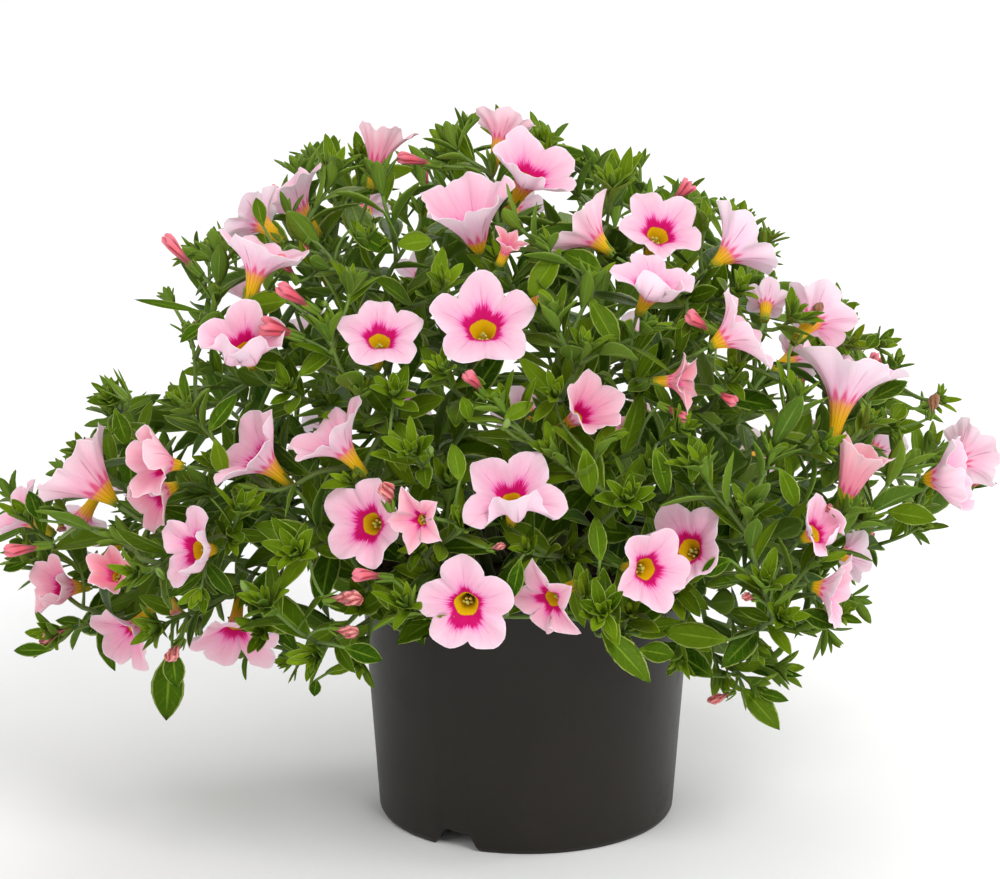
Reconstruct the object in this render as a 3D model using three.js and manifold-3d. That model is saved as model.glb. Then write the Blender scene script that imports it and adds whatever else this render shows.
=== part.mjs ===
// A calibrachoa in a round nursery pot. Units are millimetres, +Z is up, the origin is the
// centre of the underside of the pot, on the flat disc that the pot stands on.
//
// The plant is twelve leafy branches that rise from the growing medium and arch over the rim.
// Each branch is one body: its stems, its larger leaves, its buds and its smaller flowers grow
// together. The open flowers are bodies of their own, each a trumpet with five joined lobes.
import * as THREE from 'three';
import { mergeVertices } from 'three/addons/utils/BufferGeometryUtils.js';
import Module from 'manifold-3d';

const wasm = await Module();
wasm.setup();

// ---- driving dimensions -------------------------------------------------------------------
const POT_TOP_RADIUS = 60;        // outer radius at the rim
const POT_BASE_RADIUS = 53.2;     // outer radius just above the foot
const POT_HEIGHT = 95;
const POT_WALL = 1.4;
const POT_SIDES = 36;
const CHANNEL_DEPTH = 4.5;        // raised ring under the pot, between foot ring and centre disc
const CENTRE_DISC_RADIUS = 30;
const FOOT_INNER_RADIUS = 50.9;
const NOTCH_WIDTH = 18.4;         // drainage notch at the bottom edge
const NOTCH_HEIGHT = 7.2;
const NOTCH_ANGLES = [-28, 92, 212]; // degrees from the front (-Y) towards +X
const SOIL_TOP = 87.3;
const SOIL_SIDES = 24;
const GAP = 0.3;                  // clearance between neighbouring bodies
const STEM_SIDES_MAIN = 4;
const LEAF_THICKNESS = 1.6;
const PETAL_THICKNESS = 1.1;
const TUBE_RADIUS = 1.5;          // flower tube at its foot
const THROAT_RADIUS = 4.2;        // flower tube where it opens
const JOIN_TOLERANCE = 0.02;      // edges shorter than this are closed up where bodies join
// Stem centre lines: branch, radius, then the points x, y, z along the stem.
const STEMS = [
  [0, 1.6, 17.9, -1.7, 88.8, 24.4, -2.3, 101.1, 34.1, -3.2, 111, 46.4, -4.4, 117.4, 59.9, -5.7, 120.3, 73.8, -7, 120.2],
  [1, 1.6, -12.9, -12.6, 88.8, -16.6, -16.1, 103.7, -21, -20.3, 118.2, -26.5, -25.4, 132, -33.4, -32, 144.4, -42.4, -40.5, 153.9],
  [2, 1.6, -17.5, 4.2, 88.8, -31.9, 7.7, 95.1, -40, 9.6, 105.3, -52.3, 12.5, 110.2, -68, 16.2, 110.3, -83.6, 19.9, 108.8],
  [3, 1.6, 13, -12.4, 88.8, 17.7, -16.8, 100.4, 24.9, -23.6, 109.1, 33.9, -32, 113.8, 43.5, -40.9, 115.2, 53.1, -50, 114.3],
  [4, 1.6, 11.7, 11.5, 88.8, 13.7, 14.5, 103.1, 17.3, 17.5, 117.1, 20.8, 21, 131, 25.4, 25.7, 144.3, 32.3, 32.8, 155.2],
  [5, 1.6, -9.8, 15.1, 88.8, -13.2, 20.1, 100.6, -18.2, 27.5, 110.4, -24.6, 37, 116.9, -31.9, 47.7, 119.7, -39.2, 58.8, 119.5],
  [6, 1.6, 6.5, -14.6, 88.8, 8.2, -18.1, 103.7, 9.9, -21.7, 118.7, 11.8, -25.6, 133.5, 14.3, -30.9, 147.7, 18.1, -39.1, 160.1],
  [7, 1.6, 14.1, 11.2, 88.8, 24.8, 19.2, 94.4, 32.1, 25.2, 102.5, 34.3, 26.9, 110.5, 45.6, 35.8, 111.4, 56.9, 44.6, 110],
  [8, 1.6, -11.1, 9.8, 88.8, -13.7, 12, 104, -16.1, 13.9, 119.2, -18.5, 15.9, 134.4, -21.7, 18.6, 149.4, -27.2, 23.2, 163.1],
  [9, 1.6, 2.9, 17.8, 88.8, 5, 30.4, 94.5, 6.5, 39.7, 102.5, 6.4, 39.3, 112, 8.6, 52.8, 114.3, 10.8, 66.6, 113.4],
  [10, 1.6, -0.7, -18, 88.8, -1, -23.4, 99.6, -1.3, -31.7, 108.3, -1.8, -42.6, 113.3, -2.3, -54.6, 114.7, -2.8, -66.7, 113.9],
  [11, 1.6, -15.3, -9.4, 88.8, -27.7, -16.7, 94.9, -35.2, -21, 104.8, -43.4, -25.3, 111.3, -56.9, -33, 111.9, -70.3, -40.7, 110.7],
  [11, 1.1, -35.2, -21, 104.8, -44.1, -40.5, 102],
  [10, 1.1, -2.3, -54.6, 114.7, -5.7, -60.5, 106, -10.8, -67.6, 98.8],
  [3, 1.1, 37.5, -35.3, 114.3, 37.3, -46.8, 113.5, 36.3, -57.8, 111.8],
  [5, 1.1, -31.9, 47.7, 119.7, -30, 56.5, 120, -27.4, 65.2, 119.9],
  [7, 1.1, 45.6, 35.8, 111.4, 46.4, 45.8, 113.5, 46.5, 55.4, 115.8],
  [7, 1.1, 31.2, 24.4, 101.5, 52.6, 38, 103.5, 70, 32.3, 115.5],
  [9, 1.1, 10.8, 66.6, 113.4, 9.1, 70.6, 108.1],
  [1, 1.1, -31.3, -30, 140.7, -32.7, -42.4, 142.2, -33.6, -55.3, 141.1],
  [11, 1.1, -63.6, -36.8, 111.3, -65.1, -44.1, 113.1, -65.7, -51.7, 114.7],
  [5, 1.1, -35.5, 53.2, 119.6, -45.3, 55.7, 121.4, -55.1, 57.9, 123.2],
  [8, 1.1, -21, 18.1, 146.4, -18.1, 28.4, 152.4],
  [6, 1.1, 16.6, -35.8, 155.2, 14.7, -42.4, 160.4, 12.3, -49.6, 163.7],
  [4, 1.1, 30, 30.4, 151.5, 28.8, 36.3, 158.2, 28.2, 43.2, 164.4],
  [3, 1.1, 53.1, -50, 114.3, 58.3, -54.6, 102.6],
  [8, 1.1, -27.2, 23.2, 163.1, -29.3, 27, 163.6],
  [6, 1.1, 15, -32.6, 150.2, 29.5, -28.6, 159.7, 44.6, -23.7, 166.8],
  [10, 1.1, -10.8, -67.6, 98.8, -15.8, -68.3, 98.9],
  [8, 1.1, -18.1, 28.4, 152.4, -17.7, 34.6, 162.7, -18.1, 39.4, 173.7],
  [11, 1.1, -44.1, -40.5, 102, -51.6, -54.8, 100.7, -53.1, -70.9, 101.3],
  [3, 1.1, 58.3, -54.6, 102.6, 57.7, -59.1, 99.8],
  [9, 1.1, 10.8, 66.6, 113.4, 10.3, 78.9, 114.7, 9.2, 90.9, 117.1],
  [10, 1.1, -15.8, -68.3, 98.9, -16, -72.1, 97.8],
  [6, 1.1, 15, -32.6, 150.2, 10.8, -30.9, 165.9, 6.4, -28.8, 180.7],
  [10, 1.1, -16, -72.1, 97.8, -22.1, -81.4, 104.7, -28.4, -89.7, 112.5],
  [10, 1.1, -2.8, -66.7, 113.9, 3.8, -78.9, 117.3, 11.4, -90.3, 121.3],
  [5, 1.1, -39.2, 58.8, 119.5, -48.8, 68.8, 111.2, -58.8, 77.9, 102.4],
  [3, 1.1, 36.3, -57.8, 111.8, 38.6, -64.9, 111.8, 41.6, -71.9, 111.6],
  [9, 1.1, 9.1, 70.6, 108.1, 19.4, 77.8, 98.4],
  [8, 1.1, -29.3, 27, 163.6, -40.7, 30.3, 167.2, -52.1, 32.5, 171.6],
  [1, 1.1, -42.4, -40.5, 153.9, -45.8, -40.1, 163.2, -48.5, -38.5, 172.7],
  [9, 1.1, 9.2, 90.9, 117.1, 13.7, 92.1, 127.3, 18.7, 92.3, 137.4],
  [7, 1.1, 46.5, 55.4, 115.8, 50.8, 69, 117.4, 55.7, 82.4, 119],
  [3, 1.1, 41.6, -71.9, 111.6, 48.7, -76.8, 120.3, 55.6, -80.2, 129.9],
  [5, 1.1, -27.4, 65.2, 119.9, -28.5, 77.5, 120.3, -30.5, 89.7, 120.4],
  [3, 1.1, 57.7, -59.1, 99.8, 66.2, -67.8, 95.5, 74.8, -75.8, 90.3],
  [0, 1.1, 73.8, -7, 120.2, 83.2, -10.2, 112.2, 91.4, -13.4, 103.1],
  [11, 1.1, -53.1, -70.9, 101.3, -57.5, -76.7, 111.9, -62.7, -80.7, 123],
  [0, 1.1, 91.4, -13.4, 103.1, 99.8, -16.9, 102.7, 108, -20.6, 102.1],
  [10, 1.1, -28.4, -89.7, 112.5, -28.2, -90.8, 127.9, -26.9, -92.5, 143.2],
  [11, 1.1, -70.3, -40.7, 110.7, -78.4, -46.3, 109, -86.1, -52, 106.5],
  [7, 1.1, 56.9, 44.6, 110, 68.8, 53.7, 118.7, 80.3, 62.4, 128.1],
  [5, 1.1, -55.1, 57.9, 123.2, -57.4, 63.7, 125.9, -58.8, 70, 128.3],
  [6, 1.1, 12.3, -49.6, 163.7, 11.6, -62.6, 167.7, 11.5, -75.5, 171.9],
  [1, 1.1, -33.6, -55.3, 141.1, -26.7, -67.7, 153.1, -19.3, -77.8, 166.8],
  [4, 1.1, 28.2, 43.2, 164.4, 32.5, 57.6, 167.1, 38.1, 71.6, 168.8],
  [6, 1.1, 18.1, -39.1, 160.1, 27.5, -52.3, 167.4, 36.2, -66.2, 174],
  [1, 1.1, -29, -63.6, 149.1, -35.4, -71.4, 156.1, -43, -78.1, 162.6],
  [6, 1.1, 30.6, -57.4, 169.8, 44.9, -61.2, 167.3, 59, -65, 165.9],
  [2, 1.1, -83.6, 19.9, 108.8, -96.4, 14.3, 100.9, -106.9, 7, 91.1],
  [5, 1.1, -58.8, 77.9, 102.4, -67.2, 78.5, 105.5, -75.2, 78.1, 109.4],
  [5, 1.1, -58.8, 70, 128.3, -49.8, 75, 146.4, -40.4, 79.5, 164.5],
  [10, 1.1, 11.4, -90.3, 121.3, 9.4, -95.8, 123.5, 6.7, -101, 125.4],
  [11, 1.1, -65.7, -51.7, 114.7, -74.7, -61, 123.9, -84.1, -69.5, 133.4],
  [2, 1.1, -106.9, 7, 91.1, -112.7, 12.4, 82.2, -117.3, 20.2, 74.5],
  [7, 1.1, 70, 32.3, 115.5, 87.2, 36.1, 119.5, 104, 42.8, 121.5],
  [5, 1.1, -57.7, 65.3, 126.5, -67.8, 69.5, 137, -78, 72.5, 147.2],
  [8, 1.1, -18.1, 39.4, 173.7, -19.1, 52.6, 182.1, -20.4, 66.4, 189.5],
  [1, 1.1, -40.2, -75.6, 160.2, -53.1, -73.2, 163.8, -65.5, -70.3, 167.6],
  [10, 1.1, -28.4, -89.7, 112.5, -31.8, -98.1, 120, -34.8, -107.2, 126.8],
  [1, 1.1, -48.5, -38.5, 172.7, -47, -45.3, 184.7, -44.7, -53.4, 195.6],
  [6, 1.1, 6.4, -28.8, 180.7, -1, -33.5, 194.8, -7.8, -40.4, 208.4],
  [6, 1.1, 44.6, -23.7, 166.8, 55.4, -30.2, 178.4, 64.1, -38.5, 190.7],
  [6, 1.1, 6.4, -28.8, 180.7, 14, -31.3, 195.2, 23.1, -35.5, 208.6],
  [11, 1.1, -77.5, -63.5, 126.7, -91.9, -61.9, 130.6, -105.8, -60, 133.9],
  [8, 1.1, -52.1, 32.5, 171.6, -64.2, 41.5, 176, -75.1, 51.8, 180.6],
  [11, 1.1, -86.1, -52, 106.5, -102.1, -49.8, 108.3, -118, -47.5, 109.9],
  [2, 1.1, -117.3, 20.2, 74.5, -115.5, 39.7, 75.9, -115.2, 59.2, 77.5],
  [10, 1.1, -34.8, -107.2, 126.8, -31.3, -111.6, 131.4, -26.9, -115.7, 135.4],
  [3, 1.1, 74.8, -75.8, 90.3, 79.5, -88.6, 96.1, 83, -101.3, 102.9],
  [5, 1.1, -58.8, 77.9, 102.4, -61.8, 82.7, 101.1],
  [1, 1.1, -48.5, -38.5, 172.7, -56.9, -29.3, 187.6, -65.4, -20.2, 202.6],
  [2, 1.1, -111, 10.9, 84.8, -122.3, 10.1, 81.4, -133.7, 9.2, 78.5],
  [3, 1.1, 83, -101.3, 102.9, 81.4, -104.6, 108.1, 79.4, -107.8, 113.3],
  [11, 1.1, -113.3, -48.2, 109.4, -117.8, -42.3, 110.9, -122.5, -36.6, 112],
  [7, 1.1, 55.7, 82.4, 119, 58.3, 87.3, 118.7],
  [11, 1.1, -122.5, -36.6, 112, -128.9, -29.4, 99.4, -134.3, -26.7, 84.8],
  [3, 1.1, 79.4, -107.8, 113.3, 75.6, -107.3, 125.3, 73, -107.3, 137.6],
  [2, 1.1, -101.7, 10.6, 96, -118.1, 9.5, 102.2, -134.1, 10.2, 108.3],
  [6, 1.1, 11.5, -75.5, 171.9, 11, -84.7, 174.9],
  [2, 1.1, -123.9, 9.8, 104.4, -128.7, 19.2, 111, -133.5, 29.3, 116.9],
  [3, 1.1, 55.6, -80.2, 129.9, 65.6, -77.2, 142.7, 76.1, -72.8, 154.8],
  [3, 1.1, 73, -107.3, 137.6, 75.6, -102, 146.1, 79.4, -97.3, 154.5],
  [3, 1.1, 81.9, -97.1, 100.6, 87.1, -97.3, 109.1, 92.3, -96.2, 117.6],
  [10, 1.1, -26.9, -92.5, 143.2, -29, -96.7, 148.6, -31.7, -101.6, 153.2],
  [11, 1.1, -62.7, -80.7, 123, -67.2, -89.8, 126.2],
  [11, 1.1, -96.6, -61.2, 131.7, -106.2, -69.3, 127.7, -113.2, -79.9, 124.6],
  [0, 1.1, 108, -20.6, 102.1, 120.4, -33, 108, 132, -45.1, 115.9],
  [3, 1.1, 76.1, -72.8, 154.8, 83, -75.6, 156.3, 89.5, -79.5, 156.1],
  [11, 1.1, -84.1, -69.5, 133.4, -92.9, -76, 142, -101.4, -83.5, 150],
  [6, 1.1, 59, -65, 165.9, 64.2, -76.2, 173.9, 66.9, -87.7, 182.9],
  [6, 1.1, 64.1, -38.5, 190.7, 59, -50.8, 200.2, 52.5, -62.4, 209.7],
  [1, 1.1, -65.5, -70.3, 167.6, -73.5, -76.6, 172.6, -79.4, -84.9, 177.8],
  [6, 1.1, 23.1, -35.5, 208.6, 28, -34.1, 211.8],
  [2, 1.1, -115.2, 59.2, 77.5, -116.5, 62.6, 80.8],
  [3, 1.1, 79.4, -97.3, 154.5, 82.8, -92.9, 163.5, 87, -90.1, 172.8],
  [4, 1.1, 38.1, 71.6, 168.8, 37.2, 82.7, 175.4],
  [1, 1.1, -44.7, -53.4, 195.6, -38.5, -64.9, 202.5, -31.9, -76.7, 208.2],
  [3, 1.1, 89.5, -79.5, 156.1, 96.9, -77.8, 156.7],
  [2, 1.1, -116.5, 62.6, 80.8, -119.2, 61.8, 84.1, -118.2, 61.9, 88.1],
  [8, 1.1, -20.4, 66.4, 189.5, -18.8, 70.2, 193.3],
  [1, 1.1, -44.7, -53.4, 195.6, -47.2, -56.2, 203.8, -50.7, -58.4, 211.8],
  [2, 1.1, -133.7, 9.2, 78.5, -141.8, 1, 81.4, -148.7, -7.8, 85.5],
  [7, 1.1, 104, 42.8, 121.5, 110.8, 43.5, 120.9],
  [8, 1.1, -75.1, 51.8, 180.6, -76.8, 56.9, 182.9],
  [5, 1.1, -78, 72.5, 147.2, -84.5, 74.1, 148.7],
  [6, 1.1, -7.8, -40.4, 208.4, -9.6, -40.7, 219.5, -10.9, -40.1, 230.7],
  [5, 1.1, -78, 72.5, 147.2, -82.6, 81.4, 155.4],
  [11, 1.1, -113.2, -79.9, 124.6, -115.8, -82.1, 123.1],
  [1, 1.1, -50.7, -58.4, 211.8, -56.5, -59.9, 213.6, -62.5, -61.4, 214.5],
  [2, 1.1, -133.5, 29.3, 116.9, -135.7, 32.6, 120],
  [1, 1.1, -62.5, -61.4, 214.5, -69, -56.4, 218.1],
  [11, 1.1, -134.3, -26.7, 84.8, -140.8, -32.4, 83.3, -147, -38.6, 82.8],
  [11, 1.1, -147, -38.6, 82.8, -151.7, -38.5, 85.3, -156.2, -36.3, 86.3],
  [5, 0.9, -29.7, 85.1, 120.3, -35.5, 97.4, 100.7],
  [9, 0.9, 9.2, 90.9, 117.1, 4.9, 103.6, 115],
  [9, 0.9, 19.4, 77.8, 98.4, 36.9, 98.7, 109.1],
  [3, 0.9, 48.7, -76.8, 120.3, 58.9, -85.5, 122.8],
  [10, 0.9, -24.4, -84.5, 107.6, -18.5, -106.2, 113.4],
  [10, 0.9, 11.4, -90.3, 121.3, 31.7, -102.3, 122.3],
  [10, 0.9, 11.4, -90.3, 121.3, 13, -108.4, 113.6],
  [5, 0.9, -30.5, 89.7, 120.4, -39, 105.9, 117.4],
  [10, 0.9, 6.7, -101, 125.4, -5.8, -104.4, 137],
  [11, 0.9, -97.3, -50.5, 107.7, -101.8, -55.7, 97],
  [10, 0.9, -28.3, -90.5, 123.3, -45.8, -100.1, 136.1],
  [7, 0.9, 73, 56.8, 122.1, 97.5, 71.5, 111.9],
  [5, 0.9, -75.2, 78.1, 109.4, -96.9, 72.7, 92.7],
  [9, 0.9, 18.7, 92.3, 137.4, 3.9, 102.8, 159.8],
  [7, 0.9, 58.3, 87.3, 118.7, 80.9, 92.7, 106.8],
  [5, 0.9, -61.8, 82.7, 101.1, -69.3, 103.6, 111],
  [2, 0.9, -114, 14.6, 80, -120.5, 41.5, 88.1],
  [7, 0.9, 55.7, 82.4, 119, 42.2, 110, 133.9],
  [6, 0.9, 11, -84.7, 174.9, 8.9, -97.1, 169.1],
  [3, 0.9, 77.9, -84.3, 94.2, 89.1, -88.3, 113.1],
  [7, 0.9, 80.3, 62.4, 128.1, 92.6, 76.2, 144.6],
  [5, 0.9, -40.4, 79.5, 164.5, -40.4, 98.7, 167.2],
  [1, 0.9, -19.3, -77.8, 166.8, -15.2, -80.3, 192.3],
  [7, 0.9, 110.8, 43.5, 120.9, 122.8, 49.2, 115.5],
  [5, 0.9, -80.3, 76.9, 151.3, -74.9, 94.7, 145.8],
  [8, 0.9, -18.8, 70.2, 193.3, -7.1, 84.2, 197],
  [3, 0.9, 80.7, -92.8, 98.3, 88.4, -93.5, 126],
  [3, 0.9, 80.7, -92.8, 98.3, 102.5, -83, 119.5],
  [10, 0.9, -26.9, -115.7, 135.4, -24.5, -120.6, 144.2],
  [10, 0.9, -31.7, -101.6, 153.2, -53.8, -106.6, 154.2],
  [4, 0.9, 37.2, 82.7, 175.4, 46.2, 93.6, 182.4],
  [6, 0.9, 36.2, -66.2, 174, 40.2, -90.8, 183.8],
  [11, 0.9, -128.9, -29.4, 99.4, -131.5, -42.4, 87],
  [11, 0.9, -67.2, -89.8, 126.2, -79.1, -97.5, 148.5],
  [6, 0.9, -7.8, -40.4, 208.4, -14.2, -59, 214.2],
  [1, 0.9, -43, -78.1, 162.6, -50.2, -81.7, 190.1],
  [6, 0.9, 36.2, -66.2, 174, 35.4, -77.4, 200.4],
  [11, 0.9, -106.2, -69.3, 127.7, -101.3, -89, 124.1],
  [8, 0.9, -76.8, 56.9, 182.9, -56.6, 78.1, 196.5],
  [6, 0.9, 28, -34.1, 211.8, 42.6, -46.5, 218],
  [6, 0.9, -8.8, -40.6, 214.8, -7, -32, 228.7],
  [3, 0.9, 92.3, -96.2, 117.6, 105.4, -85.4, 135.7],
  [6, 0.9, 59, -50.8, 200.2, 56.2, -54.6, 210],
  [5, 0.9, -84.5, 74.1, 148.7, -98.8, 78.4, 165.5],
  [5, 0.9, -82.6, 81.4, 155.4, -74.6, 95.4, 174.5],
  [11, 0.9, -105.8, -60, 133.9, -116.5, -69.5, 140.7],
  [2, 0.9, -134.1, 10.2, 108.3, -146.2, 7.5, 98.5],
  [1, 0.9, -65.4, -20.2, 202.6, -72.1, -18.8, 215.7],
  [6, 0.9, 36.2, -66.2, 174, 55.8, -89.3, 192.3],
  [3, 0.9, 93.9, -78.5, 156.5, 104.4, -79.3, 156.2],
  [3, 0.9, 96.9, -77.8, 156.7, 127.2, -59.5, 139],
  [1, 0.9, -71.3, -74.8, 171.1, -92.9, -76, 181.3],
  [2, 0.9, -118.2, 61.9, 88.1, -140.1, 62, 104],
  [1, 0.9, -31.9, -76.7, 208.2, -8.9, -79.4, 222.3],
  [6, 0.9, 52.5, -62.4, 209.7, 31.8, -71.5, 219],
  [6, 0.9, -10.9, -40.1, 230.7, -12.8, -29.5, 240.2],
  [0, 0.9, 132, -45.1, 115.9, 144.1, -30.3, 134.3],
  [11, 0.9, -101.4, -83.5, 150, -112.6, -86.4, 151.8],
  [1, 0.9, -65.4, -20.2, 202.6, -54.4, -28.6, 231.8],
  [11, 0.9, -118, -47.5, 109.9, -138.9, -72.1, 107.9],
  [2, 0.9, -148.7, -7.8, 85.5, -154.3, -28, 91.3],
  [6, 0.9, 66.9, -87.7, 182.9, 78.9, -80.5, 198.6],
  [11, 0.9, -115.8, -82.1, 123.1, -135.8, -69.4, 131.5],
  [3, 0.9, 87, -90.1, 172.8, 89.5, -77.5, 194.8],
  [2, 0.9, -135.7, 32.6, 120, -156.9, 39.4, 107],
  [1, 0.9, -69, -56.4, 218.1, -82.5, -53.8, 222],
  [1, 0.9, -79.4, -84.9, 177.8, -94.9, -76.9, 204.5],
  [11, 0.9, -156.2, -36.3, 86.3, -156.2, -34.5, 95.4, -159.7, -30.3, 102.7, -166.3, -27.6, 110.4],
];
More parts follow.
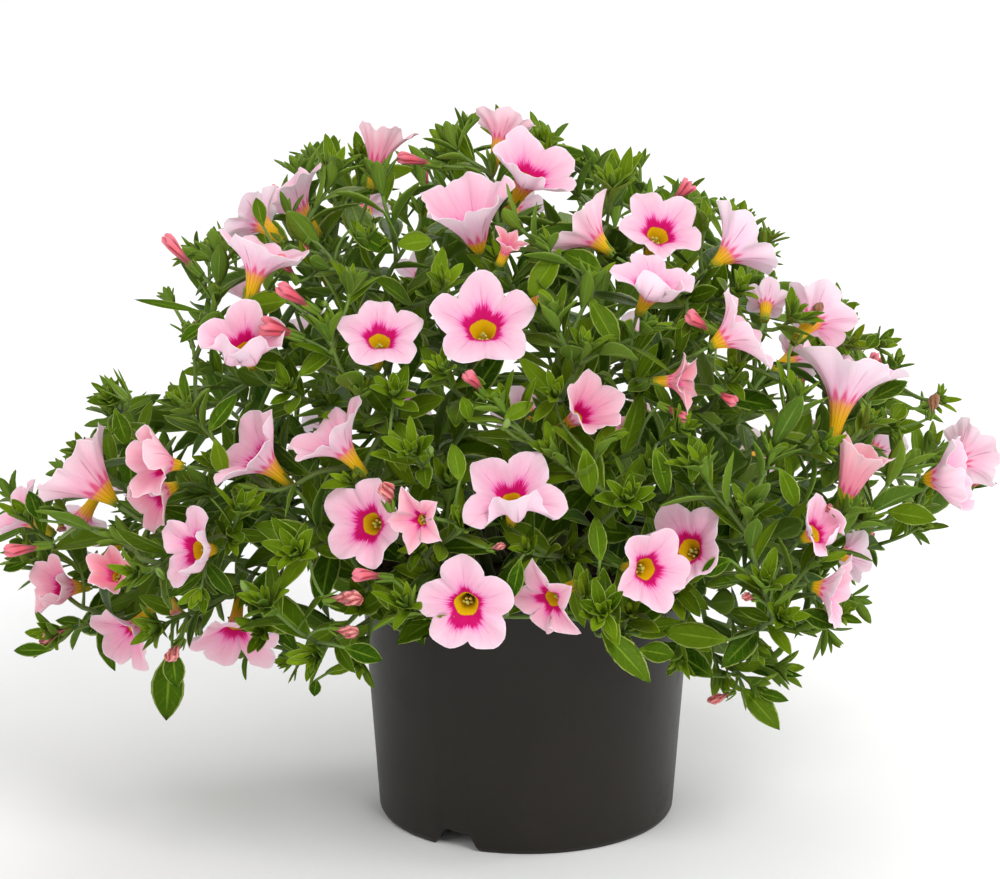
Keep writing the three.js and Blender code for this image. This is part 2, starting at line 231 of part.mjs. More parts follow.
// Leaves: branch, foot x, y, z, tip x, y, z, face direction x, y, z, width.
const LEAVES = [
  [3, 74.6, -75.7, 91, 87.1, -78.7, 55.3, 0.06, -0.84, 0.54, 8.9],
  [3, 74.3, -76, 90.8, 95.6, -66.4, 71.1, -0.14, -0.82, 0.56, 4.5],
  [2, -116.5, 62, 81, -115.4, 90.1, 73.2, -0.24, 0.06, 0.97, 9.5],
  [2, -115, 49.8, 77.3, -126.2, 62.5, 61.3, 0.12, 0.75, 0.66, 7.2],
  [11, -139, -31.6, 83.9, -160.2, -18, 72.2, -0.51, -0.72, 0.48, 9.5],
  [2, -116.2, 38, 76.2, -94.7, 46.5, 59.8, 0.04, 0.78, 0.63, 9.5],
  [3, 81.8, -94.2, 99.1, 45.1, -95.9, 96.8, -0.13, -0.81, 0.57, 9.5],
  [2, -115.8, 29, 75.1, -143, 39.2, 77.8, 0.45, 0.73, 0.51, 9.5],
  [3, 81.6, -93.9, 160.4, 91.1, -104.6, 182.4, -0.11, 0.91, 0.41, 7.7],
  [11, -151.4, -38.8, 85.9, -161.2, -30.2, 68.1, -0.7, 0.11, 0.71, 7.9],
  [3, 75.5, -75.9, 90.4, 44.9, -71.6, 85.2, 0.01, -0.83, 0.56, 9.5],
  [2, -135.4, 6.5, 79.6, -156.4, 18.3, 71.8, -0.37, -0.63, 0.69, 9.5],
  [1, -79.9, -84.7, 177.3, -62.6, -91.2, 195.2, -0.4, -0.77, 0.5, 7.9],
  [9, 19, 91.8, 137.1, 6, 117.2, 151.9, 0.71, -0.12, 0.69, 9.5],
  [3, 81.5, -103.3, 106.4, 91.2, -120.5, 120.2, -0.71, 0.26, 0.66, 7.2],
  [0, 82.8, -10.7, 112.2, 103.9, 19.8, 115.8, 0.73, -0.65, -0.19, 9.5],
  [2, -112.5, 12.7, 82.8, -119.8, 3.8, 61.9, -0.48, 0.87, -0.12, 8.2],
  [4, 37.4, 82.9, 174.8, 24.9, 72.3, 203.2, 0.17, 0.96, 0.22, 9.5],
  [4, 37.1, 76.8, 172.4, 61.5, 93.9, 162.2, -0.17, 0.54, 0.82, 9.5],
  [2, -125.2, 9.3, 80.9, -136.5, 27.8, 69.8, -0.82, -0.41, 0.4, 7.2],
  [5, -82.5, 80.8, 155.7, -88.2, 105.4, 139.9, -0.18, 0.4, 0.9, 9.5],
  [2, -120.5, 10.6, 82.4, -126, -4.8, 64.7, -0.88, 0.1, 0.46, 7.1],
  [1, -67.1, -58.2, 216.5, -45.1, -63.9, 220.3, 0.09, -0.71, 0.7, 8.8],
  [3, 74.2, -104.2, 141.4, 78.4, -120.5, 156.7, 0.04, 0.84, 0.55, 7.8],
  [3, 69.5, -75, 146.7, 67.5, -98.4, 163.6, 0.49, 0.57, 0.67, 9.5],
  [11, -148.7, -38.3, 84.2, -144.3, -47.5, 66, -0.54, -0.81, 0.22, 6.7],
  [7, 110.8, 42.9, 120.8, 108.7, 73.4, 126.3, 0.91, -0.03, 0.42, 9.5],
  [9, 19.3, 77.3, 97.9, 26.6, 100, 121.5, 0.81, 0.02, -0.59, 9.5],
  [5, -79.8, 77.3, 151, -103.1, 57.4, 166.4, 0.05, 0.76, 0.65, 9.5],
  [1, -69.3, -72.4, 169.5, -56.9, -97.2, 177.7, -0.77, 0.01, 0.64, 9.5],
  [2, -105.1, 8.4, 93.7, -92.2, 11.4, 68.4, -0.77, -0.61, -0.18, 9.5],
  [10, -18.4, -76.6, 101.5, -45.6, -84.4, 88.3, -0.04, -0.44, 0.9, 9.5],
  [2, -144.4, -2.3, 83.6, -153.1, -17, 70.4, -0.27, -0.37, 0.89, 6.3],
  [3, 78.3, -83.8, 94.4, 64.7, -102.3, 85.9, 0.31, -0.52, 0.79, 9.5],
  [11, -65.8, -86.7, 125.8, -69.7, -108, 108.2, -0.31, -0.52, 0.79, 9.5],
  [5, -65, 78.1, 105.2, -84.9, 91.3, 91, -0.51, -0.1, 0.85, 9.5],
  [10, -31.9, -101.2, 152.7, -25.4, -113.3, 168.5, 0.04, -0.9, 0.45, 6.4],
  [6, 59.7, -48.9, 199, 52.3, -72.7, 208.8, 0.09, 0.28, 0.95, 9.5],
  [2, -123.4, 9.8, 104.9, -144.7, 9.5, 88, -0.48, 0.03, 0.88, 9.1],
  [11, -92.2, -51.4, 107.8, -102.6, -39.5, 82.2, -0.84, 0.11, 0.53, 9.5],
  [1, -51, -35.2, 176.7, -51.4, -56, 201.3, -0.3, 0.81, 0.51, 9.5],
  [5, -84.3, 74, 148, -93.3, 76.5, 177.2, -0.93, 0.24, -0.28, 9.5],
  [3, 84.6, -91.1, 168.4, 100.8, -97.4, 179.9, -0.36, 0.59, 0.72, 7],
  [1, -31.5, -76.8, 207.6, -44.7, -75.3, 226, 0.07, -0.65, 0.76, 8.7],
  [11, -68.7, -55.3, 118.6, -99, -59.3, 107.1, -0.09, -0.38, 0.92, 9.5],
  [2, -115.2, 10.5, 83, -141.2, 11.6, 94.9, -0.35, -0.19, -0.92, 9.5],
  [1, -79.4, -85, 177.1, -80.2, -83.5, 186.7, -0.1, -0.7, 0.71, 8.7],
  [6, 10.8, -81.5, 173.3, 24.5, -85.7, 196.6, -0.54, -0.84, 0.09, 9.5],
  [5, -48.1, 67.1, 112, -38.9, 96.5, 115.6, -0.98, 0.17, -0.12, 9.5],
  [1, -57.7, -59.7, 214.1, -69.1, -80, 205.2, -0.62, 0.11, 0.78, 9.5],
  [10, -28.5, -94.3, 145.6, -7.1, -105.1, 159.4, -0.67, -0.22, 0.71, 9.5],
  [11, -130.7, -29.1, 95.5, -121.7, -11.2, 77.8, -0.94, -0.01, -0.34, 8.2],
  [11, -55.1, -73.2, 106.6, -63.9, -99.2, 107.4, -0.07, 0.18, 0.98, 9.5],
  [8, -18.5, 50, 179.8, -35.5, 48.5, 205.9, 0.47, 0.87, 0.15, 9.5],
  [0, 93.8, -14, 102.9, 111.4, -36.8, 104.7, 0.52, 0.3, -0.8, 9.5],
  [11, -124.9, -34.4, 106.8, -129.7, -3.2, 116.2, -0.67, 0.01, -0.75, 9.5],
  [0, 77.3, -7.5, 116.9, 76.7, -38.5, 131.5, 0.97, 0.05, -0.24, 9.5],
  [7, 36.9, 27.2, 101.8, 18.7, 56.8, 111.5, 0.86, 0.18, 0.48, 9.5],
  [3, 74.6, -106.8, 129.4, 75.1, -119, 144.2, -0.29, 0.76, 0.58, 6.4],
  [11, -122.6, -36, 111.2, -141.4, -33.1, 94.6, -0.3, 0.6, 0.74, 8.8],
  [7, 94.1, 38.3, 120.6, 101.4, 63.5, 111, 0.71, -0.06, 0.7, 9.5],
  [1, -42, -58, 199.2, -40.1, -78.9, 179.5, 0.3, -0.58, 0.76, 9.5],
  [1, -46.3, -54.6, 198.4, -25, -52.5, 216.8, -0.72, -0.29, 0.64, 9.5],
  [2, -118.7, 62.4, 87.9, -95.6, 42.7, 96.1, -0.17, 0.33, 0.93, 9.5],
  [9, 10.6, 70.8, 106.9, -11.8, 92.4, 114.1, 0.12, 0.28, -0.95, 9.5],
  [1, -53.7, -32.4, 183.2, -83.4, -21.4, 175.1, -0.05, 0.25, 0.97, 9.5],
  [11, -46.6, -44.6, 102.2, -35.8, -53.5, 77.5, -0.44, -0.86, 0.26, 9.5],
  [3, 53.2, -51, 113.1, 79.5, -26.6, 110.2, 0.59, -0.5, 0.64, 9.5],
  [0, 88.8, -12.1, 107, 66.9, -16.3, 85.5, 0.73, -0.44, -0.52, 9.5],
  [6, 62.1, -71.2, 169.7, 54.6, -73.9, 194.3, 0.72, -0.69, 0.11, 9.5],
  [11, -131.5, -27.6, 90.9, -150.4, -34.1, 84.5, 0.21, 0.68, -0.71, 6.5],
  [6, 27.9, -33.5, 211.3, 30.5, -52.9, 226.9, 0.59, 0.68, 0.44, 9],
  [10, -34.8, -105.6, 125.3, -22, -116.7, 141, -0.91, -0.28, 0.3, 7],
  [11, -106.5, -48.7, 109.1, -120, -64, 95.5, -0.69, 0.31, 0.65, 7.5],
  [2, -131.6, 9.5, 79.4, -142.7, 4.8, 67.2, -0.74, 0.2, 0.65, 5],
  [2, -117.3, 20, 75.1, -117.9, 25.6, 60.4, -0.62, 0.73, 0.29, 5.4],
  [3, 80.8, -93.7, 99.4, 88.6, -106.9, 91.4, 0.04, -0.41, 0.91, 5.6],
  [5, -60.3, 81.3, 102, -79.2, 74.8, 86.1, -0.42, 0.82, 0.39, 9.5],
  [11, -115.5, -82.3, 123.8, -124.8, -77.2, 102.7, -0.73, -0.64, 0.24, 8.5],
  [5, -42.9, 63.1, 116.7, -52.2, 46.8, 91.2, -0.74, 0.68, -0.04, 9.5],
  [6, 11.7, -58.2, 165.7, 19.1, -60.1, 194.4, -0.28, -0.96, -0.07, 9.5],
  [8, -19.9, 68.6, 192.2, 4.5, 79.9, 185.3, -0.14, 0.31, 0.94, 9.5],
  [3, 95.5, -77.7, 157.1, 92.3, -93.6, 140, 0.98, 0.12, -0.13, 6.5],
  [0, 96.4, -16, 103.2, 117.1, -6.7, 91.5, 0.5, -0.54, 0.68, 7.6],
  [11, -118.6, -40.7, 110.7, -134.5, -46, 132, -0.11, 0.99, -0.02, 9.5],
  [11, -127.9, -29.8, 101.2, -138, -41.2, 85, -0.38, 0.87, -0.32, 7.6],
  [9, 11.1, 72.5, 113.7, -14.9, 82.3, 126.8, 0.61, 0.72, 0.32, 9.5],
  [2, -135.2, 33, 119.7, -155, 19.9, 129.6, 0.02, 0.72, 0.7, 9.5],
  [3, 48.3, -45.3, 115.4, 48.2, -50.1, 86.4, 0.61, -0.74, 0.3, 8],
  [1, -38.8, -63.2, 201.3, -52.3, -75.5, 215, 0.86, -0.33, 0.4, 8],
  [2, -99.5, 12.7, 97.7, -103.8, -16.2, 111.7, -0.9, 0.14, -0.41, 9.5],
  [7, 69, 53, 118.6, 59.3, 79.8, 122.6, 0.65, -0.04, 0.76, 9.5],
  [11, -145.7, -37, 82.2, -145.9, -48.6, 102.5, -0.87, -0.27, -0.41, 9.5],
  [1, -31.6, -66.3, 151.1, -23.7, -72.9, 178.6, -0.9, -0.43, 0.09, 9.5],
  [8, -56.9, 36.1, 172.7, -60.3, 33.8, 201.9, -0.7, 0.7, -0.13, 9.5],
  [0, 113.2, -25.7, 103.9, 113.3, -28.5, 132.2, 0.76, -0.64, -0.1, 9.5],
  [1, -47.1, -42.4, 180.7, -62.6, -65.7, 180.3, 0.31, -0.01, 0.95, 9.5],
  [2, -115, 58.6, 77.8, -120.4, 71.7, 70.1, -0.16, 0.49, 0.86, 4.8],
  [3, 62.8, -63.9, 96.9, 70.4, -86.8, 105.4, 0.93, 0.33, -0.16, 9.4],
  [2, -108.8, 9.5, 98.8, -122.7, 33.7, 100.8, -0.51, -0.52, 0.69, 9.5],
  [7, 79.5, 34.6, 118.3, 99.9, 31.8, 99.1, 0.68, 0.2, 0.71, 9.5],
  [10, -6.3, -60.2, 106.1, 19.7, -74.8, 102.7, -0.67, -0.71, -0.21, 9.5],
  [2, -109.7, 9.6, 85.9, -126.3, 28.1, 89.3, -0.21, -0.11, -0.97, 9.5],
  [7, 54.6, 36.7, 105.4, 73.7, 56.9, 94.9, 0.39, -0.17, 0.91, 9.5],
  [5, -30.4, 86.2, 120.5, -12.6, 104.4, 115.3, -0.59, 0.51, 0.62, 7.9],
  [2, -141.9, 1.2, 80.7, -138.4, -6.9, 106.2, -0.81, -0.54, -0.22, 9.5],
  [2, -115.1, 15.3, 79.2, -103.7, 29.4, 69.6, -0.85, 0.52, -0.01, 7.2],
  [3, 73.9, -107, 138.9, 55.8, -85.8, 143.3, -0.08, -0.49, 0.87, 9.3],
  [11, -97.7, -79.5, 146.6, -95.6, -99.8, 142.7, -0.51, 0.02, 0.86, 6.6],
  [6, 63.6, -76, 174, 84.2, -83.6, 172, -0.14, -0.48, 0.86, 9],
  [2, -115.7, 54.2, 77, -102.9, 70.2, 79.5, -0.78, 0.42, 0.47, 6.2],
  [7, 63.1, 50, 114.3, 77.9, 31.5, 134.9, 0.2, 0.91, 0.35, 9.5],
];
// Buds and spent flowers: branch, foot x, y, z, tip x, y, z, diameter.
const BUDS = [
  [1, -69, -56.4, 218.1, -76.8, -56.9, 220.2, 3.6],
  [6, 66.9, -87.7, 182.9, 68.9, -99, 178.2, 4.2],
  [11, -154.7, -37, 86, -169.4, -57.5, 80.5, 4.4],
  [11, -115.8, -82.1, 123.1, -119.6, -88.7, 100.8, 3.4],
];
// Open flowers: node name or branch, foot x, y, z, axis x, y, z, limb radius, length, spin in degrees, openness.
const FLOWERS = [
  ['flower_01', -12.6, -29, 240.9, 0.229, 0.567, 0.792, 14, 20.5, 10, 0.5],
  ['flower_02', -6.4, -32.7, 229.9, 0.387, -0.477, 0.789, 16.7, 21.7, 80, 0.62],
  ['flower_03', -14.5, -59.2, 215.6, -0.236, -0.156, 0.959, 17.1, 22.2, 30, 0.62],
  ['flower_04', -54.2, -28.4, 232.8, 0.223, 0.213, 0.951, 11.6, 21, 20, 0.2],
  ['flower_05', -72.5, -18.7, 216.2, -0.592, 0.096, 0.8, 14.9, 21.6, 15, 0.5],
  ['flower_06', -83.2, -53.2, 222.5, -0.709, 0.564, 0.422, 12.4, 16.9, 50, 0.62],
  ['flower_07', -94.5, -76.7, 205.7, 0.286, 0.138, 0.948, 15.7, 22.6, 60, 0.5],
  ['flower_08', -93.1, -77, 182.4, -0.122, -0.701, 0.703, 16, 20.9, 90, 0.62],
  ['flower_09', -50.2, -82.5, 191, 0.041, -0.677, 0.735, 14.9, 17.9, 92, 0.8],
  ['flower_10', -15.2, -81.1, 193.1, 0, -0.713, 0.701, 18.1, 21.1, 93, 0.8],
  ['flower_11', 30.9, -71.2, 219.8, -0.754, 0.254, 0.606, 14.2, 20.7, 40, 0.5],
  ['flower_12', 42.8, -47.4, 218.8, 0.141, -0.734, 0.665, 15.4, 18.4, 110, 0.8],
  ['flower_13', 35.7, -77.8, 201.1, 0.36, -0.483, 0.798, 15, 18.7, 84, 0.7],
  ['flower_14', 57.4, -54.5, 210.9, 0.796, 0.041, 0.603, 14.8, 21.4, 20, 0.5],
  ['flower_15', 56.5, -89.6, 192.8, 0.772, -0.299, 0.56, 14.6, 19.3, 40, 0.62],
  ['flower_16', 90.2, -76.5, 195.2, 0.496, 0.801, 0.334, 15.7, 20.6, 10, 0.62],
  ['flower_17', 79, -79.3, 199.1, 0.106, 0.907, 0.407, 11.3, 15.7, 10, 0.62],
  ['flower_18', 104.7, -78.9, 157.7, 0.202, 0.283, 0.938, 18, 25.6, 54, 0.5],
  ['flower_19', 128, -59.1, 138.9, 0.902, 0.427, -0.054, 15, 19.8, 30, 0.62],
  ['flower_20', 144.9, -29.6, 134.6, 0.756, 0.602, 0.256, 12.8, 17.4, 70, 0.62],
  ['flower_21', 9.9, -98, 170.1, 0.61, -0.539, 0.581, 13.4, 21.1, 75, 0.42],
  ['flower_22', -5.7, -105.5, 137.9, 0.02, -0.759, 0.651, 17.6, 21.4, 70, 0.7],
  ['flower_23', -46.4, -101, 136.4, -0.483, -0.838, 0.255, 15.3, 18.3, 150, 0.8],
  ['flower_24', -25.6, -121.6, 144.4, -0.727, -0.667, 0.165, 12, 16.8, 115, 0.7],
  ['flower_25', -18.7, -107.1, 113.5, -0.141, -0.984, 0.108, 16.1, 17.8, 92, 0.93],
  ['flower_26', 12.4, -109.5, 113.8, -0.421, -0.891, 0.166, 12.8, 17.7, 100, 0.7],
  ['flower_27', 32.2, -103.2, 122.6, 0.487, -0.846, 0.215, 14.9, 19.7, 60, 0.62],
  ['flower_28', 58.3, -86.8, 123.4, -0.362, -0.865, 0.346, 15.5, 20.3, 40, 0.62],
  ['flower_29', -79.7, -97.6, 149, -0.708, -0.143, 0.691, 15.9, 22.9, 10, 0.5],
  ['flower_30', -54.6, -106.6, 155.2, -0.629, -0.058, 0.775, 14.9, 21.6, 65, 0.5],
  ['flower_31', -136.5, -69.2, 132.1, -0.758, 0.196, 0.623, 15.3, 22.1, 20, 0.5],
  ['flower_32', -167.2, -27.7, 111.1, -0.818, -0.084, 0.569, 12.3, 16.8, 30, 0.62],
  ['flower_33', -113.2, -86.9, 152.1, -0.796, -0.537, 0.277, 13.2, 17.8, 100, 0.62],
  ['flower_34', -117.2, -70.1, 140.6, -0.738, -0.673, -0.046, 12.8, 17.4, 130, 0.62],
  ['flower_35', -102.2, -90.1, 124.4, -0.622, -0.759, 0.191, 16, 19, 95, 0.8],
  ['flower_36', -155.1, -28.7, 91.5, -0.768, -0.617, 0.172, 12.8, 16.4, 60, 0.7],
  ['flower_37', -132.1, -43.2, 86.6, -0.562, -0.753, -0.341, 13.2, 17.8, 70, 0.62],
  ['flower_38', -101.8, -56.4, 96.3, 0, -0.743, -0.669, 15.9, 20.9, 90, 0.62],
  ['flower_39', 89.1, -94.2, 126.7, 0.636, -0.525, 0.565, 12.2, 15.9, 80, 0.7],
  [3, 100.7, -83.8, 119.6, 0.915, 0.401, -0.053, 9.5, 12.6, 30, 0.62],
  ['flower_40', 90.4, -89.1, 113, 0.826, -0.558, -0.08, 12.8, 17.3, 60, 0.62],
  ['flower_41', 105.7, -85.3, 136.6, 0.325, 0.105, 0.94, 9, 15.9, 10, 0.2],
  ['flower_42', 41.3, -91.5, 183.9, 0.85, -0.507, 0.142, 8.8, 17, 20, 0.25],
  [11, -138.2, -70.6, 106.8, -0.362, -0.763, 0.535, 8.1, 13.4, 0, 0.2],
  [1, -9.6, -78.7, 220.5, 0.352, -0.33, 0.876, 5.6, 11.5, 0, 0.25],
  [2, -139, 60.4, 103.9, -0.583, 0.809, 0.078, 14.4, 17.4, 86.2, 0.8],
  [7, 95.9, 70.3, 111.8, 0.786, 0.616, 0.057, 11.5, 18.5, 221.3, 0.42],
  ['flower_43', -75.2, 95.8, 145.8, -0.292, 0.954, 0.071, 15.5, 20.3, 21.3, 0.62],
  ['flower_44', 37.2, 99.7, 109, 0.261, 0.965, -0.033, 16.5, 23.6, 296.4, 0.5],
  [2, -155.8, 39.1, 108.7, -0.513, 0.195, -0.836, 13.4, 18, 69.2, 0.62],
  [2, -145, 7.7, 100.1, -0.619, -0.089, -0.78, 13.7, 16.6, 185.6, 0.8],
  ['flower_45', 42.1, 110.6, 134.2, -0.216, 0.835, 0.506, 15.2, 20, 79.8, 0.62],
  [4, 45.6, 92.1, 181.3, 0.311, 0.776, 0.549, 14.2, 17.2, 33.1, 0.8],
  [8, -7.4, 82.4, 196.1, 0.17, 0.88, 0.444, 13.7, 18.3, 352.5, 0.62],
  ['flower_46', 4.8, 104.2, 114.9, -0.259, 0.966, -0.021, 16.4, 23.6, 160.3, 0.5],
  [7, 121.4, 47.9, 114.7, 0.676, 0.637, 0.37, 13.1, 17.7, 293.8, 0.62],
  [2, -119, 40.1, 88.2, -0.732, 0.68, -0.052, 10.6, 16.4, 193.6, 0.42],
  [5, -40.8, 97, 166.3, 0.17, 0.889, 0.425, 13.2, 16.2, 299.1, 0.8],
  [8, -56, 76.6, 195.4, -0.315, 0.774, 0.549, 12.7, 14.7, 196.6, 0.93],
  [5, -68.6, 101.7, 111, -0.381, 0.925, -0.002, 13.5, 18.2, 308.9, 0.62],
  [5, -96.9, 71.4, 94.2, 0.023, 0.668, -0.744, 11.5, 18.5, 110.3, 0.42],
  [7, 91.2, 74.9, 144, 0.704, 0.64, 0.307, 12.7, 15.7, 219.2, 0.8],
  [5, -98, 77.3, 164.1, -0.402, 0.556, 0.727, 11.7, 18.7, 276.9, 0.42],
  [5, -35.6, 96.2, 102.2, 0.071, 0.629, -0.774, 13.3, 15.2, 278.1, 0.93],
  [5, -73.9, 94.4, 172.9, -0.383, 0.521, 0.763, 13, 17.6, 77.1, 0.62],
  [9, 4.2, 101.1, 158.8, -0.118, 0.848, 0.516, 11.2, 18.2, 119.4, 0.42],
  [5, -38.3, 104, 117.2, -0.357, 0.93, 0.086, 13.2, 18.2, 326.5, 0.7],
  [7, 79.8, 91.1, 107.4, 0.507, 0.811, -0.292, 15.1, 18.1, 267.7, 0.8],
];
// ---- materials ----------------------------------------------------------------------------
const material = (color, roughness) => new THREE.MeshStandardMaterial({ color, roughness, metalness: 0 });
const mats = {
  pot: material(0x2f2c2a, 0.48),
  soil: material(0x3a2a1e, 0.95),
  branch: material(0x3f6a1e, 0.55),
  petal: material(0xf4b6c8, 0.6),
};

// ---- closed solids ------------------------------------------------------------------------
function toSolid(geometry) {
  const g0 = geometry.clone();
  g0.deleteAttribute('normal');
  g0.deleteAttribute('uv');
  const g = mergeVertices(g0, 1e-4);
  const index = g.index.array;
  const tri = [];
  for (let i = 0; i < index.length; i += 3) {
    const [a, b, c] = [index[i], index[i + 1], index[i + 2]];
    if (a !== b && b !== c && a !== c) tri.push(a, b, c);
  }
  return new wasm.Manifold(new wasm.Mesh({
    numProp: 3,
    vertProperties: new Float32Array(g.attributes.position.array),
    triVerts: new Uint32Array(tri),
    tolerance: JOIN_TOLERANCE,
  }));
}

// Closes up the very short edges and turns the very flat faces that a join leaves, and keeps the
// surface closed: an edge shorter than JOIN_TOLERANCE becomes one point, and a face flatter than
// half of that gives its longest side to its neighbour.
function tidy(p, tri) {
  const P = (i) => new THREE.Vector3(p[3 * i], p[3 * i + 1], p[3 * i + 2]);
  const key = (a, b) => a * 1e6 + b;
  for (let round = 0; round < 40; round++) {
    const edge = new Map(); // directed edge -> its face
    for (let f = 0; f < tri.length; f += 3)
      for (let k = 0; k < 3; k++) edge.set(key(tri[f + k], tri[f + (k + 1) % 3]), f);
    const around = new Map();
    for (let f = 0; f < tri.length; f += 3) for (let k = 0; k < 3; k++) {
      const v = tri[f + k];
      if (!around.has(v)) around.set(v, new Set());
      around.get(v).add(tri[f + (k + 1) % 3]).add(tri[f + (k + 2) % 3]);
    }
    const touched = new Set();
    let changed = 0;
    for (let f = 0; f < tri.length; f += 3) {
      const v = [tri[f], tri[f + 1], tri[f + 2]];
      if (v.some((i) => touched.has(i))) continue;
      const q = v.map(P);
      const len = [0, 1, 2].map((k) => q[k].distanceTo(q[(k + 1) % 3]));
      const k0 = len.indexOf(Math.min(...len)), k1 = len.indexOf(Math.max(...len));
      const a = v[k0], b = v[(k0 + 1) % 3];
      if (len[k0] < JOIN_TOLERANCE) { // close the edge a-b up into a
        const shared = [...around.get(a)].filter((i) => around.get(b).has(i));
        if (shared.length === 2 && around.get(a).size + around.get(b).size > 8) {
          for (const i of [...around.get(a), ...around.get(b)]) touched.add(i);
          for (let i = 0; i < tri.length; i++) if (tri[i] === b) tri[i] = a;
          changed++;
          continue;
        }
      }
      const area2 = q[1].clone().sub(q[0]).cross(q[2].clone().sub(q[0])).length();
      if (area2 / len[k1] < JOIN_TOLERANCE / 2) { // turn the longest side
        const c = v[k1], d = v[(k1 + 1) % 3], e = v[(k1 + 2) % 3];
        const other = edge.get(key(d, c));
        if (other === undefined || touched.has(c) || touched.has(d)) continue;
        const w = [tri[other], tri[other + 1], tri[other + 2]].find((i) => i !== c && i !== d);
        if (touched.has(w) || around.get(e).has(w)) continue;
        tri.splice(f, 3, e, c, w);
        tri.splice(other, 3, w, d, e);
        for (const i of [c, d, e, w]) touched.add(i);
        changed++;
      }
    }
    const kept = [];
    for (let f = 0; f < tri.length; f += 3) {
      const [a, b, c] = [tri[f], tri[f + 1], tri[f + 2]];
      if (a !== b && b !== c && a !== c) kept.push(a, b, c);
    }
    tri = kept;
    if (!changed) break;
  }
  return new Uint32Array(tri);
}

function toGeometry(solid) {
  const m = solid.getMesh();
  const g = new THREE.BufferGeometry();
  const n = m.vertProperties.length / m.numProp;
  const p = new Float32Array(n * 3);
  for (let i = 0; i < n; i++) for (let k = 0; k < 3; k++) p[3 * i + k] = m.vertProperties[i * m.numProp + k];
  g.setAttribute('position', new THREE.BufferAttribute(p, 3));
  g.setIndex(new THREE.BufferAttribute(tidy(p, Array.from(m.triVerts)), 1));
  g.computeVertexNormals();
  return g;
}

const flip = (geometry) => { // turns the faces the other way
  const i = geometry.index.array;
  for (let k = 0; k < i.length; k += 3) [i[k + 1], i[k + 2]] = [i[k + 2], i[k + 1]];
  return geometry;
};

function volumeOf(geometry) {
  const p = geometry.attributes.position, ix = geometry.index;
  const a = new THREE.Vector3(), b = new THREE.Vector3(), c = new THREE.Vector3();
  let v = 0;
  const n = ix ? ix.count : p.count;
  for (let k = 0; k < n; k += 3) {
    const q = (j) => (ix ? ix.getX(k + j) : k + j);
    a.fromBufferAttribute(p, q(0)); b.fromBufferAttribute(p, q(1)); c.fromBufferAttribute(p, q(2));
    v += a.dot(b.cross(c)) / 6;
  }
  return v;
}

// A lathe about +Z from points (radius, height).
function lathe(points, sides) {
  const g = new THREE.LatheGeometry(points.map(([r, z]) => new THREE.Vector2(Math.max(r, 0), z)), sides);
  g.rotateX(Math.PI / 2);
  return volumeOf(g) < 0 ? flip(g) : g;
}

// A stem: a regular polygon swept along the stem's centre line.
function stem(radius, points, sides) {
  const path = new THREE.CatmullRomCurve3(points);
  const shape = new THREE.Shape();
  for (let k = 0; k < sides; k++) {
    const a = (2 * Math.PI * k) / sides;
    if (k === 0) shape.moveTo(radius * Math.cos(a), radius * Math.sin(a));
    else shape.lineTo(radius * Math.cos(a), radius * Math.sin(a));
  }
  shape.closePath();
  return new THREE.ExtrudeGeometry(shape, { steps: points.length - 1, extrudePath: path, curveSegments: 1 });
}

// A leaf: a flat rhombic solid from foot to tip.
function leaf(foot, tip, face, width) {
  const g = new THREE.OctahedronGeometry(1, 0);
  const along = tip.clone().sub(foot);
  const length = along.length();
  along.normalize();
  const side = along.clone().cross(face).normalize();
  const up = side.clone().cross(along).normalize();
  g.scale(length / 2, width / 2, LEAF_THICKNESS / 2);
  const m = new THREE.Matrix4().makeBasis(along, up.clone().cross(along).normalize(), up);
  g.applyMatrix4(m);
  const mid = foot.clone().add(tip).multiplyScalar(0.5);
  g.translate(mid.x, mid.y, mid.z);
  return g;
}

// A bud: a spindle from foot to tip.
function bud(foot, tip, width) {
  const along = tip.clone().sub(foot);
  const length = along.length();
  const g = new THREE.OctahedronGeometry(1, 0);
  g.scale(width / 2, width / 2, length / 2 + 0.6);
  g.applyQuaternion(new THREE.Quaternion().setFromUnitVectors(new THREE.Vector3(0, 0, 1), along.normalize()));
  const mid = foot.clone().add(tip).multiplyScalar(0.5);
  g.translate(mid.x, mid.y, mid.z);
  return g;
}

// A flower about +Z with its foot at the origin: a tube that widens into a limb of five lobes.
function flower(radius, length, openness, sides) {
  const throat = length * (0.56 + 0.1 * openness);
  const rim = length;
  const t = PETAL_THICKNESS;
  const wide = Math.min(THROAT_RADIUS, radius * 0.6);
  const back = [
    [0, 0],
    [TUBE_RADIUS, 0],
    [wide, throat],
    [radius, rim - t * 0.5],
    [wide * 0.72, throat + t],
    [0, throat * 0.75],
  ];
  if (sides === 5) { // a single cone inside, which stays clear of the throat's outside
    const k = wide / radius;
    back.splice(4, 2, [0, Math.max(throat * 0.75, (throat + 2 * t - (rim - t * 0.5) * k) / (1 - k))]);
  }
  const g = lathe(back, sides);
  const p = g.attributes.position;
  for (let i = 0; i < p.count; i++) { // pull in the rim between the lobes
    const x = p.getX(i), y = p.getY(i), r = Math.hypot(x, y);
    if (r > radius * 0.9) {
      const a = Math.atan2(y, x);
      const k = sides === 10 ? 1 - 0.13 * (1 - Math.cos(5 * a)) / 2 : 1;
      p.setXYZ(i, x * k, y * k, p.getZ(i));
    }
  }
  return g;
}

// ---- the pot and what fills it ------------------------------------------------------------
const group = new THREE.Group();

function addMesh(name, geometry, mat) {
  const mesh = new THREE.Mesh(geometry, mat);
  mesh.name = name;
  group.add(mesh);
  return mesh;
}

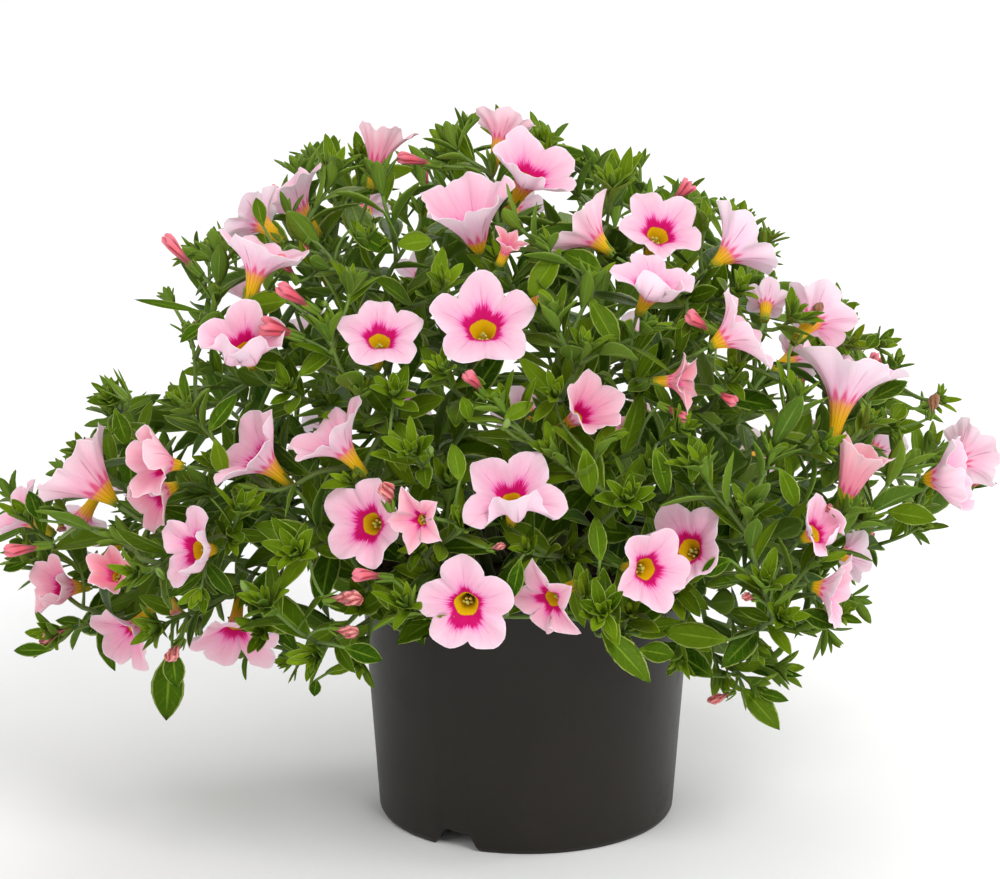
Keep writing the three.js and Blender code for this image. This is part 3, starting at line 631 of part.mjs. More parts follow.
const wallAt = (z) => POT_BASE_RADIUS + (POT_TOP_RADIUS - POT_BASE_RADIUS) * (z - 1.2) / (POT_HEIGHT - 1.2);
const floorTop = CHANNEL_DEPTH + 1.9;
let pot = toSolid(lathe([
  [0, 0], [CENTRE_DISC_RADIUS, 0], [CENTRE_DISC_RADIUS + 1.6, CHANNEL_DEPTH],
  [FOOT_INNER_RADIUS - 1.3, CHANNEL_DEPTH], [FOOT_INNER_RADIUS, 0], [52.2, 0], [POT_BASE_RADIUS, 1.2],
  [POT_TOP_RADIUS, POT_HEIGHT - 0.6], [POT_TOP_RADIUS - 0.4, POT_HEIGHT], [POT_TOP_RADIUS - POT_WALL, POT_HEIGHT],
  [wallAt(floorTop + 1.8) - POT_WALL, floorTop + 1.8], [wallAt(floorTop) - POT_WALL - 1.6, floorTop],
  [CENTRE_DISC_RADIUS + 1, floorTop], [CENTRE_DISC_RADIUS - 0.6, 1.9], [0, 1.9],
], POT_SIDES));
for (const degrees of NOTCH_ANGLES) {
  const s = new THREE.Shape();
  const w = NOTCH_WIDTH / 2, h = NOTCH_HEIGHT;
  s.moveTo(-w, -2); s.lineTo(w, -2); s.lineTo(w, h - 2.2); s.lineTo(w - 0.8, h - 0.7);
  s.lineTo(w - 2.6, h); s.lineTo(-w + 2.6, h); s.lineTo(-w + 0.8, h - 0.7); s.lineTo(-w, h - 2.2);
  s.closePath();
  const g = new THREE.ExtrudeGeometry(s, { depth: 14, bevelEnabled: false, curveSegments: 1 });
  g.rotateX(Math.PI / 2);          // the outline stands up, the depth runs along -Y
  g.translate(0, -45, 0);
  g.rotateZ((degrees * Math.PI) / 180);
  pot = pot.subtract(toSolid(g));
}
addMesh('pot', toGeometry(pot), mats.pot);

const inner = (z) => wallAt(z) - POT_WALL - GAP - 0.1;
addMesh('growing_medium', toGeometry(toSolid(lathe([
  [0, 1.9 + GAP], [CENTRE_DISC_RADIUS - 1.2, 1.9 + GAP], [CENTRE_DISC_RADIUS + 0.5, floorTop + 0.4],
  [inner(floorTop) - 1.9, floorTop + 0.4], [inner(floorTop + 2.3) - 0.1, floorTop + 2.3],
  [inner(SOIL_TOP - 1), SOIL_TOP - 1], [inner(SOIL_TOP) - 1.5, SOIL_TOP], [0, SOIL_TOP],
], SOIL_SIDES))), mats.soil);

// ---- the flowers that are bodies of their own ----------------------------------------------
const v3 = (a, i) => new THREE.Vector3(a[i], a[i + 1], a[i + 2]);
const Z = new THREE.Vector3(0, 0, 1);
const placed = (row) => {
  const axis = v3(row, 4).normalize();
  const q = new THREE.Quaternion().setFromUnitVectors(Z, axis);
  q.multiply(new THREE.Quaternion().setFromAxisAngle(Z, (row[9] * Math.PI) / 180));
  return { foot: v3(row, 1), q };
};
for (const row of FLOWERS) {
  if (typeof row[0] !== 'string') continue;
  const { foot, q } = placed(row);
  const mesh = addMesh(row[0], toGeometry(toSolid(flower(row[7], row[8], row[10], 10))), mats.petal);
  mesh.position.copy(foot);
  mesh.quaternion.copy(q);
}

// ---- the branches ---------------------------------------------------------------------------
const branches = Math.max(...STEMS.map((r) => r[0])) + 1;
for (let b = 0; b < branches; b++) {
  const pieces = [];
  const join = (g) => { pieces.push(toSolid(g)); };
  for (const row of STEMS) {
    if (row[0] !== b) continue;
    const points = [];
    for (let i = 2; i < row.length; i += 3) points.push(v3(row, i));
    join(stem(row[1], points, row.length > 11 ? STEM_SIDES_MAIN : 3));
  }
  for (const row of LEAVES) if (row[0] === b) join(leaf(v3(row, 1), v3(row, 4), v3(row, 7), row[10]));
  for (const row of BUDS) if (row[0] === b) join(bud(v3(row, 1), v3(row, 4), row[7]));
  for (const row of FLOWERS) {
    if (row[0] !== b) continue;
    const { foot, q } = placed(row);
    const g = flower(row[7], row[8], row[10], 5);
    g.applyQuaternion(q);
    g.translate(foot.x, foot.y, foot.z);
    join(g);
  }
  let level = pieces; // joined in pairs, then pairs of pairs, up to one solid
  while (level.length > 1) {
    const next = [];
    for (let i = 0; i < level.length; i += 2) next.push(i + 1 < level.length ? level[i].add(level[i + 1]) : level[i]);
    level = next;
  }
  const solid = level[0];
  addMesh(`branch_${String(b + 1).padStart(2, '0')}`, toGeometry(solid), mats.branch);
}

export default group;
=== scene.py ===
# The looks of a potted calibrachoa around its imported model. Metres, +Z up, the origin under the pot.
import math

import bmesh
import bpy
import numpy as np
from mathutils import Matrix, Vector

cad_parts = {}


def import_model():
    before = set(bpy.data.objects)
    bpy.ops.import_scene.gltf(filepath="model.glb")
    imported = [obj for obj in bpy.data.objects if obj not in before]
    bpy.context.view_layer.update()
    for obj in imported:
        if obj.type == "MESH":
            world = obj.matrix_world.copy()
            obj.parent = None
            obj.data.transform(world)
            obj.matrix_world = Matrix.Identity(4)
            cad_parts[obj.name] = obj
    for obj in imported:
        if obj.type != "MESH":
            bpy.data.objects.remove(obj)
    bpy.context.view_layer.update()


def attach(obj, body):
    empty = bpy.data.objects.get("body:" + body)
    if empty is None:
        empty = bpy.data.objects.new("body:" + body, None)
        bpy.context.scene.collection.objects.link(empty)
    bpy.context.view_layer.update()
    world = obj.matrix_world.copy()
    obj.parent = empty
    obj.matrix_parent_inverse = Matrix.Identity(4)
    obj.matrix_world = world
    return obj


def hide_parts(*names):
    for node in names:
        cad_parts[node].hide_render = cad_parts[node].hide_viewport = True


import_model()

MM = 0.001
rng = np.random.default_rng(4021)

# ---- the skeleton, leaves, flowers and buds, in tenths of a millimetre ---------------------------
# centre-line points of the stems: x y z each
POINTS = """
179 -17 888 210 -20 953 246 -23 1013 289 -28 1065 340 -32 1110 398 -38 1146 460 -44 1174 527 -50 1193 596 -56 1203 666 -63 1205 738 -70 1202
-129 -126 888 -147 -143 964 -167 -162 1042 -190 -184 1122 -217 -209 1200 -245 -236 1276 -277 -266 1347 -311 -298 1410 -347 -332 1463 -385 -368 1506
-424 -405 1540 -175 42 888 -315 76 949 -410 98 1000 -408 98 1040 -390 93 1069 -433 103 1089 -508 121 1101 -588 140 1105 -670 160 1104 -753 180 1097
-836 199 1088 130 -124 888 152 -145 951 178 -169 1006 209 -199 1052 246 -233 1089 287 -271 1116 332 -313 1136 380 -358 1148 429 -404 1152
480 -452 1150 531 -500 1143 117 115 888 123 133 969 140 148 1047 162 164 1125 181 182 1204 200 201 1281 220 223 1353 243 246 1418 267 271 1473
294 299 1516 323 328 1552 -98 151 888 -115 175 953 -134 204 1012 -157 238 1064 -184 278 1107 -214 322 1142 -246 370 1169 -281 422 1187 -318 476 1197
-355 531 1198 -392 588 1195 65 -146 888 74 -164 966 83 -184 1048 92 -203 1132 102 -224 1217 113 -246 1300 124 -270 1378 137 -296 1450 150 -325 1511
165 -357 1560 181 -391 1601 141 112 888 258 200 950 329 256 1002 315 248 1042 287 226 1073 309 243 1095 356 280 1108 407 320 1114 460 361 1114
514 403 1109 569 446 1100 -111 98 888 -125 110 968 -139 122 1050 -152 133 1137 -165 143 1225 -179 154 1311 -193 166 1394 -210 180 1469 -228 195 1534
-249 213 1587 -272 232 1631 29 178 888 52 317 950 66 405 1005 63 388 1050 57 348 1085 60 369 1112 69 423 1130 78 480 1140 88 541 1144 98 603 1141
108 666 1134 -7 -180 888 -9 -208 951 -10 -240 1006 -12 -278 1051 -14 -322 1087 -16 -371 1114 -18 -424 1133 -20 -481 1144 -23 -541 1148 -25 -603 1145
-28 -667 1139 -154 -94 888 -277 -167 950 -359 -215 1002 -355 -211 1044 -335 -198 1075 -369 -216 1098 -431 -251 1112 -497 -289 1119 -565 -328 1119
-634 -367 1115 -703 -407 1106 -378 -293 1047 -441 -405 1020 -460 -488 1004 -435 -533 1000 -398 -562 983 -366 -584 915 -338 -602 897 -41 -576 1095
-63 -617 1047 -88 -655 1014 -108 -676 988 -118 -680 946 -116 -684 934 -106 -692 924 380 -395 1148 378 -432 1143 373 -469 1134 366 -506 1126
362 -542 1120 363 -578 1118 368 -613 1121 -32 -659 1008 4 -683 966 44 -688 946 85 -687 938 124 -691 933 160 -702 930 192 -718 928 -314 506 1202
-308 536 1202 -300 565 1200 -290 594 1198 -281 623 1197 -274 652 1199 -268 682 1204 464 393 1123 466 426 1130 464 459 1135 462 492 1141 461 523 1148
464 554 1158 472 583 1170 128 -294 1322 142 -344 1335 158 -398 1340 174 -452 1341 192 -505 1344 212 -556 1354 233 -605 1370 135 -434 1353
110 -468 1364 80 -500 1372 50 -530 1382 21 -559 1395 -3 -590 1412 -23 -622 1433 100 506 1174 123 531 1205 148 552 1235 173 571 1267 196 590 1300
217 611 1335 236 633 1371 445 541 1092 429 583 1039 413 615 979 400 640 914 391 660 845 389 678 775 392 697 703 524 380 1034 593 397 1061 620 375 1084
646 352 1106 673 334 1129 700 323 1155 726 318 1183 91 706 1081 72 738 1025 50 760 965 27 776 902 8 790 837 -8 804 769 -19 819 700 622 -88 1203
645 -122 1196 665 -157 1186 683 -194 1176 700 -230 1168 719 -266 1168 740 -301 1172 453 -413 1176 477 -421 1198 501 -426 1220 524 -431 1242
546 -437 1265 569 -446 1288 591 -458 1310 -318 -338 1423 -323 -380 1426 -327 -422 1422 -330 -466 1416 -332 -509 1411 -336 -553 1411 -341 -596 1415
-642 -392 1122 -648 -416 1126 -651 -441 1131 -652 -467 1135 -654 -492 1140 -657 -517 1147 -661 -542 1154 -508 -482 970 -530 -520 927 -539 -544 885
-548 -568 843 -558 -594 807 -569 -626 779 -581 -663 758 -387 543 1207 -421 551 1211 -454 557 1214 -488 562 1218 -521 569 1223 -551 579 1232
-581 592 1243 -196 230 1502 -181 284 1524 -162 341 1536 -142 399 1544 -124 457 1555 -109 514 1573 -96 570 1597 695 -60 1209 724 -56 1208 752 -51 1205
779 -46 1203 807 -42 1202 834 -39 1204 863 -37 1208 160 -379 1580 154 -402 1594 147 -425 1604 139 -449 1614 130 -473 1624 123 -496 1637 116 -518 1652
293 320 1544 291 342 1565 287 366 1585 283 389 1604 280 411 1623 282 432 1644 286 451 1667 560 -526 1087 583 -546 1026 601 -559 959 615 -572 892
628 -591 828 644 -620 772 662 -659 724 -424 -386 1501 -463 -402 1485 -502 -417 1462 -540 -431 1437 -576 -447 1419 -609 -466 1412 -640 -488 1415
-293 270 1636 -314 307 1635 -333 346 1628 -351 385 1618 -369 424 1611 -387 463 1610 -405 502 1616 196 -315 1549 245 -302 1577 297 -286 1598
349 -267 1617 400 -250 1638 446 -237 1668 489 -229 1704 -158 -683 989 -205 -699 975 -251 -730 964 -292 -769 972 -324 -811 980 -343 -855 988
-353 -900 996 -578 -537 855 -618 -525 828 -658 -509 803 -699 -494 780 -738 -485 759 -777 -487 738 -814 -497 717 358 326 1567 395 321 1580 432 313 1589
468 303 1597 505 294 1607 540 286 1621 575 280 1638 621 -58 1255 642 -60 1304 658 -61 1354 671 -62 1405 685 -63 1456 703 -64 1507 724 -65 1558
-179 306 1561 -178 328 1595 -177 347 1629 -177 364 1664 -179 380 1700 -182 394 1737 -184 407 1776 156 -719 942 185 -752 952 210 -787 964 234 -822 913
254 -859 924 272 -898 935 289 -939 945 -503 -502 1008 -520 -563 1007 -522 -612 1009 -526 -660 1012 -531 -709 1014 -540 -759 1014 -551 -809 1014
577 -592 998 566 -635 972 551 -679 948 536 -722 926 523 -765 901 516 -806 873 513 -846 840 107 709 1139 106 750 1143 103 791 1147 100 831 1151
96 870 1159 92 909 1171 87 947 1187 443 268 1616 450 220 1641 450 170 1663 447 121 1687 445 77 1714 448 40 1748 455 10 1788 -160 -721 978
-157 -766 975 -149 -812 985 -139 -857 996 -131 -901 1006 -128 -946 1016 -131 -992 1026 138 -322 1567 124 -316 1617 106 -308 1664 88 -298 1711
74 -291 1758 64 -288 1807 59 -289 1857 -181 -755 1001 -201 -786 1024 -221 -815 1047 -242 -842 1072 -264 -869 1099 -284 -897 1125 -304 -927 1152
-8 -710 1150 14 -751 1162 38 -790 1173 63 -827 1185 89 -864 1198 114 -903 1213 137 -943 1229 -426 624 1171 -458 658 1143 -489 688 1111 -520 718 1079
-553 747 1049 -588 779 1024 -625 813 1004 -102 -922 1012 -75 -940 1017 -46 -955 1021 -18 -970 1025 9 -986 1030 32 -1006 1036 53 -1030 1043
661 -544 865 706 -514 842 751 -482 824 796 -451 811 843 -427 803 893 -414 800 945 -410 802 624 463 1059 676 476 1015 724 484 966 768 489 913
809 494 856 848 501 796 886 511 735 -284 223 1666 -296 211 1700 -306 196 1732 -316 180 1764 -325 165 1797 -333 154 1832 -341 147 1868 -202 184 1600
-173 170 1658 -138 153 1711 -101 136 1763 -69 125 1816 -44 123 1872 -25 129 1931 -473 -366 1520 -520 -339 1533 -564 -308 1545 -605 -275 1560
-640 -244 1582 -671 -216 1611 -699 -193 1648 -782 191 1123 -809 203 1148 -834 215 1175 -858 227 1202 -883 239 1228 -910 253 1252 -939 267 1274
-491 761 1031 -454 799 984 -410 833 938 -364 864 897 -322 892 863 -287 918 840 -260 946 824 378 -626 1118 396 -674 1118 416 -719 1116 436 -764 1113
456 -810 1112 475 -856 1114 493 -904 1120 -674 -362 1154 -711 -352 1193 -745 -338 1234 -777 -324 1275 -808 -313 1316 -842 -310 1358 -876 -313 1398
140 747 1032 194 778 984 253 804 938 312 829 895 364 862 856 403 906 822 431 959 791 -332 284 1653 -371 296 1664 -411 304 1673 -450 310 1683
-488 316 1697 -521 324 1716 -552 334 1740 -437 -406 1571 -448 -405 1602 -458 -400 1632 -466 -395 1663 -475 -389 1695 -484 -385 1727 -495 -383 1760
661 -628 757 680 -640 746 700 -652 736 720 -664 727 739 -676 718 757 -691 707 774 -706 696 105 917 1204 120 922 1238 136 922 1272 154 920 1306
171 920 1340 187 923 1374 202 931 1409 477 600 1166 492 646 1172 508 691 1174 525 736 1176 541 780 1181 557 824 1190 573 868 1203 -821 164 1145
-857 131 1163 -890 94 1176 -923 55 1187 -956 17 1200 -991 -16 1219 -1028 -45 1242 707 -641 745 733 -640 745 760 -637 745 786 -634 745 810 -634 743
834 -638 739 857 -646 734 -480 278 1700 -505 242 1714 -527 203 1727 -545 163 1740 -562 124 1757 -578 89 1780 -594 57 1808 440 -739 1144 464 -755 1173
487 -768 1203 510 -779 1234 534 -790 1266 556 -802 1299 578 -816 1332 -539 303 1682 -587 289 1663 -634 272 1638 -678 255 1613 -721 240 1596
-763 230 1593 -805 223 1601 -276 702 1202 -281 752 1203 -288 801 1202 -296 850 1201 -305 897 1204 -312 944 1213 -319 991 1228 -812 -471 739
-846 -458 741 -878 -445 745 -910 -432 746 -939 -422 744 -967 -417 734 -992 -416 720 605 -624 981 634 -653 967 665 -680 954 696 -705 940 725 -731 924
748 -758 903 767 -786 879 803 -91 1150 863 -113 1093 914 -134 1031 958 -156 963 997 -179 890 1032 -202 814 1065 -227 735 35 822 882 46 867 862
61 911 845 76 956 833 90 1002 827 100 1049 826 107 1097 830 219 -604 1376 225 -650 1400 231 -695 1425 235 -740 1450 239 -783 1477 244 -826 1508
250 -868 1541 -545 -732 1048 -559 -752 1083 -575 -767 1119 -591 -781 1155 -608 -794 1192 -627 -807 1230 -646 -822 1267 -624 778 986 -660 773 949
-694 763 911 -724 752 872 -754 746 831 -782 747 790 -809 755 749 782 522 892 792 556 872 799 591 853 805 627 836 811 664 820 820 702 806 831 740 793
846 469 836 882 442 817 916 413 800 950 386 783 983 365 764 1018 353 743 1052 350 719 945 -146 1030 973 -158 1028 1000 -170 1027 1027 -182 1027
1053 -194 1026 1080 -206 1021 1106 -219 1014 790 701 825 766 736 832 740 770 839 715 803 846 696 836 851 684 872 853 680 909 854 -286 -904 1177
-286 -908 1230 -282 -908 1282 -277 -909 1333 -272 -913 1383 -269 -925 1432 -267 -943 1480 -745 -436 1099 -785 -464 1090 -824 -491 1078 -861 -520 1065
-894 -551 1049 -922 -585 1031 -948 -623 1012 611 478 1128 651 508 1157 689 537 1188 726 566 1219 764 594 1250 803 624 1281 843 655 1311 546 750 1206
567 760 1238 588 766 1270 608 770 1303 627 774 1337 645 781 1372 661 791 1407 -351 -845 991 -373 -879 1002 -394 -911 1013 -413 -944 1024
-429 -978 1035 -441 -1014 1047 -450 -1052 1059 -568 617 1250 -580 657 1267 -588 700 1283 -592 743 1296 -595 788 1308 -598 834 1320 -601 881 1331
594 -514 1150 658 -525 1155 722 -531 1159 785 -535 1165 845 -542 1176 901 -554 1196 954 -570 1223 979 -124 1026 1009 -97 1023 1036 -66 1019
1062 -34 1013 1089 -5 1007 1119 17 1000 1154 35 993 119 -540 1652 117 -583 1666 116 -627 1677 116 -671 1688 116 -714 1701 115 -755 1719 113 -795 1741
-316 -598 1448 -293 -640 1489 -267 -677 1531 -240 -712 1574 -215 -745 1620 -193 -778 1668 -173 -812 1720 294 480 1658 309 528 1668 325 577 1671
343 625 1672 361 672 1677 381 716 1688 402 758 1706 211 -436 1630 243 -480 1654 276 -525 1675 308 -570 1693 338 -616 1714 362 -662 1740 382 -710 1769
286 -932 950 297 -963 965 308 -993 980 317 -1022 995 325 -1053 1026 332 -1088 1056 338 -1125 1083 -311 -666 1516 -330 -691 1540 -354 -714 1561
-380 -736 1582 -406 -759 1603 -430 -781 1626 -453 -804 1652 1103 11 973 1116 21 937 1126 27 898 1135 32 859 1146 39 822 1161 50 790 1181 66 762
357 -587 1691 405 -602 1684 454 -613 1672 503 -623 1660 549 -634 1654 590 -650 1659 629 -669 1672 -903 172 1050 -966 142 1008 -1020 107 962
-1069 70 911 -1112 32 854 -1151 -5 792 -1188 -40 725 -629 783 1037 -671 785 1054 -712 783 1073 -752 781 1094 -790 781 1117 -827 787 1142 -862 798 1168
-562 723 1345 -532 740 1406 -497 750 1467 -462 759 1528 -430 772 1587 -404 795 1645 -385 826 1702 102 -939 1228 87 -975 1242 67 -1010 1254
45 -1045 1265 26 -1079 1278 10 -1114 1295 -1 -1149 1314 270 521 1692 242 561 1720 209 598 1746 175 632 1772 144 667 1801 117 701 1834 96 736 1872
-684 -551 1178 -715 -582 1209 -748 -610 1239 -781 -637 1269 -812 -664 1301 -841 -695 1334 -867 -727 1369 -1092 85 882 -1111 103 852 -1127 124 822
-1141 148 794 -1156 174 768 -1173 202 744 -1193 231 722 757 331 1173 814 344 1187 872 361 1195 929 380 1199 985 403 1205 1040 428 1215 1094 456 1229
921 -433 819 948 -458 840 971 -488 862 993 -520 882 1015 -553 898 1039 -587 911 1065 -622 921 83 1076 845 60 1102 867 35 1125 888 10 1148 910
-11 1173 930 -26 1201 949 -34 1233 966 113 -601 1706 110 -615 1744 106 -626 1783 102 -634 1822 98 -640 1862 92 -647 1903 86 -654 1945 1102 39 1020
1115 81 1033 1125 123 1046 1136 163 1061 1149 200 1076 1169 233 1094 1194 262 1112 572 318 1638 602 356 1654 627 398 1667 650 442 1680 674 483 1695
699 519 1717 726 549 1745 -923 -624 1015 -919 -664 996 -910 -703 976 -902 -742 957 -897 -780 944 -898 -818 938 -906 -856 937 -90 -966 1028
-81 -1009 1044 -76 -1051 1059 -73 -1092 1074 -72 -1132 1089 -72 -1167 1102 -74 -1197 1112 -561 -801 1006 -584 -842 993 -608 -880 978 -633 -917 960
-658 -954 942 -684 -993 926 -709 -1033 910 -613 674 1304 -645 687 1338 -680 695 1371 -714 702 1404 -748 711 1438 -780 724 1472 -810 742 1507
881 -73 1229 925 -111 1254 965 -154 1278 1002 -198 1301 1039 -242 1327 1078 -282 1358 1119 -319 1391 -185 435 1770 -188 479 1798 -191 526 1821
-194 574 1843 -199 620 1866 -204 664 1895 -211 704 1928 -448 -753 1618 -491 -744 1630 -534 -731 1639 -577 -717 1648 -618 -707 1659 -655 -703 1676
-690 -705 1698 115 1080 848 130 1109 872 145 1137 898 160 1164 923 174 1192 948 189 1223 971 202 1255 994 577 338 1686 576 358 1730 570 377 1775
563 394 1820 557 410 1866 555 424 1913 556 437 1962 -95 -1114 1082 -118 -1131 1088 -142 -1144 1092 -169 -1156 1095 -197 -1172 1097 -226 -1193 1101
-253 -1219 1106 -299 -931 1157 -312 -965 1187 -325 -1000 1215 -337 -1035 1242 -348 -1072 1268 -359 -1111 1293 -370 -1151 1319 310 -1108 1078
285 -1129 1097 257 -1149 1113 229 -1168 1127 204 -1188 1141 187 -1208 1154 177 -1229 1169 990 -153 1309 1014 -149 1341 1037 -142 1371 1060 -132 1402
1083 -122 1432 1107 -112 1464 1131 -104 1496 896 476 839 943 484 845 989 496 853 1035 509 859 1080 521 862 1126 530 858 1173 535 850 1002 531 868
1010 568 883 1014 606 895 1016 645 906 1020 685 914 1028 724 919 1040 763 922 487 32 1779 532 32 1808 581 36 1832 631 44 1854 680 52 1878 727 61 1907
771 68 1941 635 361 1683 667 365 1708 700 365 1733 731 362 1758 762 360 1785 790 358 1815 816 358 1848 -481 -404 1769 -477 -427 1809 -470 -452 1846
-462 -480 1882 -454 -508 1918 -447 -534 1956 -441 -560 1996 39 -301 1856 15 -317 1904 -11 -336 1950 -37 -356 1994 -60 -379 2038 -78 -404 2084
-92 -430 2133 485 -254 1706 520 -276 1745 554 -302 1784 586 -331 1822 615 -359 1862 641 -385 1907 665 -409 1955 84 -294 1857 109 -303 1906
139 -313 1952 171 -325 1995 202 -339 2040 231 -355 2086 258 -373 2134 -334 988 1189 -354 1026 1161 -377 1061 1129 -402 1098 1097 -429 1137 1069
-456 1179 1045 -482 1223 1025 -175 449 1823 -164 461 1874 -151 469 1923 -137 476 1972 -122 482 2021 -107 491 2071 -93 502 2122 1081 -87 1471
1075 -50 1507 1065 -10 1541 1055 28 1574 1050 63 1607 1053 92 1644 1063 116 1683 -827 -634 1286 -874 -628 1298 -922 -618 1306 -970 -608 1314
-1015 -601 1324 -1058 -600 1339 -1099 -604 1360 -564 353 1733 -604 384 1748 -644 416 1760 -682 450 1771 -718 484 1786 -751 518 1806 -783 550 1833
435 948 844 460 993 870 481 1038 900 502 1078 931 527 1111 961 558 1138 990 597 1162 1018 158 -932 1263 204 -957 1313 249 -978 1364 294 -998 1415
334 -1021 1466 370 -1050 1519 402 -1085 1573 -917 -516 1071 -972 -509 1077 -1024 -497 1083 -1076 -484 1089 -1128 -476 1094 -1180 -475 1099
-1233 -481 1103 1051 -12 1579 1037 -17 1616 1022 -27 1651 1009 -39 1686 999 -52 1722 994 -64 1759 992 -74 1797 277 -1153 1106 268 -1176 1113
260 -1199 1118 253 -1223 1122 249 -1247 1127 246 -1271 1134 244 -1295 1143 -55 92 1926 -75 61 1977 -100 27 2024 -127 -7 2070 -151 -37 2118
-170 -60 2171 -184 -78 2228 -327 156 1886 -319 161 1939 -308 169 1991 -296 179 2042 -285 191 2092 -276 205 2144 -269 221 2197 -460 -415 1863
-441 -400 1913 -422 -380 1961 -402 -358 2008 -384 -338 2055 -368 -323 2106 -356 -312 2160 -1171 270 747 -1164 338 752 -1154 405 760 -1144 470 768
-1142 533 774 -1152 592 775 -1174 649 772 494 24 1834 499 19 1887 500 14 1939 499 9 1990 498 4 2042 500 -1 2095 506 -6 2149 -332 -1095 1291
-313 -1116 1314 -291 -1137 1334 -268 -1157 1354 -248 -1178 1373 -231 -1202 1394 -218 -1228 1415 -575 365 1777 -583 377 1820 -588 387 1862
-590 396 1904 -590 406 1948 -591 415 1992 -592 426 2037 768 -802 921 783 -845 940 795 -887 961 806 -928 984 818 -970 1007 830 -1013 1029
844 -1058 1049 -941 256 1311 -973 257 1369 -1003 255 1426 -1030 253 1484 -1055 252 1543 -1077 255 1604 -1098 261 1668 -1034 245 1438 -1066 233 1446
-1099 220 1449 -1132 208 1450 -1165 200 1452 -1197 198 1458 -1228 200 1468 303 -1021 1430 309 -1047 1444 314 -1075 1454 317 -1103 1463 319 -1132 1473
321 -1160 1486 324 -1188 1500 -68 1199 987 -111 1199 1030 -152 1201 1082 -182 1210 1137 -205 1230 1188 -226 1259 1235 -250 1293 1279 201 1234 1011
212 1243 1050 224 1251 1089 234 1258 1128 243 1268 1165 250 1284 1201 255 1304 1236 -618 827 1011 -648 875 1000 -676 924 989 -702 973 979
-728 1022 973 -756 1072 972 -785 1122 975 -512 -356 1781 -540 -325 1831 -570 -291 1878 -600 -257 1924 -629 -227 1973 -654 -202 2026 -677 -183 2084
-736 -207 1624 -800 -202 1633 -866 -201 1635 -931 -203 1636 -994 -208 1642 -1052 -214 1660 -1107 -222 1687 -252 -1179 1100 -302 -1188 1104
-342 -1198 1110 -370 -1202 1113 -387 -1198 1114 -396 -1200 1122 -401 -1217 1140 -1150 104 838 -1187 104 825 -1224 101 814 -1261 97 804 -1298 93 794
-1337 92 785 -1376 94 776 824 -1027 1051 818 -1040 1072 809 -1053 1093 801 -1065 1114 794 -1078 1134 790 -1093 1152 789 -1110 1171 -1163 -439 1105
-1195 -404 1114 -1225 -366 1120 -1253 -329 1128 -1281 -295 1139 -1311 -268 1158 -1341 -246 1181 583 873 1187 609 921 1182 636 968 1173 662 1014 1163
688 1060 1157 713 1107 1158 737 1155 1164 278 -859 1536 314 -890 1563 354 -919 1586 395 -946 1609 435 -974 1634 470 -1003 1663 502 -1034 1697
-1250 -338 1083 -1271 -314 1042 -1288 -294 996 -1304 -281 946 -1321 -272 897 -1343 -267 848 -1370 -264 801 275 -1046 1468 242 -1069 1501
205 -1088 1531 167 -1101 1559 135 -1106 1582 110 -1109 1604 89 -1117 1629 781 -1078 1176 768 -1076 1217 754 -1072 1258 743 -1068 1298 734 -1067 1337
730 -1073 1376 730 -1085 1414 224 1279 1248 195 1274 1291 161 1265 1332 126 1257 1370 93 1255 1408 66 1263 1447 44 1278 1486 -600 85 1823 -623 88 1868
-645 96 1912 -668 107 1955 -690 118 1999 -712 128 2046 -733 135 2093 -1079 101 981 -1132 97 1000 -1184 95 1023 -1235 97 1047 -1287 99 1068
-1341 102 1083 -1398 105 1093 205 -1097 1555 207 -1106 1578 212 -1114 1600 218 -1122 1622 225 -1131 1643 233 -1141 1664 241 -1153 1685 709 -1066 1375
684 -1066 1410 657 -1067 1444 630 -1069 1476 607 -1075 1509 590 -1086 1543 577 -1102 1578 113 -802 1734 110 -847 1749 106 -892 1761 97 -935 1772
88 -976 1785 86 -1019 1802 88 -1063 1823 1160 12 1020 1200 0 1040 1239 -17 1061 1276 -35 1083 1314 -53 1105 1354 -67 1128 1395 -78 1152 1159 50 1002
1199 79 1003 1238 107 1004 1277 135 1003 1317 160 999 1360 181 991 1404 200 980 -1182 -425 1146 -1198 -410 1185 -1211 -397 1225 -1224 -386 1266
-1240 -380 1305 -1260 -378 1342 -1284 -378 1379 -1255 126 1071 -1273 158 1092 -1287 193 1111 -1300 229 1129 -1316 263 1148 -1335 293 1169
-1357 320 1192 606 -789 1365 657 -772 1429 709 -750 1490 761 -728 1548 814 -713 1606 867 -711 1665 920 -718 1726 736 -1056 1407 746 -1038 1437
757 -1018 1464 769 -998 1490 782 -982 1517 794 -973 1545 807 -969 1575 840 -974 1042 862 -975 1075 881 -971 1109 900 -965 1143 924 -962 1176
952 -966 1204 985 -977 1230 -282 -951 1469 -298 -982 1502 -317 -1016 1532 -336 -1051 1559 -353 -1088 1587 -368 -1125 1616 -380 -1162 1647
-952 306 1281 -993 362 1303 -1032 420 1320 -1069 481 1334 -1104 543 1349 -1136 607 1368 -1167 671 1392 538 451 1945 520 478 1975 501 508 2001
482 538 2026 464 567 2052 450 595 2083 438 621 2116 727 550 1723 756 579 1728 786 607 1730 816 634 1732 845 660 1737 873 686 1748 900 710 1764
1108 -49 1485 1133 -9 1492 1160 30 1493 1190 68 1492 1222 101 1493 1256 130 1502 1291 155 1516 -650 -852 1249 -672 -898 1262 -694 -948 1269
-715 -998 1272 -734 -1050 1276 -751 -1101 1287 -767 -1152 1302 215 955 1414 244 991 1451 273 1031 1483 300 1072 1513 324 1114 1546 342 1155 1582
355 1195 1623 79 -1089 1621 47 -1079 1640 13 -1084 1667 -18 -1103 1705 -46 -1118 1741 -71 -1123 1770 -92 -1128 1798 439 528 2062 396 511 2094
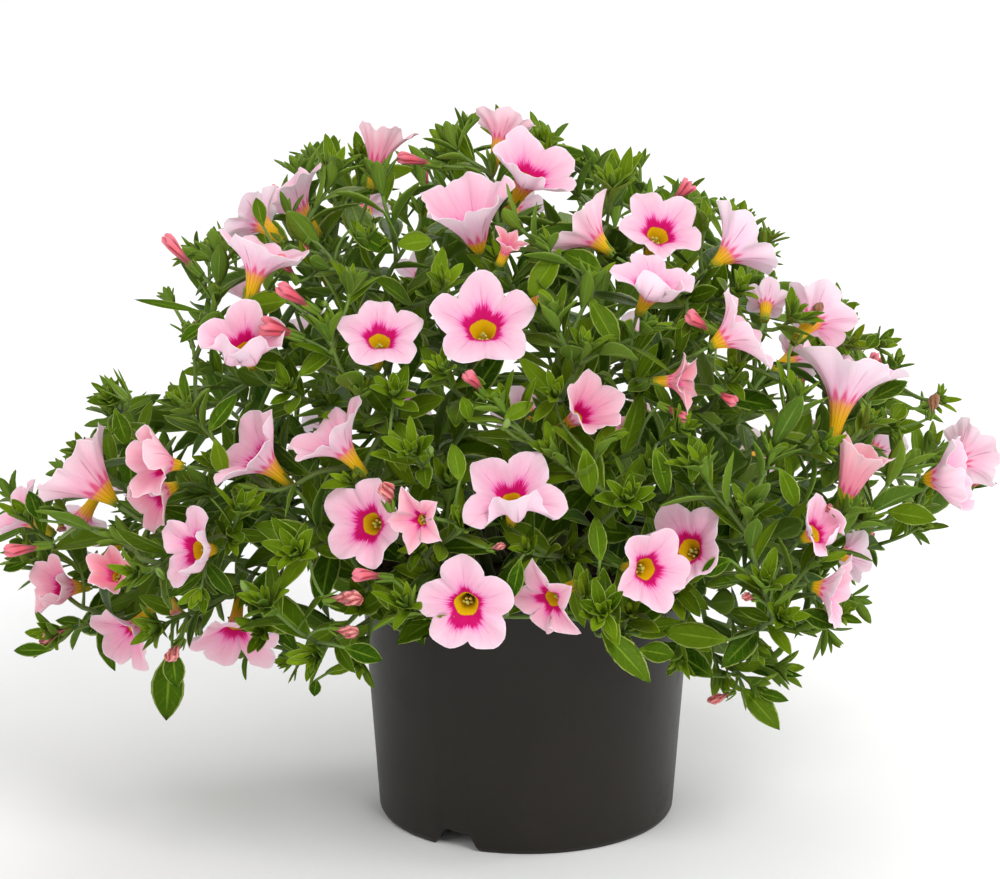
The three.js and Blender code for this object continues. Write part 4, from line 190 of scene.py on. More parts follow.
351 488 2124 308 464 2153 271 442 2185 240 429 2224 216 423 2269 -713 -1016 948 -743 -1037 974 -771 -1056 1001 -799 -1073 1030 -824 -1092 1059
-848 -1115 1089 -870 -1142 1118 698 1025 1178 735 1033 1195 772 1037 1212 808 1039 1230 842 1044 1251 873 1053 1274 901 1066 1298 554 410 1957
556 393 1999 557 372 2039 560 350 2079 562 329 2119 565 312 2161 569 297 2206 1057 132 1662 1065 170 1678 1074 210 1691 1084 249 1702 1095 286 1716
1108 319 1735 1124 348 1758 117 -910 1789 128 -925 1816 141 -938 1843 154 -949 1871 166 -960 1900 177 -972 1929 186 -985 1959 -199 -814 1703
-209 -851 1735 -223 -888 1765 -238 -926 1794 -254 -963 1824 -267 -998 1858 -278 -1031 1895 -438 -818 1654 -444 -855 1682 -446 -894 1708 -446 -932 1732
-445 -970 1759 -444 -1008 1788 -444 -1044 1820 -617 887 1322 -638 938 1321 -661 988 1316 -684 1037 1310 -705 1086 1306 -722 1135 1306 -734 1182 1310
-316 993 1260 -318 1040 1311 -319 1083 1363 -320 1125 1415 -320 1166 1469 -321 1210 1523 -321 1254 1578 -471 -900 1671 -498 -941 1649 -524 -977 1613
-548 -1006 1569 -566 -1029 1534 -579 -1047 1521 -589 -1063 1526 -1070 281 1565 -1083 313 1583 -1096 349 1596 -1109 386 1607 -1122 422 1620
-1136 456 1636 -1152 487 1657 -1004 -633 1305 -1035 -662 1293 -1062 -694 1277 -1086 -728 1262 -1109 -764 1250 -1132 -799 1246 -1157 -834 1249
660 820 1403 674 864 1430 687 911 1451 698 960 1471 709 1008 1492 720 1053 1519 731 1096 1550 -351 1103 1390 -386 1120 1413 -423 1135 1433
-463 1150 1450 -501 1167 1467 -536 1187 1487 -570 1211 1508 1125 -247 1042 1167 -290 1061 1206 -332 1081 1244 -374 1103 1281 -414 1129 1320 -451 1159
1360 -485 1193 795 -739 1558 829 -755 1563 863 -774 1563 895 -795 1561 926 -818 1562 954 -841 1569 981 -865 1580 1053 739 939 1081 751 958
1108 756 976 1128 750 990 1144 740 1000 1174 753 1015 1230 802 1043 995 -101 1783 999 -139 1804 1004 -179 1820 1010 -219 1834 1020 -258 1850
1034 -291 1869 1052 -321 1893 -492 -921 1690 -514 -938 1705 -536 -953 1719 -553 -965 1734 -563 -974 1750 -565 -980 1771 -563 -987 1796 738 40 1945
744 16 1984 745 -12 2021 744 -40 2058 743 -67 2097 743 -92 2138 745 -113 2181 -867 815 1138 -906 847 1129 -942 880 1113 -974 914 1094 -1004 952 1079
-1030 993 1070 -1053 1036 1068 148 -947 1898 140 -944 1925 129 -940 1950 117 -935 1975 106 -933 1999 96 -935 2024 87 -940 2050 -973 -616 1018
-1021 -646 1003 -1070 -673 987 -1118 -699 972 -1166 -727 957 -1213 -759 945 -1259 -795 935 -871 -716 1364 -901 -739 1394 -930 -761 1421 -960 -784 1448
-988 -808 1474 -1014 -835 1500 -1039 -864 1524 612 -684 1682 629 -722 1710 642 -761 1738 651 -800 1766 660 -839 1796 669 -877 1829 679 -914 1865
629 -426 1941 611 -466 1974 589 -509 2003 565 -550 2030 543 -589 2061 525 -624 2097 512 -655 2139 216 -302 2092 225 -261 2141 230 -215 2185
233 -165 2227 235 -117 2271 238 -72 2320 242 -32 2372 976 -952 1233 997 -938 1262 1014 -923 1292 1030 -909 1320 1043 -900 1342 1055 -898 1356
1068 -900 1370 -603 -1012 1561 -657 -1012 1554 -704 -1008 1543 -742 -1007 1523 -787 -1009 1496 -847 -1010 1479 -915 -1013 1485 -684 -720 1692
-710 -741 1710 -735 -766 1726 -758 -792 1741 -778 -820 1758 -794 -849 1778 -808 -877 1800 1017 -926 1275 1037 -912 1286 1057 -897 1295 1078 -883 1302
1098 -872 1311 1118 -867 1322 1138 -865 1334 -284 237 2168 -294 272 2188 -307 309 2203 -320 347 2217 -334 382 2233 -348 414 2255 -360 442 2282
1099 -316 1389 1120 -348 1421 1140 -380 1453 1160 -413 1484 1183 -445 1512 1210 -478 1537 1240 -510 1562 -1123 -829 1248 -1110 -853 1252
-1094 -868 1259 -1071 -881 1273 -1041 -907 1292 -1015 -950 1304 -1002 -998 1308 63 1238 1502 78 1211 1552 105 1172 1611 115 1131 1690 99 1108 1768
81 1108 1832 76 1122 1892 536 -628 2057 533 -666 2051 532 -702 2041 533 -739 2029 534 -775 2021 537 -810 2021 540 -845 2026 280 -341 2118
329 -325 2146 379 -305 2169 429 -283 2191 475 -261 2217 515 -242 2251 549 -225 2292 126 723 1878 141 744 1922 161 763 1965 184 780 2008 206 797 2052
225 813 2098 242 828 2146 137 -925 1978 146 -910 2004 158 -893 2029 172 -878 2053 185 -867 2078 195 -861 2105 204 -859 2133 1366 -78 1165
1376 -88 1202 1383 -96 1240 1390 -105 1278 1400 -113 1314 1414 -121 1349 1433 -128 1382 -1104 -880 1235 -1098 -900 1215 -1094 -921 1193
-1093 -944 1172 -1095 -966 1154 -1099 -990 1141 -1104 -1015 1134 -374 830 1691 -346 872 1732 -319 917 1769 -292 963 1804 -266 1009 1841 -242 1055 1881
-220 1101 1925 -1165 626 808 -1183 657 841 -1202 684 875 -1223 711 908 -1245 738 938 -1271 768 963 -1299 800 984 806 -957 1576 818 -942 1608
830 -927 1639 842 -914 1669 855 -904 1698 870 -901 1728 885 -903 1758 -1004 -974 1312 -1003 -992 1322 -1000 -1008 1336 -991 -1022 1355 -981 -1036 1376
-972 -1050 1398 -966 -1064 1422 -90 477 2117 -72 461 2161 -54 442 2203 -37 424 2244 -23 407 2287 -14 396 2332 -9 388 2379 -10 366 2309 1 323 2327
10 279 2341 20 234 2353 31 195 2369 42 162 2393 54 135 2423 1132 -119 1500 1158 -129 1535 1184 -142 1568 1210 -155 1600 1237 -168 1632 1265 -179 1666
1294 -189 1700 378 772 1720 372 827 1754 362 881 1787 350 933 1821 341 983 1858 336 1031 1899 335 1076 1944 -423 -580 1987 -398 -626 2014
-371 -674 2037 -344 -721 2058 -319 -767 2082 -298 -810 2111 -280 -849 2146 197 -962 1921 229 -963 1939 262 -962 1955 296 -962 1969 327 -965 1985
354 -972 2004 378 -983 2027 1168 713 1029 1178 745 1077 1182 806 1141 1174 851 1196 1164 878 1240 1160 901 1280 1160 927 1318 934 -788 1568
969 -778 1567 997 -762 1551 1021 -744 1528 1053 -734 1531 1096 -733 1571 1142 -739 1628 -1188 620 830 -1195 616 852 -1182 619 881 -1172 618 927
-1210 591 967 -1313 548 952 -1457 511 874 708 555 1761 714 588 1807 718 620 1853 721 651 1899 726 680 1946 735 707 1995 747 733 2045 1282 159 1488
1308 186 1473 1332 212 1455 1356 236 1436 1381 260 1421 1409 281 1413 1439 301 1412 -334 939 1798 -352 959 1824 -374 979 1849 -397 997 1872
-420 1015 1898 -438 1033 1926 -453 1052 1956 603 -539 2017 618 -570 2029 637 -601 2037 657 -632 2044 675 -661 2055 693 -688 2071 709 -712 2092
210 -161 2259 183 -161 2290 154 -164 2319 126 -171 2347 100 -180 2376 80 -189 2409 64 -198 2445 211 450 2240 185 478 2254 160 510 2263 137 544 2271
117 578 2281 101 611 2297 89 643 2318 668 -381 1946 696 -372 1985 724 -360 2023 751 -348 2060 778 -337 2098 804 -330 2138 828 -328 2181 1042 -332 1869
1050 -371 1866 1058 -410 1859 1065 -448 1852 1074 -484 1849 1086 -518 1853 1100 -549 1864 -188 702 1933 -169 737 1973 -147 771 2011 -125 804 2049
-105 838 2088 -89 872 2129 -77 907 2172 -698 144 2088 -681 160 2129 -659 176 2168 -636 193 2206 -615 210 2245 -600 226 2286 -590 242 2329
1141 -842 1342 1163 -818 1363 1183 -791 1383 1202 -765 1402 1223 -744 1423 1245 -730 1445 1269 -722 1469 710 691 1916 698 732 1929 684 773 1937
671 814 1944 660 855 1953 651 894 1968 645 932 1988 -458 -549 1997 -473 -562 2038 -489 -574 2078 -507 -584 2118 -524 -594 2158 -539 -605 2199
-552 -616 2243 -232 690 1935 -263 712 1977 -296 731 2018 -330 749 2058 -362 768 2099 -390 791 2142 -415 816 2187 1148 894 1333 1137 883 1385
1126 869 1435 1117 854 1484 1113 842 1533 1115 836 1582 1122 837 1632 -190 -84 2209 -208 -104 2248 -227 -124 2285 -244 -145 2322 -260 -165 2360
-274 -186 2400 -284 -206 2441 1072 -384 1861 1094 -395 1853 1117 -404 1842 1140 -410 1833 1163 -416 1828 1185 -423 1828 1206 -431 1834 26 132 2404
8 106 2415 -14 81 2424 -36 58 2433 -58 37 2444 -77 19 2461 -94 4 2482 -561 -971 1782 -565 -965 1797 -588 -961 1830 -620 -956 1878 -642 -949 1923
-653 -945 1957 -661 -944 1990 -1373 61 796 -1405 27 808 -1432 -11 821 -1458 -48 836 -1487 -78 855 -1519 -96 876 -1555 -103 898 1108 435 1209
1174 441 1201 1239 443 1188 1303 444 1174 1367 447 1167 1430 452 1169 1492 461 1180 879 723 1757 881 761 1767 880 799 1776 877 837 1784 876 873 1795
878 906 1811 882 937 1832 -755 114 2062 -800 97 2073 -847 76 2077 -893 55 2080 -937 36 2086 -978 21 2102 -1016 8 2125 677 -658 2031 698 -677 2011
730 -691 1984 776 -705 1962 824 -722 1961 858 -738 1979 880 -752 2004 609 -478 2018 604 -486 2059 596 -488 2098 589 -490 2139 589 -495 2185
595 -506 2231 606 -519 2277 -662 131 2172 -642 97 2209 -623 57 2241 -606 16 2273 -593 -22 2307 -584 -53 2346 -578 -78 2391 1148 470 1243 1185 504 1274
1214 539 1304 1240 573 1334 1269 610 1368 1304 649 1406 1342 686 1445 -646 -928 1982 -638 -912 2004 -629 -893 2024 -620 -875 2046 -610 -860 2068
-603 -848 2093 -597 -840 2120 388 -298 2207 392 -292 2244 393 -286 2281 392 -283 2318 389 -281 2356 387 -280 2395 386 -282 2434 181 -835 2142
162 -810 2175 140 -787 2200 115 -776 2213 89 -782 2215 72 -792 2225 67 -790 2257 -768 569 1829 -781 621 1852 -791 674 1872 -798 727 1893 -806 777 1917
-813 823 1948 -820 866 1985 -470 -574 2124 -447 -573 2166 -420 -570 2206 -392 -566 2244 -372 -559 2276 -366 -549 2305 -370 -538 2333 -1375 100 1115
-1409 96 1144 -1441 92 1173 -1472 87 1202 -1504 83 1232 -1537 79 1261 -1571 76 1291 -845 741 1487 -911 758 1495 -978 775 1495 -1044 793 1493
-1105 814 1495 -1161 842 1508 -1212 874 1529 97 -770 2227 80 -775 2229 68 -780 2230 51 -774 2245 20 -760 2275 -12 -748 2303 -36 -743 2321
1396 187 1012 1431 191 1033 1466 193 1054 1499 193 1077 1532 191 1100 1566 189 1124 1600 185 1149 -89 -406 2140 -96 -407 2197 -103 -405 2252
-109 -401 2307 -116 -397 2361 -124 -395 2416 -132 -396 2473 -805 767 1514 -826 814 1554 -845 864 1589 -862 916 1624 -879 966 1660 -895 1015 1701
-912 1062 1746 -1158 -821 1231 -1184 -842 1217 -1211 -860 1201 -1237 -878 1185 -1263 -896 1172 -1289 -915 1166 -1314 -937 1166 -727 134 2084
-742 139 2122 -758 143 2159 -772 147 2196 -786 152 2233 -799 159 2272 -811 167 2311 1264 -196 1636 1291 -225 1634 1317 -254 1626 1343 -284 1617
1370 -312 1611 1397 -338 1612 1425 -362 1619 -545 -594 2132 -584 -604 2141 -625 -614 2145 -666 -624 2147 -705 -636 2152 -740 -649 2162 -771 -664 2178
-323 750 2100 -312 749 2140 -296 746 2180 -278 744 2218 -260 744 2256 -243 750 2295 -229 760 2334 244 -383 2133 254 -414 2179 261 -446 2224
267 -479 2268 272 -511 2313 277 -542 2360 283 -571 2410 -816 509 1830 -879 493 1852 -943 471 1869 -1006 445 1884 -1068 422 1903 -1128 406 1930
-1188 397 1963 -714 -189 2046 -775 -180 2061 -839 -173 2068 -903 -169 2073 -965 -167 2082 -1023 -168 2101 -1077 -172 2130 -1344 -262 1193
-1379 -261 1230 -1413 -264 1266 -1446 -270 1303 -1479 -279 1340 -1512 -290 1378 -1544 -301 1419 -1357 326 1200 -1381 356 1232 -1405 386 1262
-1429 415 1291 -1453 445 1321 -1477 476 1352 -1501 507 1385 -908 -949 1498 -956 -906 1529 -993 -875 1553 -1024 -856 1574 -1056 -858 1612
-1096 -873 1665 -1139 -887 1719 -1283 -385 1382 -1309 -395 1418 -1336 -406 1453 -1363 -418 1487 -1390 -428 1521 -1417 -437 1558 -1445 -444 1595
-452 -560 2205 -458 -545 2240 -466 -528 2274 -476 -512 2307 -487 -497 2341 -496 -486 2377 -504 -478 2414 -615 420 2040 -642 425 2086 -672 429 2129
-702 433 2171 -732 438 2214 -757 444 2260 -779 452 2309 -1266 -870 1187 -1293 -859 1189 -1314 -841 1191 -1327 -816 1195 -1337 -789 1204
-1354 -770 1215 -1381 -762 1227 -658 -591 2164 -690 -564 2181 -718 -534 2197 -744 -504 2215 -768 -478 2237 -791 -458 2264 -813 -445 2295
-140 -394 2433 -158 -392 2448 -178 -391 2460 -199 -390 2472 -218 -389 2484 -235 -389 2499 -249 -390 2517 -691 464 2148 -709 502 2162 -726 543 2171
-741 585 2179 -754 625 2190 -764 663 2207 -774 697 2231 -1112 -853 1715 -1120 -823 1755 -1123 -788 1789 -1124 -754 1822 -1128 -726 1858
-1134 -707 1896 -1144 -695 1936 -1116 -709 1884 -1105 -697 1911 -1093 -686 1938 -1080 -676 1964 -1070 -668 1991 -1063 -663 2020 -1060 -661 2050
-1174 835 1552 -1180 826 1601 -1180 814 1650 -1177 802 1700 -1174 793 1750 -1174 792 1800 -1177 797 1850 -758 -463 2262 -745 -452 2288 -729 -443 2314
-711 -436 2339 -694 -432 2364 -680 -430 2392 -668 -431 2421 -1449 123 1157 -1488 151 1164 -1524 183 1166 -1560 217 1164 -1596 252 1162 -1633 287 1162
-1671 321 1166 -1386 -304 836 -1429 -344 829 -1470 -386 828 -1509 -429 829 -1550 -472 831 -1593 -515 831 -1640 -558 829 -1058 -650 2040
-1055 -637 2061 -1052 -622 2080 -1049 -608 2099 -1047 -595 2119 -1046 -587 2140 -1046 -581 2163 -1465 493 1318 -1473 540 1308 -1479 588 1292
-1484 634 1273 -1493 680 1255 -1507 725 1242 -1526 770 1235 -1143 -677 1914 -1154 -650 1932 -1165 -621 1948 -1178 -594 1962 -1191 -571 1978
-1206 -555 1998 -1221 -545 2021 -1396 -463 1551 -1399 -499 1578 -1399 -538 1602 -1398 -577 1625 -1399 -615 1649 -1405 -651 1676 -1414 -684 1706
-1381 -762 1220 -1425 -740 1233 -1464 -718 1243 -1499 -694 1253 -1531 -668 1265 -1564 -650 1282 -1599 -638 1302 -1555 -97 900 -1591 -88 921
-1628 -74 937 -1666 -60 948 -1704 -49 959 -1741 -42 971 -1779 -37 982 -1507 -387 848 -1535 -383 862 -1562 -363 863 -1607 -320 878 -1666 -277 926
-1718 -261 976 -1758 -267 1005 -1670 -292 1017 -1666 -320 1069 -1663 -344 1092 -1674 -371 1112 -1697 -402 1140 -1719 -429 1175 -1737 -450 1210
-1728 -18 983 -1750 14 1006 -1770 48 1026 -1789 82 1045 -1810 115 1065 -1835 144 1086 -1863 171 1107 -313 874 1173 -329 893 1143 -343 910 1110
-352 925 1070 -358 943 1031 84 931 1167 77 953 1164 69 974 1159 61 994 1148 54 1015 1139 235 815 1005 275 849 1030 311 885 1056 341 925 1071
365 970 1080 515 -782 1210 543 -795 1215 568 -809 1217 589 -837 1206 602 -867 1197 -232 -882 1091 -217 -921 1107 -202 -961 1118 -190 -1003 1132
-183 -1047 1145 156 -923 1216 198 -941 1217 239 -960 1217 275 -985 1215 307 -1016 1215 126 -938 1197 136 -972 1179 142 -1005 1159 160 -1052 1171
172 -1099 1190 -318 922 1196 -333 946 1188 -347 968 1180 -361 990 1169 -374 1014 1159 37 -1015 1276 6 -1016 1297 -22 -1017 1319 -43 -1024 1341
-58 -1036 1363 -988 -515 1060 -1001 -519 1040 -1010 -525 1020 -1005 -537 1009 -997 -553 999 -318 -918 1264 -351 -928 1295 -387 -942 1320
-415 -965 1341 -441 -995 1359 770 590 1204 813 613 1182 855 635 1155 897 658 1127 939 685 1106 -811 752 1081 -866 723 1062 -914 700 1034 -947 690 994
-970 694 950 161 927 1422 130 933 1466 97 943 1506 68 960 1536 45 987 1564 628 877 1171 672 875 1149 714 871 1125 752 875 1097 786 888 1070
-632 860 1034 -643 892 1058 -653 925 1080 -664 957 1092 -676 991 1099 -1142 199 811 -1142 250 832 -1143 298 854 -1153 341 866 -1172 381 873
536 878 1217 509 930 1244 480 980 1271 451 1030 1294 426 1082 1319 100 -875 1735 90 -901 1717 81 -926 1700 79 -949 1681 84 -971 1670 799 -853 987
814 -857 1035 832 -859 1078 882 -899 1111 937 -943 1132 819 644 1316 835 664 1350 851 685 1382 871 706 1403 894 730 1421 -402 820 1651 -406 851 1652
-410 883 1649 -412 914 1644 -412 944 1641 -180 -777 1720 -170 -773 1772 -162 -771 1822 -156 -792 1852 -152 -822 1879 1128 440 1195 1147 443 1176
1164 446 1157 1181 452 1139 1197 460 1127 -792 800 1509 -776 834 1497 -759 866 1481 -749 898 1461 -745 931 1446 -165 722 1939 -140 740 1942
-115 758 1942 -95 778 1939 -79 799 1939 815 -929 1043 824 -924 1101 834 -919 1157 868 -939 1225 908 -967 1289 836 -924 1041 865 -913 1096
897 -894 1144 960 -862 1176 1030 -828 1195 -256 -1164 1374 -245 -1172 1394 -236 -1179 1414 -269 -1203 1432 -307 -1228 1447 -361 -1031 1532
-406 -1044 1526 -451 -1054 1520 -492 -1060 1522 -530 -1065 1533 388 843 1765 404 857 1774 420 871 1781 435 884 1784 448 899 1788 363 -714 1763
360 -766 1786 360 -816 1807 373 -882 1825 397 -942 1840 -1290 -313 967 -1291 -334 939 -1292 -359 914 -1293 -395 903 -1299 -432 896 -691 -919 1307
-709 -938 1350 -728 -952 1392 -752 -963 1433 -779 -972 1473 -93 -445 2092 -105 -488 2097 -117 -529 2101 -138 -569 2136 -159 -602 2179 -452 -783 1680
-471 -781 1736 -486 -782 1790 -500 -808 1821 -508 -844 1850 359 -685 1788 352 -706 1840 345 -724 1891 350 -753 1956 362 -784 2021 -1049 -734 1266
-1030 -774 1255 -1013 -811 1246 -1021 -875 1247 -1040 -937 1253 -719 605 1856 -664 639 1877 -611 672 1895 -573 706 1911 -552 743 1930 314 -360 2132
349 -379 2140 381 -402 2146 395 -442 2142 404 -484 2143 -90 -385 2171 -90 -359 2200 -88 -336 2226 -79 -327 2249 -67 -327 2272 953 -938 1209
983 -916 1239 1008 -892 1270 1030 -872 1304 1048 -855 1343 577 -519 2022 564 -529 2041 554 -537 2060 576 -573 2100 605 -607 2140 -873 742 1517
-901 742 1543 -927 743 1569 -950 747 1590 -970 756 1612 -804 838 1588 -778 862 1618 -752 885 1648 -736 906 1673 -729 928 1699 -1079 -611 1355
-1098 -626 1373 -1115 -644 1389 -1146 -684 1407 -1178 -725 1420 -1362 98 1078 -1382 93 1068 -1400 88 1055 -1418 82 1033 -1434 76 1010 -665 -196 2048
-675 -194 2072 -685 -193 2096 -697 -191 2119 -710 -190 2142 395 -714 1774 426 -765 1809 460 -813 1843 523 -885 1899 591 -951 1956 959 -793 1562
976 -794 1547 980 -791 1526 985 -782 1521 1024 -781 1550 1029 -744 1534 1085 -708 1494 1140 -672 1455 1243 -573 1405 1351 -474 1363 -762 -740 1729
-813 -736 1746 -861 -734 1762 -899 -730 1789 -928 -736 1821 -1218 589 935 -1258 562 981 -1302 550 1008 -1342 559 1018 -1375 581 1026 -271 -773 2098
-224 -774 2114 -178 -773 2132 -138 -774 2154 -105 -779 2183 486 -653 2114 448 -680 2131 408 -701 2146 352 -708 2175 297 -708 2208 -115 -383 2325
-122 -364 2341 -128 -344 2356 -131 -324 2372 -131 -304 2389 1340 -433 1202 1357 -410 1245 1374 -381 1283 1417 -327 1320 1469 -271 1351 -1034 -840 1502
-1054 -844 1503 -1074 -846 1505 -1111 -862 1515 -1148 -879 1526 -639 -218 2082 -619 -241 2138 -594 -265 2192 -570 -278 2258 -548 -283 2327
-1228 -509 1086 -1272 -549 1070 -1311 -593 1054 -1344 -639 1049 -1373 -687 1055 -1500 -120 862 -1507 -159 874 -1509 -199 888 -1517 -237 900
-1532 -272 910 694 -877 1864 720 -872 1897 745 -860 1926 769 -822 1961 791 -780 1997 -1200 -801 1243 -1239 -776 1254 -1275 -747 1266 -1334 -712 1293
-1393 -681 1324 871 -883 1779 871 -866 1829 872 -845 1874 874 -820 1902 882 -791 1924 -1399 343 1196 -1440 357 1186 -1479 368 1167 -1514 376 1134
-1546 383 1097 -716 -562 2189 -742 -560 2195 -767 -558 2200 -792 -554 2206 -814 -546 2214 -829 -831 1824 -863 -804 1873 -901 -778 1923 -933 -767 1977
-952 -770 2033 -1558 -350 943 -1576 -322 998 -1602 -298 1033 -1627 -284 1064 -1652 -275 1097 722 -641 741 738 -640 736 753 -640 732 -624 -644 754
-679 -664 730 -732 -682 702 699 -719 734 670 -766 744 631 -804 758 723 -682 714 722 -699 701 717 -715 688 708 -731 675 729 -687 714 737 -709 698
746 -730 682 768 -706 697 779 -721 687 790 -735 677 675 886 856 669 902 858 662 917 858 655 932 858 326 -1040 993 347 -1085 1004 373 -1128 1014
754 -906 947 717 -959 952 670 -1005 954 824 676 863 846 722 890 871 766 910 900 809 920 -723 984 960 -743 995 942 -762 1007 925 -779 1023 909
1113 506 860 1145 489 856 1177 474 852 1210 464 850 565 942 1214 545 1007 1240 527 1072 1267 516 1136 1298 -257 1074 1351 -194 1107 1386
-132 1142 1420 -77 1183 1457 -5 -1160 1308 -18 -1205 1314 -30 -1249 1311 227 -1194 1185 229 -1216 1245 235 -1233 1306 247 -1248 1109 244 -1273 1094
244 -1296 1082 -688 -1075 967 -654 -1131 980 -612 -1184 984 -730 -1070 998 -712 -1100 1018 -686 -1128 1034 -656 -1155 1045 -389 -1209 1139
-404 -1214 1179 -426 -1219 1213 -457 -1223 1241 -218 -1201 1371 -191 -1224 1366 -162 -1246 1359 -132 -1267 1355 864 -981 1047 890 -986 1049
916 -990 1048 790 -1052 1126 737 -1088 1208 670 -1124 1273 813 -1051 1076 799 -1075 1100 780 -1097 1120 759 -1119 1138 132 -1062 1615 83 -1075 1618
-46 -1202 1573 -1167 -666 909 -1208 -635 841 -1241 -606 768 -239 -1191 1443 -242 -1188 1500 -228 -1202 1573 370 -939 1642 386 -958 1695 408 -978 1739
436 -1000 1774 713 945 1441 739 976 1426 766 1008 1408 792 1041 1392 334 931 1782 306 979 1773 279 1029 1762 256 1080 1755 -728 -1094 1245
-718 -1134 1214 -699 -1169 1184 -673 -1204 1158 677 996 1482 654 1031 1493 634 1065 1505 617 1100 1520 337 1079 1547 372 1086 1581 404 1097 1612
435 1113 1642 100 -1051 1746 135 -1115 1706 184 -1168 1666 429 -1026 1650 422 -1076 1657 417 -1126 1654 -347 -1110 1601 -338 -1132 1617
-329 -1152 1633 -323 -1170 1653 -744 -1085 1272 -753 -1118 1274 -760 -1148 1280 -44 -1128 1730 -65 -1140 1747 -79 -1148 1763 -1202 710 896
-1202 736 914 -1201 764 927 -1201 794 937 507 -1025 1672 539 -1048 1676 567 -1074 1674 -81 -1122 1727 -140 -1132 1743 -195 -1139 1760 -510 1119 1501
-554 1089 1553 -595 1066 1604 -635 1056 1657 -16 -1084 1671 -44 -1115 1694 -66 -1152 1721 -83 -1174 1743 -1171 -756 945 -1174 -786 933 -1177 -815 918
-1181 -842 900 884 1023 1254 924 1005 1256 962 994 1259 1000 990 1264 -71 -1117 1764 -95 -1114 1785 -119 -1111 1806 -142 -1110 1828 642 -862 1804
620 -874 1805 609 -896 1807 621 -954 1820 -451 -1050 1772 -456 -1088 1750 -459 -1123 1722 809 -982 1551 824 -995 1553 839 -1009 1552 -370 -1144 1339
-366 -1158 1386 -384 -1187 1437 -454 -1262 1491 -869 -1117 1105 -890 -1119 1121 -910 -1121 1137 -930 -1123 1154 -1216 -789 921 -1216 -819 895
-1215 -846 866 1015 -921 1281 1034 -890 1301 1042 -893 1332 1032 -969 1380 1336 432 1146 1367 421 1117 1398 413 1089 1430 408 1062 -1144 -789 1210
-1175 -812 1169 -1200 -832 1124 -1218 -852 1075 -314 764 2032 -330 797 2045 -345 831 2058 -359 864 2073 171 -883 2059 186 -878 2084 204 -877 2103
-1003 820 1465 -1022 867 1433 -1038 917 1406 -1053 969 1386 1138 -842 1324 1179 -817 1334 1222 -797 1342 210 -841 2114 229 -817 2150 239 -796 2186
104 593 2259 73 640 2247 43 684 2243 12 724 2249 -788 -875 1802 -778 -899 1829 -763 -921 1856 1198 817 1210 1212 805 1265 1231 789 1316 1253 778 1366
226 -560 2224 169 -658 2210 105 -758 2246 -1012 894 1125 -1081 908 1138 -1147 926 1150 -1210 950 1163 1131 -711 1601 1153 -692 1639 1162 -679 1704
1122 -699 1568 1188 -667 1603 1246 -636 1622 -798 -775 1769 -849 -776 1811 -936 -810 1879 -1216 -885 1186 -1220 -909 1172 -1225 -931 1163
-1232 -953 1160 312 -458 2256 365 -465 2283 420 -465 2307 477 -461 2334 660 -905 1854 637 -949 1859 619 -972 1896 626 -935 2011 -1129 815 1502
-1149 819 1514 -1166 825 1526 -1182 835 1537 -310 -757 2148 -314 -744 2213 -330 -732 2274 1493 162 1080 1520 131 1104 1546 104 1130 1575 84 1157
-670 -936 1943 -696 -925 1957 -725 -916 1969 -756 -909 1980 -1034 -842 1549 -1054 -863 1569 -1048 -964 1643 -648 -585 2207 -630 -583 2244
-604 -584 2275 -1037 -836 1559 -1050 -867 1592 -1065 -946 1673 870 -754 1991 888 -778 2003 918 -780 2004 956 -733 1991 264 -507 2343 256 -501 2374
252 -492 2404 254 -483 2433 1107 -555 1854 1130 -586 1860 1156 -614 1870 -679 -585 2190 -699 -579 2212 -720 -573 2228 -743 -568 2236 -725 -662 2142
-742 -690 2134 -760 -716 2130 -778 -738 2131 1252 -496 1551 1296 -512 1563 1339 -523 1579 1379 -530 1600 -662 -932 1986 -672 -922 2014 -686 -913 2040
-702 -906 2066 273 -551 2371 270 -558 2383 266 -565 2396 262 -570 2410 -643 -908 2029 -651 -903 2052 -662 -900 2072 -675 -898 2091 286 -545 2372
296 -550 2387 310 -562 2408 -177 -404 2446 -217 -415 2454 -258 -425 2459 -300 -433 2464 -698 -897 2010 -749 -853 2053 -809 -812 2087 -829 832 1962
-846 838 1979 -864 844 1995 -881 854 2010 -1556 -483 838 -1567 -498 841 -1580 -514 841 -1593 -528 841 -1090 -702 1956 -1091 -721 1972 -1096 -742 1983
-1083 -683 1984 -1089 -692 2002 -1098 -702 2018 -1551 -354 1362 -1582 -419 1334 -1603 -482 1290 -1616 -544 1238 -1380 -620 1647 -1365 -661 1670
-1356 -697 1695 -1356 -726 1724 -797 -608 2164 -850 -580 2200 -898 -574 2286 -1385 -622 1656 -1380 -663 1684 -1385 -701 1710 -1066 -623 2078
-1079 -610 2093 -1094 -597 2107 -1111 -585 2122 -1399 -649 1665 -1401 -680 1676 -1402 -711 1678 -1611 -553 818 -1632 -587 804 -1656 -615 789
-1559 -641 1241 -1587 -619 1215 -1616 -603 1188 -1648 -591 1162 -1690 -256 985 -1714 -266 1014 -1751 -299 1018 -1580 -641 1258 -1630 -618 1254
-1680 -598 1255
"""
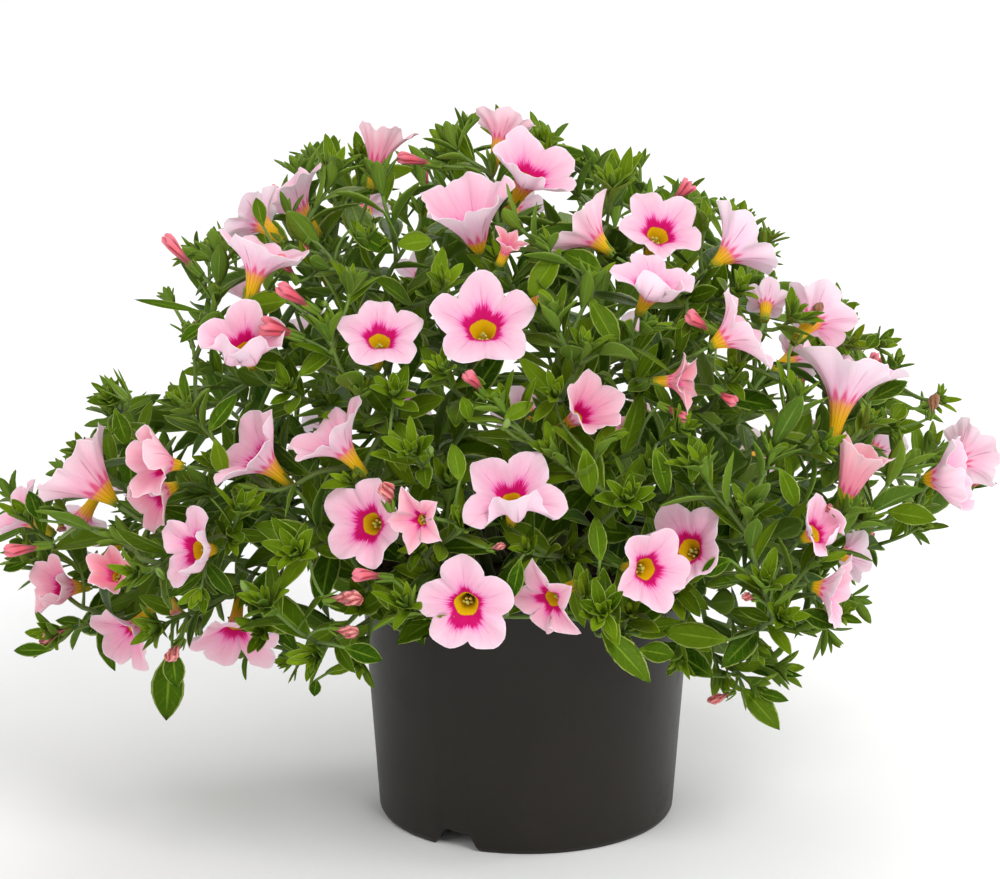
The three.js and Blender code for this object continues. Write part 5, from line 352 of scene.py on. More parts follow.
# stems: kind, branch, foot and tip radius in hundredths of a millimetre, then the points
STEMS = """
m 0 230 100 0 1 2 3 4 5 6 7 8 9 10
m 1 230 100 11 12 13 14 15 16 17 18 19 20 21
m 2 230 100 22 23 24 25 26 27 28 29 30 31 32
m 3 230 100 33 34 35 36 37 38 39 40 41 42 43
m 4 230 100 44 45 46 47 48 49 50 51 52 53 54
m 5 230 100 55 56 57 58 59 60 61 62 63 64 65
m 6 230 100 66 67 68 69 70 71 72 73 74 75 76
m 7 230 100 77 78 79 80 81 82 83 84 85 86 87
m 8 230 100 88 89 90 91 92 93 94 95 96 97 98
m 9 219 100 99 100 101 102 103 104 105 106 107 108 109
m 10 230 100 110 111 112 113 114 115 116 117 118 119 120
m 11 230 100 121 122 123 124 125 126 127 128 129 130 131
s 11 119 62 125 132 133 134 135 136 137 138
s 10 135 62 118 139 140 141 142 143 144 145
s 3 113 62 40 146 147 148 149 150 151 152
s 10 108 62 140 153 154 155 156 157 158 159
s 5 110 62 63 160 161 162 163 164 165 166
s 7 115 62 85 167 168 169 170 171 172 173
s 6 105 62 71 174 175 176 177 178 179 180
s 6 92 62 176 181 182 183 184 185 186 187
s 9 92 62 106 188 189 190 191 192 193 194
s 7 92 62 170 195 196 197 198 199 200 201
s 7 106 62 79 202 203 204 205 206 207 208
s 9 119 62 109 209 210 211 212 213 214 215
s 0 92 62 8 216 217 218 219 220 221 222
s 3 92 62 41 223 224 225 226 227 228 229
s 1 134 62 18 230 231 232 233 234 235 236
s 11 124 62 130 237 238 239 240 241 242 243
s 11 101 62 133 244 245 246 247 248 249 250
s 5 121 62 64 251 252 253 254 255 256 257
s 8 119 62 95 258 259 260 261 262 263 264
s 0 125 62 9 265 266 267 268 269 270 271
s 6 119 62 75 272 273 274 275 276 277 278
s 4 108 62 53 279 280 281 282 283 284 285
s 3 135 62 43 286 287 288 289 290 291 292
s 1 101 62 20 293 294 295 296 297 298 299
s 8 127 62 98 300 301 302 303 304 305 306
s 6 116 62 74 307 308 309 310 311 312 313
s 10 125 62 142 314 315 316 317 318 319 320
s 11 97 62 246 321 322 323 324 325 326 327
s 4 128 62 54 328 329 330 331 332 333 334
s 0 92 62 8 335 336 337 338 339 340 341
s 8 117 62 259 342 343 344 345 346 347 348
s 10 105 62 157 349 350 351 352 353 354 355
s 11 110 62 133 356 357 358 359 360 361 362
s 3 126 62 287 363 364 365 366 367 368 369
s 9 104 62 109 370 371 372 373 374 375 376
s 4 104 62 330 377 378 379 380 381 382 383
s 10 122 62 314 384 385 386 387 388 389 390
s 6 122 62 74 391 392 393 394 395 396 397
s 10 112 62 384 398 399 400 401 402 403 404
s 10 116 62 120 405 406 407 408 409 410 411
s 5 112 62 65 412 413 414 415 416 417 418
s 10 105 62 388 419 420 421 422 423 424 425
s 3 97 62 289 426 427 428 429 430 431 432
s 7 118 62 87 433 434 435 436 437 438 439
s 8 101 62 98 440 441 442 443 444 445 446
s 8 101 62 96 447 448 449 450 451 452 453
s 1 97 62 293 454 455 456 457 458 459 460
s 2 109 62 31 461 462 463 464 465 466 467
s 5 92 62 415 468 469 470 471 472 473 474
s 3 110 62 151 475 476 477 478 479 480 481
s 11 92 62 130 482 483 484 485 486 487 488
s 9 98 62 209 489 490 491 492 493 494 495
s 8 126 62 300 496 497 498 499 500 501 502
s 1 125 62 21 503 504 505 506 507 508 509
s 3 100 62 291 510 511 512 513 514 515 516
s 9 99 62 375 517 518 519 520 521 522 523
s 7 111 62 172 524 525 526 527 528 529 530
s 2 92 62 461 531 532 533 534 535 536 537
s 3 93 62 511 538 539 540 541 542 543 544
s 8 109 62 499 545 546 547 548 549 550 551
s 3 108 62 477 552 553 554 555 556 557 558
s 8 92 62 500 559 560 561 562 563 564 565
s 5 107 62 165 566 567 568 569 570 571 572
s 11 92 62 326 573 574 575 576 577 578 579
s 3 125 62 363 580 581 582 583 584 585 586
s 0 119 62 10 587 588 589 590 591 592 593
s 9 112 62 212 594 595 596 597 598 599 600
s 6 99 62 179 601 602 603 604 605 606 607
s 11 100 62 360 608 609 610 611 612 613 614
s 5 92 62 417 615 616 617 618 619 620 621
s 7 99 62 436 622 623 624 625 626 627 628
s 7 110 62 437 629 630 631 632 633 634 635
s 0 117 62 589 636 637 638 639 640 641 642
s 7 93 62 626 643 644 645 646 647 648 649
s 10 100 62 403 650 651 652 653 654 655 656
s 11 128 62 131 657 658 659 660 661 662 663
s 7 96 62 87 664 665 666 667 668 669 670
s 7 99 62 527 671 672 673 674 675 676 677
s 10 92 62 318 678 679 680 681 682 683 684
s 5 119 62 256 685 686 687 688 689 690 691
s 3 92 62 43 692 693 694 695 696 697 698
s 0 112 62 636 699 700 701 702 703 704 705
s 6 118 62 277 706 707 708 709 710 711 712
s 1 133 62 235 713 714 715 716 717 718 719
s 4 106 62 284 720 721 722 723 724 725 726
s 6 106 62 76 727 728 729 730 731 732 733
s 10 102 62 354 734 735 736 737 738 739 740
s 1 130 62 714 741 742 743 744 745 746 747
s 0 92 62 703 748 749 750 751 752 753 754
s 6 100 62 730 755 756 757 758 759 760 761
s 2 129 62 32 762 763 764 765 766 767 768
s 5 99 62 417 769 770 771 772 773 774 775
s 5 102 62 687 776 777 778 779 780 781 782
s 10 95 62 410 783 784 785 786 787 788 789
s 4 97 62 720 790 791 792 793 794 795 796
s 11 122 62 242 797 798 799 800 801 802 803
s 2 116 62 765 804 805 806 807 808 809 810
s 7 103 62 207 811 812 813 814 815 816 817
s 3 92 62 431 818 819 820 821 822 823 824
s 9 97 62 599 825 826 827 828 829 830 831
s 6 92 62 707 832 833 834 835 836 837 838
s 0 92 62 703 839 840 841 842 843 844 845
s 4 120 62 333 846 847 848 849 850 851 852
s 11 92 62 662 853 854 855 856 857 858 859
s 10 101 62 419 860 861 862 863 864 865 866
s 11 99 62 361 867 868 869 870 871 872 873
s 5 108 62 686 874 875 876 877 878 879 880
s 0 124 62 270 881 882 883 884 885 886 887
s 8 115 62 347 888 889 890 891 892 893 894
s 1 101 62 745 895 896 897 898 899 900 901
s 9 104 62 599 902 903 904 905 906 907 908
s 4 107 62 846 909 910 911 912 913 914 915
s 10 98 62 863 916 917 918 919 920 921 922
s 10 100 62 403 923 924 925 926 927 928 929
s 10 98 62 739 930 931 932 933 934 935 936
s 0 120 62 883 937 938 939 940 941 942 943
s 7 108 62 629 944 945 946 947 948 949 950
s 7 105 62 946 951 952 953 954 955 956 957
s 4 101 62 382 958 959 960 961 962 963 964
s 4 92 62 847 965 966 967 968 969 970 971
s 1 119 62 508 972 973 974 975 976 977 978
s 6 105 62 396 979 980 981 982 983 984 985
s 6 114 62 312 986 987 988 989 990 991 992
s 6 112 62 396 993 994 995 996 997 998 999
s 5 92 62 571 1000 1001 1002 1003 1004 1005 1006
s 8 104 62 888 1007 1008 1009 1010 1011 1012 1013
s 0 114 62 941 1014 1015 1016 1017 1018 1019 1020
s 11 118 62 800 1021 1022 1023 1024 1025 1026 1027
s 8 111 62 501 1028 1029 1030 1031 1032 1033 1034
s 9 92 62 494 1035 1036 1037 1038 1039 1040 1041
s 10 109 62 410 1042 1043 1044 1045 1046 1047 1048
s 11 123 62 660 1049 1050 1051 1052 1053 1054 1055
s 0 104 62 1016 1056 1057 1058 1059 1060 1061 1062
s 10 93 62 931 1063 1064 1065 1066 1067 1068 1069
s 8 97 62 452 1070 1071 1072 1073 1074 1075 1076
s 8 97 62 445 1077 1078 1079 1080 1081 1082 1083
s 1 92 62 973 1084 1085 1086 1087 1088 1089 1090
s 2 103 62 809 1091 1092 1093 1094 1095 1096 1097
s 4 92 62 958 1098 1099 1100 1101 1102 1103 1104
s 10 96 62 927 1105 1106 1107 1108 1109 1110 1111
s 8 101 62 1028 1112 1113 1114 1115 1116 1117 1118
s 3 123 62 585 1119 1120 1121 1122 1123 1124 1125
s 2 101 62 466 1126 1127 1128 1129 1130 1131 1132
s 2 92 62 1128 1133 1134 1135 1136 1137 1138 1139
s 10 106 62 1045 1140 1141 1142 1143 1144 1145 1146
s 9 92 62 830 1147 1148 1149 1150 1151 1152 1153
s 9 101 62 907 1154 1155 1156 1157 1158 1159 1160
s 5 95 62 417 1161 1162 1163 1164 1165 1166 1167
s 1 100 62 508 1168 1169 1170 1171 1172 1173 1174
s 1 92 62 459 1175 1176 1177 1178 1179 1180 1181
s 10 93 62 920 1182 1183 1184 1185 1186 1187 1188
s 2 105 62 805 1189 1190 1191 1192 1193 1194 1195
s 3 109 62 1124 1196 1197 1198 1199 1200 1201 1202
s 11 120 62 1053 1203 1204 1205 1206 1207 1208 1209
s 7 100 62 529 1210 1211 1212 1213 1214 1215 1216
s 6 95 62 606 1217 1218 1219 1220 1221 1222 1223
s 11 107 62 1205 1224 1225 1226 1227 1228 1229 1230
s 10 104 62 1140 1231 1232 1233 1234 1235 1236 1237
s 3 105 62 1200 1238 1239 1240 1241 1242 1243 1244
s 9 97 62 1159 1245 1246 1247 1248 1249 1250 1251
s 8 107 62 550 1252 1253 1254 1255 1256 1257 1258
s 2 111 62 764 1259 1260 1261 1262 1263 1264 1265
s 10 92 62 1233 1266 1267 1268 1269 1270 1271 1272
s 3 92 62 1242 1273 1274 1275 1276 1277 1278 1279
s 6 114 62 711 1280 1281 1282 1283 1284 1285 1286
s 0 97 62 704 1287 1288 1289 1290 1291 1292 1293
s 0 98 62 704 1294 1295 1296 1297 1298 1299 1300
s 11 102 62 1203 1301 1302 1303 1304 1305 1306 1307
s 2 102 62 1262 1308 1309 1310 1311 1312 1313 1314
s 3 104 62 557 1315 1316 1317 1318 1319 1320 1321
s 3 99 62 1243 1322 1323 1324 1325 1326 1327 1328
s 3 106 62 1123 1329 1330 1331 1332 1333 1334 1335
s 10 95 62 655 1336 1337 1338 1339 1340 1341 1342
s 2 92 62 466 1343 1344 1345 1346 1347 1348 1349
s 4 101 62 914 1350 1351 1352 1353 1354 1355 1356
s 4 97 62 851 1357 1358 1359 1360 1361 1362 1363
s 0 97 62 1014 1364 1365 1366 1367 1368 1369 1370
s 11 96 62 613 1371 1372 1373 1374 1375 1376 1377
s 9 93 62 522 1378 1379 1380 1381 1382 1383 1384
s 10 96 62 1236 1385 1386 1387 1388 1389 1390 1391
s 4 98 62 1353 1392 1393 1394 1395 1396 1397 1398
s 11 95 62 872 1399 1400 1401 1402 1403 1404 1405
s 7 93 62 1213 1406 1407 1408 1409 1410 1411 1412
s 4 92 62 914 1413 1414 1415 1416 1417 1418 1419
s 0 92 62 1019 1420 1421 1422 1423 1424 1425 1426
s 6 110 62 1282 1427 1428 1429 1430 1431 1432 1433
s 1 92 62 718 1434 1435 1436 1437 1438 1439 1440
s 1 123 62 746 1441 1442 1443 1444 1445 1446 1447
s 5 92 62 690 1448 1449 1450 1451 1452 1453 1454
s 5 99 62 571 1455 1456 1457 1458 1459 1460 1461
s 1 121 62 1442 1462 1463 1464 1465 1466 1467 1468
s 2 92 62 1130 1469 1470 1471 1472 1473 1474 1475
s 11 115 62 1024 1476 1477 1478 1479 1480 1481 1482
s 7 94 62 676 1483 1484 1485 1486 1487 1488 1489
s 5 93 62 1457 1490 1491 1492 1493 1494 1495 1496
s 0 94 62 641 1497 1498 1499 1500 1501 1502 1503
s 3 101 62 1318 1504 1505 1506 1507 1508 1509 1510
s 7 101 62 956 1511 1512 1513 1514 1515 1516 1517
s 0 101 62 1061 1518 1519 1520 1521 1522 1523 1524
s 1 103 62 1462 1525 1526 1527 1528 1529 1530 1531
s 4 92 62 963 1532 1533 1534 1535 1536 1537 1538
s 5 93 62 774 1539 1540 1541 1542 1543 1544 1545
s 6 105 62 1430 1546 1547 1548 1549 1550 1551 1552
s 11 95 62 662 1553 1554 1555 1556 1557 1558 1559
s 11 94 62 802 1560 1561 1562 1563 1564 1565 1566
s 6 96 62 760 1567 1568 1569 1570 1571 1572 1573
s 6 109 62 991 1574 1575 1576 1577 1578 1579 1580
s 6 97 62 997 1581 1582 1583 1584 1585 1586 1587
s 3 102 62 1334 1588 1589 1590 1591 1592 1593 1594
s 1 111 62 1465 1595 1596 1597 1598 1599 1600 1601
s 1 97 62 900 1602 1603 1604 1605 1606 1607 1608
s 3 98 62 1589 1609 1610 1611 1612 1613 1614 1615
s 8 92 62 1082 1616 1617 1618 1619 1620 1621 1622
s 0 93 62 886 1623 1624 1625 1626 1627 1628 1629
s 11 101 62 1481 1630 1631 1632 1633 1634 1635 1636
s 9 92 62 1250 1637 1638 1639 1640 1641 1642 1643
s 6 92 62 1578 1644 1645 1646 1647 1648 1649 1650
s 6 98 62 998 1651 1652 1653 1654 1655 1656 1657
s 4 92 62 795 1658 1659 1660 1661 1662 1663 1664
s 6 102 62 1548 1665 1666 1667 1668 1669 1670 1671
s 0 92 62 1292 1672 1673 1674 1675 1676 1677 1678
s 11 92 62 1631 1679 1680 1681 1682 1683 1684 1685
s 5 97 62 781 1686 1687 1688 1689 1690 1691 1692
s 2 99 62 1096 1693 1694 1695 1696 1697 1698 1699
s 3 94 62 1327 1700 1701 1702 1703 1704 1705 1706
s 11 92 62 1635 1707 1708 1709 1710 1711 1712 1713
s 8 101 62 1012 1714 1715 1716 1717 1718 1719 1720
s 8 97 62 1718 1721 1722 1723 1724 1725 1726 1727
s 0 97 62 942 1728 1729 1730 1731 1732 1733 1734
s 4 95 62 725 1735 1736 1737 1738 1739 1740 1741
s 1 95 62 977 1742 1743 1744 1745 1746 1747 1748
s 6 92 62 1431 1749 1750 1751 1752 1753 1754 1755
s 7 98 62 1516 1756 1757 1758 1759 1760 1761 1762
s 3 97 62 1507 1763 1764 1765 1766 1767 1768 1769
s 2 94 62 1693 1770 1771 1772 1773 1774 1775 1776
s 4 97 62 851 1777 1778 1779 1780 1781 1782 1783
s 0 92 62 1369 1784 1785 1786 1787 1788 1789 1790
s 5 92 62 1688 1791 1792 1793 1794 1795 1796 1797
s 6 98 62 1576 1798 1799 1800 1801 1802 1803 1804
s 6 92 62 1584 1805 1806 1807 1808 1809 1810 1811
s 4 93 62 1397 1812 1813 1814 1815 1816 1817 1818
s 6 92 62 991 1819 1820 1821 1822 1823 1824 1825
s 0 98 62 1523 1826 1827 1828 1829 1830 1831 1832
s 8 94 62 893 1833 1834 1835 1836 1837 1838 1839
s 8 97 62 1257 1840 1841 1842 1843 1844 1845 1846
s 3 92 62 1614 1847 1848 1849 1850 1851 1852 1853
s 4 92 62 1780 1854 1855 1856 1857 1858 1859 1860
s 1 112 62 977 1861 1862 1863 1864 1865 1866 1867
s 8 98 62 893 1868 1869 1870 1871 1872 1873 1874
s 7 92 62 1761 1875 1876 1877 1878 1879 1880 1881
s 8 92 62 1075 1882 1883 1884 1885 1886 1887 1888
s 0 92 62 1827 1889 1890 1891 1892 1893 1894 1895
s 8 92 62 1726 1896 1897 1898 1899 1900 1901 1902
s 1 100 62 1530 1903 1904 1905 1906 1907 1908 1909
s 2 102 62 1194 1910 1911 1912 1913 1914 1915 1916
s 7 99 62 816 1917 1918 1919 1920 1921 1922 1923
s 4 92 62 1362 1924 1925 1926 1927 1928 1929 1930
s 8 92 62 1257 1931 1932 1933 1934 1935 1936 1937
s 6 93 62 1801 1938 1939 1940 1941 1942 1943 1944
s 6 92 62 1575 1945 1946 1947 1948 1949 1950 1951
s 8 92 62 1841 1952 1953 1954 1955 1956 1957 1958
s 7 92 62 1917 1959 1960 1961 1962 1963 1964 1965
s 1 93 62 1908 1966 1967 1968 1969 1970 1971 1972
s 6 92 62 1653 1973 1974 1975 1976 1977 1978 1979
s 6 97 62 1670 1980 1981 1982 1983 1984 1985 1986
s 8 95 62 1033 1987 1988 1989 1990 1991 1992 1993
s 1 97 62 1863 1994 1995 1996 1997 1998 1999 2000
s 2 97 62 1264 2001 2002 2003 2004 2005 2006 2007
s 5 100 62 879 2008 2009 2010 2011 2012 2013 2014
s 6 92 62 1983 2015 2016 2017 2018 2019 2020 2021
s 0 93 62 1299 2022 2023 2024 2025 2026 2027 2028
s 6 100 62 984 2029 2030 2031 2032 2033 2034 2035
s 5 96 62 879 2036 2037 2038 2039 2040 2041 2042
s 11 104 62 1481 2043 2044 2045 2046 2047 2048 2049
s 8 92 62 1257 2050 2051 2052 2053 2054 2055 2056
s 0 92 62 1732 2057 2058 2059 2060 2061 2062 2063
s 1 104 62 1864 2064 2065 2066 2067 2068 2069 2070
s 8 92 62 1871 2071 2072 2073 2074 2075 2076 2077
s 6 97 62 998 2078 2079 2080 2081 2082 2083 2084
s 8 92 62 1033 2085 2086 2087 2088 2089 2090 2091
s 1 92 62 1173 2092 2093 2094 2095 2096 2097 2098
s 11 93 62 1208 2099 2100 2101 2102 2103 2104 2105
s 2 98 62 1313 2106 2107 2108 2109 2110 2111 2112
s 1 109 62 1600 2113 2114 2115 2116 2117 2118 2119
s 11 99 62 1306 2120 2121 2122 2123 2124 2125 2126
s 1 92 62 1995 2127 2128 2129 2130 2131 2132 2133
s 8 97 62 1117 2134 2135 2136 2137 2138 2139 2140
s 11 98 62 2046 2141 2142 2143 2144 2145 2146 2147
s 1 100 62 2066 2148 2149 2150 2151 2152 2153 2154
s 6 93 62 2034 2155 2156 2157 2158 2159 2160 2161
s 8 92 62 2136 2162 2163 2164 2165 2166 2167 2168
s 1 105 62 2118 2169 2170 2171 2172 2173 2174 2175
s 1 99 62 2173 2176 2177 2178 2179 2180 2181 2182
s 5 92 62 2013 2183 2184 2185 2186 2187 2188 2189
s 1 92 62 2152 2190 2191 2192 2193 2194 2195 2196
s 2 92 62 2002 2197 2198 2199 2200 2201 2202 2203
s 11 104 62 1229 2204 2205 2206 2207 2208 2209 2210
s 1 93 62 2181 2211 2212 2213 2214 2215 2216 2217
s 2 92 62 2110 2218 2219 2220 2221 2222 2223 2224
s 1 92 62 2174 2225 2226 2227 2228 2229 2230 2231
s 11 95 62 2124 2232 2233 2234 2235 2236 2237 2238
s 11 94 62 2145 2239 2240 2241 2242 2243 2244 2245
s 2 97 62 1915 2246 2247 2248 2249 2250 2251 2252
s 11 99 62 2206 2253 2254 2255 2256 2257 2258 2259
s 11 92 62 2257 2260 2261 2262 2263 2264 2265 2266
s 2 92 62 2250 2267 2268 2269 2270 2271 2272 2273
f 5 60 62 569 2274 2275 2276 2277 2278
f 9 60 62 375 2279 2280 2281 2282 2283
f 9 60 62 490 2284 2285 2286 2287 2288
f 3 60 62 554 2289 2290 2291 2292 2293
f 10 60 62 401 2294 2295 2296 2297 2298
f 10 60 62 410 2299 2300 2301 2302 2303
f 10 60 62 410 2304 2305 2306 2307 2308
f 5 60 62 570 2309 2310 2311 2312 2313
f 10 60 62 785 2314 2315 2316 2317 2318
f 11 60 62 1050 2319 2320 2321 2322 2323
f 10 60 62 651 2324 2325 2326 2327 2328
f 7 60 62 667 2329 2330 2331 2332 2333
f 5 60 62 772 2334 2335 2336 2337 2338
f 9 60 62 522 2339 2340 2341 2342 2343
f 7 60 62 1210 2344 2345 2346 2347 2348
f 5 60 62 1161 2349 2350 2351 2352 2353
f 2 60 62 807 2354 2355 2356 2357 2358
f 7 60 62 529 2359 2360 2361 2362 2363
f 6 60 62 1281 2364 2365 2366 2367 2368
f 3 60 62 1120 2369 2370 2371 2372 2373
f 7 60 62 669 2374 2375 2376 2377 2378
f 5 60 62 781 2379 2380 2381 2382 2383
f 1 60 62 718 2384 2385 2386 2387 2388
f 7 60 62 1917 2389 2390 2391 2392 2393
f 5 60 62 2036 2394 2395 2396 2397 2398
f 8 60 62 1833 2399 2400 2401 2402 2403
f 3 60 62 1122 2404 2405 2406 2407 2408
f 3 60 62 1122 2409 2410 2411 2412 2413
f 10 60 62 1108 2414 2415 2416 2417 2418
f 10 60 62 1338 2419 2420 2421 2422 2423
f 4 60 62 1736 2424 2425 2426 2427 2428
f 6 60 62 732 2429 2430 2431 2432 2433
f 11 60 62 1226 2434 2435 2436 2437 2438
f 11 60 62 1372 2439 2440 2441 2442 2443
f 6 60 62 984 2444 2445 2446 2447 2448
f 1 60 62 746 2449 2450 2451 2452 2453
f 6 60 62 732 2454 2455 2456 2457 2458
f 11 60 62 1478 2459 2460 2461 2462 2463
f 8 60 62 1987 2464 2465 2466 2467 2468
f 6 60 62 1651 2469 2470 2471 2472 2473
f 6 60 62 2029 2474 2475 2476 2477 2478
f 3 60 62 1333 2479 2480 2481 2482 2483
f 6 60 62 1576 2484 2485 2486 2487 2488
f 5 60 62 2008 2489 2490 2491 2492 2493
f 5 60 62 2037 2494 2495 2496 2497 2498
f 11 60 62 1026 2499 2500 2501 2502 2503
f 2 60 62 1264 2504 2505 2506 2507 2508
f 1 60 62 1173 2509 2510 2511 2512 2513
f 6 60 62 732 2514 2515 2516 2517 2518
f 3 60 62 1763 2519 2520 2521 2522 2523
f 3 60 62 1764 2524 2525 2526 2527 2528
f 1 60 62 1603 2529 2530 2531 2532 2533
f 2 60 62 1772 2534 2535 2536 2537 2538
f 1 60 62 1746 2539 2540 2541 2542 2543
f 6 60 62 1579 2544 2545 2546 2547 2548
f 6 60 62 2032 2549 2550 2551 2552 2553
f 0 60 62 1502 2554 2555 2556 2557 2558
f 11 60 62 1565 2559 2560 2561 2562 2563
f 1 60 62 1173 2564 2565 2566 2567 2568
f 11 60 62 1054 2569 2570 2571 2572 2573
f 2 60 62 1914 2574 2575 2576 2577 2578
f 6 60 62 1572 2579 2580 2581 2582 2583
f 11 60 62 2043 2584 2585 2586 2587 2588
f 3 60 62 1705 2589 2590 2591 2592 2593
f 2 60 62 2106 2594 2595 2596 2597 2598
f 1 60 62 2149 2599 2600 2601 2602 2603
f 1 60 62 1607 2604 2605 2606 2607 2608
f 11 60 62 2255 2609 2610 2611 2612 2613
g 3 55 50 538 2614 2615 2616
g 11 55 50 249 2617 2618 2619
g 3 55 50 513 2620 2621 2622
b 3 50 50 513 2623 2624 2625 2626
g 3 55 50 513 2627 2628 2629
g 3 55 50 515 2630 2631 2632
b 7 50 50 648 2633 2634 2635 2636
g 10 55 50 736 2637 2638 2639
g 3 55 50 1120 2640 2641 2642
b 7 50 50 625 2643 2644 2645 2646
b 5 50 50 1164 2647 2648 2649 2650
b 7 50 50 948 2651 2652 2653 2654
b 7 50 50 1210 2655 2656 2657 2658
b 5 50 50 1456 2659 2660 2661 2662
g 10 55 50 788 2663 2664 2665
g 10 55 50 933 2666 2667 2668
g 10 55 50 1066 2669 2670 2671
g 11 55 50 1399 2672 2673 2674
b 11 50 50 1400 2675 2676 2677 2678
b 10 50 50 1185 2679 2680 2681 2682
b 10 50 50 1109 2683 2684 2685 2686
g 3 55 50 1329 2687 2688 2689
g 3 55 50 1124 2690 2691 2692
b 3 50 50 1196 2693 2694 2695 2696
g 11 55 50 1556 2700 2701 2702
g 10 55 50 1110 2703 2704 2705
b 6 50 50 1219 2706 2707 2708 2709
b 7 50 50 1485 2710 2711 2712 2713
b 4 50 50 1737 2714 2715 2716 2717
b 11 50 50 1375 2718 2719 2720 2721
b 7 50 50 1486 2722 2723 2724 2725
b 9 50 50 1381 2726 2727 2728 2729
g 6 55 50 1284 2730 2731 2732
g 6 55 50 1221 2733 2734 2735
b 10 50 50 1340 2736 2737 2738 2739
g 11 55 50 1375 2740 2741 2742
g 10 55 50 1388 2743 2744 2745
b 2 50 50 1695 2746 2747 2748 2749
g 6 55 50 1222 2750 2751 2752
g 10 55 50 1388 2753 2754 2755
b 5 50 50 1493 2756 2757 2758 2759
b 10 50 50 1387 2760 2761 2762 2763
b 11 50 50 1557 2764 2765 2766 2767
b 7 50 50 1410 2768 2769 2770 2771
b 10 50 50 1389 2772 2773 2774 2775
b 6 50 50 1571 2776 2777 2778 2779
g 1 55 50 1446 2780 2781 2782
g 3 55 50 1327 2783 2784 2785
b 10 50 50 928 2786 2787 2788 2789
b 11 50 50 1404 2790 2791 2792 2793
g 11 55 50 1558 2794 2795 2796
b 3 50 50 1589 2797 2798 2799 2800
b 7 50 50 1920 2801 2802 2803 2804
b 11 50 50 1480 2805 2806 2807 2808
b 8 50 50 1870 2809 2810 2811 2812
g 6 55 50 1667 2813 2814 2815
b 5 50 50 2010 2816 2817 2818 2819
g 3 55 50 1613 2820 2821 2822
g 6 55 50 1669 2823 2824 2825
b 4 50 50 1815 2826 2827 2828 2829
g 1 55 50 1607 2830 2831 2832
b 7 50 50 1758 2833 2834 2835 2836
g 6 55 50 2081 2837 2838 2839
b 5 50 50 1541 2840 2841 2842 2843
g 3 55 50 1768 2844 2845 2846
g 3 55 50 1767 2847 2848 2849
g 1 55 50 1605 2850 2851 2852
b 11 50 50 2045 2853 2854 2855 2856
b 6 50 50 2080 2857 2858 2859 2860
b 6 50 50 1572 2861 2862 2863 2864
b 5 50 50 2012 2865 2866 2867 2868
g 1 55 50 1746 2869 2870 2871
b 0 50 50 2024 2872 2873 2874 2875
b 1 50 50 1907 2876 2877 2878 2879
g 1 55 50 2115 2880 2881 2882
g 1 55 50 2148 2883 2884 2885
g 1 55 50 2116 2886 2887 2888
b 6 50 50 1943 2889 2890 2891 2892
b 6 50 50 2082 2893 2894 2895 2896
g 0 55 50 1831 2897 2898 2899
b 1 50 50 2148 2900 2901 2902 2903
b 1 50 50 2068 2904 2905 2906 2907
b 0 50 50 1628 2908 2909 2910 2911
b 1 50 50 1908 2912 2913 2914 2915
b 6 50 50 2083 2916 2917 2918 2919
b 1 50 50 1967 2920 2921 2922 2923
g 6 55 50 2083 2924 2925 2926
b 6 50 50 2155 2927 2928 2929 2930
g 1 55 50 1908 2931 2932 2933
b 8 50 50 1992 2934 2935 2936 2937
b 11 50 50 2208 2938 2939 2940 2941
g 1 55 50 2178 2942 2943 2944
g 1 55 50 2179 2945 2946 2947
b 11 50 50 2104 2948 2949 2950 2951
b 11 50 50 2235 2952 2953 2954 2955
g 1 55 50 2069 2956 2957 2958
g 11 55 50 2235 2959 2960 2961
b 1 50 50 2212 2962 2963 2964 2965
g 11 55 50 2236 2966 2967 2968
g 11 55 50 2209 2969 2970 2971
b 11 50 50 2243 2972 2973 2974 2975
g 11 55 50 2257 2976 2977 2978
g 11 55 50 2243 2979 2980 2981
"""
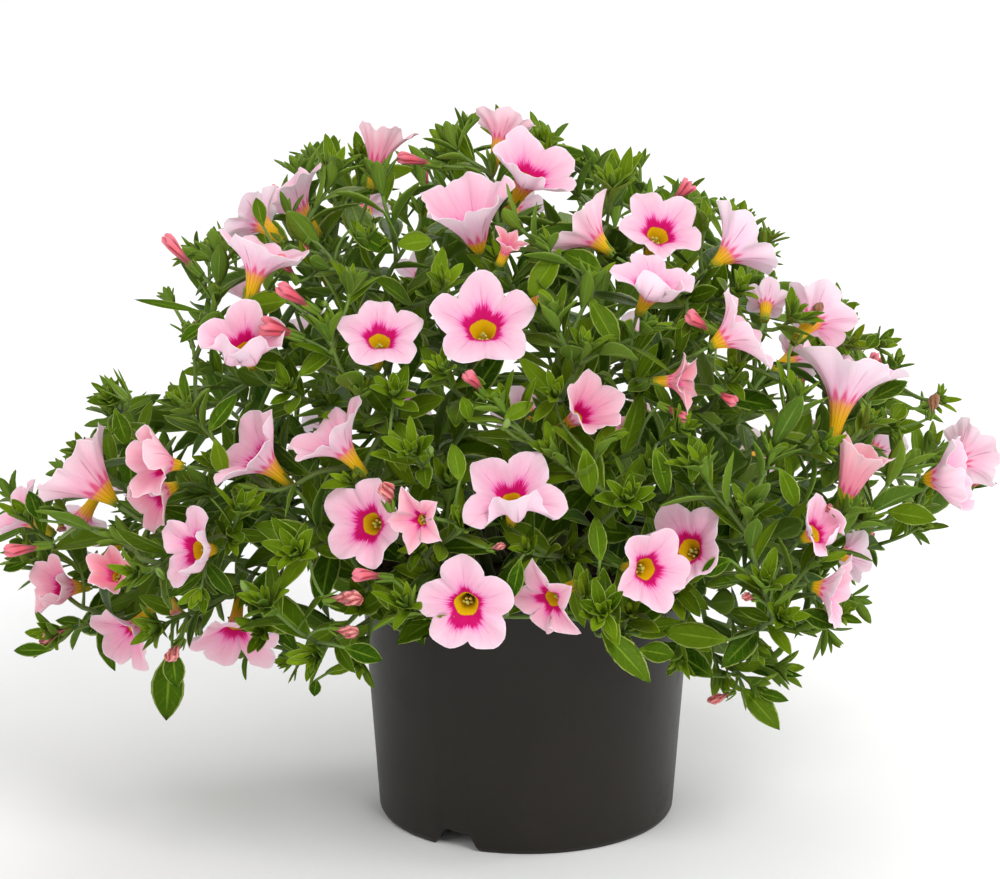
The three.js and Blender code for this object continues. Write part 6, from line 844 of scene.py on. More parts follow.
# leaves: kind branch, foot x y z, direction and face in hundredths, length, width, curl and youth in hundredths; youth
# is also lowered on the plant's left as painted shade and raised in its middle as painted light
LEAVES = """
m 0 278 -37 1061 2 -77 64 32 61 73 252 73 32 5
m 0 338 -27 1093 93 26 -27 29 -4 96 258 74 13 3
m 0 379 -32 1147 -7 30 95 80 -55 23 273 90 46 2
m 0 444 -53 1160 52 -83 -21 38 0 93 229 66 43 0
m 0 506 -36 1183 38 91 -14 44 -4 90 211 66 41 0
m 0 565 -60 1209 10 -56 82 66 66 37 284 99 20 0
m 0 632 -62 1192 41 -17 -90 88 -17 43 237 72 24 0
m 0 697 -57 1212 53 65 55 21 -73 65 229 79 31 0
m 1 -184 -181 1072 -62 -78 9 4 8 100 241 80 36 7
m 1 -184 -187 1141 66 -3 75 -75 -12 65 289 84 12 7
m 1 -225 -201 1194 -87 33 36 27 -28 92 205 69 40 7
m 1 -233 -239 1251 14 -98 15 -17 13 98 216 71 14 7
m 1 -256 -240 1316 23 64 74 -35 -65 67 206 70 41 7
m 1 -296 -277 1358 -90 -32 -28 -23 -18 96 210 71 19 7
m 1 -304 -307 1419 45 -63 63 -62 29 73 251 88 42 7
m 1 -353 -322 1466 -70 44 56 26 -59 77 251 80 21 7
m 1 -384 -375 1496 -36 -89 -28 -23 -20 95 230 67 36 7
m 1 -417 -402 1549 35 1 94 -85 -41 33 254 78 41 7
m 2 -351 96 967 -53 76 38 -11 -50 86 192 62 16 7
m 2 -416 89 996 -76 -65 4 -8 16 98 289 84 31 7
m 2 -407 96 1065 -74 12 66 65 -12 75 227 81 11 7
m 2 -439 110 1080 -70 61 -38 -42 8 90 188 61 42 6
m 2 -503 108 1104 -49 -79 37 -28 54 80 241 78 23 4
m 2 -561 145 1108 -4 92 38 -53 -34 78 209 70 28 2
m 2 -628 144 1094 -42 -31 -85 -88 -6 46 214 69 41 0
m 2 -692 161 1114 -63 -11 77 35 84 40 269 91 21 0
m 2 -750 189 1091 4 86 -51 -54 45 71 230 75 16 0
m 2 -819 183 1088 -70 -67 -23 -46 18 87 289 100 31 0
m 3 201 -205 1057 -66 -59 46 55 4 84 234 70 24 7
m 3 292 -270 1129 17 27 95 31 -93 21 279 85 33 5
m 3 331 -327 1132 -12 -94 -32 34 -34 88 238 78 28 3
m 3 392 -354 1145 88 43 -19 35 -34 87 247 73 45 1
m 3 427 -411 1162 -3 -66 75 79 44 42 259 88 43 0
m 3 477 -452 1138 11 -29 -95 61 -74 30 283 80 30 0
m 3 533 -489 1152 79 26 56 -20 -74 64 250 78 35 0
m 4 158 163 1077 71 68 16 -11 -13 99 270 76 17 7
m 4 155 166 1145 -87 -9 49 48 13 87 204 68 21 7
m 4 191 176 1203 85 -32 43 -35 27 90 205 61 34 7
m 4 192 208 1263 -22 94 27 17 -24 96 233 72 30 7
m 4 208 204 1330 -13 -56 82 29 77 57 224 71 17 7
m 4 241 238 1380 88 47 10 -11 0 99 251 75 28 7
m 4 242 261 1444 -78 44 45 49 -2 87 263 94 31 7
m 4 287 274 1496 68 -58 44 -13 50 86 239 79 29 5
m 4 312 327 1531 28 94 -21 20 16 97 270 91 38 4
m 5 -164 239 1052 -80 57 -19 -10 19 98 204 62 13 7
m 5 -181 266 1112 -8 -46 88 -17 88 44 253 91 32 7
m 5 -204 327 1135 36 92 -15 -23 25 94 277 92 10 7
m 5 -255 362 1164 -98 -14 -10 -15 36 92 283 86 36 7
m 5 -273 421 1196 35 37 86 -94 13 33 239 70 24 7
m 5 -314 475 1185 -16 54 -83 -39 74 55 217 66 21 7
m 5 -359 521 1206 -82 -11 55 35 67 66 223 72 41 7
m 5 -378 587 1196 58 81 8 -45 24 86 216 62 44 7
m 6 86 -180 1084 2 72 69 4 -69 72 280 94 45 7
m 6 86 -215 1143 -53 -79 31 25 21 95 213 70 18 7
m 6 113 -220 1206 92 3 39 -39 -11 92 263 78 33 7
m 6 99 -232 1272 -78 46 42 33 -27 90 223 68 48 7
m 6 120 -266 1328 27 -96 5 1 5 100 246 83 24 7
m 6 132 -265 1396 49 71 50 -17 -49 86 222 76 37 7
m 6 126 -302 1453 -86 -46 22 28 -5 96 272 77 41 7
m 6 161 -328 1506 92 -32 -21 15 -21 97 267 76 15 7
m 6 162 -351 1571 -22 35 91 44 -79 42 241 74 16 7
m 7 279 221 980 -36 10 93 91 25 33 268 95 12 5
m 7 340 253 1002 94 -18 28 -26 14 96 205 62 43 4
m 7 307 227 1056 10 -96 24 -31 20 93 211 75 22 5
m 7 314 239 1106 51 -19 84 -25 90 36 215 77 34 4
m 7 366 285 1097 80 54 -25 24 9 97 212 60 29 3
m 7 409 332 1122 -12 80 58 69 -36 63 223 76 13 1
m 7 473 356 1114 83 -56 3 26 44 86 201 71 13 0
m 7 511 411 1100 -6 73 -68 43 63 65 237 85 21 0
m 7 569 445 1113 28 17 95 66 68 -32 215 62 21 0
m 8 -133 121 1085 82 -33 48 -43 20 88 259 82 18 7
m 8 -159 145 1145 -43 87 24 8 -22 97 210 73 13 7
m 8 -167 130 1212 -34 -85 40 8 40 92 281 81 36 7
m 8 -163 156 1275 64 48 59 -53 -28 80 290 94 32 7
m 8 -195 161 1336 -96 27 1 2 3 100 217 72 43 7
m 8 -189 158 1404 37 -73 57 -30 49 82 276 92 37 7
m 8 -205 190 1462 16 96 22 -14 -20 97 223 72 49 7
m 8 -236 187 1524 -88 -36 33 25 25 94 278 84 12 7
m 8 -237 210 1589 71 -6 70 -68 19 71 282 90 34 7
m 9 66 350 981 70 -26 67 -41 62 67 224 68 30 7
m 9 60 393 1011 -50 -83 26 13 22 97 207 62 42 7
m 9 69 376 1072 54 -6 84 -78 -42 47 264 88 44 7
m 9 72 369 1110 96 28 8 -16 28 94 206 73 45 7
m 9 60 434 1125 -76 46 -45 -12 59 80 258 84 49 7
m 9 83 493 1153 30 34 89 -79 61 3 208 58 47 7
m 9 96 557 1132 46 35 -81 34 78 53 244 83 29 7
m 9 90 624 1143 -86 39 32 48 41 78 250 87 19 7
m 10 -20 -278 1063 -65 36 68 40 -59 70 208 63 15 7
m 10 -14 -342 1084 -60 -36 -72 -26 -76 59 184 52 49 7
m 10 -8 -392 1131 60 -22 77 -78 -41 48 242 86 14 7
m 10 -31 -457 1138 -95 -32 -2 12 -43 90 210 62 42 7
m 10 -12 -523 1139 67 -55 -49 9 -60 80 228 72 33 7
m 10 -27 -587 1158 -19 -31 93 57 -81 -16 278 99 41 7
m 10 -34 -650 1130 -50 -27 -82 -35 -81 48 264 80 32 7
m 11 -302 -192 978 48 -57 67 -73 17 66 269 81 25 7
m 11 -365 -205 1002 -59 72 35 8 -38 92 247 72 29 7
m 11 -342 -193 1057 24 95 -22 21 17 96 201 66 18 7
m 11 -369 -215 1110 -16 -2 99 -76 -64 -13 235 80 13 7
m 11 -432 -243 1102 -86 34 -38 -48 -26 84 158 50 41 6
m 11 -477 -291 1120 34 -93 16 -52 -4 86 284 80 46 5
m 11 -545 -304 1126 -82 34 47 15 -66 74 230 65 31 3
m 11 -594 -347 1106 -17 -35 -92 -71 -61 36 240 77 24 1
m 11 -650 -383 1123 0 -55 84 -89 39 25 235 82 18 0
s 11 -359 -592 912 67 -71 -23 22 48 -85 130 44 22 40
s 11 -374 -577 914 -19 48 -86 69 -56 -46 186 66 37 29
s 11 -390 -565 974 97 -23 6 -6 -44 -90 259 108 39 18
s 11 -448 -519 999 -7 -96 -26 64 -25 73 227 87 19 6
s 11 -444 -445 1011 35 -79 -51 -54 -61 58 220 79 19 6
s 11 -426 -370 1032 -78 -3 62 0 -100 -5 272 110 6 7
s 11 -347 -236 1069 35 -76 55 -86 -49 -12 265 100 38 7
s 10 -122 -682 942 -98 0 -21 21 3 -98 186 62 24 40
s 10 -117 -683 952 -71 -68 -21 0 30 -95 218 77 11 29
s 10 -92 -651 1012 -84 15 -51 -25 -96 14 251 99 23 18
s 10 -50 -606 1064 74 -65 -17 -67 -71 -21 292 125 40 7
s 3 369 -613 1117 18 -96 -24 -4 -24 97 72 20 -12 100
s 3 370 -602 1123 49 -80 35 -71 -60 -37 103 29 -9 91
s 3 360 -588 1119 -28 -96 9 90 -23 37 113 32 -10 80
s 3 366 -568 1116 34 -90 -26 -42 -40 82 140 45 6 69
s 3 362 -542 1124 -9 -87 48 16 -49 -86 157 47 41 58
s 3 364 -506 1121 -31 -57 -76 -2 -80 61 181 56 27 46
s 3 378 -465 1138 59 -77 23 -81 -55 22 231 77 14 35
s 3 374 -407 1148 -88 -44 21 48 -81 33 208 89 25 24
s 10 79 -685 940 92 38 8 28 -52 -81 204 81 11 29
s 5 -268 682 1208 14 88 46 13 44 -89 72 20 5 100
s 5 -267 671 1200 52 84 -15 -54 46 71 93 26 11 96
s 5 -277 656 1199 -33 94 3 83 28 48 124 35 3 85
s 5 -276 633 1202 45 74 50 -58 67 -46 148 46 4 74
s 5 -286 606 1193 20 73 -65 22 61 76 180 59 29 63
s 5 -300 572 1204 -2 87 49 93 19 -30 186 59 19 51
s 5 -304 524 1202 85 52 0 -42 68 60 252 81 19 40
s 7 475 583 1168 51 85 14 -69 31 65 85 24 3 100
s 7 466 574 1164 -15 96 22 83 1 55 93 26 -4 89
s 7 467 556 1163 34 72 61 -63 65 -43 128 36 -2 78
s 7 463 538 1148 14 98 -15 -2 16 99 146 48 5 67
s 7 457 508 1146 -56 73 39 82 45 35 162 58 37 56
s 7 468 472 1138 55 80 25 -76 36 54 200 64 16 44
s 7 462 425 1125 -47 71 -52 13 64 76 218 71 38 33
s 6 230 -607 1369 7 -99 12 86 12 50 72 20 3 100
s 6 232 -594 1366 70 -69 15 -64 -52 56 99 28 4 95
s 6 221 -581 1366 9 -70 71 72 -44 -53 113 32 -5 85
s 6 213 -564 1352 19 -97 -13 30 -7 95 138 43 3 74
s 6 207 -536 1353 65 -46 60 -52 -85 -8 172 52 20 63
s 6 187 -505 1343 -36 -93 -5 67 -30 68 217 72 23 51
s 6 180 -458 1337 67 -45 -59 10 -73 68 211 73 41 40
s 6 158 -401 1345 1 -40 92 40 -84 -37 220 90 19 29
s 6 135 -330 1326 -27 -75 -61 25 -66 70 305 108 35 18
s 6 -26 -621 1431 -86 -48 19 48 -63 60 62 17 7 100
s 6 -15 -616 1426 -26 -90 36 -62 44 66 93 26 6 96
s 6 -10 -601 1423 -37 -58 73 -34 -64 -69 111 31 9 85
s 6 -3 -587 1407 -77 -64 -8 12 -26 96 136 50 -8 74
s 6 18 -570 1399 -7 -96 29 -70 25 66 172 56 30 63
s 6 35 -539 1389 -86 -1 52 22 -92 34 178 56 31 51
s 6 69 -511 1371 -48 -57 -66 -49 -46 75 223 82 42 40
s 6 110 -466 1368 -28 -26 93 -53 -76 -37 264 104 11 29
s 9 233 636 1371 17 66 73 81 -52 28 65 18 10 100
s 9 230 624 1364 31 9 95 23 96 -16 101 28 6 96
s 9 227 622 1347 61 69 39 -27 -28 92 120 34 -8 85
s 9 212 609 1335 -12 36 92 99 12 8 172 59 6 74
s 9 206 594 1311 82 -21 54 -28 67 69 194 72 14 63
s 9 184 584 1281 32 89 32 23 -40 89 194 71 39 51
s 9 156 558 1252 -10 -2 100 83 55 10 254 94 32 40
s 9 128 532 1203 92 26 -28 20 30 93 251 100 36 29
s 7 396 695 703 11 22 -97 -90 43 0 66 18 12 100
s 7 389 693 713 -23 13 -96 86 50 -14 102 29 1 91
s 7 393 694 729 15 44 -88 -55 -71 -45 114 32 -7 80
s 7 392 682 747 22 -24 -95 -22 93 -28 159 49 10 69
s 7 386 681 775 -52 61 -60 67 -15 -72 148 48 7 58
s 7 394 672 809 54 58 -62 -75 -1 -66 171 63 14 46
s 7 392 654 851 -14 -49 -86 -14 87 -47 192 66 29 35
s 7 396 644 910 -68 74 0 18 17 -97 231 82 20 24
s 7 418 616 976 84 17 -52 -48 69 -55 233 83 41 12
s 7 426 576 1045 -98 -8 -20 -2 95 -31 264 109 22 1
s 7 451 532 1108 21 85 49 -57 51 -64 331 140 33 0
s 7 724 320 1185 47 -3 88 83 -33 -46 72 20 10 100
s 7 720 317 1172 81 -43 40 -13 54 83 104 29 -2 89
s 7 707 326 1162 70 5 71 -38 -82 43 125 35 5 78
s 7 688 325 1149 23 -45 86 90 44 0 147 48 6 67
s 7 673 335 1124 92 -40 6 -9 -6 99 208 71 8 56
s 7 646 357 1108 54 29 79 14 -96 25 205 67 6 44
s 7 611 376 1077 -6 -98 17 56 11 82 248 80 19 33
s 7 565 393 1046 74 64 -20 39 -17 91 270 105 38 22
s 7 494 359 1034 30 -7 95 69 71 -16 263 107 28 11
s 7 357 281 1009 -39 85 36 86 18 48 355 130 23 3
s 9 -18 816 699 -2 -8 -100 -44 90 -7 67 19 -3 100
s 9 -20 819 713 -46 50 -73 55 -48 -68 110 31 -1 96
s 9 -11 813 727 20 23 -95 -98 13 -17 143 40 -9 85
s 9 -14 805 749 -48 -22 -85 32 86 -41 178 60 -3 74
s 9 -8 805 779 -56 76 -32 12 -31 -94 185 56 15 63
s 9 6 792 813 41 -36 -84 -62 56 -54 234 78 9 51
s 9 11 782 861 -79 -36 -50 -2 83 -56 247 77 19 40
s 9 36 777 920 31 89 -32 -80 6 -59 234 82 11 29
s 9 61 745 989 0 -39 -92 -59 74 -32 244 93 21 18
s 9 80 721 1064 -66 74 13 12 28 -95 299 128 28 7
s 0 743 -299 1174 65 -72 22 -56 -66 -50 80 22 -3 100
s 0 730 -292 1170 13 -98 11 96 16 23 118 33 1 89
s 0 727 -275 1166 72 -64 -28 -16 -54 83 118 33 -6 78
s 0 714 -256 1172 48 -73 49 -2 -56 -83 146 54 10 67
s 0 697 -230 1166 0 -90 -45 58 -36 73 205 64 12 56
s 0 687 -193 1176 97 -22 3 -22 -93 29 237 72 13 44
s 0 658 -153 1190 -31 -89 32 95 -30 10 225 72 18 33
s 0 627 -97 1196 17 -48 -86 52 -70 49 292 125 27 22
s 3 593 -460 1307 76 -50 42 -20 44 88 76 21 -14 100
s 3 582 -450 1303 62 -6 78 11 -98 -16 102 29 -12 89
s 3 569 -451 1290 34 -71 62 61 67 43 133 37 0 78
s 3 557 -438 1272 94 12 33 -23 -49 84 163 54 -8 67
s 3 530 -432 1255 -3 10 99 92 -38 7 174 58 30 56
s 3 507 -430 1221 84 -54 -7 17 14 98 210 68 34 44
s 3 469 -413 1190 59 63 50 18 -71 68 234 78 32 33
s 1 -345 -596 1417 -28 -94 19 82 -33 -47 76 21 -9 100
s 1 -338 -586 1410 2 -98 -18 -35 -18 92 99 28 -5 96
s 1 -335 -569 1415 20 -91 36 -93 -30 -23 112 31 4 85
s 1 -340 -548 1410 -61 -79 -10 61 -54 58 131 43 -12 74
s 1 -330 -520 1408 51 -75 -42 -42 -64 65 171 53 13 63
s 1 -332 -484 1419 -19 -79 58 38 -60 -70 183 63 8 51
s 1 -330 -436 1415 -33 -39 -86 -4 -90 42 248 89 11 40
s 1 -316 -378 1427 83 -52 19 -54 -71 46 273 109 29 29
s 11 -658 -543 1153 2 -98 18 -84 8 53 72 20 5 92
s 11 -660 -531 1155 -21 -81 55 22 -59 -78 96 27 -7 81
s 11 -659 -519 1143 -29 -92 -25 14 -30 94 129 36 -13 71
s 11 -651 -499 1144 44 -79 42 -90 -40 20 144 46 4 62
s 11 -658 -472 1138 -69 -65 32 72 -57 39 173 61 39 51
s 11 -647 -440 1126 35 -84 -42 -27 -52 81 172 52 21 41
s 11 -582 -665 761 -16 -95 -25 6 25 -97 70 20 10 100
s 11 -580 -652 760 -63 -74 -24 45 -59 67 75 21 10 90
s 11 -571 -642 772 26 -92 29 -94 -31 -13 121 34 -3 79
s 11 -572 -624 783 -74 -65 -19 67 -65 -36 156 47 -14 68
s 11 -552 -584 827 -19 -98 -1 -71 15 -68 184 63 32 46
s 11 -547 -554 862 -81 25 -53 -5 -93 -36 234 79 28 35
s 11 -528 -528 913 67 -72 -16 -73 -62 -28 216 83 14 25
s 11 -512 -484 973 -74 -59 32 19 -64 -74 283 116 18 15
s 5 -581 593 1240 -85 51 -12 -23 -16 96 66 18 11 100
s 5 -572 585 1242 -88 20 44 15 98 -14 89 25 3 91
s 5 -557 586 1235 -72 61 33 -42 -77 48 104 29 -2 81
s 5 -542 573 1226 -99 -4 -12 -12 46 88 148 49 -9 70
s 5 -515 568 1227 -67 14 73 -69 23 -68 152 51 16 60
s 5 -482 566 1215 -60 75 -29 -65 -24 72 165 57 22 49
s 5 -439 549 1213 -75 -65 12 -48 66 58 236 80 35 40
s 8 -99 569 1600 -6 80 60 77 42 -49 62 17 -7 100
s 8 -94 559 1594 48 77 42 -88 42 24 88 25 6 96
s 8 -104 548 1585 -2 98 18 47 -15 87 126 35 2 85
s 8 -106 527 1583 4 55 83 41 75 -52 133 45 3 74
s 8 -109 505 1566 56 80 -24 -16 39 91 172 62 31 63
s 8 -124 474 1560 -54 82 16 68 32 66 163 57 35 51
s 8 -130 429 1554 67 32 68 -49 87 8 221 76 11 40
s 8 -152 378 1536 -22 66 -71 28 74 61 223 94 26 29
s 8 -177 308 1533 -55 37 75 72 67 20 254 99 25 18
s 8 -188 233 1504 97 -3 22 -14 70 70 305 120 36 7
s 0 862 -35 1211 92 20 34 40 -52 -76 82 23 6 100
s 0 851 -41 1204 100 -8 0 5 52 86 118 33 -7 89
s 0 834 -35 1202 89 44 -8 36 -60 71 137 38 -2 78
s 0 812 -44 1206 80 -19 57 53 67 -51 163 60 8 67
s 0 782 -46 1197 88 10 -47 46 12 88 174 59 19 56
s 0 744 -47 1209 65 69 30 68 -72 17 196 72 38 44
s 6 120 -519 1652 -20 -82 53 -98 21 -4 64 18 12 100
s 6 116 -507 1648 -46 -52 72 55 -80 -23 96 27 -3 96
s 6 121 -499 1634 -33 -94 8 7 6 100 108 30 -11 85
s 6 131 -480 1632 30 -55 78 -86 -50 -2 142 49 -6 74
s 6 131 -457 1616 -74 -65 17 51 -36 78 162 53 41 63
s 6 151 -430 1603 34 -94 -5 -51 -22 83 210 64 35 51
s 6 157 -385 1591 -22 -1 98 3 -100 0 190 57 26 40
s 4 286 448 1670 17 38 91 -8 92 -37 74 21 3 100
s 4 287 446 1657 40 75 53 -58 -24 78 83 23 -12 94
s 4 278 434 1649 -16 58 80 99 7 14 119 33 -2 84
s 4 285 419 1633 53 45 72 -84 36 40 152 52 -15 72
s 4 279 403 1611 -41 90 16 30 -3 95 172 61 39 61
s 4 284 370 1594 -35 9 93 36 93 5 179 65 41 49
s 4 295 342 1559 48 88 1 -30 15 94 241 87 9 38
s 3 659 -659 722 10 -57 -82 95 -18 24 63 18 -5 100
s 3 663 -653 732 43 -57 -70 -84 -53 -9 91 26 -1 89
s 3 653 -648 743 12 -76 -64 96 26 -14 107 30 -7 78
s 3 648 -631 753 -4 -16 -99 51 -85 12 143 44 -5 67
s 3 648 -618 776 86 -28 -42 -47 -76 -45 163 60 35 56
s 3 631 -606 802 -76 -42 -49 64 -58 -49 169 61 37 44
s 3 628 -583 840 42 61 -67 27 -79 -56 208 71 18 33
s 3 617 -577 894 46 -85 -24 6 30 -95 225 86 35 22
s 3 595 -557 958 -79 44 -42 31 -30 -90 216 84 17 11
s 3 585 -539 1035 85 47 -25 25 -77 -59 242 96 33 0
s 3 547 -524 1106 -38 -93 2 82 -34 -46 275 102 38 0
s 1 -642 -485 1416 -88 -46 11 43 -87 -24 69 19 -10 93
s 1 -629 -483 1411 -66 -71 -24 -48 14 87 118 33 -6 84
s 1 -615 -472 1417 -57 -62 54 -70 2 -72 150 42 10 75
s 1 -599 -456 1414 -95 6 -30 -21 -84 50 159 58 8 66
s 1 -570 -449 1421 -28 -92 -26 -94 21 26 204 65 25 58
s 1 -542 -429 1441 -94 11 32 -26 -83 -49 232 79 20 46
s 1 -497 -416 1459 -22 -17 -96 -91 -32 27 226 72 13 37
s 1 -446 -400 1495 -42 -85 32 -90 42 -5 265 99 23 28
s 8 -404 503 1612 -36 91 -20 -20 13 97 76 21 -2 100
s 8 -402 490 1617 -62 67 40 51 74 -45 99 28 -7 96
s 8 -390 478 1614 6 94 33 -100 7 0 143 40 1 85
s 8 -386 455 1607 -60 75 -28 16 45 88 138 50 11 74
s 8 -374 429 1615 -52 68 52 31 72 -62 165 60 10 63
s 8 -352 397 1614 21 91 -37 -66 41 63 209 76 11 51
s 8 -341 350 1628 -94 33 13 35 87 33 219 76 42 40
s 8 -304 300 1639 34 78 53 -94 33 12 263 96 22 29
s 6 486 -227 1706 69 19 70 71 -41 -58 63 18 0 100
s 6 481 -234 1696 79 -16 59 -11 91 40 91 26 9 89
s 6 470 -229 1684 81 43 39 -11 -55 83 112 31 9 78
s 6 451 -238 1676 32 -28 90 71 70 -3 156 56 10 67
s 6 432 -241 1654 98 15 -15 14 12 98 190 63 18 56
s 6 398 -246 1641 18 74 65 79 -50 36 216 79 18 45
s 6 360 -268 1622 62 -69 36 41 68 60 214 69 5 35
s 6 306 -279 1597 63 66 -42 52 4 85 250 88 14 26
s 6 235 -304 1578 8 20 98 100 1 -9 256 105 30 17
s 10 -320 -815 981 20 -93 31 -98 -16 14 196 70 35 51
s 10 -303 -780 975 -80 -47 37 26 -83 -49 228 75 36 40
s 10 -199 -703 978 -3 -98 22 -98 7 19 268 96 42 18
s 11 -815 -493 715 -84 -4 -54 -12 -96 26 70 20 -4 75
s 11 -804 -498 720 -60 -56 -57 -78 58 24 82 23 -14 68
s 11 -796 -490 731 -96 -10 -26 19 -90 -39 112 31 10 60
s 11 -776 -487 734 -52 -11 -85 -84 -12 53 129 47 5 53
s 11 -758 -488 753 -91 -36 23 -41 59 -70 148 49 33 46
s 11 -726 -484 764 -30 88 -38 -95 -24 19 163 51 6 37
s 11 -689 -500 782 -44 -22 -87 -86 40 33 182 62 5 29
s 11 -648 -515 815 -86 6 50 -36 61 -71 217 87 15 20
s 4 576 279 1635 97 -23 4 -1 15 99 74 21 10 100
s 4 563 284 1635 79 7 61 34 -88 -34 122 34 5 89
s 4 548 280 1624 72 -63 31 39 73 56 134 38 -3 78
s 4 530 290 1612 95 15 -27 31 -33 89 173 56 2 67
s 4 498 295 1610 36 -18 92 92 -9 -38 188 67 9 56
s 4 464 304 1591 75 -31 -58 57 -12 81 247 91 10 44
s 4 416 323 1587 62 68 38 48 -72 50 273 100 17 34
s 0 727 -62 1557 57 17 80 -56 -63 53 71 20 -11 100
s 0 716 -63 1548 19 8 98 87 -47 -13 108 30 10 89
s 0 715 -68 1529 53 -31 79 -42 72 56 132 37 9 78
s 0 704 -60 1509 25 60 76 15 -80 58 145 47 -5 67
s 0 691 -66 1482 -13 -37 92 71 62 35 206 73 15 56
s 0 686 -63 1442 82 -4 58 -57 2 82 249 82 14 44
s 0 665 -59 1395 -30 46 84 63 -57 53 236 72 30 33
s 0 650 -66 1332 12 -82 56 16 57 80 304 113 6 22
s 0 624 -54 1256 56 76 33 2 -41 91 282 99 9 11
s 8 -181 407 1776 10 31 94 -99 11 7 72 20 -5 100
s 8 -184 407 1764 -12 62 78 12 -77 63 93 26 2 89
s 8 -182 395 1753 -2 0 100 -17 98 0 112 32 7 78
s 8 -177 393 1732 50 49 72 -74 -19 64 138 42 6 67
s 8 -184 383 1706 -72 40 57 62 0 79 176 57 29 63
s 8 -178 364 1677 0 -52 85 -4 85 52 176 57 29 51
s 8 -176 354 1631 9 93 36 -8 -35 93 210 69 17 40
s 8 -184 319 1585 -77 3 64 59 42 69 232 92 41 29
s 10 292 -938 945 48 -88 7 -54 -36 -76 65 18 -11 100
s 10 282 -931 943 -20 -95 24 96 -14 26 77 22 -13 94
s 10 283 -916 939 61 -77 -19 -43 -53 74 106 30 -10 82
s 10 273 -900 936 36 -83 43 21 -38 -90 129 40 -1 72
s 10 252 -846 920 83 -48 28 -55 -60 59 165 61 7 50
s 11 -553 -808 1017 -35 -91 20 52 -37 -77 69 19 0 100
s 11 -547 -798 1011 -71 -60 -36 -24 -27 93 75 21 4 91
s 11 -543 -782 1018 12 -87 48 -77 -38 -51 106 30 10 80
s 11 -544 -761 1014 -60 -80 -10 57 -50 65 153 56 -13 69
s 11 -532 -734 1013 54 -82 -20 -60 -54 60 190 69 20 59
s 11 -531 -697 1017 -26 -58 77 27 -81 -52 189 64 32 47
s 11 -516 -591 1011 62 -66 43 -78 -55 29 242 90 31 25
s 11 -512 -514 1010 -87 -29 40 41 -87 28 250 102 11 15
s 11 -465 -448 1009 34 -42 -84 -44 -86 26 276 115 23 5
s 3 515 -848 843 5 -86 -50 -56 39 -73 64 18 9 100
s 3 518 -826 854 36 -50 -79 -58 -78 22 114 32 -14 78
s 3 515 -814 871 -17 -98 -10 22 6 -97 142 43 4 67
s 3 518 -789 880 17 -22 -96 -5 -98 22 125 39 16 56
s 3 528 -765 903 59 -78 -21 -79 -61 8 158 49 17 44
s 3 529 -726 925 -87 -50 -2 49 -86 16 220 79 34 33
s 3 554 -678 943 30 -34 -89 -36 -90 22 220 84 40 22
s 3 571 -623 987 2 -81 59 -46 -53 -71 251 93 15 11
s 9 89 946 1190 2 81 58 -48 52 -71 75 21 12 100
s 9 89 937 1178 -6 100 2 -10 -3 100 100 28 -1 96
s 9 88 919 1178 -40 70 59 82 57 -12 146 41 11 85
s 9 97 900 1168 21 94 27 -72 -4 69 150 50 8 74
s 9 93 871 1156 -45 88 -17 30 33 90 203 64 38 63
s 9 102 832 1156 23 66 72 -73 61 -32 192 69 17 51
s 9 108 784 1144 55 81 -19 -43 47 77 221 72 35 40
s 9 102 720 1143 -76 45 46 62 72 32 304 108 26 29
s 4 453 12 1790 2 -47 88 61 -69 -39 64 18 1 100
s 4 454 14 1777 17 -77 62 -8 61 79 101 28 8 89
s 4 454 29 1768 52 -7 85 -53 -81 26 123 34 -3 78
s 4 444 39 1751 -49 -47 73 87 -26 42 129 44 -14 67
s 4 449 56 1728 35 -92 19 -27 10 96 181 64 35 56
s 4 445 89 1712 -9 -25 96 15 -96 -24 207 76 16 44
s 4 444 125 1681 -52 -81 -27 16 -40 90 209 67 7 33
s 4 455 181 1660 88 -15 44 -41 -69 59 270 107 19 22
s 4 441 250 1629 -76 -18 62 56 -66 50 246 92 7 11
s 10 -130 -900 1006 -18 -84 51 -9 -50 -86 175 59 35 51
s 10 -165 -744 973 -85 -50 15 52 -82 22 238 88 38 18
s 6 63 -290 1857 10 -8 99 -95 28 12 64 18 6 100
s 6 59 -286 1846 -20 25 95 34 -89 31 96 27 -10 96
s 6 61 -293 1830 -26 -60 75 19 73 65 109 30 -8 85
s 6 68 -288 1810 37 1 93 -93 -1 37 143 48 -7 74
s 6 66 -286 1782 -50 46 74 47 -58 67 168 60 9 63
s 6 75 -297 1749 -44 -49 75 23 75 62 201 71 36 51
s 6 95 -297 1706 47 53 71 -68 -30 67 211 78 19 40
s 6 106 -310 1649 -96 16 23 24 4 97 252 94 21 29
s 6 140 -323 1582 50 -31 81 -72 38 58 260 109 33 18
s 10 -302 -930 1151 -28 -80 53 -78 51 37 91 26 12 100
s 10 -300 -916 1147 -53 -32 78 23 -94 -23 97 27 -7 96
s 10 -292 -908 1131 -66 -76 0 9 -8 99 138 38 -8 85
s 10 -276 -892 1122 2 -63 78 -99 7 8 152 51 -10 74
s 10 -269 -868 1101 -90 1 43 30 -69 66 212 64 40 63
s 10 -244 -849 1073 -18 -97 -18 -33 -11 94 212 64 41 51
s 10 -216 -811 1050 4 -31 95 -89 -44 -11 272 83 28 40
s 10 -193 -766 1005 -91 -36 -22 -4 -44 90 306 128 43 29
s 10 139 -941 1232 52 -72 45 -24 -64 -73 76 21 6 100
s 10 129 -936 1226 18 -91 37 94 27 20 101 28 -12 96
s 10 128 -922 1218 76 -65 2 -35 -38 86 130 36 -13 85
s 10 115 -905 1218 35 -50 79 32 -73 -60 141 44 8 74
s 10 100 -887 1202 17 -94 -28 42 -19 89 182 65 14 63
s 10 87 -854 1196 91 -11 40 -30 -83 47 199 74 39 51
s 10 55 -824 1184 -38 -88 30 80 -15 58 231 81 9 40
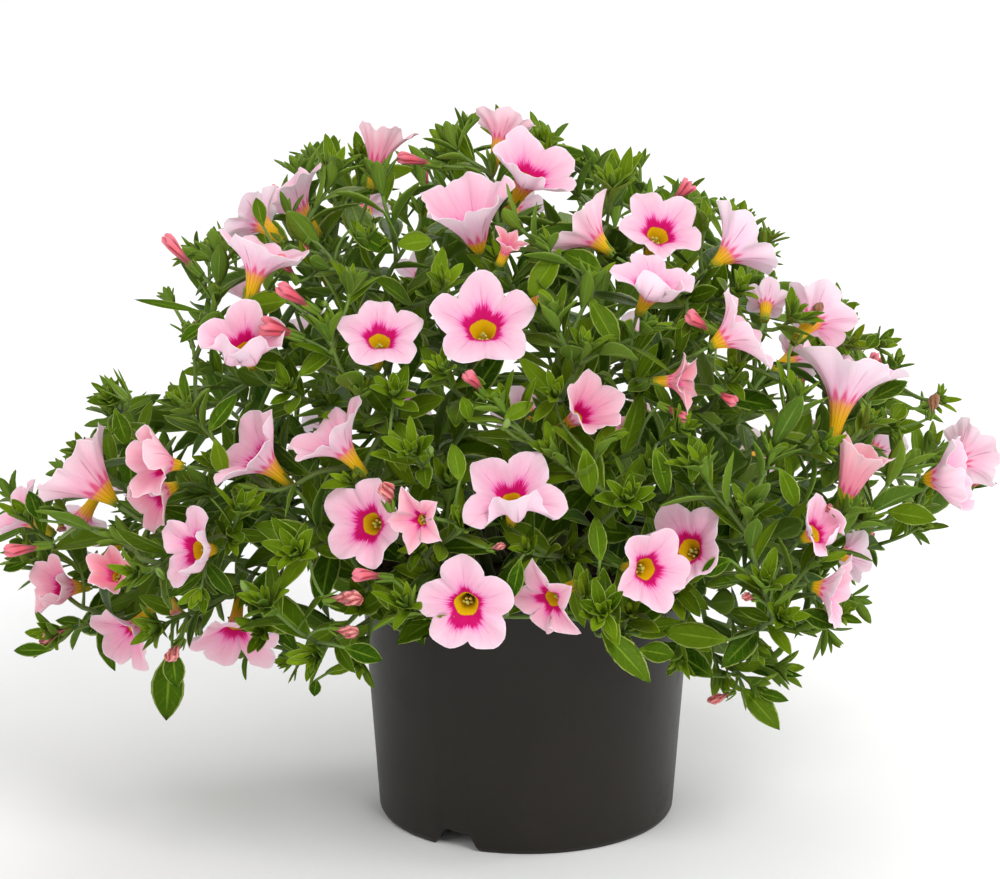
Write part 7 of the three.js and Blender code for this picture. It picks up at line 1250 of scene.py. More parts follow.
s 10 30 -775 1163 48 -40 -78 43 -67 60 232 86 13 29
s 10 -5 -710 1156 44 6 90 8 -100 4 264 109 33 18
s 5 -625 811 1001 -66 47 -58 -20 65 74 73 20 -14 100
s 5 -619 805 1012 -84 55 -2 29 41 -86 98 28 -15 90
s 5 -603 798 1014 -24 89 -39 -96 -15 25 127 36 12 80
s 5 -592 778 1022 -85 -4 -53 -22 93 29 162 59 11 69
s 5 -570 766 1040 -46 85 25 -70 -18 -69 176 58 11 59
s 5 -542 742 1052 8 56 -82 -84 48 24 225 78 43 48
s 5 -520 711 1086 -99 -8 10 -9 98 -17 265 80 16 37
s 5 -476 683 1124 16 98 9 -98 17 -12 303 112 27 28
s 5 -433 626 1161 -36 -45 -82 -74 68 -4 313 133 20 18
s 3 944 -406 802 97 25 2 25 -97 3 59 17 -9 100
s 3 934 -414 804 97 -16 20 22 92 -33 103 29 -12 89
s 3 919 -411 797 99 -3 -13 13 -9 99 102 29 1 78
s 3 899 -411 804 79 42 45 60 -70 -40 125 46 -8 67
s 3 874 -423 800 77 -63 13 42 64 64 132 45 22 56
s 3 838 -426 801 46 73 -51 74 -1 67 199 70 31 44
s 3 802 -450 814 76 12 64 30 81 -50 193 62 27 33
s 3 754 -482 819 60 -9 -79 68 58 45 249 102 16 22
s 3 695 -516 849 22 95 22 97 -23 2 276 100 22 11
s 7 890 512 737 47 12 -87 86 17 49 70 20 -6 100
s 7 878 507 743 18 -16 -97 82 57 6 107 30 0 89
s 7 872 511 759 48 59 -65 42 -80 -42 124 35 -6 78
s 7 863 501 778 77 -28 -57 0 89 -45 164 53 7 67
s 7 842 500 798 -9 -2 -100 97 21 -9 176 59 40 56
s 7 827 500 833 70 60 -38 42 -78 -46 204 72 14 44
s 7 797 488 869 10 -77 -63 92 32 -24 213 64 23 33
s 7 759 492 918 -13 72 -68 98 -3 -22 264 93 38 22
s 7 715 481 983 92 -14 36 38 43 -82 294 120 38 11
s 7 651 468 1029 -30 -36 -88 92 15 -37 300 113 17 0
s 8 -340 151 1869 -13 8 99 -30 -95 4 81 23 7 100
s 8 -341 147 1855 -54 -42 72 60 41 69 110 31 -6 89
s 8 -331 152 1840 22 -30 93 -93 22 29 140 39 -3 78
s 8 -333 161 1818 -74 19 64 49 -50 71 176 57 -1 67
s 8 -322 164 1789 -11 -79 60 -14 61 78 167 60 43 56
s 8 -311 187 1758 -6 38 92 -53 -79 30 218 76 45 51
s 8 -304 203 1710 -82 -55 18 22 -2 97 261 89 17 40
s 8 -26 132 1931 24 37 90 23 -92 31 81 23 -8 100
s 8 -29 124 1920 28 -25 93 2 97 25 101 28 -5 89
s 8 -31 129 1902 52 31 80 -59 -55 60 147 41 10 78
s 8 -44 124 1883 -30 6 95 95 0 30 155 47 3 67
s 8 -50 120 1853 57 -67 48 -8 53 84 169 59 6 56
s 8 -66 129 1818 62 50 60 -20 -64 74 231 72 26 44
s 8 -98 132 1778 -38 -34 86 87 17 46 231 81 38 40
s 8 -126 146 1721 73 -66 19 -4 24 97 288 109 11 29
s 8 -172 175 1661 17 74 65 29 -67 69 323 120 9 18
s 8 -209 181 1590 -27 -91 30 35 20 92 359 129 17 7
s 1 -700 -191 1646 -62 62 48 18 -49 86 63 18 -3 88
s 1 -694 -201 1642 -51 0 86 -11 99 -6 87 24 -5 79
s 1 -683 -202 1628 -32 77 55 -41 -64 65 131 37 2 70
s 1 -677 -216 1613 -83 30 47 55 30 78 137 42 -12 60
s 1 -656 -230 1602 -21 19 96 -72 63 -28 186 59 44 52
s 1 -636 -245 1576 -50 86 -11 -28 -4 96 197 64 7 42
s 1 -607 -279 1562 -86 -15 50 13 87 48 189 66 30 33
s 1 -557 -308 1547 4 80 59 -94 -17 30 257 104 22 24
s 1 -501 -352 1522 -69 -9 -72 -69 37 62 245 90 7 15
s 2 -941 266 1271 -77 35 54 63 26 73 68 19 9 70
s 2 -928 262 1270 -60 29 74 -67 32 -67 98 27 1 62
s 2 -918 260 1255 -69 70 15 -19 -37 91 118 33 -6 55
s 2 -904 245 1244 -86 -22 46 14 77 63 156 58 -7 47
s 2 -878 241 1228 -6 63 78 -85 -44 30 204 64 32 40
s 2 -859 228 1197 -82 57 -3 -8 -5 100 230 74 21 32
s 2 -825 206 1168 -45 -40 79 -14 91 38 209 64 11 25
s 2 -780 197 1124 0 84 54 -64 -41 64 293 106 6 18
s 5 -257 944 826 77 57 -30 -63 58 -52 62 17 6 100
s 5 -267 938 825 54 45 -71 42 58 70 86 24 -9 96
s 5 -277 932 835 22 67 -71 84 -50 -20 97 27 -9 85
s 5 -286 914 840 87 -3 -49 18 95 26 126 44 -7 74
s 5 -328 888 873 85 48 22 5 33 -94 199 65 34 51
s 5 -361 864 890 38 4 -93 75 58 33 205 72 7 40
s 5 -399 846 927 -5 96 26 100 5 -1 210 76 33 29
s 5 -438 805 972 93 -22 -30 26 96 10 240 86 20 18
s 5 -488 764 1020 -28 -21 -94 62 70 -34 285 107 27 5
s 3 491 -905 1117 25 -96 -8 47 5 88 73 20 -4 100
s 3 492 -891 1118 66 -75 7 -72 -60 35 112 32 -3 89
s 3 479 -877 1119 7 -95 30 100 6 -6 150 42 -11 78
s 3 474 -855 1110 31 -78 -55 19 -51 84 174 60 9 67
s 3 466 -826 1116 74 -43 52 -46 -88 -7 182 56 41 56
s 3 443 -792 1112 -31 -95 -7 75 -29 59 223 81 31 44
s 3 431 -742 1111 84 -18 -50 18 -80 58 239 82 18 33
s 3 400 -685 1123 12 -44 89 44 -78 -45 263 99 27 23
s 11 -877 -310 1398 -69 10 72 19 -93 31 80 22 6 70
s 11 -870 -316 1388 -68 -54 49 -6 71 70 106 30 4 62
s 11 -856 -310 1379 -45 4 89 -72 -61 -34 111 31 -9 55
s 11 -847 -308 1358 -93 22 29 23 -27 94 155 51 3 48
s 11 -825 -315 1340 -28 -58 77 -41 80 44 169 58 35 42
s 11 -801 -311 1310 -18 71 68 -46 -67 58 199 63 23 34
s 11 -778 -324 1269 -99 14 -2 -1 12 99 219 70 39 26
s 11 -735 -342 1229 21 -1 98 -93 30 21 232 89 37 18
s 11 -688 -354 1166 -34 93 -12 -42 -3 91 278 118 18 10
s 9 431 958 788 38 64 -67 17 66 73 70 20 0 100
s 9 424 953 798 26 92 -29 82 -37 -44 89 25 11 91
s 9 423 937 803 72 55 -42 -51 83 22 121 34 7 80
s 9 408 922 810 -17 66 -73 73 58 35 163 55 -13 69
s 9 401 903 829 63 71 31 8 33 -94 174 57 9 58
s 9 380 875 840 57 3 -82 46 82 35 218 69 42 47
s 9 347 856 868 3 99 -15 99 -1 12 245 84 7 37
s 9 309 824 901 93 -35 15 37 92 -14 255 97 14 27
s 9 246 801 937 -11 -2 -99 91 40 -11 300 126 11 18
s 9 191 779 992 40 70 59 81 2 -59 329 128 39 7
s 9 137 738 1035 15 -95 -28 95 22 -23 217 90 45 7
s 8 -554 335 1737 -86 30 42 36 -22 91 66 18 11 100
s 8 -542 328 1735 -71 10 70 -18 93 -31 114 32 10 89
s 8 -529 331 1723 -53 66 52 -47 -75 47 136 38 -14 82
s 8 -515 320 1708 -98 -17 -2 -9 40 91 148 45 -6 71
s 8 -487 316 1702 -50 7 86 -82 27 -50 172 59 38 61
s 8 -455 314 1680 -79 52 -33 -45 -13 88 212 74 36 50
s 8 -409 297 1673 -66 -72 23 -49 64 59 236 81 21 40
s 8 -347 294 1662 -37 66 65 -77 -61 18 230 82 42 29
s 1 -492 -381 1760 -13 17 98 -86 -50 -2 73 20 6 100
s 1 -495 -383 1747 -63 12 77 76 -10 64 98 27 3 93
s 1 -484 -388 1733 -6 -20 98 -57 81 12 139 39 -7 82
s 1 -476 -384 1711 2 36 93 -68 -68 28 141 50 2 72
s 1 -477 -391 1681 -82 17 55 56 0 83 162 50 27 61
s 1 -456 -399 1648 55 3 83 -83 14 55 206 74 24 49
s 1 -450 -399 1598 -56 70 44 14 -44 88 218 71 8 39
s 3 777 -705 698 86 -45 -24 -48 -56 -67 58 16 -1 100
s 3 766 -704 699 66 -61 -44 39 -23 89 68 19 -15 89
s 3 762 -690 703 75 -31 -59 13 -80 59 104 29 9 78
s 3 749 -686 716 71 -70 4 39 34 -86 126 44 -7 67
s 3 729 -672 718 25 -47 -85 81 -38 45 134 40 14 56
s 3 711 -654 736 99 0 13 0 -100 -2 135 43 20 44
s 3 675 -642 750 19 -98 11 98 20 10 194 67 32 33
s 9 202 928 1409 45 -10 89 -14 97 18 76 21 12 100
s 9 198 932 1397 49 57 67 -17 -69 71 105 30 -3 96
s 9 188 925 1386 -16 5 99 96 23 14 140 39 10 85
s 9 186 920 1363 76 -16 62 -53 40 75 134 47 -9 74
s 9 170 924 1339 27 66 70 18 -75 64 167 59 45 63
s 9 151 916 1307 -19 -69 70 55 51 66 193 69 26 51
s 9 137 920 1261 96 -18 20 -19 9 98 215 74 9 40
s 9 102 920 1210 -44 33 84 83 -20 51 247 92 32 29
s 7 576 867 1204 57 76 31 -78 62 -7 73 20 -10 100
s 7 568 860 1197 23 97 12 36 -20 91 90 25 4 89
s 7 564 843 1200 21 73 66 38 56 -74 133 37 10 78
s 7 561 824 1188 74 67 -2 -42 49 76 136 44 2 67
s 7 544 802 1184 -17 98 10 72 5 69 172 56 40 56
s 7 540 765 1182 75 51 42 -63 74 24 218 68 9 44
s 7 520 723 1171 24 64 -73 25 68 68 208 73 41 33
s 7 496 669 1176 -27 84 46 96 17 24 217 82 24 22
s 7 482 594 1163 94 33 -13 -16 71 68 272 101 27 11
s 2 -1030 -44 1238 -84 -51 19 35 -24 91 93 26 -11 70
s 2 -1016 -40 1237 -41 -76 51 -85 52 9 98 28 -4 62
s 2 -1008 -24 1229 -85 -8 52 23 -94 24 156 44 8 55
s 2 -990 -15 1214 -62 -73 -28 -29 -12 95 182 62 10 47
s 2 -966 7 1210 -41 -54 74 -83 -10 -54 223 74 39 39
s 2 -944 37 1192 -96 -17 -22 -8 -60 80 203 69 12 31
s 2 -905 70 1180 17 -97 -17 -62 -24 74 273 88 41 23
s 2 -866 125 1170 -47 20 86 -26 -96 7 283 109 38 16
s 2 -812 173 1134 -84 -13 -52 -44 -38 81 321 130 30 9
s 3 858 -643 736 95 -26 -19 -32 -75 -58 66 18 -6 100
s 3 846 -646 735 66 -69 -29 75 62 25 87 24 -2 89
s 3 834 -635 737 94 3 -35 29 -62 72 100 28 4 78
s 3 815 -636 746 73 12 67 61 33 -72 124 41 -1 67
s 3 789 -638 742 82 -46 -32 54 48 70 163 52 28 56
s 3 754 -633 746 60 79 11 67 -58 46 177 56 43 44
s 8 -594 60 1811 -38 -41 83 2 -90 -43 65 18 -13 100
s 8 -592 64 1798 -56 -79 25 33 6 94 99 28 -5 89
s 8 -581 77 1793 8 -58 81 -98 -21 -6 111 31 -13 80
s 8 -580 94 1779 -77 -15 62 45 -81 36 141 49 -1 69
s 8 -565 112 1760 -7 -100 -2 -32 0 95 160 57 41 58
s 8 -552 147 1752 -22 -39 90 -25 -86 -44 204 65 32 47
s 8 -537 187 1728 -69 -53 -49 -14 -57 81 209 72 9 36
s 8 -502 236 1717 34 -82 45 -87 -10 49 255 102 44 26
s 3 579 -819 1330 53 -38 76 -10 86 50 73 20 11 100
s 3 574 -809 1324 66 9 74 -25 -91 33 104 29 -9 89
s 3 562 -809 1313 6 -51 86 91 38 16 129 36 -6 78
s 3 557 -802 1293 90 -36 23 -25 0 97 145 50 12 67
s 3 539 -789 1276 42 27 86 9 -96 25 178 59 22 56
s 3 518 -788 1246 -22 -88 42 42 30 86 137 50 26 44
s 3 496 -767 1211 77 45 46 -12 -61 78 221 69 14 33
s 3 456 -751 1172 -24 7 97 86 -46 25 215 79 29 22
s 8 -806 222 1598 -97 -24 -5 -13 32 94 73 20 -12 79
s 8 -794 223 1602 -80 -33 49 -59 53 -61 97 27 -4 71
s 8 -781 231 1595 -94 33 4 -24 -77 59 128 36 4 63
s 8 -760 227 1590 -74 -60 -32 -58 32 74 152 54 -11 56
s 8 -736 238 1599 -87 -2 50 -36 -68 -65 146 54 12 48
s 8 -701 246 1599 -42 -27 -87 -85 -24 48 167 52 13 39
s 8 -664 256 1623 -41 -91 6 -90 42 8 231 72 36 31
s 8 -618 281 1650 -91 35 22 -38 -92 -9 219 88 37 22
s 8 -550 296 1674 -9 -76 -64 -93 -16 32 256 93 30 14
s 5 -316 992 1225 0 99 17 -72 -12 68 75 21 -1 100
s 5 -321 978 1224 -51 80 31 86 46 23 101 28 -8 96
s 5 -311 962 1220 32 82 46 -94 33 7 127 36 10 85
s 5 -312 940 1208 -26 90 -34 5 37 93 165 50 1 74
s 5 -308 908 1210 -38 60 71 50 78 -38 216 78 19 63
s 5 -295 870 1202 59 80 -9 -59 51 62 252 79 33 51
s 5 -296 817 1202 -92 40 -3 32 77 55 260 95 24 40
s 5 -279 753 1208 29 58 76 -65 70 -29 252 94 34 29
s 11 -994 -417 723 -92 1 -39 38 19 -90 62 18 -5 70
s 11 -981 -415 722 -76 46 -45 -64 -42 65 105 30 6 62
s 11 -970 -421 734 -90 -33 -30 -35 94 3 117 33 -6 55
s 11 -950 -416 742 -82 57 -8 -58 -81 13 142 46 -9 47
s 11 -924 -428 741 -76 33 -56 -49 28 82 131 46 33 39
s 11 -891 -443 749 -79 -16 59 -28 95 -11 222 76 35 31
s 11 -846 -453 739 -14 93 -35 -78 12 62 202 67 40 24
s 3 764 -786 877 21 -64 -74 84 -27 47 74 21 7 100
s 3 765 -777 886 73 -49 -47 -62 -76 -18 96 27 -5 89
s 3 753 -771 896 16 -92 -36 93 27 -26 125 35 -11 78
s 3 745 -752 902 46 -35 -81 37 -76 54 145 50 -1 67
s 3 733 -736 922 89 -43 16 -27 -76 -59 154 50 36 56
s 3 703 -718 932 11 -86 -50 86 -17 47 177 53 25 44
s 3 677 -683 950 93 23 -28 34 -84 43 205 71 37 33
s 3 630 -655 973 37 -87 33 93 33 -16 242 94 13 22
s 0 1047 -217 781 -31 -93 -19 21 13 -97 133 48 -2 67
s 0 1033 -202 804 -12 58 -81 70 -53 -48 168 52 8 56
s 0 1024 -193 840 54 -64 -55 -82 -56 -14 146 45 13 44
s 0 998 -185 882 -15 -70 -70 99 -5 -16 223 83 21 33
s 0 974 -160 934 39 63 -67 65 -70 -28 282 106 15 22
s 0 936 -148 1004 64 -76 13 52 30 -80 288 105 5 11
s 0 883 -124 1060 -64 -18 -74 73 -44 -52 304 114 21 0
s 0 838 -97 1121 67 74 8 74 -65 -19 366 151 28 0
s 0 777 -89 1174 14 -91 39 97 5 -24 335 142 35 0
s 9 107 1098 826 15 96 -24 0 24 97 69 19 9 100
s 9 102 1087 832 -15 93 34 84 30 -46 79 22 8 96
s 9 107 1073 827 55 83 -3 -68 47 56 120 34 5 85
s 9 97 1054 825 -33 93 -13 68 33 66 146 44 -14 74
s 9 96 1028 831 30 72 62 -24 69 -68 146 48 44 63
s 9 90 995 824 51 55 -66 5 75 66 184 62 13 51
s 9 71 956 835 -52 85 9 81 46 37 182 67 23 40
s 9 62 902 852 86 38 35 -40 92 0 252 92 32 29
s 9 38 836 869 -6 4 -100 24 97 2 272 112 43 18
s 6 248 -869 1539 -15 -89 43 76 17 63 83 23 5 100
s 6 253 -857 1533 38 -72 59 -91 -17 38 100 28 -10 94
s 6 244 -843 1524 -21 -60 78 92 -40 -6 152 42 -13 84
s 6 242 -828 1505 -34 -94 1 37 -13 92 146 53 -2 73
s 6 245 -799 1491 62 -36 70 -72 -61 33 191 58 30 62
s 6 233 -768 1468 -79 -54 30 56 -43 70 242 82 37 50
s 6 237 -725 1438 67 -71 -22 -17 -43 89 285 104 22 39
s 6 228 -664 1414 20 -13 97 -16 -98 -10 253 95 9 28
s 6 214 -599 1368 -59 -70 -39 18 -59 79 280 115 31 18
s 11 -642 -822 1269 -31 -35 88 -95 10 -29 88 25 -1 92
s 11 -643 -815 1256 -63 -3 78 52 -77 38 114 32 5 82
s 11 -633 -815 1240 -42 -67 62 0 68 74 151 42 10 73
s 11 -622 -801 1224 -18 22 96 -38 -91 14 184 64 -13 63
s 11 -614 -794 1194 -89 -17 43 45 -16 88 178 66 32 53
s 11 -590 -784 1163 39 -39 83 -88 12 47 230 73 39 44
s 11 -576 -762 1118 -49 47 74 13 -79 59 249 75 26 34
s 11 -551 -744 1058 -34 -93 15 -7 18 98 268 107 18 24
s 5 -810 752 749 -59 -12 -80 8 98 -21 78 22 11 81
s 5 -804 756 760 -66 50 -56 5 -72 -69 94 26 -14 73
s 5 -791 750 769 -22 6 -97 -93 29 23 133 37 -1 65
s 5 -785 745 790 -76 -18 -62 5 94 -33 132 46 3 56
s 5 -767 750 812 -48 68 -56 -62 -71 -32 167 58 31 48
s 5 -743 745 840 22 -58 -78 -96 0 -28 175 56 10 39
s 5 -722 753 882 -94 -32 6 -7 2 -100 251 85 39 30
s 5 -679 770 922 3 57 -82 -93 -29 -23 280 118 43 21
s 5 -630 772 981 -49 -81 -32 -85 53 -4 298 116 7 12
s 7 828 741 795 20 94 -27 78 -32 -53 74 21 6 100
s 7 832 729 796 54 75 -38 -66 66 36 97 27 -3 89
s 7 821 716 798 0 82 -57 55 48 68 132 37 -11 78
s 7 818 699 812 13 94 32 33 26 -91 160 59 -15 67
s 7 814 671 814 41 33 -85 6 92 39 166 52 15 56
s 7 802 641 830 -51 80 -32 69 60 41 199 69 42 44
s 7 805 599 852 77 62 14 -63 78 4 243 76 30 33
s 7 788 546 872 -24 15 -96 28 96 8 214 88 15 22
s 7 1050 348 716 51 -30 -81 82 43 36 78 22 -7 100
s 7 1043 355 727 86 21 -47 14 -97 -17 93 26 -1 89
s 7 1029 348 736 74 -54 -41 54 83 -12 128 36 -12 78
s 7 1009 358 744 60 8 -80 72 -49 50 154 46 1 67
s 7 988 364 766 93 -28 25 14 -36 -92 162 58 21 56
s 7 953 378 777 -2 -87 -50 94 -19 30 203 69 13 44
s 7 923 414 796 84 17 -51 44 -77 46 214 73 12 33
s 7 875 444 825 47 -81 34 87 36 -34 302 110 30 22
s 0 1105 -221 1012 76 -52 -38 62 43 66 79 22 1 100
s 0 1098 -211 1017 98 1 -21 4 -99 12 100 28 11 89
s 0 1082 -211 1022 66 -75 7 74 64 -19 134 38 8 78
s 0 1064 -199 1019 64 -29 -71 65 -30 70 164 58 2 67
s 0 1041 -185 1030 92 5 39 10 -99 -11 173 59 28 56
s 0 1004 -178 1026 24 -96 -18 82 10 56 196 69 27 44
s 0 966 -150 1025 87 30 -40 50 -54 68 250 76 13 33
s 7 683 909 851 1 99 -13 -62 11 77 72 20 -1 100
s 7 678 897 853 -45 89 -3 83 44 34 86 24 7 89
s 7 687 882 855 28 91 29 -93 34 -16 122 34 -15 78
s 7 687 861 848 -31 89 -32 -2 33 94 157 58 -5 67
s 7 694 833 854 -65 60 47 66 75 -5 184 60 25 56
s 7 718 805 843 3 97 -24 -59 21 78 192 68 18 44
s 7 740 763 836 -96 -6 -27 -24 69 69 199 63 9 33
s 7 780 716 833 -30 33 90 -39 81 -43 227 96 26 22
s 10 -266 -940 1481 11 -13 98 -30 -95 -9 76 21 -11 100
s 10 -269 -942 1468 -14 -62 78 43 67 61 95 27 -1 96
s 10 -264 -934 1455 67 -23 70 -74 -19 64 121 34 6 85
s 10 -271 -924 1437 -36 25 90 53 -73 42 153 47 -12 74
s 10 -270 -924 1409 7 -77 64 -1 64 77 154 54 12 63
s 10 -272 -908 1376 28 49 83 -27 -79 56 210 73 43 51
s 10 -282 -911 1330 -61 -42 67 59 32 74 219 80 42 40
s 10 -278 -909 1271 81 -17 56 -54 12 83 227 83 44 29
s 10 -285 -900 1197 15 74 66 -11 -65 75 285 101 6 18
s 11 -947 -622 1008 -50 -74 -44 -28 -34 90 64 18 -12 70
s 11 -939 -617 1017 -15 -96 -24 -96 20 -21 108 30 1 62
s 11 -937 -600 1024 -90 -39 -18 42 -90 -13 140 39 -10 55
s 11 -920 -586 1028 -33 -83 -46 -60 -19 78 142 47 -14 47
s 11 -907 -566 1046 -60 -73 32 -21 -24 -95 174 58 27 39
s 11 -883 -537 1050 -53 11 -84 -63 -71 30 214 65 29 31
s 11 -845 -514 1071 -7 -100 -3 -93 5 37 241 86 9 24
s 11 -804 -471 1089 -86 14 48 -20 -98 -8 276 107 26 17
s 11 -735 -431 1093 9 -27 -96 -77 -63 10 256 108 24 9
s 7 842 654 1314 60 41 69 44 55 -71 72 20 1 100
s 7 838 648 1302 94 32 14 -28 43 86 108 30 -5 89
s 7 821 643 1297 22 86 46 79 -43 44 113 32 -14 78
s 7 811 626 1286 81 17 56 -46 78 42 136 48 4 67
s 7 789 617 1267 55 84 3 24 -19 95 203 65 17 56
s 7 762 593 1254 13 12 98 80 58 -17 206 68 19 44
s 7 734 567 1222 99 -14 8 -1 50 87 225 72 43 33
s 7 687 542 1188 -24 94 26 65 -4 76 281 108 30 22
s 7 637 493 1149 52 -41 75 20 91 35 309 128 41 11
s 7 659 794 1408 28 37 88 67 -73 9 88 24 -4 100
s 7 656 784 1396 43 -28 86 -2 95 32 126 35 -4 89
s 7 651 786 1378 72 54 43 -29 -32 90 126 35 -1 78
s 7 635 778 1361 -16 8 98 98 15 14 183 67 -14 67
s 7 627 770 1331 70 -41 58 -26 62 74 175 53 40 56
s 7 605 774 1296 41 88 25 20 -35 91 200 71 27 44
s 7 574 760 1255 -16 -37 92 73 58 36 292 102 11 33
s 10 -454 -1051 1059 -46 -84 31 88 -48 -2 66 18 -5 100
s 10 -446 -1043 1056 -8 -100 2 -38 5 92 107 30 -11 94
s 10 -444 -1026 1052 -14 -68 72 -26 -68 -69 134 38 6 83
s 10 -443 -1008 1045 -41 -90 9 60 -19 78 125 38 -6 72
s 10 -427 -984 1038 36 -86 37 -86 -15 48 150 48 34 62
s 10 -419 -950 1027 -64 -22 73 40 -92 7 171 61 17 50
s 10 -362 -868 999 35 -57 74 -93 -32 20 252 103 28 29
s 5 -601 881 1334 -6 91 40 0 41 -91 70 20 9 100
s 5 -598 871 1325 11 99 3 -50 3 86 98 28 -5 91
s 5 -603 854 1322 -45 89 -2 59 31 75 120 34 5 80
s 5 -595 832 1323 19 82 54 -90 36 -23 147 46 -14 69
s 5 -598 806 1308 -23 82 -53 6 55 83 158 58 8 58
s 5 -598 768 1306 -48 67 56 87 44 21 195 60 31 46
s 5 -585 723 1290 67 70 23 -64 39 66 204 72 43 35
s 5 -586 665 1266 -87 33 -37 -6 67 74 239 85 30 24
s 3 952 -574 1224 78 -42 47 53 83 -14 76 21 7 100
s 3 944 -565 1215 99 2 13 -9 -57 82 104 29 10 89
s 3 926 -562 1213 53 -22 82 82 -12 -56 141 40 -3 78
s 3 908 -559 1197 79 -61 -5 29 30 91 182 58 -12 67
s 3 880 -546 1190 73 40 56 32 -92 23 202 73 33 56
s 3 841 -545 1178 42 -76 49 72 61 34 248 83 5 44
s 3 793 -534 1162 85 26 -46 51 -20 84 245 89 35 33
s 3 727 -529 1164 43 32 84 82 -52 -22 276 110 18 22
s 3 647 -528 1153 38 -92 -13 75 23 62 348 140 25 11
s 3 570 -504 1146 71 70 -10 59 -50 64 332 132 9 0
s 0 1155 32 992 92 32 -23 -21 89 40 64 18 3 100
s 0 1143 33 994 62 74 -28 77 -50 39 82 23 -6 89
s 0 1133 22 1001 95 26 16 -13 82 -55 124 35 5 78
s 0 1114 12 997 74 35 -58 42 44 79 142 48 2 67
s 0 1092 1 1008 38 90 21 92 -40 3 141 49 15 56
s 0 1073 -29 1011 99 -13 -9 16 90 40 199 65 44 44
s 0 1038 -58 1013 4 74 -67 60 52 61 186 66 26 33
s 0 1004 -103 1030 62 40 67 22 74 -64 209 84 42 22
s 6 110 -795 1742 -6 -87 49 97 -18 -19 80 22 -10 100
s 6 116 -786 1733 22 -94 27 -61 8 79 102 28 -10 96
s 6 114 -769 1731 -9 -63 77 26 -76 -59 139 39 5 85
s 6 112 -753 1715 -52 -85 -5 42 -30 86 149 50 -10 74
s 6 120 -726 1706 59 -74 31 -72 -32 62 170 53 24 63
s 6 112 -690 1696 -67 -48 56 71 -63 30 185 66 44 51
s 6 117 -646 1676 19 -78 -60 -5 -61 79 210 67 10 40
s 6 119 -584 1672 24 -14 96 -28 -96 -7 285 115 16 29
s 1 -176 -814 1719 13 -64 76 83 49 27 68 19 -12 100
s 1 -173 -806 1710 52 -46 72 -84 -14 52 85 24 -4 96
s 1 -184 -797 1702 2 -32 95 84 -51 -19 100 28 7 85
s 1 -186 -792 1682 35 -87 35 -3 36 93 144 48 10 74
s 1 -193 -771 1665 47 -5 88 -43 -88 18 146 53 7 63
s 1 -211 -759 1637 -34 -70 63 75 20 63 162 59 31 51
s 1 -219 -734 1601 96 -28 -5 -4 -29 96 192 70 39 40
s 1 -249 -699 1566 12 7 99 40 -92 2 238 87 20 29
s 1 -281 -666 1509 -30 -94 -14 35 -25 90 244 90 34 18
s 1 -303 -607 1457 100 8 -4 7 -49 87 287 114 44 7
s 4 399 760 1707 13 90 41 99 -8 -13 61 17 9 100
s 4 400 747 1704 65 57 50 -60 79 -12 90 25 9 89
s 4 391 738 1694 35 94 4 16 -10 98 106 30 7 78
s 4 380 719 1693 1 72 70 91 28 -31 154 53 11 67
s 4 375 694 1681 72 69 5 -41 38 83 153 49 11 56
s 4 354 665 1674 -35 91 -24 57 41 71 184 57 6 44
s 4 342 619 1677 48 38 79 -22 92 -31 223 78 7 33
s 4 324 564 1665 59 42 -69 19 76 62 244 103 19 26
s 4 294 494 1664 -55 34 76 78 55 31 228 84 18 16
s 6 383 -708 1772 40 -64 65 -24 -76 -60 69 19 7 100
s 6 375 -702 1763 3 -91 42 84 25 48 96 27 9 90
s 6 377 -688 1755 75 -60 28 -59 -41 70 129 36 11 79
s 6 365 -670 1749 12 -41 90 48 -77 -42 144 43 -14 69
s 6 355 -652 1729 26 -95 -19 24 -13 96 168 53 24 58
s 6 342 -618 1720 68 -22 70 -46 -87 17 174 62 17 47
s 6 313 -585 1702 -30 -80 52 88 -2 47 228 84 10 37
s 6 288 -537 1676 79 -28 -54 32 -56 76 277 105 44 26
s 6 241 -477 1659 5 1 100 55 -84 -2 251 90 23 17
s 6 198 -424 1616 -33 -83 -46 36 -56 75 307 116 8 7
s 10 336 -1124 1086 -6 -66 75 66 -59 -46 81 23 1 100
s 10 337 -1118 1073 23 -94 27 -19 23 96 104 29 3 91
s 10 336 -1100 1070 38 -34 86 -49 -86 -12 102 29 1 80
s 10 327 -1087 1053 -48 -78 40 72 -10 68 138 48 -15 70
s 10 330 -1065 1033 62 -76 16 -38 -12 92 170 62 27 59
s 10 320 -1034 1013 -4 11 99 26 -96 12 206 64 17 47
s 10 309 -1009 987 -19 -97 16 29 10 95 224 71 37 36
s 10 302 -963 966 80 7 59 -42 -63 65 264 108 16 26
s 1 -455 -801 1653 -66 -30 69 27 -95 -15 68 19 11 100
s 1 -446 -800 1642 -51 -77 38 -13 51 85 100 28 5 94
s 1 -434 -787 1637 -8 -26 96 -82 -53 -21 120 34 -14 84
s 1 -427 -776 1617 -81 -53 25 32 -4 94 163 60 11 73
s 1 -404 -763 1602 -11 -96 25 -58 27 77 174 57 28 63
s 1 -382 -733 1586 -60 4 80 6 -99 9 240 87 16 51
s 1 -352 -711 1552 -74 -63 -25 -16 -19 97 244 83 42 40
s 1 -310 -670 1525 21 -24 95 -90 -43 9 280 111 12 29
s 0 1181 69 764 12 56 -82 12 -83 -55 69 19 -3 100
s 0 1164 57 780 -5 61 -79 100 -2 -8 106 30 -2 78
s 0 1161 49 799 27 63 -73 -63 -45 -63 114 34 -11 67
s 0 1145 36 818 -1 -31 -95 66 71 -24 144 50 44 56
s 0 1135 37 852 -9 72 -68 77 -38 -51 191 65 13 44
s 0 1107 17 948 -64 9 -76 71 45 -55 219 88 24 22
s 6 630 -665 1673 92 -16 36 -10 -98 -19 72 20 -9 100
s 6 616 -666 1670 66 -61 43 73 66 -18 112 31 -10 89
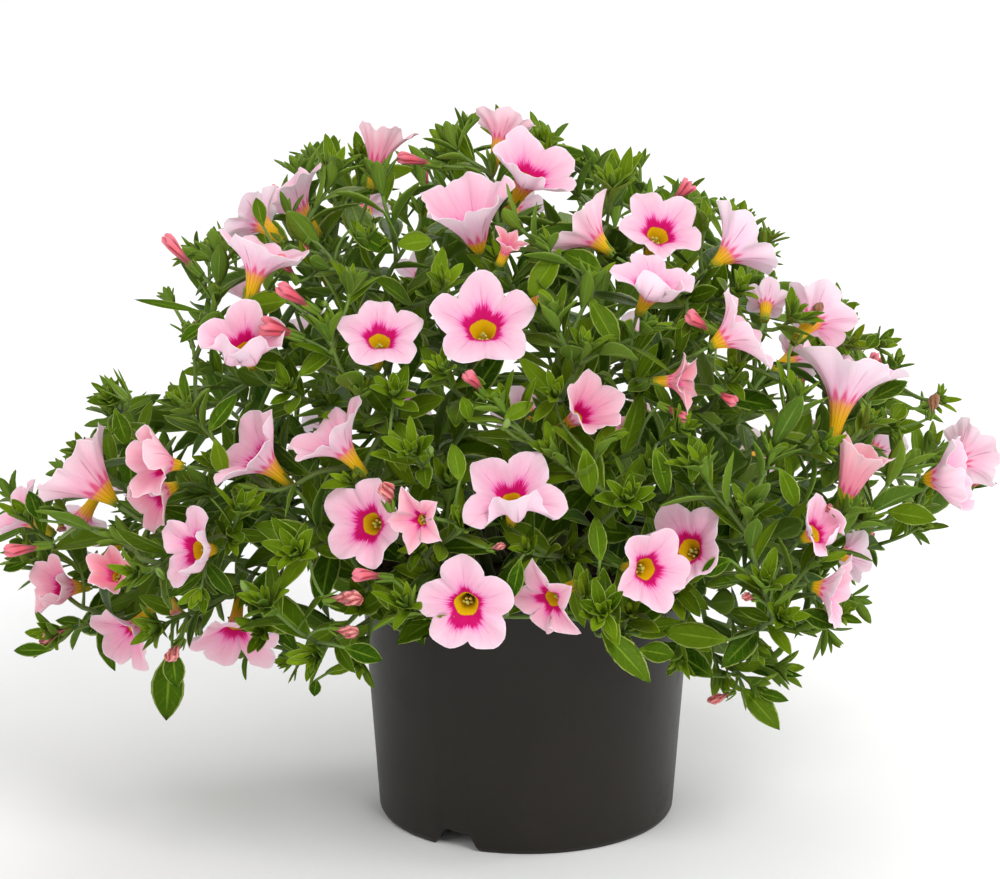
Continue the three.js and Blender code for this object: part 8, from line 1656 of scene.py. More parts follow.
s 6 606 -655 1660 98 -20 -3 -6 -44 90 122 34 5 78
s 6 585 -646 1662 81 -20 55 26 -72 -64 168 54 8 67
s 6 557 -641 1653 67 -69 -27 56 23 80 204 62 18 56
s 6 523 -624 1656 83 43 -35 55 -56 62 192 64 9 44
s 6 476 -620 1670 66 -61 44 72 68 -13 230 73 12 33
s 6 415 -603 1676 34 6 -94 92 -22 32 230 82 26 22
s 2 -1186 -38 723 -33 -23 -92 -48 -80 37 66 19 -1 70
s 2 -1182 -39 735 -33 -79 -52 -41 62 -67 93 26 -14 62
s 2 -1179 -27 746 -69 -6 -72 24 -96 -15 125 35 -13 55
s 2 -1164 -22 760 -11 -45 -89 -93 -28 25 123 45 8 47
s 2 -1158 -12 785 -72 -68 -12 9 8 -99 164 50 33 39
s 2 -1141 9 808 -52 38 -76 -48 -87 -10 207 74 44 31
s 2 -1115 22 844 13 -86 -50 -99 -16 1 210 75 9 23
s 2 -1093 53 888 -98 -13 16 3 -86 -52 210 88 31 15
s 2 -1043 88 930 27 -5 -96 -77 -61 -18 281 111 45 8
s 2 -995 118 987 -30 -89 35 -90 14 -41 318 122 34 0
s 2 -939 162 1026 -48 83 -27 -87 -49 6 253 90 42 0
s 2 -869 180 1062 34 -69 -64 -89 -45 2 279 113 37 0
s 5 -863 794 1168 -82 1 57 10 99 12 74 21 -3 76
s 5 -849 796 1163 -34 42 84 -92 -32 -22 106 30 10 69
s 5 -840 790 1147 -96 16 22 25 15 96 128 36 3 61
s 5 -818 783 1140 -46 -29 84 -59 81 -5 162 52 8 54
s 5 -794 786 1119 -62 72 33 -33 -62 71 179 57 6 46
s 5 -761 777 1097 -83 -56 2 -24 38 89 251 90 41 38
s 5 -712 785 1079 -34 18 92 -85 -48 -22 248 76 13 30
s 5 -656 787 1043 -78 47 -41 -51 -10 85 270 116 20 21
s 5 -387 824 1704 3 18 98 66 73 -16 66 18 7 100
s 5 -384 822 1692 65 44 62 -71 8 70 94 26 -2 89
s 5 -394 818 1680 0 79 62 48 -54 69 128 36 8 78
s 5 -396 802 1666 48 -8 88 -37 89 28 134 48 8 67
s 5 -403 797 1640 58 71 40 -24 -33 92 179 66 14 56
s 5 -422 782 1614 -41 23 88 91 9 40 200 62 24 51
s 5 -435 765 1575 48 -66 58 2 67 74 215 75 37 40
s 5 -460 762 1523 70 68 22 -3 -28 96 250 98 41 28
s 5 -504 748 1465 -52 -15 84 81 23 55 259 107 28 16
s 5 -533 736 1391 99 -2 -17 17 16 97 253 96 31 4
s 5 -575 719 1325 -65 66 38 49 -1 87 252 94 16 2
s 10 -1 -1151 1311 -25 -92 30 -10 33 94 62 18 11 100
s 10 5 -1140 1312 -14 -82 55 -99 11 -10 93 26 11 96
s 10 2 -1128 1302 -68 -65 34 69 -42 59 111 31 6 85
s 10 13 -1114 1291 -20 -92 33 -36 38 85 114 42 12 74
s 10 18 -1088 1287 -83 26 50 -5 -92 38 136 48 14 63
s 10 33 -1063 1268 -68 -59 -44 -14 -48 86 169 52 36 51
s 10 60 -1029 1261 19 -87 45 -88 6 47 187 56 18 40
s 10 80 -978 1246 -80 -6 60 32 -89 34 225 89 21 29
s 4 95 733 1874 -46 41 78 24 91 -34 86 24 -8 100
s 4 103 731 1862 1 89 46 -71 -31 63 96 27 -2 89
s 4 104 715 1851 -61 66 45 79 41 46 110 31 -1 78
s 4 120 702 1838 -10 58 81 -99 -10 -5 171 53 2 67
s 4 130 686 1814 -30 96 2 -6 -4 100 151 53 35 56
s 4 149 655 1796 -78 -16 60 19 86 47 242 88 44 44
s 4 185 629 1769 18 86 47 -78 -16 60 220 72 21 33
s 4 217 584 1734 -93 11 -35 -26 48 84 255 106 13 22
s 4 267 529 1703 8 22 97 -79 61 -7 293 109 34 11
s 11 -870 -727 1367 -58 -59 57 76 -16 62 83 23 -11 70
s 11 -859 -723 1360 -15 -84 53 -74 45 50 89 25 -12 62
s 11 -854 -707 1353 -53 -21 82 19 -97 -12 143 40 -5 55
s 11 -845 -699 1333 -68 -73 5 6 1 100 175 56 -8 47
s 11 -824 -681 1321 10 -46 88 -99 -10 6 171 55 17 41
s 11 -810 -656 1295 -90 7 43 29 -65 70 195 59 39 33
s 11 -774 -638 1265 -6 -97 24 -51 23 83 222 77 36 26
s 11 -736 -598 1234 -6 24 97 -57 -80 16 245 94 33 18
s 11 -696 -556 1180 -96 -19 -18 -9 -38 92 322 118 36 10
s 2 -1190 231 720 -15 70 -70 -94 12 32 78 22 10 70
s 2 -1191 221 728 -67 53 -52 54 83 14 83 23 -9 62
s 2 -1179 215 739 -30 92 -23 -76 -38 -53 108 30 5 55
s 2 -1169 196 745 -3 34 -94 -62 73 29 151 54 -12 47
s 2 -1163 178 766 -84 49 -22 53 82 -20 179 64 25 39
s 2 -1141 157 787 46 75 -47 -86 52 -2 196 72 17 31
s 2 -1129 122 816 -34 -32 -89 -48 87 -12 228 82 13 23
s 2 -1107 100 868 -66 75 6 -21 -11 -97 243 104 10 15
s 7 1096 454 1227 94 34 10 -29 59 76 80 22 -4 100
s 7 1082 454 1228 49 78 39 86 -51 -5 106 30 6 89
s 7 1070 440 1224 94 -3 34 -4 98 21 141 40 -8 78
s 7 1049 435 1214 78 60 -20 31 -8 95 156 56 -13 67
s 7 1021 422 1215 51 62 59 84 -51 -18 183 67 17 56
s 7 990 401 1203 92 -19 -33 38 50 78 228 73 29 44
s 7 940 389 1199 34 90 -27 71 -6 70 275 98 17 33
s 7 882 361 1200 64 -34 70 49 87 -2 281 107 40 22
s 7 806 341 1180 73 -8 -68 68 20 71 272 115 6 11
s 3 1065 -623 917 54 -84 -2 26 14 95 65 18 2 100
s 3 1060 -612 921 73 -48 49 -27 -86 -43 80 22 -13 89
s 3 1047 -604 914 11 -99 4 80 11 59 105 30 -10 78
s 3 1041 -585 908 91 -32 26 -37 -32 87 113 35 -9 67
s 3 1022 -565 907 22 -52 82 71 -50 -50 175 61 30 56
s 3 986 -502 873 94 8 32 -18 -70 69 191 70 35 33
s 3 949 -467 846 -22 -84 50 80 14 59 209 88 41 22
s 9 -31 1234 966 7 100 0 -98 7 17 62 17 9 100
s 9 -34 1224 958 -48 85 19 51 10 85 90 25 8 96
s 9 -20 1197 942 -11 97 22 -40 -25 88 155 50 5 74
s 9 -16 1172 929 -98 20 2 13 56 82 153 54 13 63
s 9 10 1151 916 59 30 75 -80 36 48 207 64 7 51
s 9 34 1128 884 -51 77 -38 -34 23 91 223 82 29 40
s 9 68 1087 861 -53 -22 82 0 97 25 260 109 13 29
s 6 87 -650 1946 -4 4 100 -47 -88 2 76 21 8 100
s 6 84 -652 1933 -72 -12 68 69 -8 72 107 30 -11 96
s 6 94 -650 1918 27 -27 92 -90 28 35 141 39 7 85
s 6 92 -642 1898 -16 30 94 9 -95 31 140 51 1 74
s 6 96 -646 1869 -14 -78 60 0 61 79 190 63 12 63
s 6 104 -633 1834 54 36 76 -59 -48 65 221 81 19 51
s 6 101 -627 1787 -87 -18 46 47 -6 88 256 81 22 40
s 6 115 -613 1728 52 -75 40 -40 20 90 287 112 12 29
s 0 1196 263 1109 68 71 19 -29 2 96 64 18 -8 100
s 0 1184 256 1109 34 76 55 94 -33 -11 94 26 3 89
s 0 1182 242 1100 88 36 30 -47 64 61 128 36 -13 78
s 0 1167 232 1088 45 89 -10 18 2 98 129 44 -15 67
s 0 1153 208 1085 25 56 79 62 53 -58 176 61 20 56
s 0 1144 179 1064 73 62 -27 -8 47 88 192 59 42 44
s 0 1125 139 1053 -46 82 35 77 16 62 190 58 10 33
s 0 1118 82 1038 44 25 86 -32 94 -10 240 91 43 22
s 4 728 551 1742 60 69 41 -20 -36 91 70 20 -6 100
s 4 718 542 1741 47 62 63 85 -50 -15 96 27 10 89
s 4 715 531 1729 93 21 30 -36 63 69 125 35 9 78
s 4 699 523 1717 11 99 9 53 -14 84 158 49 6 67
s 4 686 499 1710 26 19 95 41 87 -28 157 54 13 56
s 4 672 474 1688 78 48 -41 12 53 84 180 66 8 44
s 4 643 438 1679 -46 83 32 80 22 56 223 78 44 33
s 4 624 383 1665 90 2 43 -24 85 47 210 87 42 22
s 4 579 330 1636 25 82 -51 41 39 82 267 106 27 11
s 11 -909 -855 936 -38 -92 -8 85 -39 35 71 20 -12 70
s 11 -900 -845 937 13 -99 -4 -92 -13 36 103 29 -7 62
s 11 -903 -828 941 -31 -93 19 92 -34 -19 118 33 3 55
s 11 -899 -807 935 -16 -92 -36 15 -38 91 134 41 12 47
s 11 -893 -781 946 53 -84 9 -85 -52 9 178 57 12 39
s 11 -905 -746 954 -47 -88 -8 79 -46 41 149 46 6 31
s 11 -907 -702 973 61 -33 -72 -1 -91 41 201 66 14 23
s 11 -919 -653 1007 18 -84 51 -12 -54 -84 250 101 29 15
s 10 -72 -1125 1087 -1 -28 96 6 -96 -28 123 39 22 51
s 10 -71 -1058 1062 76 -8 65 -52 -68 52 171 70 16 29
s 10 -84 -1010 1044 -54 -21 81 71 -63 31 188 75 9 18
s 11 -706 -1035 909 -32 -87 -37 -94 25 23 64 18 12 85
s 11 -706 -1025 916 -64 -76 -9 57 -39 -72 91 25 0 75
s 11 -697 -1013 914 -47 -60 -65 -25 -61 75 110 31 2 67
s 11 -686 -1001 926 -24 -94 26 -76 1 -65 117 39 8 58
s 11 -678 -977 931 -90 -27 -35 12 -91 39 166 55 35 49
s 11 -655 -954 940 29 -88 -37 -78 -44 44 178 55 35 40
s 11 -635 -923 962 -22 -87 45 -85 -6 -52 171 58 23 31
s 11 -611 -875 976 -84 17 -51 -37 -87 32 204 74 28 21
s 11 -568 -825 1001 40 -76 52 -91 -38 16 230 92 20 12
s 5 -812 742 1505 -84 36 40 45 6 89 65 18 4 80
s 5 -802 735 1501 -49 -12 87 -28 96 -2 102 28 3 72
s 5 -793 736 1486 -53 59 60 -7 -74 67 121 34 -2 64
s 5 -783 722 1471 -92 -13 38 25 54 80 164 59 10 56
s 5 -759 717 1456 -22 29 93 -97 -20 -17 190 58 15 48
s 5 -741 709 1424 -96 28 -6 -6 0 100 220 76 5 38
s 5 -703 696 1397 -6 -63 77 -60 64 48 229 72 23 30
s 5 -660 696 1354 -5 87 49 -56 -43 71 222 89 30 21
s 5 -614 670 1296 -97 -19 -12 -17 28 95 256 105 16 12
s 0 1118 -322 1388 59 -74 33 25 56 79 70 20 11 100
s 0 1114 -310 1386 78 -22 59 -34 -94 9 101 28 9 89
s 0 1099 -307 1377 37 -80 47 60 60 53 121 34 -11 78
s 0 1092 -290 1364 94 -31 14 -26 -40 88 152 55 2 67
s 0 1071 -273 1356 39 -7 92 33 -92 -21 166 60 43 56
s 0 1047 -256 1334 -4 -100 5 58 2 81 189 64 26 44
s 0 1026 -219 1314 100 0 7 -6 -60 80 202 68 39 33
s 0 982 -182 1294 -18 -70 69 96 2 27 256 97 14 22
s 0 942 -129 1257 59 -58 -56 38 -42 83 242 90 21 11
s 0 887 -72 1236 43 42 80 35 -89 29 329 131 21 0
s 8 -207 705 1928 8 79 61 -99 0 13 86 24 -9 100
s 8 -212 696 1917 -45 86 24 48 1 88 99 28 -4 89
s 8 -206 678 1912 -2 42 91 -29 87 -40 137 38 -12 78
s 8 -201 664 1892 30 93 22 -51 -3 86 193 62 4 67
s 8 -205 636 1877 -63 65 43 71 26 66 198 72 10 56
s 8 -192 601 1858 58 64 51 -80 33 50 206 75 6 44
s 8 -194 556 1830 -27 89 -37 5 39 92 252 76 8 33
s 8 -192 492 1810 -48 11 87 47 87 15 304 119 30 22
s 8 -178 428 1762 76 59 28 -52 30 80 284 110 23 11
s 1 -692 -707 1695 -93 -19 32 18 51 84 88 24 0 87
s 1 -678 -705 1694 -57 -12 82 -82 19 -54 108 30 -5 79
s 1 -667 -702 1679 -96 15 21 15 -34 93 135 38 -8 70
s 1 -646 -708 1670 -85 -52 8 -29 58 76 178 63 8 61
s 1 -616 -704 1662 -56 43 71 -72 -67 -16 176 54 30 53
s 1 -581 -715 1644 -70 35 -63 -62 13 77 193 58 26 44
s 1 -533 -735 1642 -73 -33 60 -28 94 18 237 72 32 35
s 1 -471 -743 1624 -27 95 16 -70 -30 65 281 116 42 27
s 9 201 1254 997 23 65 72 41 61 -68 72 20 -5 100
s 9 202 1247 986 60 74 29 -57 16 80 96 27 3 96
s 9 190 1235 980 -8 84 54 91 -16 38 115 32 5 85
s 9 187 1215 971 34 26 90 -5 96 -26 149 47 -10 74
s 9 178 1200 948 41 89 18 -6 -17 98 164 60 27 63
s 9 160 1171 933 -19 -1 98 92 34 18 151 54 11 51
s 9 151 1138 900 95 16 26 -30 47 83 204 75 32 40
s 9 122 1102 860 -13 99 -1 35 6 93 277 108 11 29
s 4 553 436 1962 -28 17 95 92 33 21 77 22 3 100
s 4 560 433 1950 21 19 96 -94 32 14 105 30 3 89
s 4 555 433 1932 -8 78 62 13 -61 78 134 38 4 78
s 4 554 420 1913 -26 -31 92 36 84 39 148 51 -4 67
s 4 559 418 1882 31 61 72 -52 -53 67 186 60 45 56
s 4 555 402 1846 -76 7 65 64 24 73 218 73 22 44
s 4 570 384 1801 49 -14 86 -71 51 48 277 85 25 33
s 4 573 367 1738 -25 91 32 9 -31 95 292 125 37 22
s 10 -243 -1206 1104 -92 -37 11 30 -87 -39 73 20 3 85
s 10 -197 -1167 1096 -82 49 -29 -57 -74 37 108 40 41 51
s 10 -370 -1149 1322 -21 -75 62 -14 -61 -78 82 23 -2 100
s 10 -371 -1142 1311 -62 -76 22 60 -27 75 110 31 0 96
s 10 -360 -1129 1303 24 -89 39 -81 4 59 120 34 -4 85
s 10 -360 -1108 1296 -36 -47 81 47 -84 -28 138 44 -9 74
s 10 -353 -1089 1274 -27 -96 1 0 1 100 163 51 11 63
s 10 -339 -1056 1259 41 -54 73 -91 -28 30 226 70 28 51
s 10 -335 -1016 1231 -54 -25 80 70 -66 27 155 50 22 40
s 10 -312 -975 1189 -50 -86 -12 -23 -1 97 196 82 31 29
s 10 174 -1230 1166 -1 -68 73 -80 -43 -42 55 15 -5 100
s 10 185 -1222 1163 -4 -86 50 -91 25 34 93 26 2 96
s 10 185 -1206 1157 -38 -30 88 44 -89 -12 102 29 -5 85
s 10 218 -1178 1138 -31 -47 83 -91 -11 -40 173 60 32 62
s 10 240 -1155 1120 -56 81 15 -35 -40 85 134 50 34 50
s 10 280 -1139 1101 0 -98 19 -64 14 75 219 70 24 37
s 0 1130 -100 1496 52 39 76 40 -90 19 71 20 -13 100
s 0 1123 -110 1489 43 -20 88 39 92 1 88 25 5 89
s 0 1118 -109 1472 93 19 32 -33 4 94 141 40 11 78
s 0 1098 -113 1460 6 30 95 98 -19 0 167 61 -8 67
s 0 1088 -124 1434 82 -23 53 -31 60 74 164 56 34 56
s 0 1063 -126 1405 27 91 31 32 -39 87 213 69 19 44
s 0 1033 -147 1372 5 -42 90 57 75 32 255 78 21 33
s 0 1003 -154 1316 96 -26 11 -6 21 98 280 105 17 22
s 7 1173 535 854 99 12 -6 -6 -2 -100 70 20 -1 100
s 7 1161 531 850 94 -4 -34 32 50 81 116 32 0 89
s 7 1144 536 857 74 67 9 68 -73 -9 137 38 -8 78
s 7 1124 525 860 91 -38 16 38 92 6 156 51 8 67
s 7 1094 525 856 64 38 -67 72 0 69 192 63 11 56
s 7 1057 515 865 66 15 73 69 26 -68 234 72 42 44
s 7 1012 498 853 77 -49 -40 60 38 70 242 76 30 33
s 7 950 491 846 37 92 9 71 -34 62 272 99 24 22
s 7 1040 763 918 25 95 -19 24 12 96 73 20 -6 100
s 7 1035 752 924 18 94 29 69 9 -72 93 26 -6 89
s 7 1035 735 918 58 81 -4 -58 45 68 117 33 -8 78
s 7 1022 715 915 -23 96 -18 58 28 76 151 50 12 67
s 7 1022 685 918 39 74 54 -82 55 -17 173 61 44 56
s 7 1017 650 902 13 76 -64 3 64 77 200 67 40 44
s 7 1009 601 897 -72 36 59 65 66 38 211 75 17 33
s 7 1010 541 875 79 30 54 -56 69 45 299 127 30 22
s 4 747 67 1926 52 41 75 62 -79 1 137 38 -1 78
s 4 732 57 1911 72 -55 43 23 77 60 149 50 -13 67
s 4 709 61 1893 72 69 -6 35 -29 89 174 60 5 56
s 4 674 52 1880 33 7 94 93 14 -34 193 65 36 44
s 4 636 42 1852 88 -31 -36 44 21 87 211 75 28 33
s 4 577 41 1830 41 87 28 54 -48 69 274 110 41 22
s 4 506 28 1796 12 -53 84 78 57 25 266 93 27 11
s 4 812 359 1837 78 -10 61 -62 -22 75 69 19 -12 89
s 4 797 360 1830 -34 53 78 86 -16 48 100 28 -2 78
s 4 787 354 1811 95 -25 18 5 70 71 126 43 -5 67
s 4 770 363 1790 80 51 30 0 -51 86 180 64 21 56
s 4 739 361 1771 9 -16 98 98 19 -6 170 60 38 44
s 4 710 364 1735 97 -14 -18 18 3 98 212 69 42 33
s 4 658 368 1704 11 77 63 62 -55 56 250 104 21 22
s 1 -438 -560 1996 28 -52 80 -96 -13 25 78 22 -3 100
s 1 -445 -551 1988 -2 -36 93 66 -70 -26 114 32 10 89
s 1 -445 -548 1970 10 -88 47 5 48 88 143 40 -12 78
s 1 -444 -530 1955 55 -17 82 -71 -61 35 153 55 -3 67
s 1 -456 -516 1931 -46 -50 74 86 -5 50 198 70 14 61
s 1 -455 -497 1898 53 -84 14 -20 3 98 222 77 36 49
s 1 -467 -460 1866 4 20 98 15 -97 19 233 86 9 38
s 1 -480 -433 1810 -50 -86 15 31 -1 95 273 107 36 26
s 6 -89 -429 2134 15 -35 93 -94 -35 2 70 20 -1 100
s 6 -93 -423 2122 -60 -29 75 78 -41 47 107 30 7 89
s 6 -83 -420 2108 4 -73 68 -55 56 63 129 36 1 78
s 6 -79 -404 2093 -16 -12 98 -24 -96 -15 142 46 9 67
s 6 -75 -396 2066 -86 -43 26 34 -10 94 197 62 44 56
s 6 -55 -379 2038 59 -36 72 -79 -11 60 206 67 44 44
s 6 -42 -355 1999 -71 36 60 24 -68 69 246 74 25 33
s 6 -10 -340 1948 -15 -97 17 -28 21 94 223 88 17 22
s 6 29 -309 1889 43 16 89 -79 -40 46 268 104 44 18
s 6 668 -409 1953 57 -44 69 -74 10 67 64 18 3 100
s 6 658 -402 1948 13 -12 98 68 -71 -18 90 25 10 89
s 6 653 -402 1933 20 -76 62 37 64 67 109 30 11 78
s 6 648 -387 1918 68 16 72 -36 -78 51 132 46 11 67
s 6 631 -379 1898 -25 -42 87 96 0 28 158 55 18 56
s 6 621 -365 1866 75 -66 -7 3 -7 100 182 62 8 44
s 6 597 -336 1838 43 34 84 4 -93 36 234 76 23 33
s 6 560 -315 1797 -30 -75 59 76 18 62 241 100 17 22
s 6 526 -275 1744 98 13 -15 19 -34 92 250 93 23 11
s 6 466 -247 1697 -27 -4 96 93 -25 25 256 106 11 0
s 6 255 -374 2135 20 -43 88 94 35 -5 70 20 -13 100
s 6 255 -370 2122 70 -34 62 -63 9 77 114 32 8 89
s 6 244 -360 2112 39 2 92 10 -100 -2 120 34 9 78
s 6 234 -361 2090 28 -83 48 26 55 79 147 50 4 67
s 6 223 -346 2067 82 16 55 -40 -54 74 184 62 20 56
s 6 196 -340 2039 -47 -46 76 82 10 57 191 68 5 44
s 6 176 -328 1995 85 -52 -4 7 4 100 264 93 6 33
s 6 135 -308 1951 1 54 84 52 -72 46 262 104 25 22
s 6 93 -304 1881 -33 -88 34 43 18 88 274 113 19 18
s 5 -479 1223 1022 -36 80 -49 -72 9 68 69 19 8 100
s 5 -480 1212 1030 -80 55 -25 59 80 -12 91 26 -8 95
s 5 -467 1203 1038 -19 98 -5 -90 -19 -39 138 39 -12 84
s 5 -457 1182 1039 -26 49 -83 -46 69 56 143 52 -14 74
s 5 -448 1161 1058 -89 34 -29 43 82 -38 139 45 16 63
s 5 -423 1136 1071 40 79 -46 -82 54 20 228 69 30 51
s 5 -406 1097 1094 -71 -20 -67 -42 89 17 219 77 25 40
s 5 -340 1003 1172 33 -5 -94 -41 89 -20 301 124 32 18
s 8 -90 504 2121 51 35 78 -66 -42 62 63 18 0 100
s 8 -99 499 2113 -2 14 99 98 18 0 100 28 -3 89
s 8 -98 493 2097 45 -12 88 -52 77 37 128 36 -3 78
s 8 -107 496 2077 7 63 77 30 -76 58 164 57 1 67
s 8 -116 484 2052 -13 -39 91 53 75 40 168 55 27 56
s 8 -119 482 2015 82 16 55 -55 -2 84 220 73 14 44
s 8 -139 480 1971 -18 83 52 34 -44 83 224 71 45 33
s 8 -154 463 1915 0 -72 69 21 68 71 283 102 27 22
s 8 -169 458 1839 39 88 27 -4 -28 96 278 103 6 11
s 0 1066 118 1682 51 68 52 -52 -23 82 82 23 12 100
s 0 1057 109 1674 -3 46 89 100 9 -1 103 29 -8 89
s 0 1059 98 1660 54 6 84 -56 77 30 138 38 8 78
s 0 1051 92 1638 -6 87 49 26 -46 85 170 61 -11 67
s 0 1050 66 1619 1 -10 100 4 99 10 174 54 35 56
s 0 1056 46 1585 31 94 13 -32 -3 95 220 68 10 44
s 0 1056 4 1556 -80 27 53 60 48 65 232 79 30 33
s 0 1077 -45 1518 36 6 93 -63 75 20 250 91 42 22
s 11 -1099 -608 1361 -86 -22 46 -27 96 -3 68 19 12 70
s 11 -1088 -599 1356 -79 27 56 -32 -95 1 116 33 9 62
s 11 -1075 -603 1344 -93 -34 -13 -22 22 95 117 33 -11 55
s 11 -1051 -602 1341 -70 -20 69 -58 73 -37 172 57 -13 47
s 11 -1025 -596 1326 -81 58 11 -32 -58 75 189 57 17 39
s 11 -988 -609 1316 -79 -60 -15 -50 47 73 213 70 40 31
s 11 -937 -613 1314 -46 36 81 -88 -34 -34 238 82 13 23
s 11 -878 -626 1293 -70 25 -67 -68 10 73 250 105 44 15
s 8 -784 547 1835 -63 35 70 -4 88 -48 78 22 1 100
s 8 -775 546 1825 -45 84 29 -42 -49 77 87 24 10 89
s 8 -770 531 1818 -35 44 83 91 37 19 93 26 7 78
s 8 -751 521 1811 -2 57 82 -99 10 -10 159 54 -4 67
s 8 -735 504 1793 -50 84 -21 -31 6 95 154 49 34 56
s 8 -714 475 1785 -91 -36 21 -22 84 50 217 69 41 44
s 8 -674 450 1772 6 89 45 -88 -17 44 227 83 31 33
s 8 -637 405 1754 -91 -29 -30 -42 58 70 279 99 44 22
s 8 -574 360 1743 -18 0 98 -70 70 -13 283 105 21 11
s 9 594 1164 1020 53 53 66 84 -27 -46 75 21 -7 100
s 9 591 1154 1011 94 -1 33 -19 80 57 93 26 -13 89
s 9 578 1154 1002 56 80 21 33 -45 83 112 31 -10 78
s 9 562 1139 996 42 6 91 50 82 -29 148 47 5 67
s 9 548 1128 975 83 56 -2 -4 8 100 145 45 14 56
s 9 506 1076 933 84 -13 52 -27 74 62 237 80 43 33
s 9 480 1039 895 6 97 -24 27 21 94 231 97 28 22
s 9 449 978 866 -39 7 92 69 68 24 269 100 32 12
s 10 405 -1084 1573 53 -43 73 -81 -51 29 62 17 6 100
s 10 395 -1081 1569 14 -47 87 99 -1 -16 67 19 0 89
s 10 394 -1077 1555 62 -72 30 -17 24 96 102 28 -3 78
s 10 386 -1063 1546 53 12 84 -17 -96 24 128 47 -9 68
s 10 372 -1058 1527 -12 -84 54 64 35 69 144 53 25 57
s 10 364 -1040 1504 92 10 37 -28 -48 84 157 56 21 45
s 10 337 -1026 1478 -30 -21 93 95 -19 26 166 59 12 35
s 10 314 -1011 1435 12 -99 -4 9 -3 100 185 68 14 25
s 10 273 -983 1392 39 57 72 23 -82 53 188 74 44 16
s 10 218 -969 1335 -35 -75 56 70 18 69 237 85 40 7
s 10 176 -939 1273 90 -20 -38 33 -22 92 256 105 38 7
s 11 -1234 -478 1101 -91 37 -21 -42 -79 45 68 19 -9 70
s 11 -1221 -483 1101 -88 -47 -2 -43 79 44 101 28 7 62
s 11 -1205 -474 1103 -90 28 34 -35 -92 -16 123 34 -5 55
s 11 -1182 -475 1095 -89 -6 -44 -44 -1 90 139 47 -13 47
s 11 -1152 -479 1100 -78 -42 47 -48 88 -2 187 66 10 39
s 11 -1114 -473 1093 -50 86 9 -70 -46 55 241 84 13 31
s 11 -1067 -491 1085 -68 -58 -44 -69 31 65 243 75 33 23
s 11 -1003 -499 1086 -23 49 84 -96 -26 -11 283 107 8 15
s 11 -926 -513 1066 -44 42 -79 -84 11 53 293 117 22 8
s 0 988 -75 1797 -43 -30 86 89 3 45 73 20 0 100
s 0 996 -74 1786 30 -44 84 -76 42 49 104 29 11 89
s 0 992 -64 1772 -27 34 90 31 -86 42 113 32 3 78
s 0 993 -65 1749 -24 -65 72 24 68 70 141 51 -7 67
s 0 1003 -53 1724 32 -25 91 -94 -3 33 188 58 11 56
s 0 1004 -37 1690 -67 31 68 39 -63 67 195 70 26 44
s 0 1020 -30 1646 -65 -70 30 16 26 95 241 83 19 33
s 0 1050 -11 1595 40 38 83 -69 -47 55 249 88 29 22
s 10 242 -1294 1146 -34 -69 64 50 -71 -50 79 22 3 100
s 10 244 -1285 1135 -15 -99 7 21 4 98 110 31 3 95
s 10 249 -1268 1136 21 -76 61 -80 -50 -35 137 38 -13 83
s 10 245 -1246 1127 -60 -78 19 71 -41 57 153 56 -7 73
s 10 257 -1220 1118 16 -95 -26 -41 -31 86 178 61 32 61
s 10 266 -1182 1120 -14 -50 85 -34 -78 -52 198 70 22 49
s 8 -186 -81 2227 -36 -48 80 44 67 60 70 20 6 100
s 8 -178 -74 2218 28 -11 95 -91 -35 23 110 31 10 89
s 8 -182 -69 2202 -60 -9 79 76 -37 54 131 37 1 78
s 8 -172 -68 2181 -10 -74 66 -19 67 72 160 55 11 67
s 8 -164 -51 2159 -13 12 98 -29 -96 8 197 62 34 56
s 8 -157 -41 2123 -79 -50 35 38 4 92 180 64 27 44
s 8 -132 -20 2087 39 -75 53 -66 18 73 226 82 36 33
s 8 -113 19 2042 -66 34 67 19 -79 59 286 122 24 22
s 8 -80 53 1980 -45 -87 -21 -16 -16 98 305 112 38 11
s 8 -49 98 1921 68 27 68 -50 -51 70 343 147 35 0
s 8 -272 223 2197 -5 44 90 90 -38 24 67 19 -7 100
s 8 -271 214 2187 8 -22 97 10 97 21 102 28 6 89
s 8 -270 215 2169 61 49 62 -60 -22 77 149 42 -5 78
s 8 -280 207 2149 -29 39 87 91 -17 38 125 38 -1 67
s 8 -278 195 2121 55 -41 73 -36 67 65 183 57 24 56
s 8 -285 192 2082 47 70 55 -28 -47 84 189 59 41 44
s 8 -308 163 1975 61 -44 66 -40 55 73 300 120 26 22
s 8 -326 162 1897 -6 91 41 14 -40 91 300 122 32 11
s 1 -361 -316 2151 -27 -16 95 80 51 32 78 22 2 89
s 1 -358 -318 2135 66 2 75 -72 28 63 118 33 7 78
s 1 -369 -318 2117 -38 61 69 63 -38 68 139 48 -4 67
s 1 -374 -330 2093 7 -26 96 32 92 22 183 60 28 56
s 1 -380 -333 2058 53 77 35 -15 -32 93 178 55 8 44
s 1 -401 -352 2022 -91 -20 36 36 3 93 165 59 24 33
s 1 -412 -376 1971 99 -3 13 -11 30 95 220 93 30 22
s 1 -446 -397 1909 -43 86 28 40 -10 91 288 112 18 17
s 2 -1171 650 771 -21 97 -9 -96 -19 23 71 20 4 70
s 2 -1174 638 772 -68 72 -11 66 67 35 92 26 -1 62
s 2 -1164 626 777 -14 85 50 -53 36 -77 105 30 10 55
s 2 -1158 606 770 -33 79 -51 -16 49 86 138 48 -3 47
s 2 -1154 581 776 -73 62 29 68 71 19 166 55 6 39
s 2 -1140 549 775 53 84 14 -78 42 47 193 62 14 31
s 2 -1145 504 768 -50 62 -61 12 75 66 232 72 22 23
s 2 -1147 446 770 10 46 88 7 88 -46 254 102 44 15
s 2 -1154 375 753 76 38 -52 4 78 63 277 101 14 8
s 2 -1174 297 749 -89 43 17 45 73 51 279 110 23 0
s 4 502 -7 2149 -4 -14 99 93 36 9 65 18 -11 100
s 4 508 -6 2138 44 -18 88 -85 23 48 92 26 -8 89
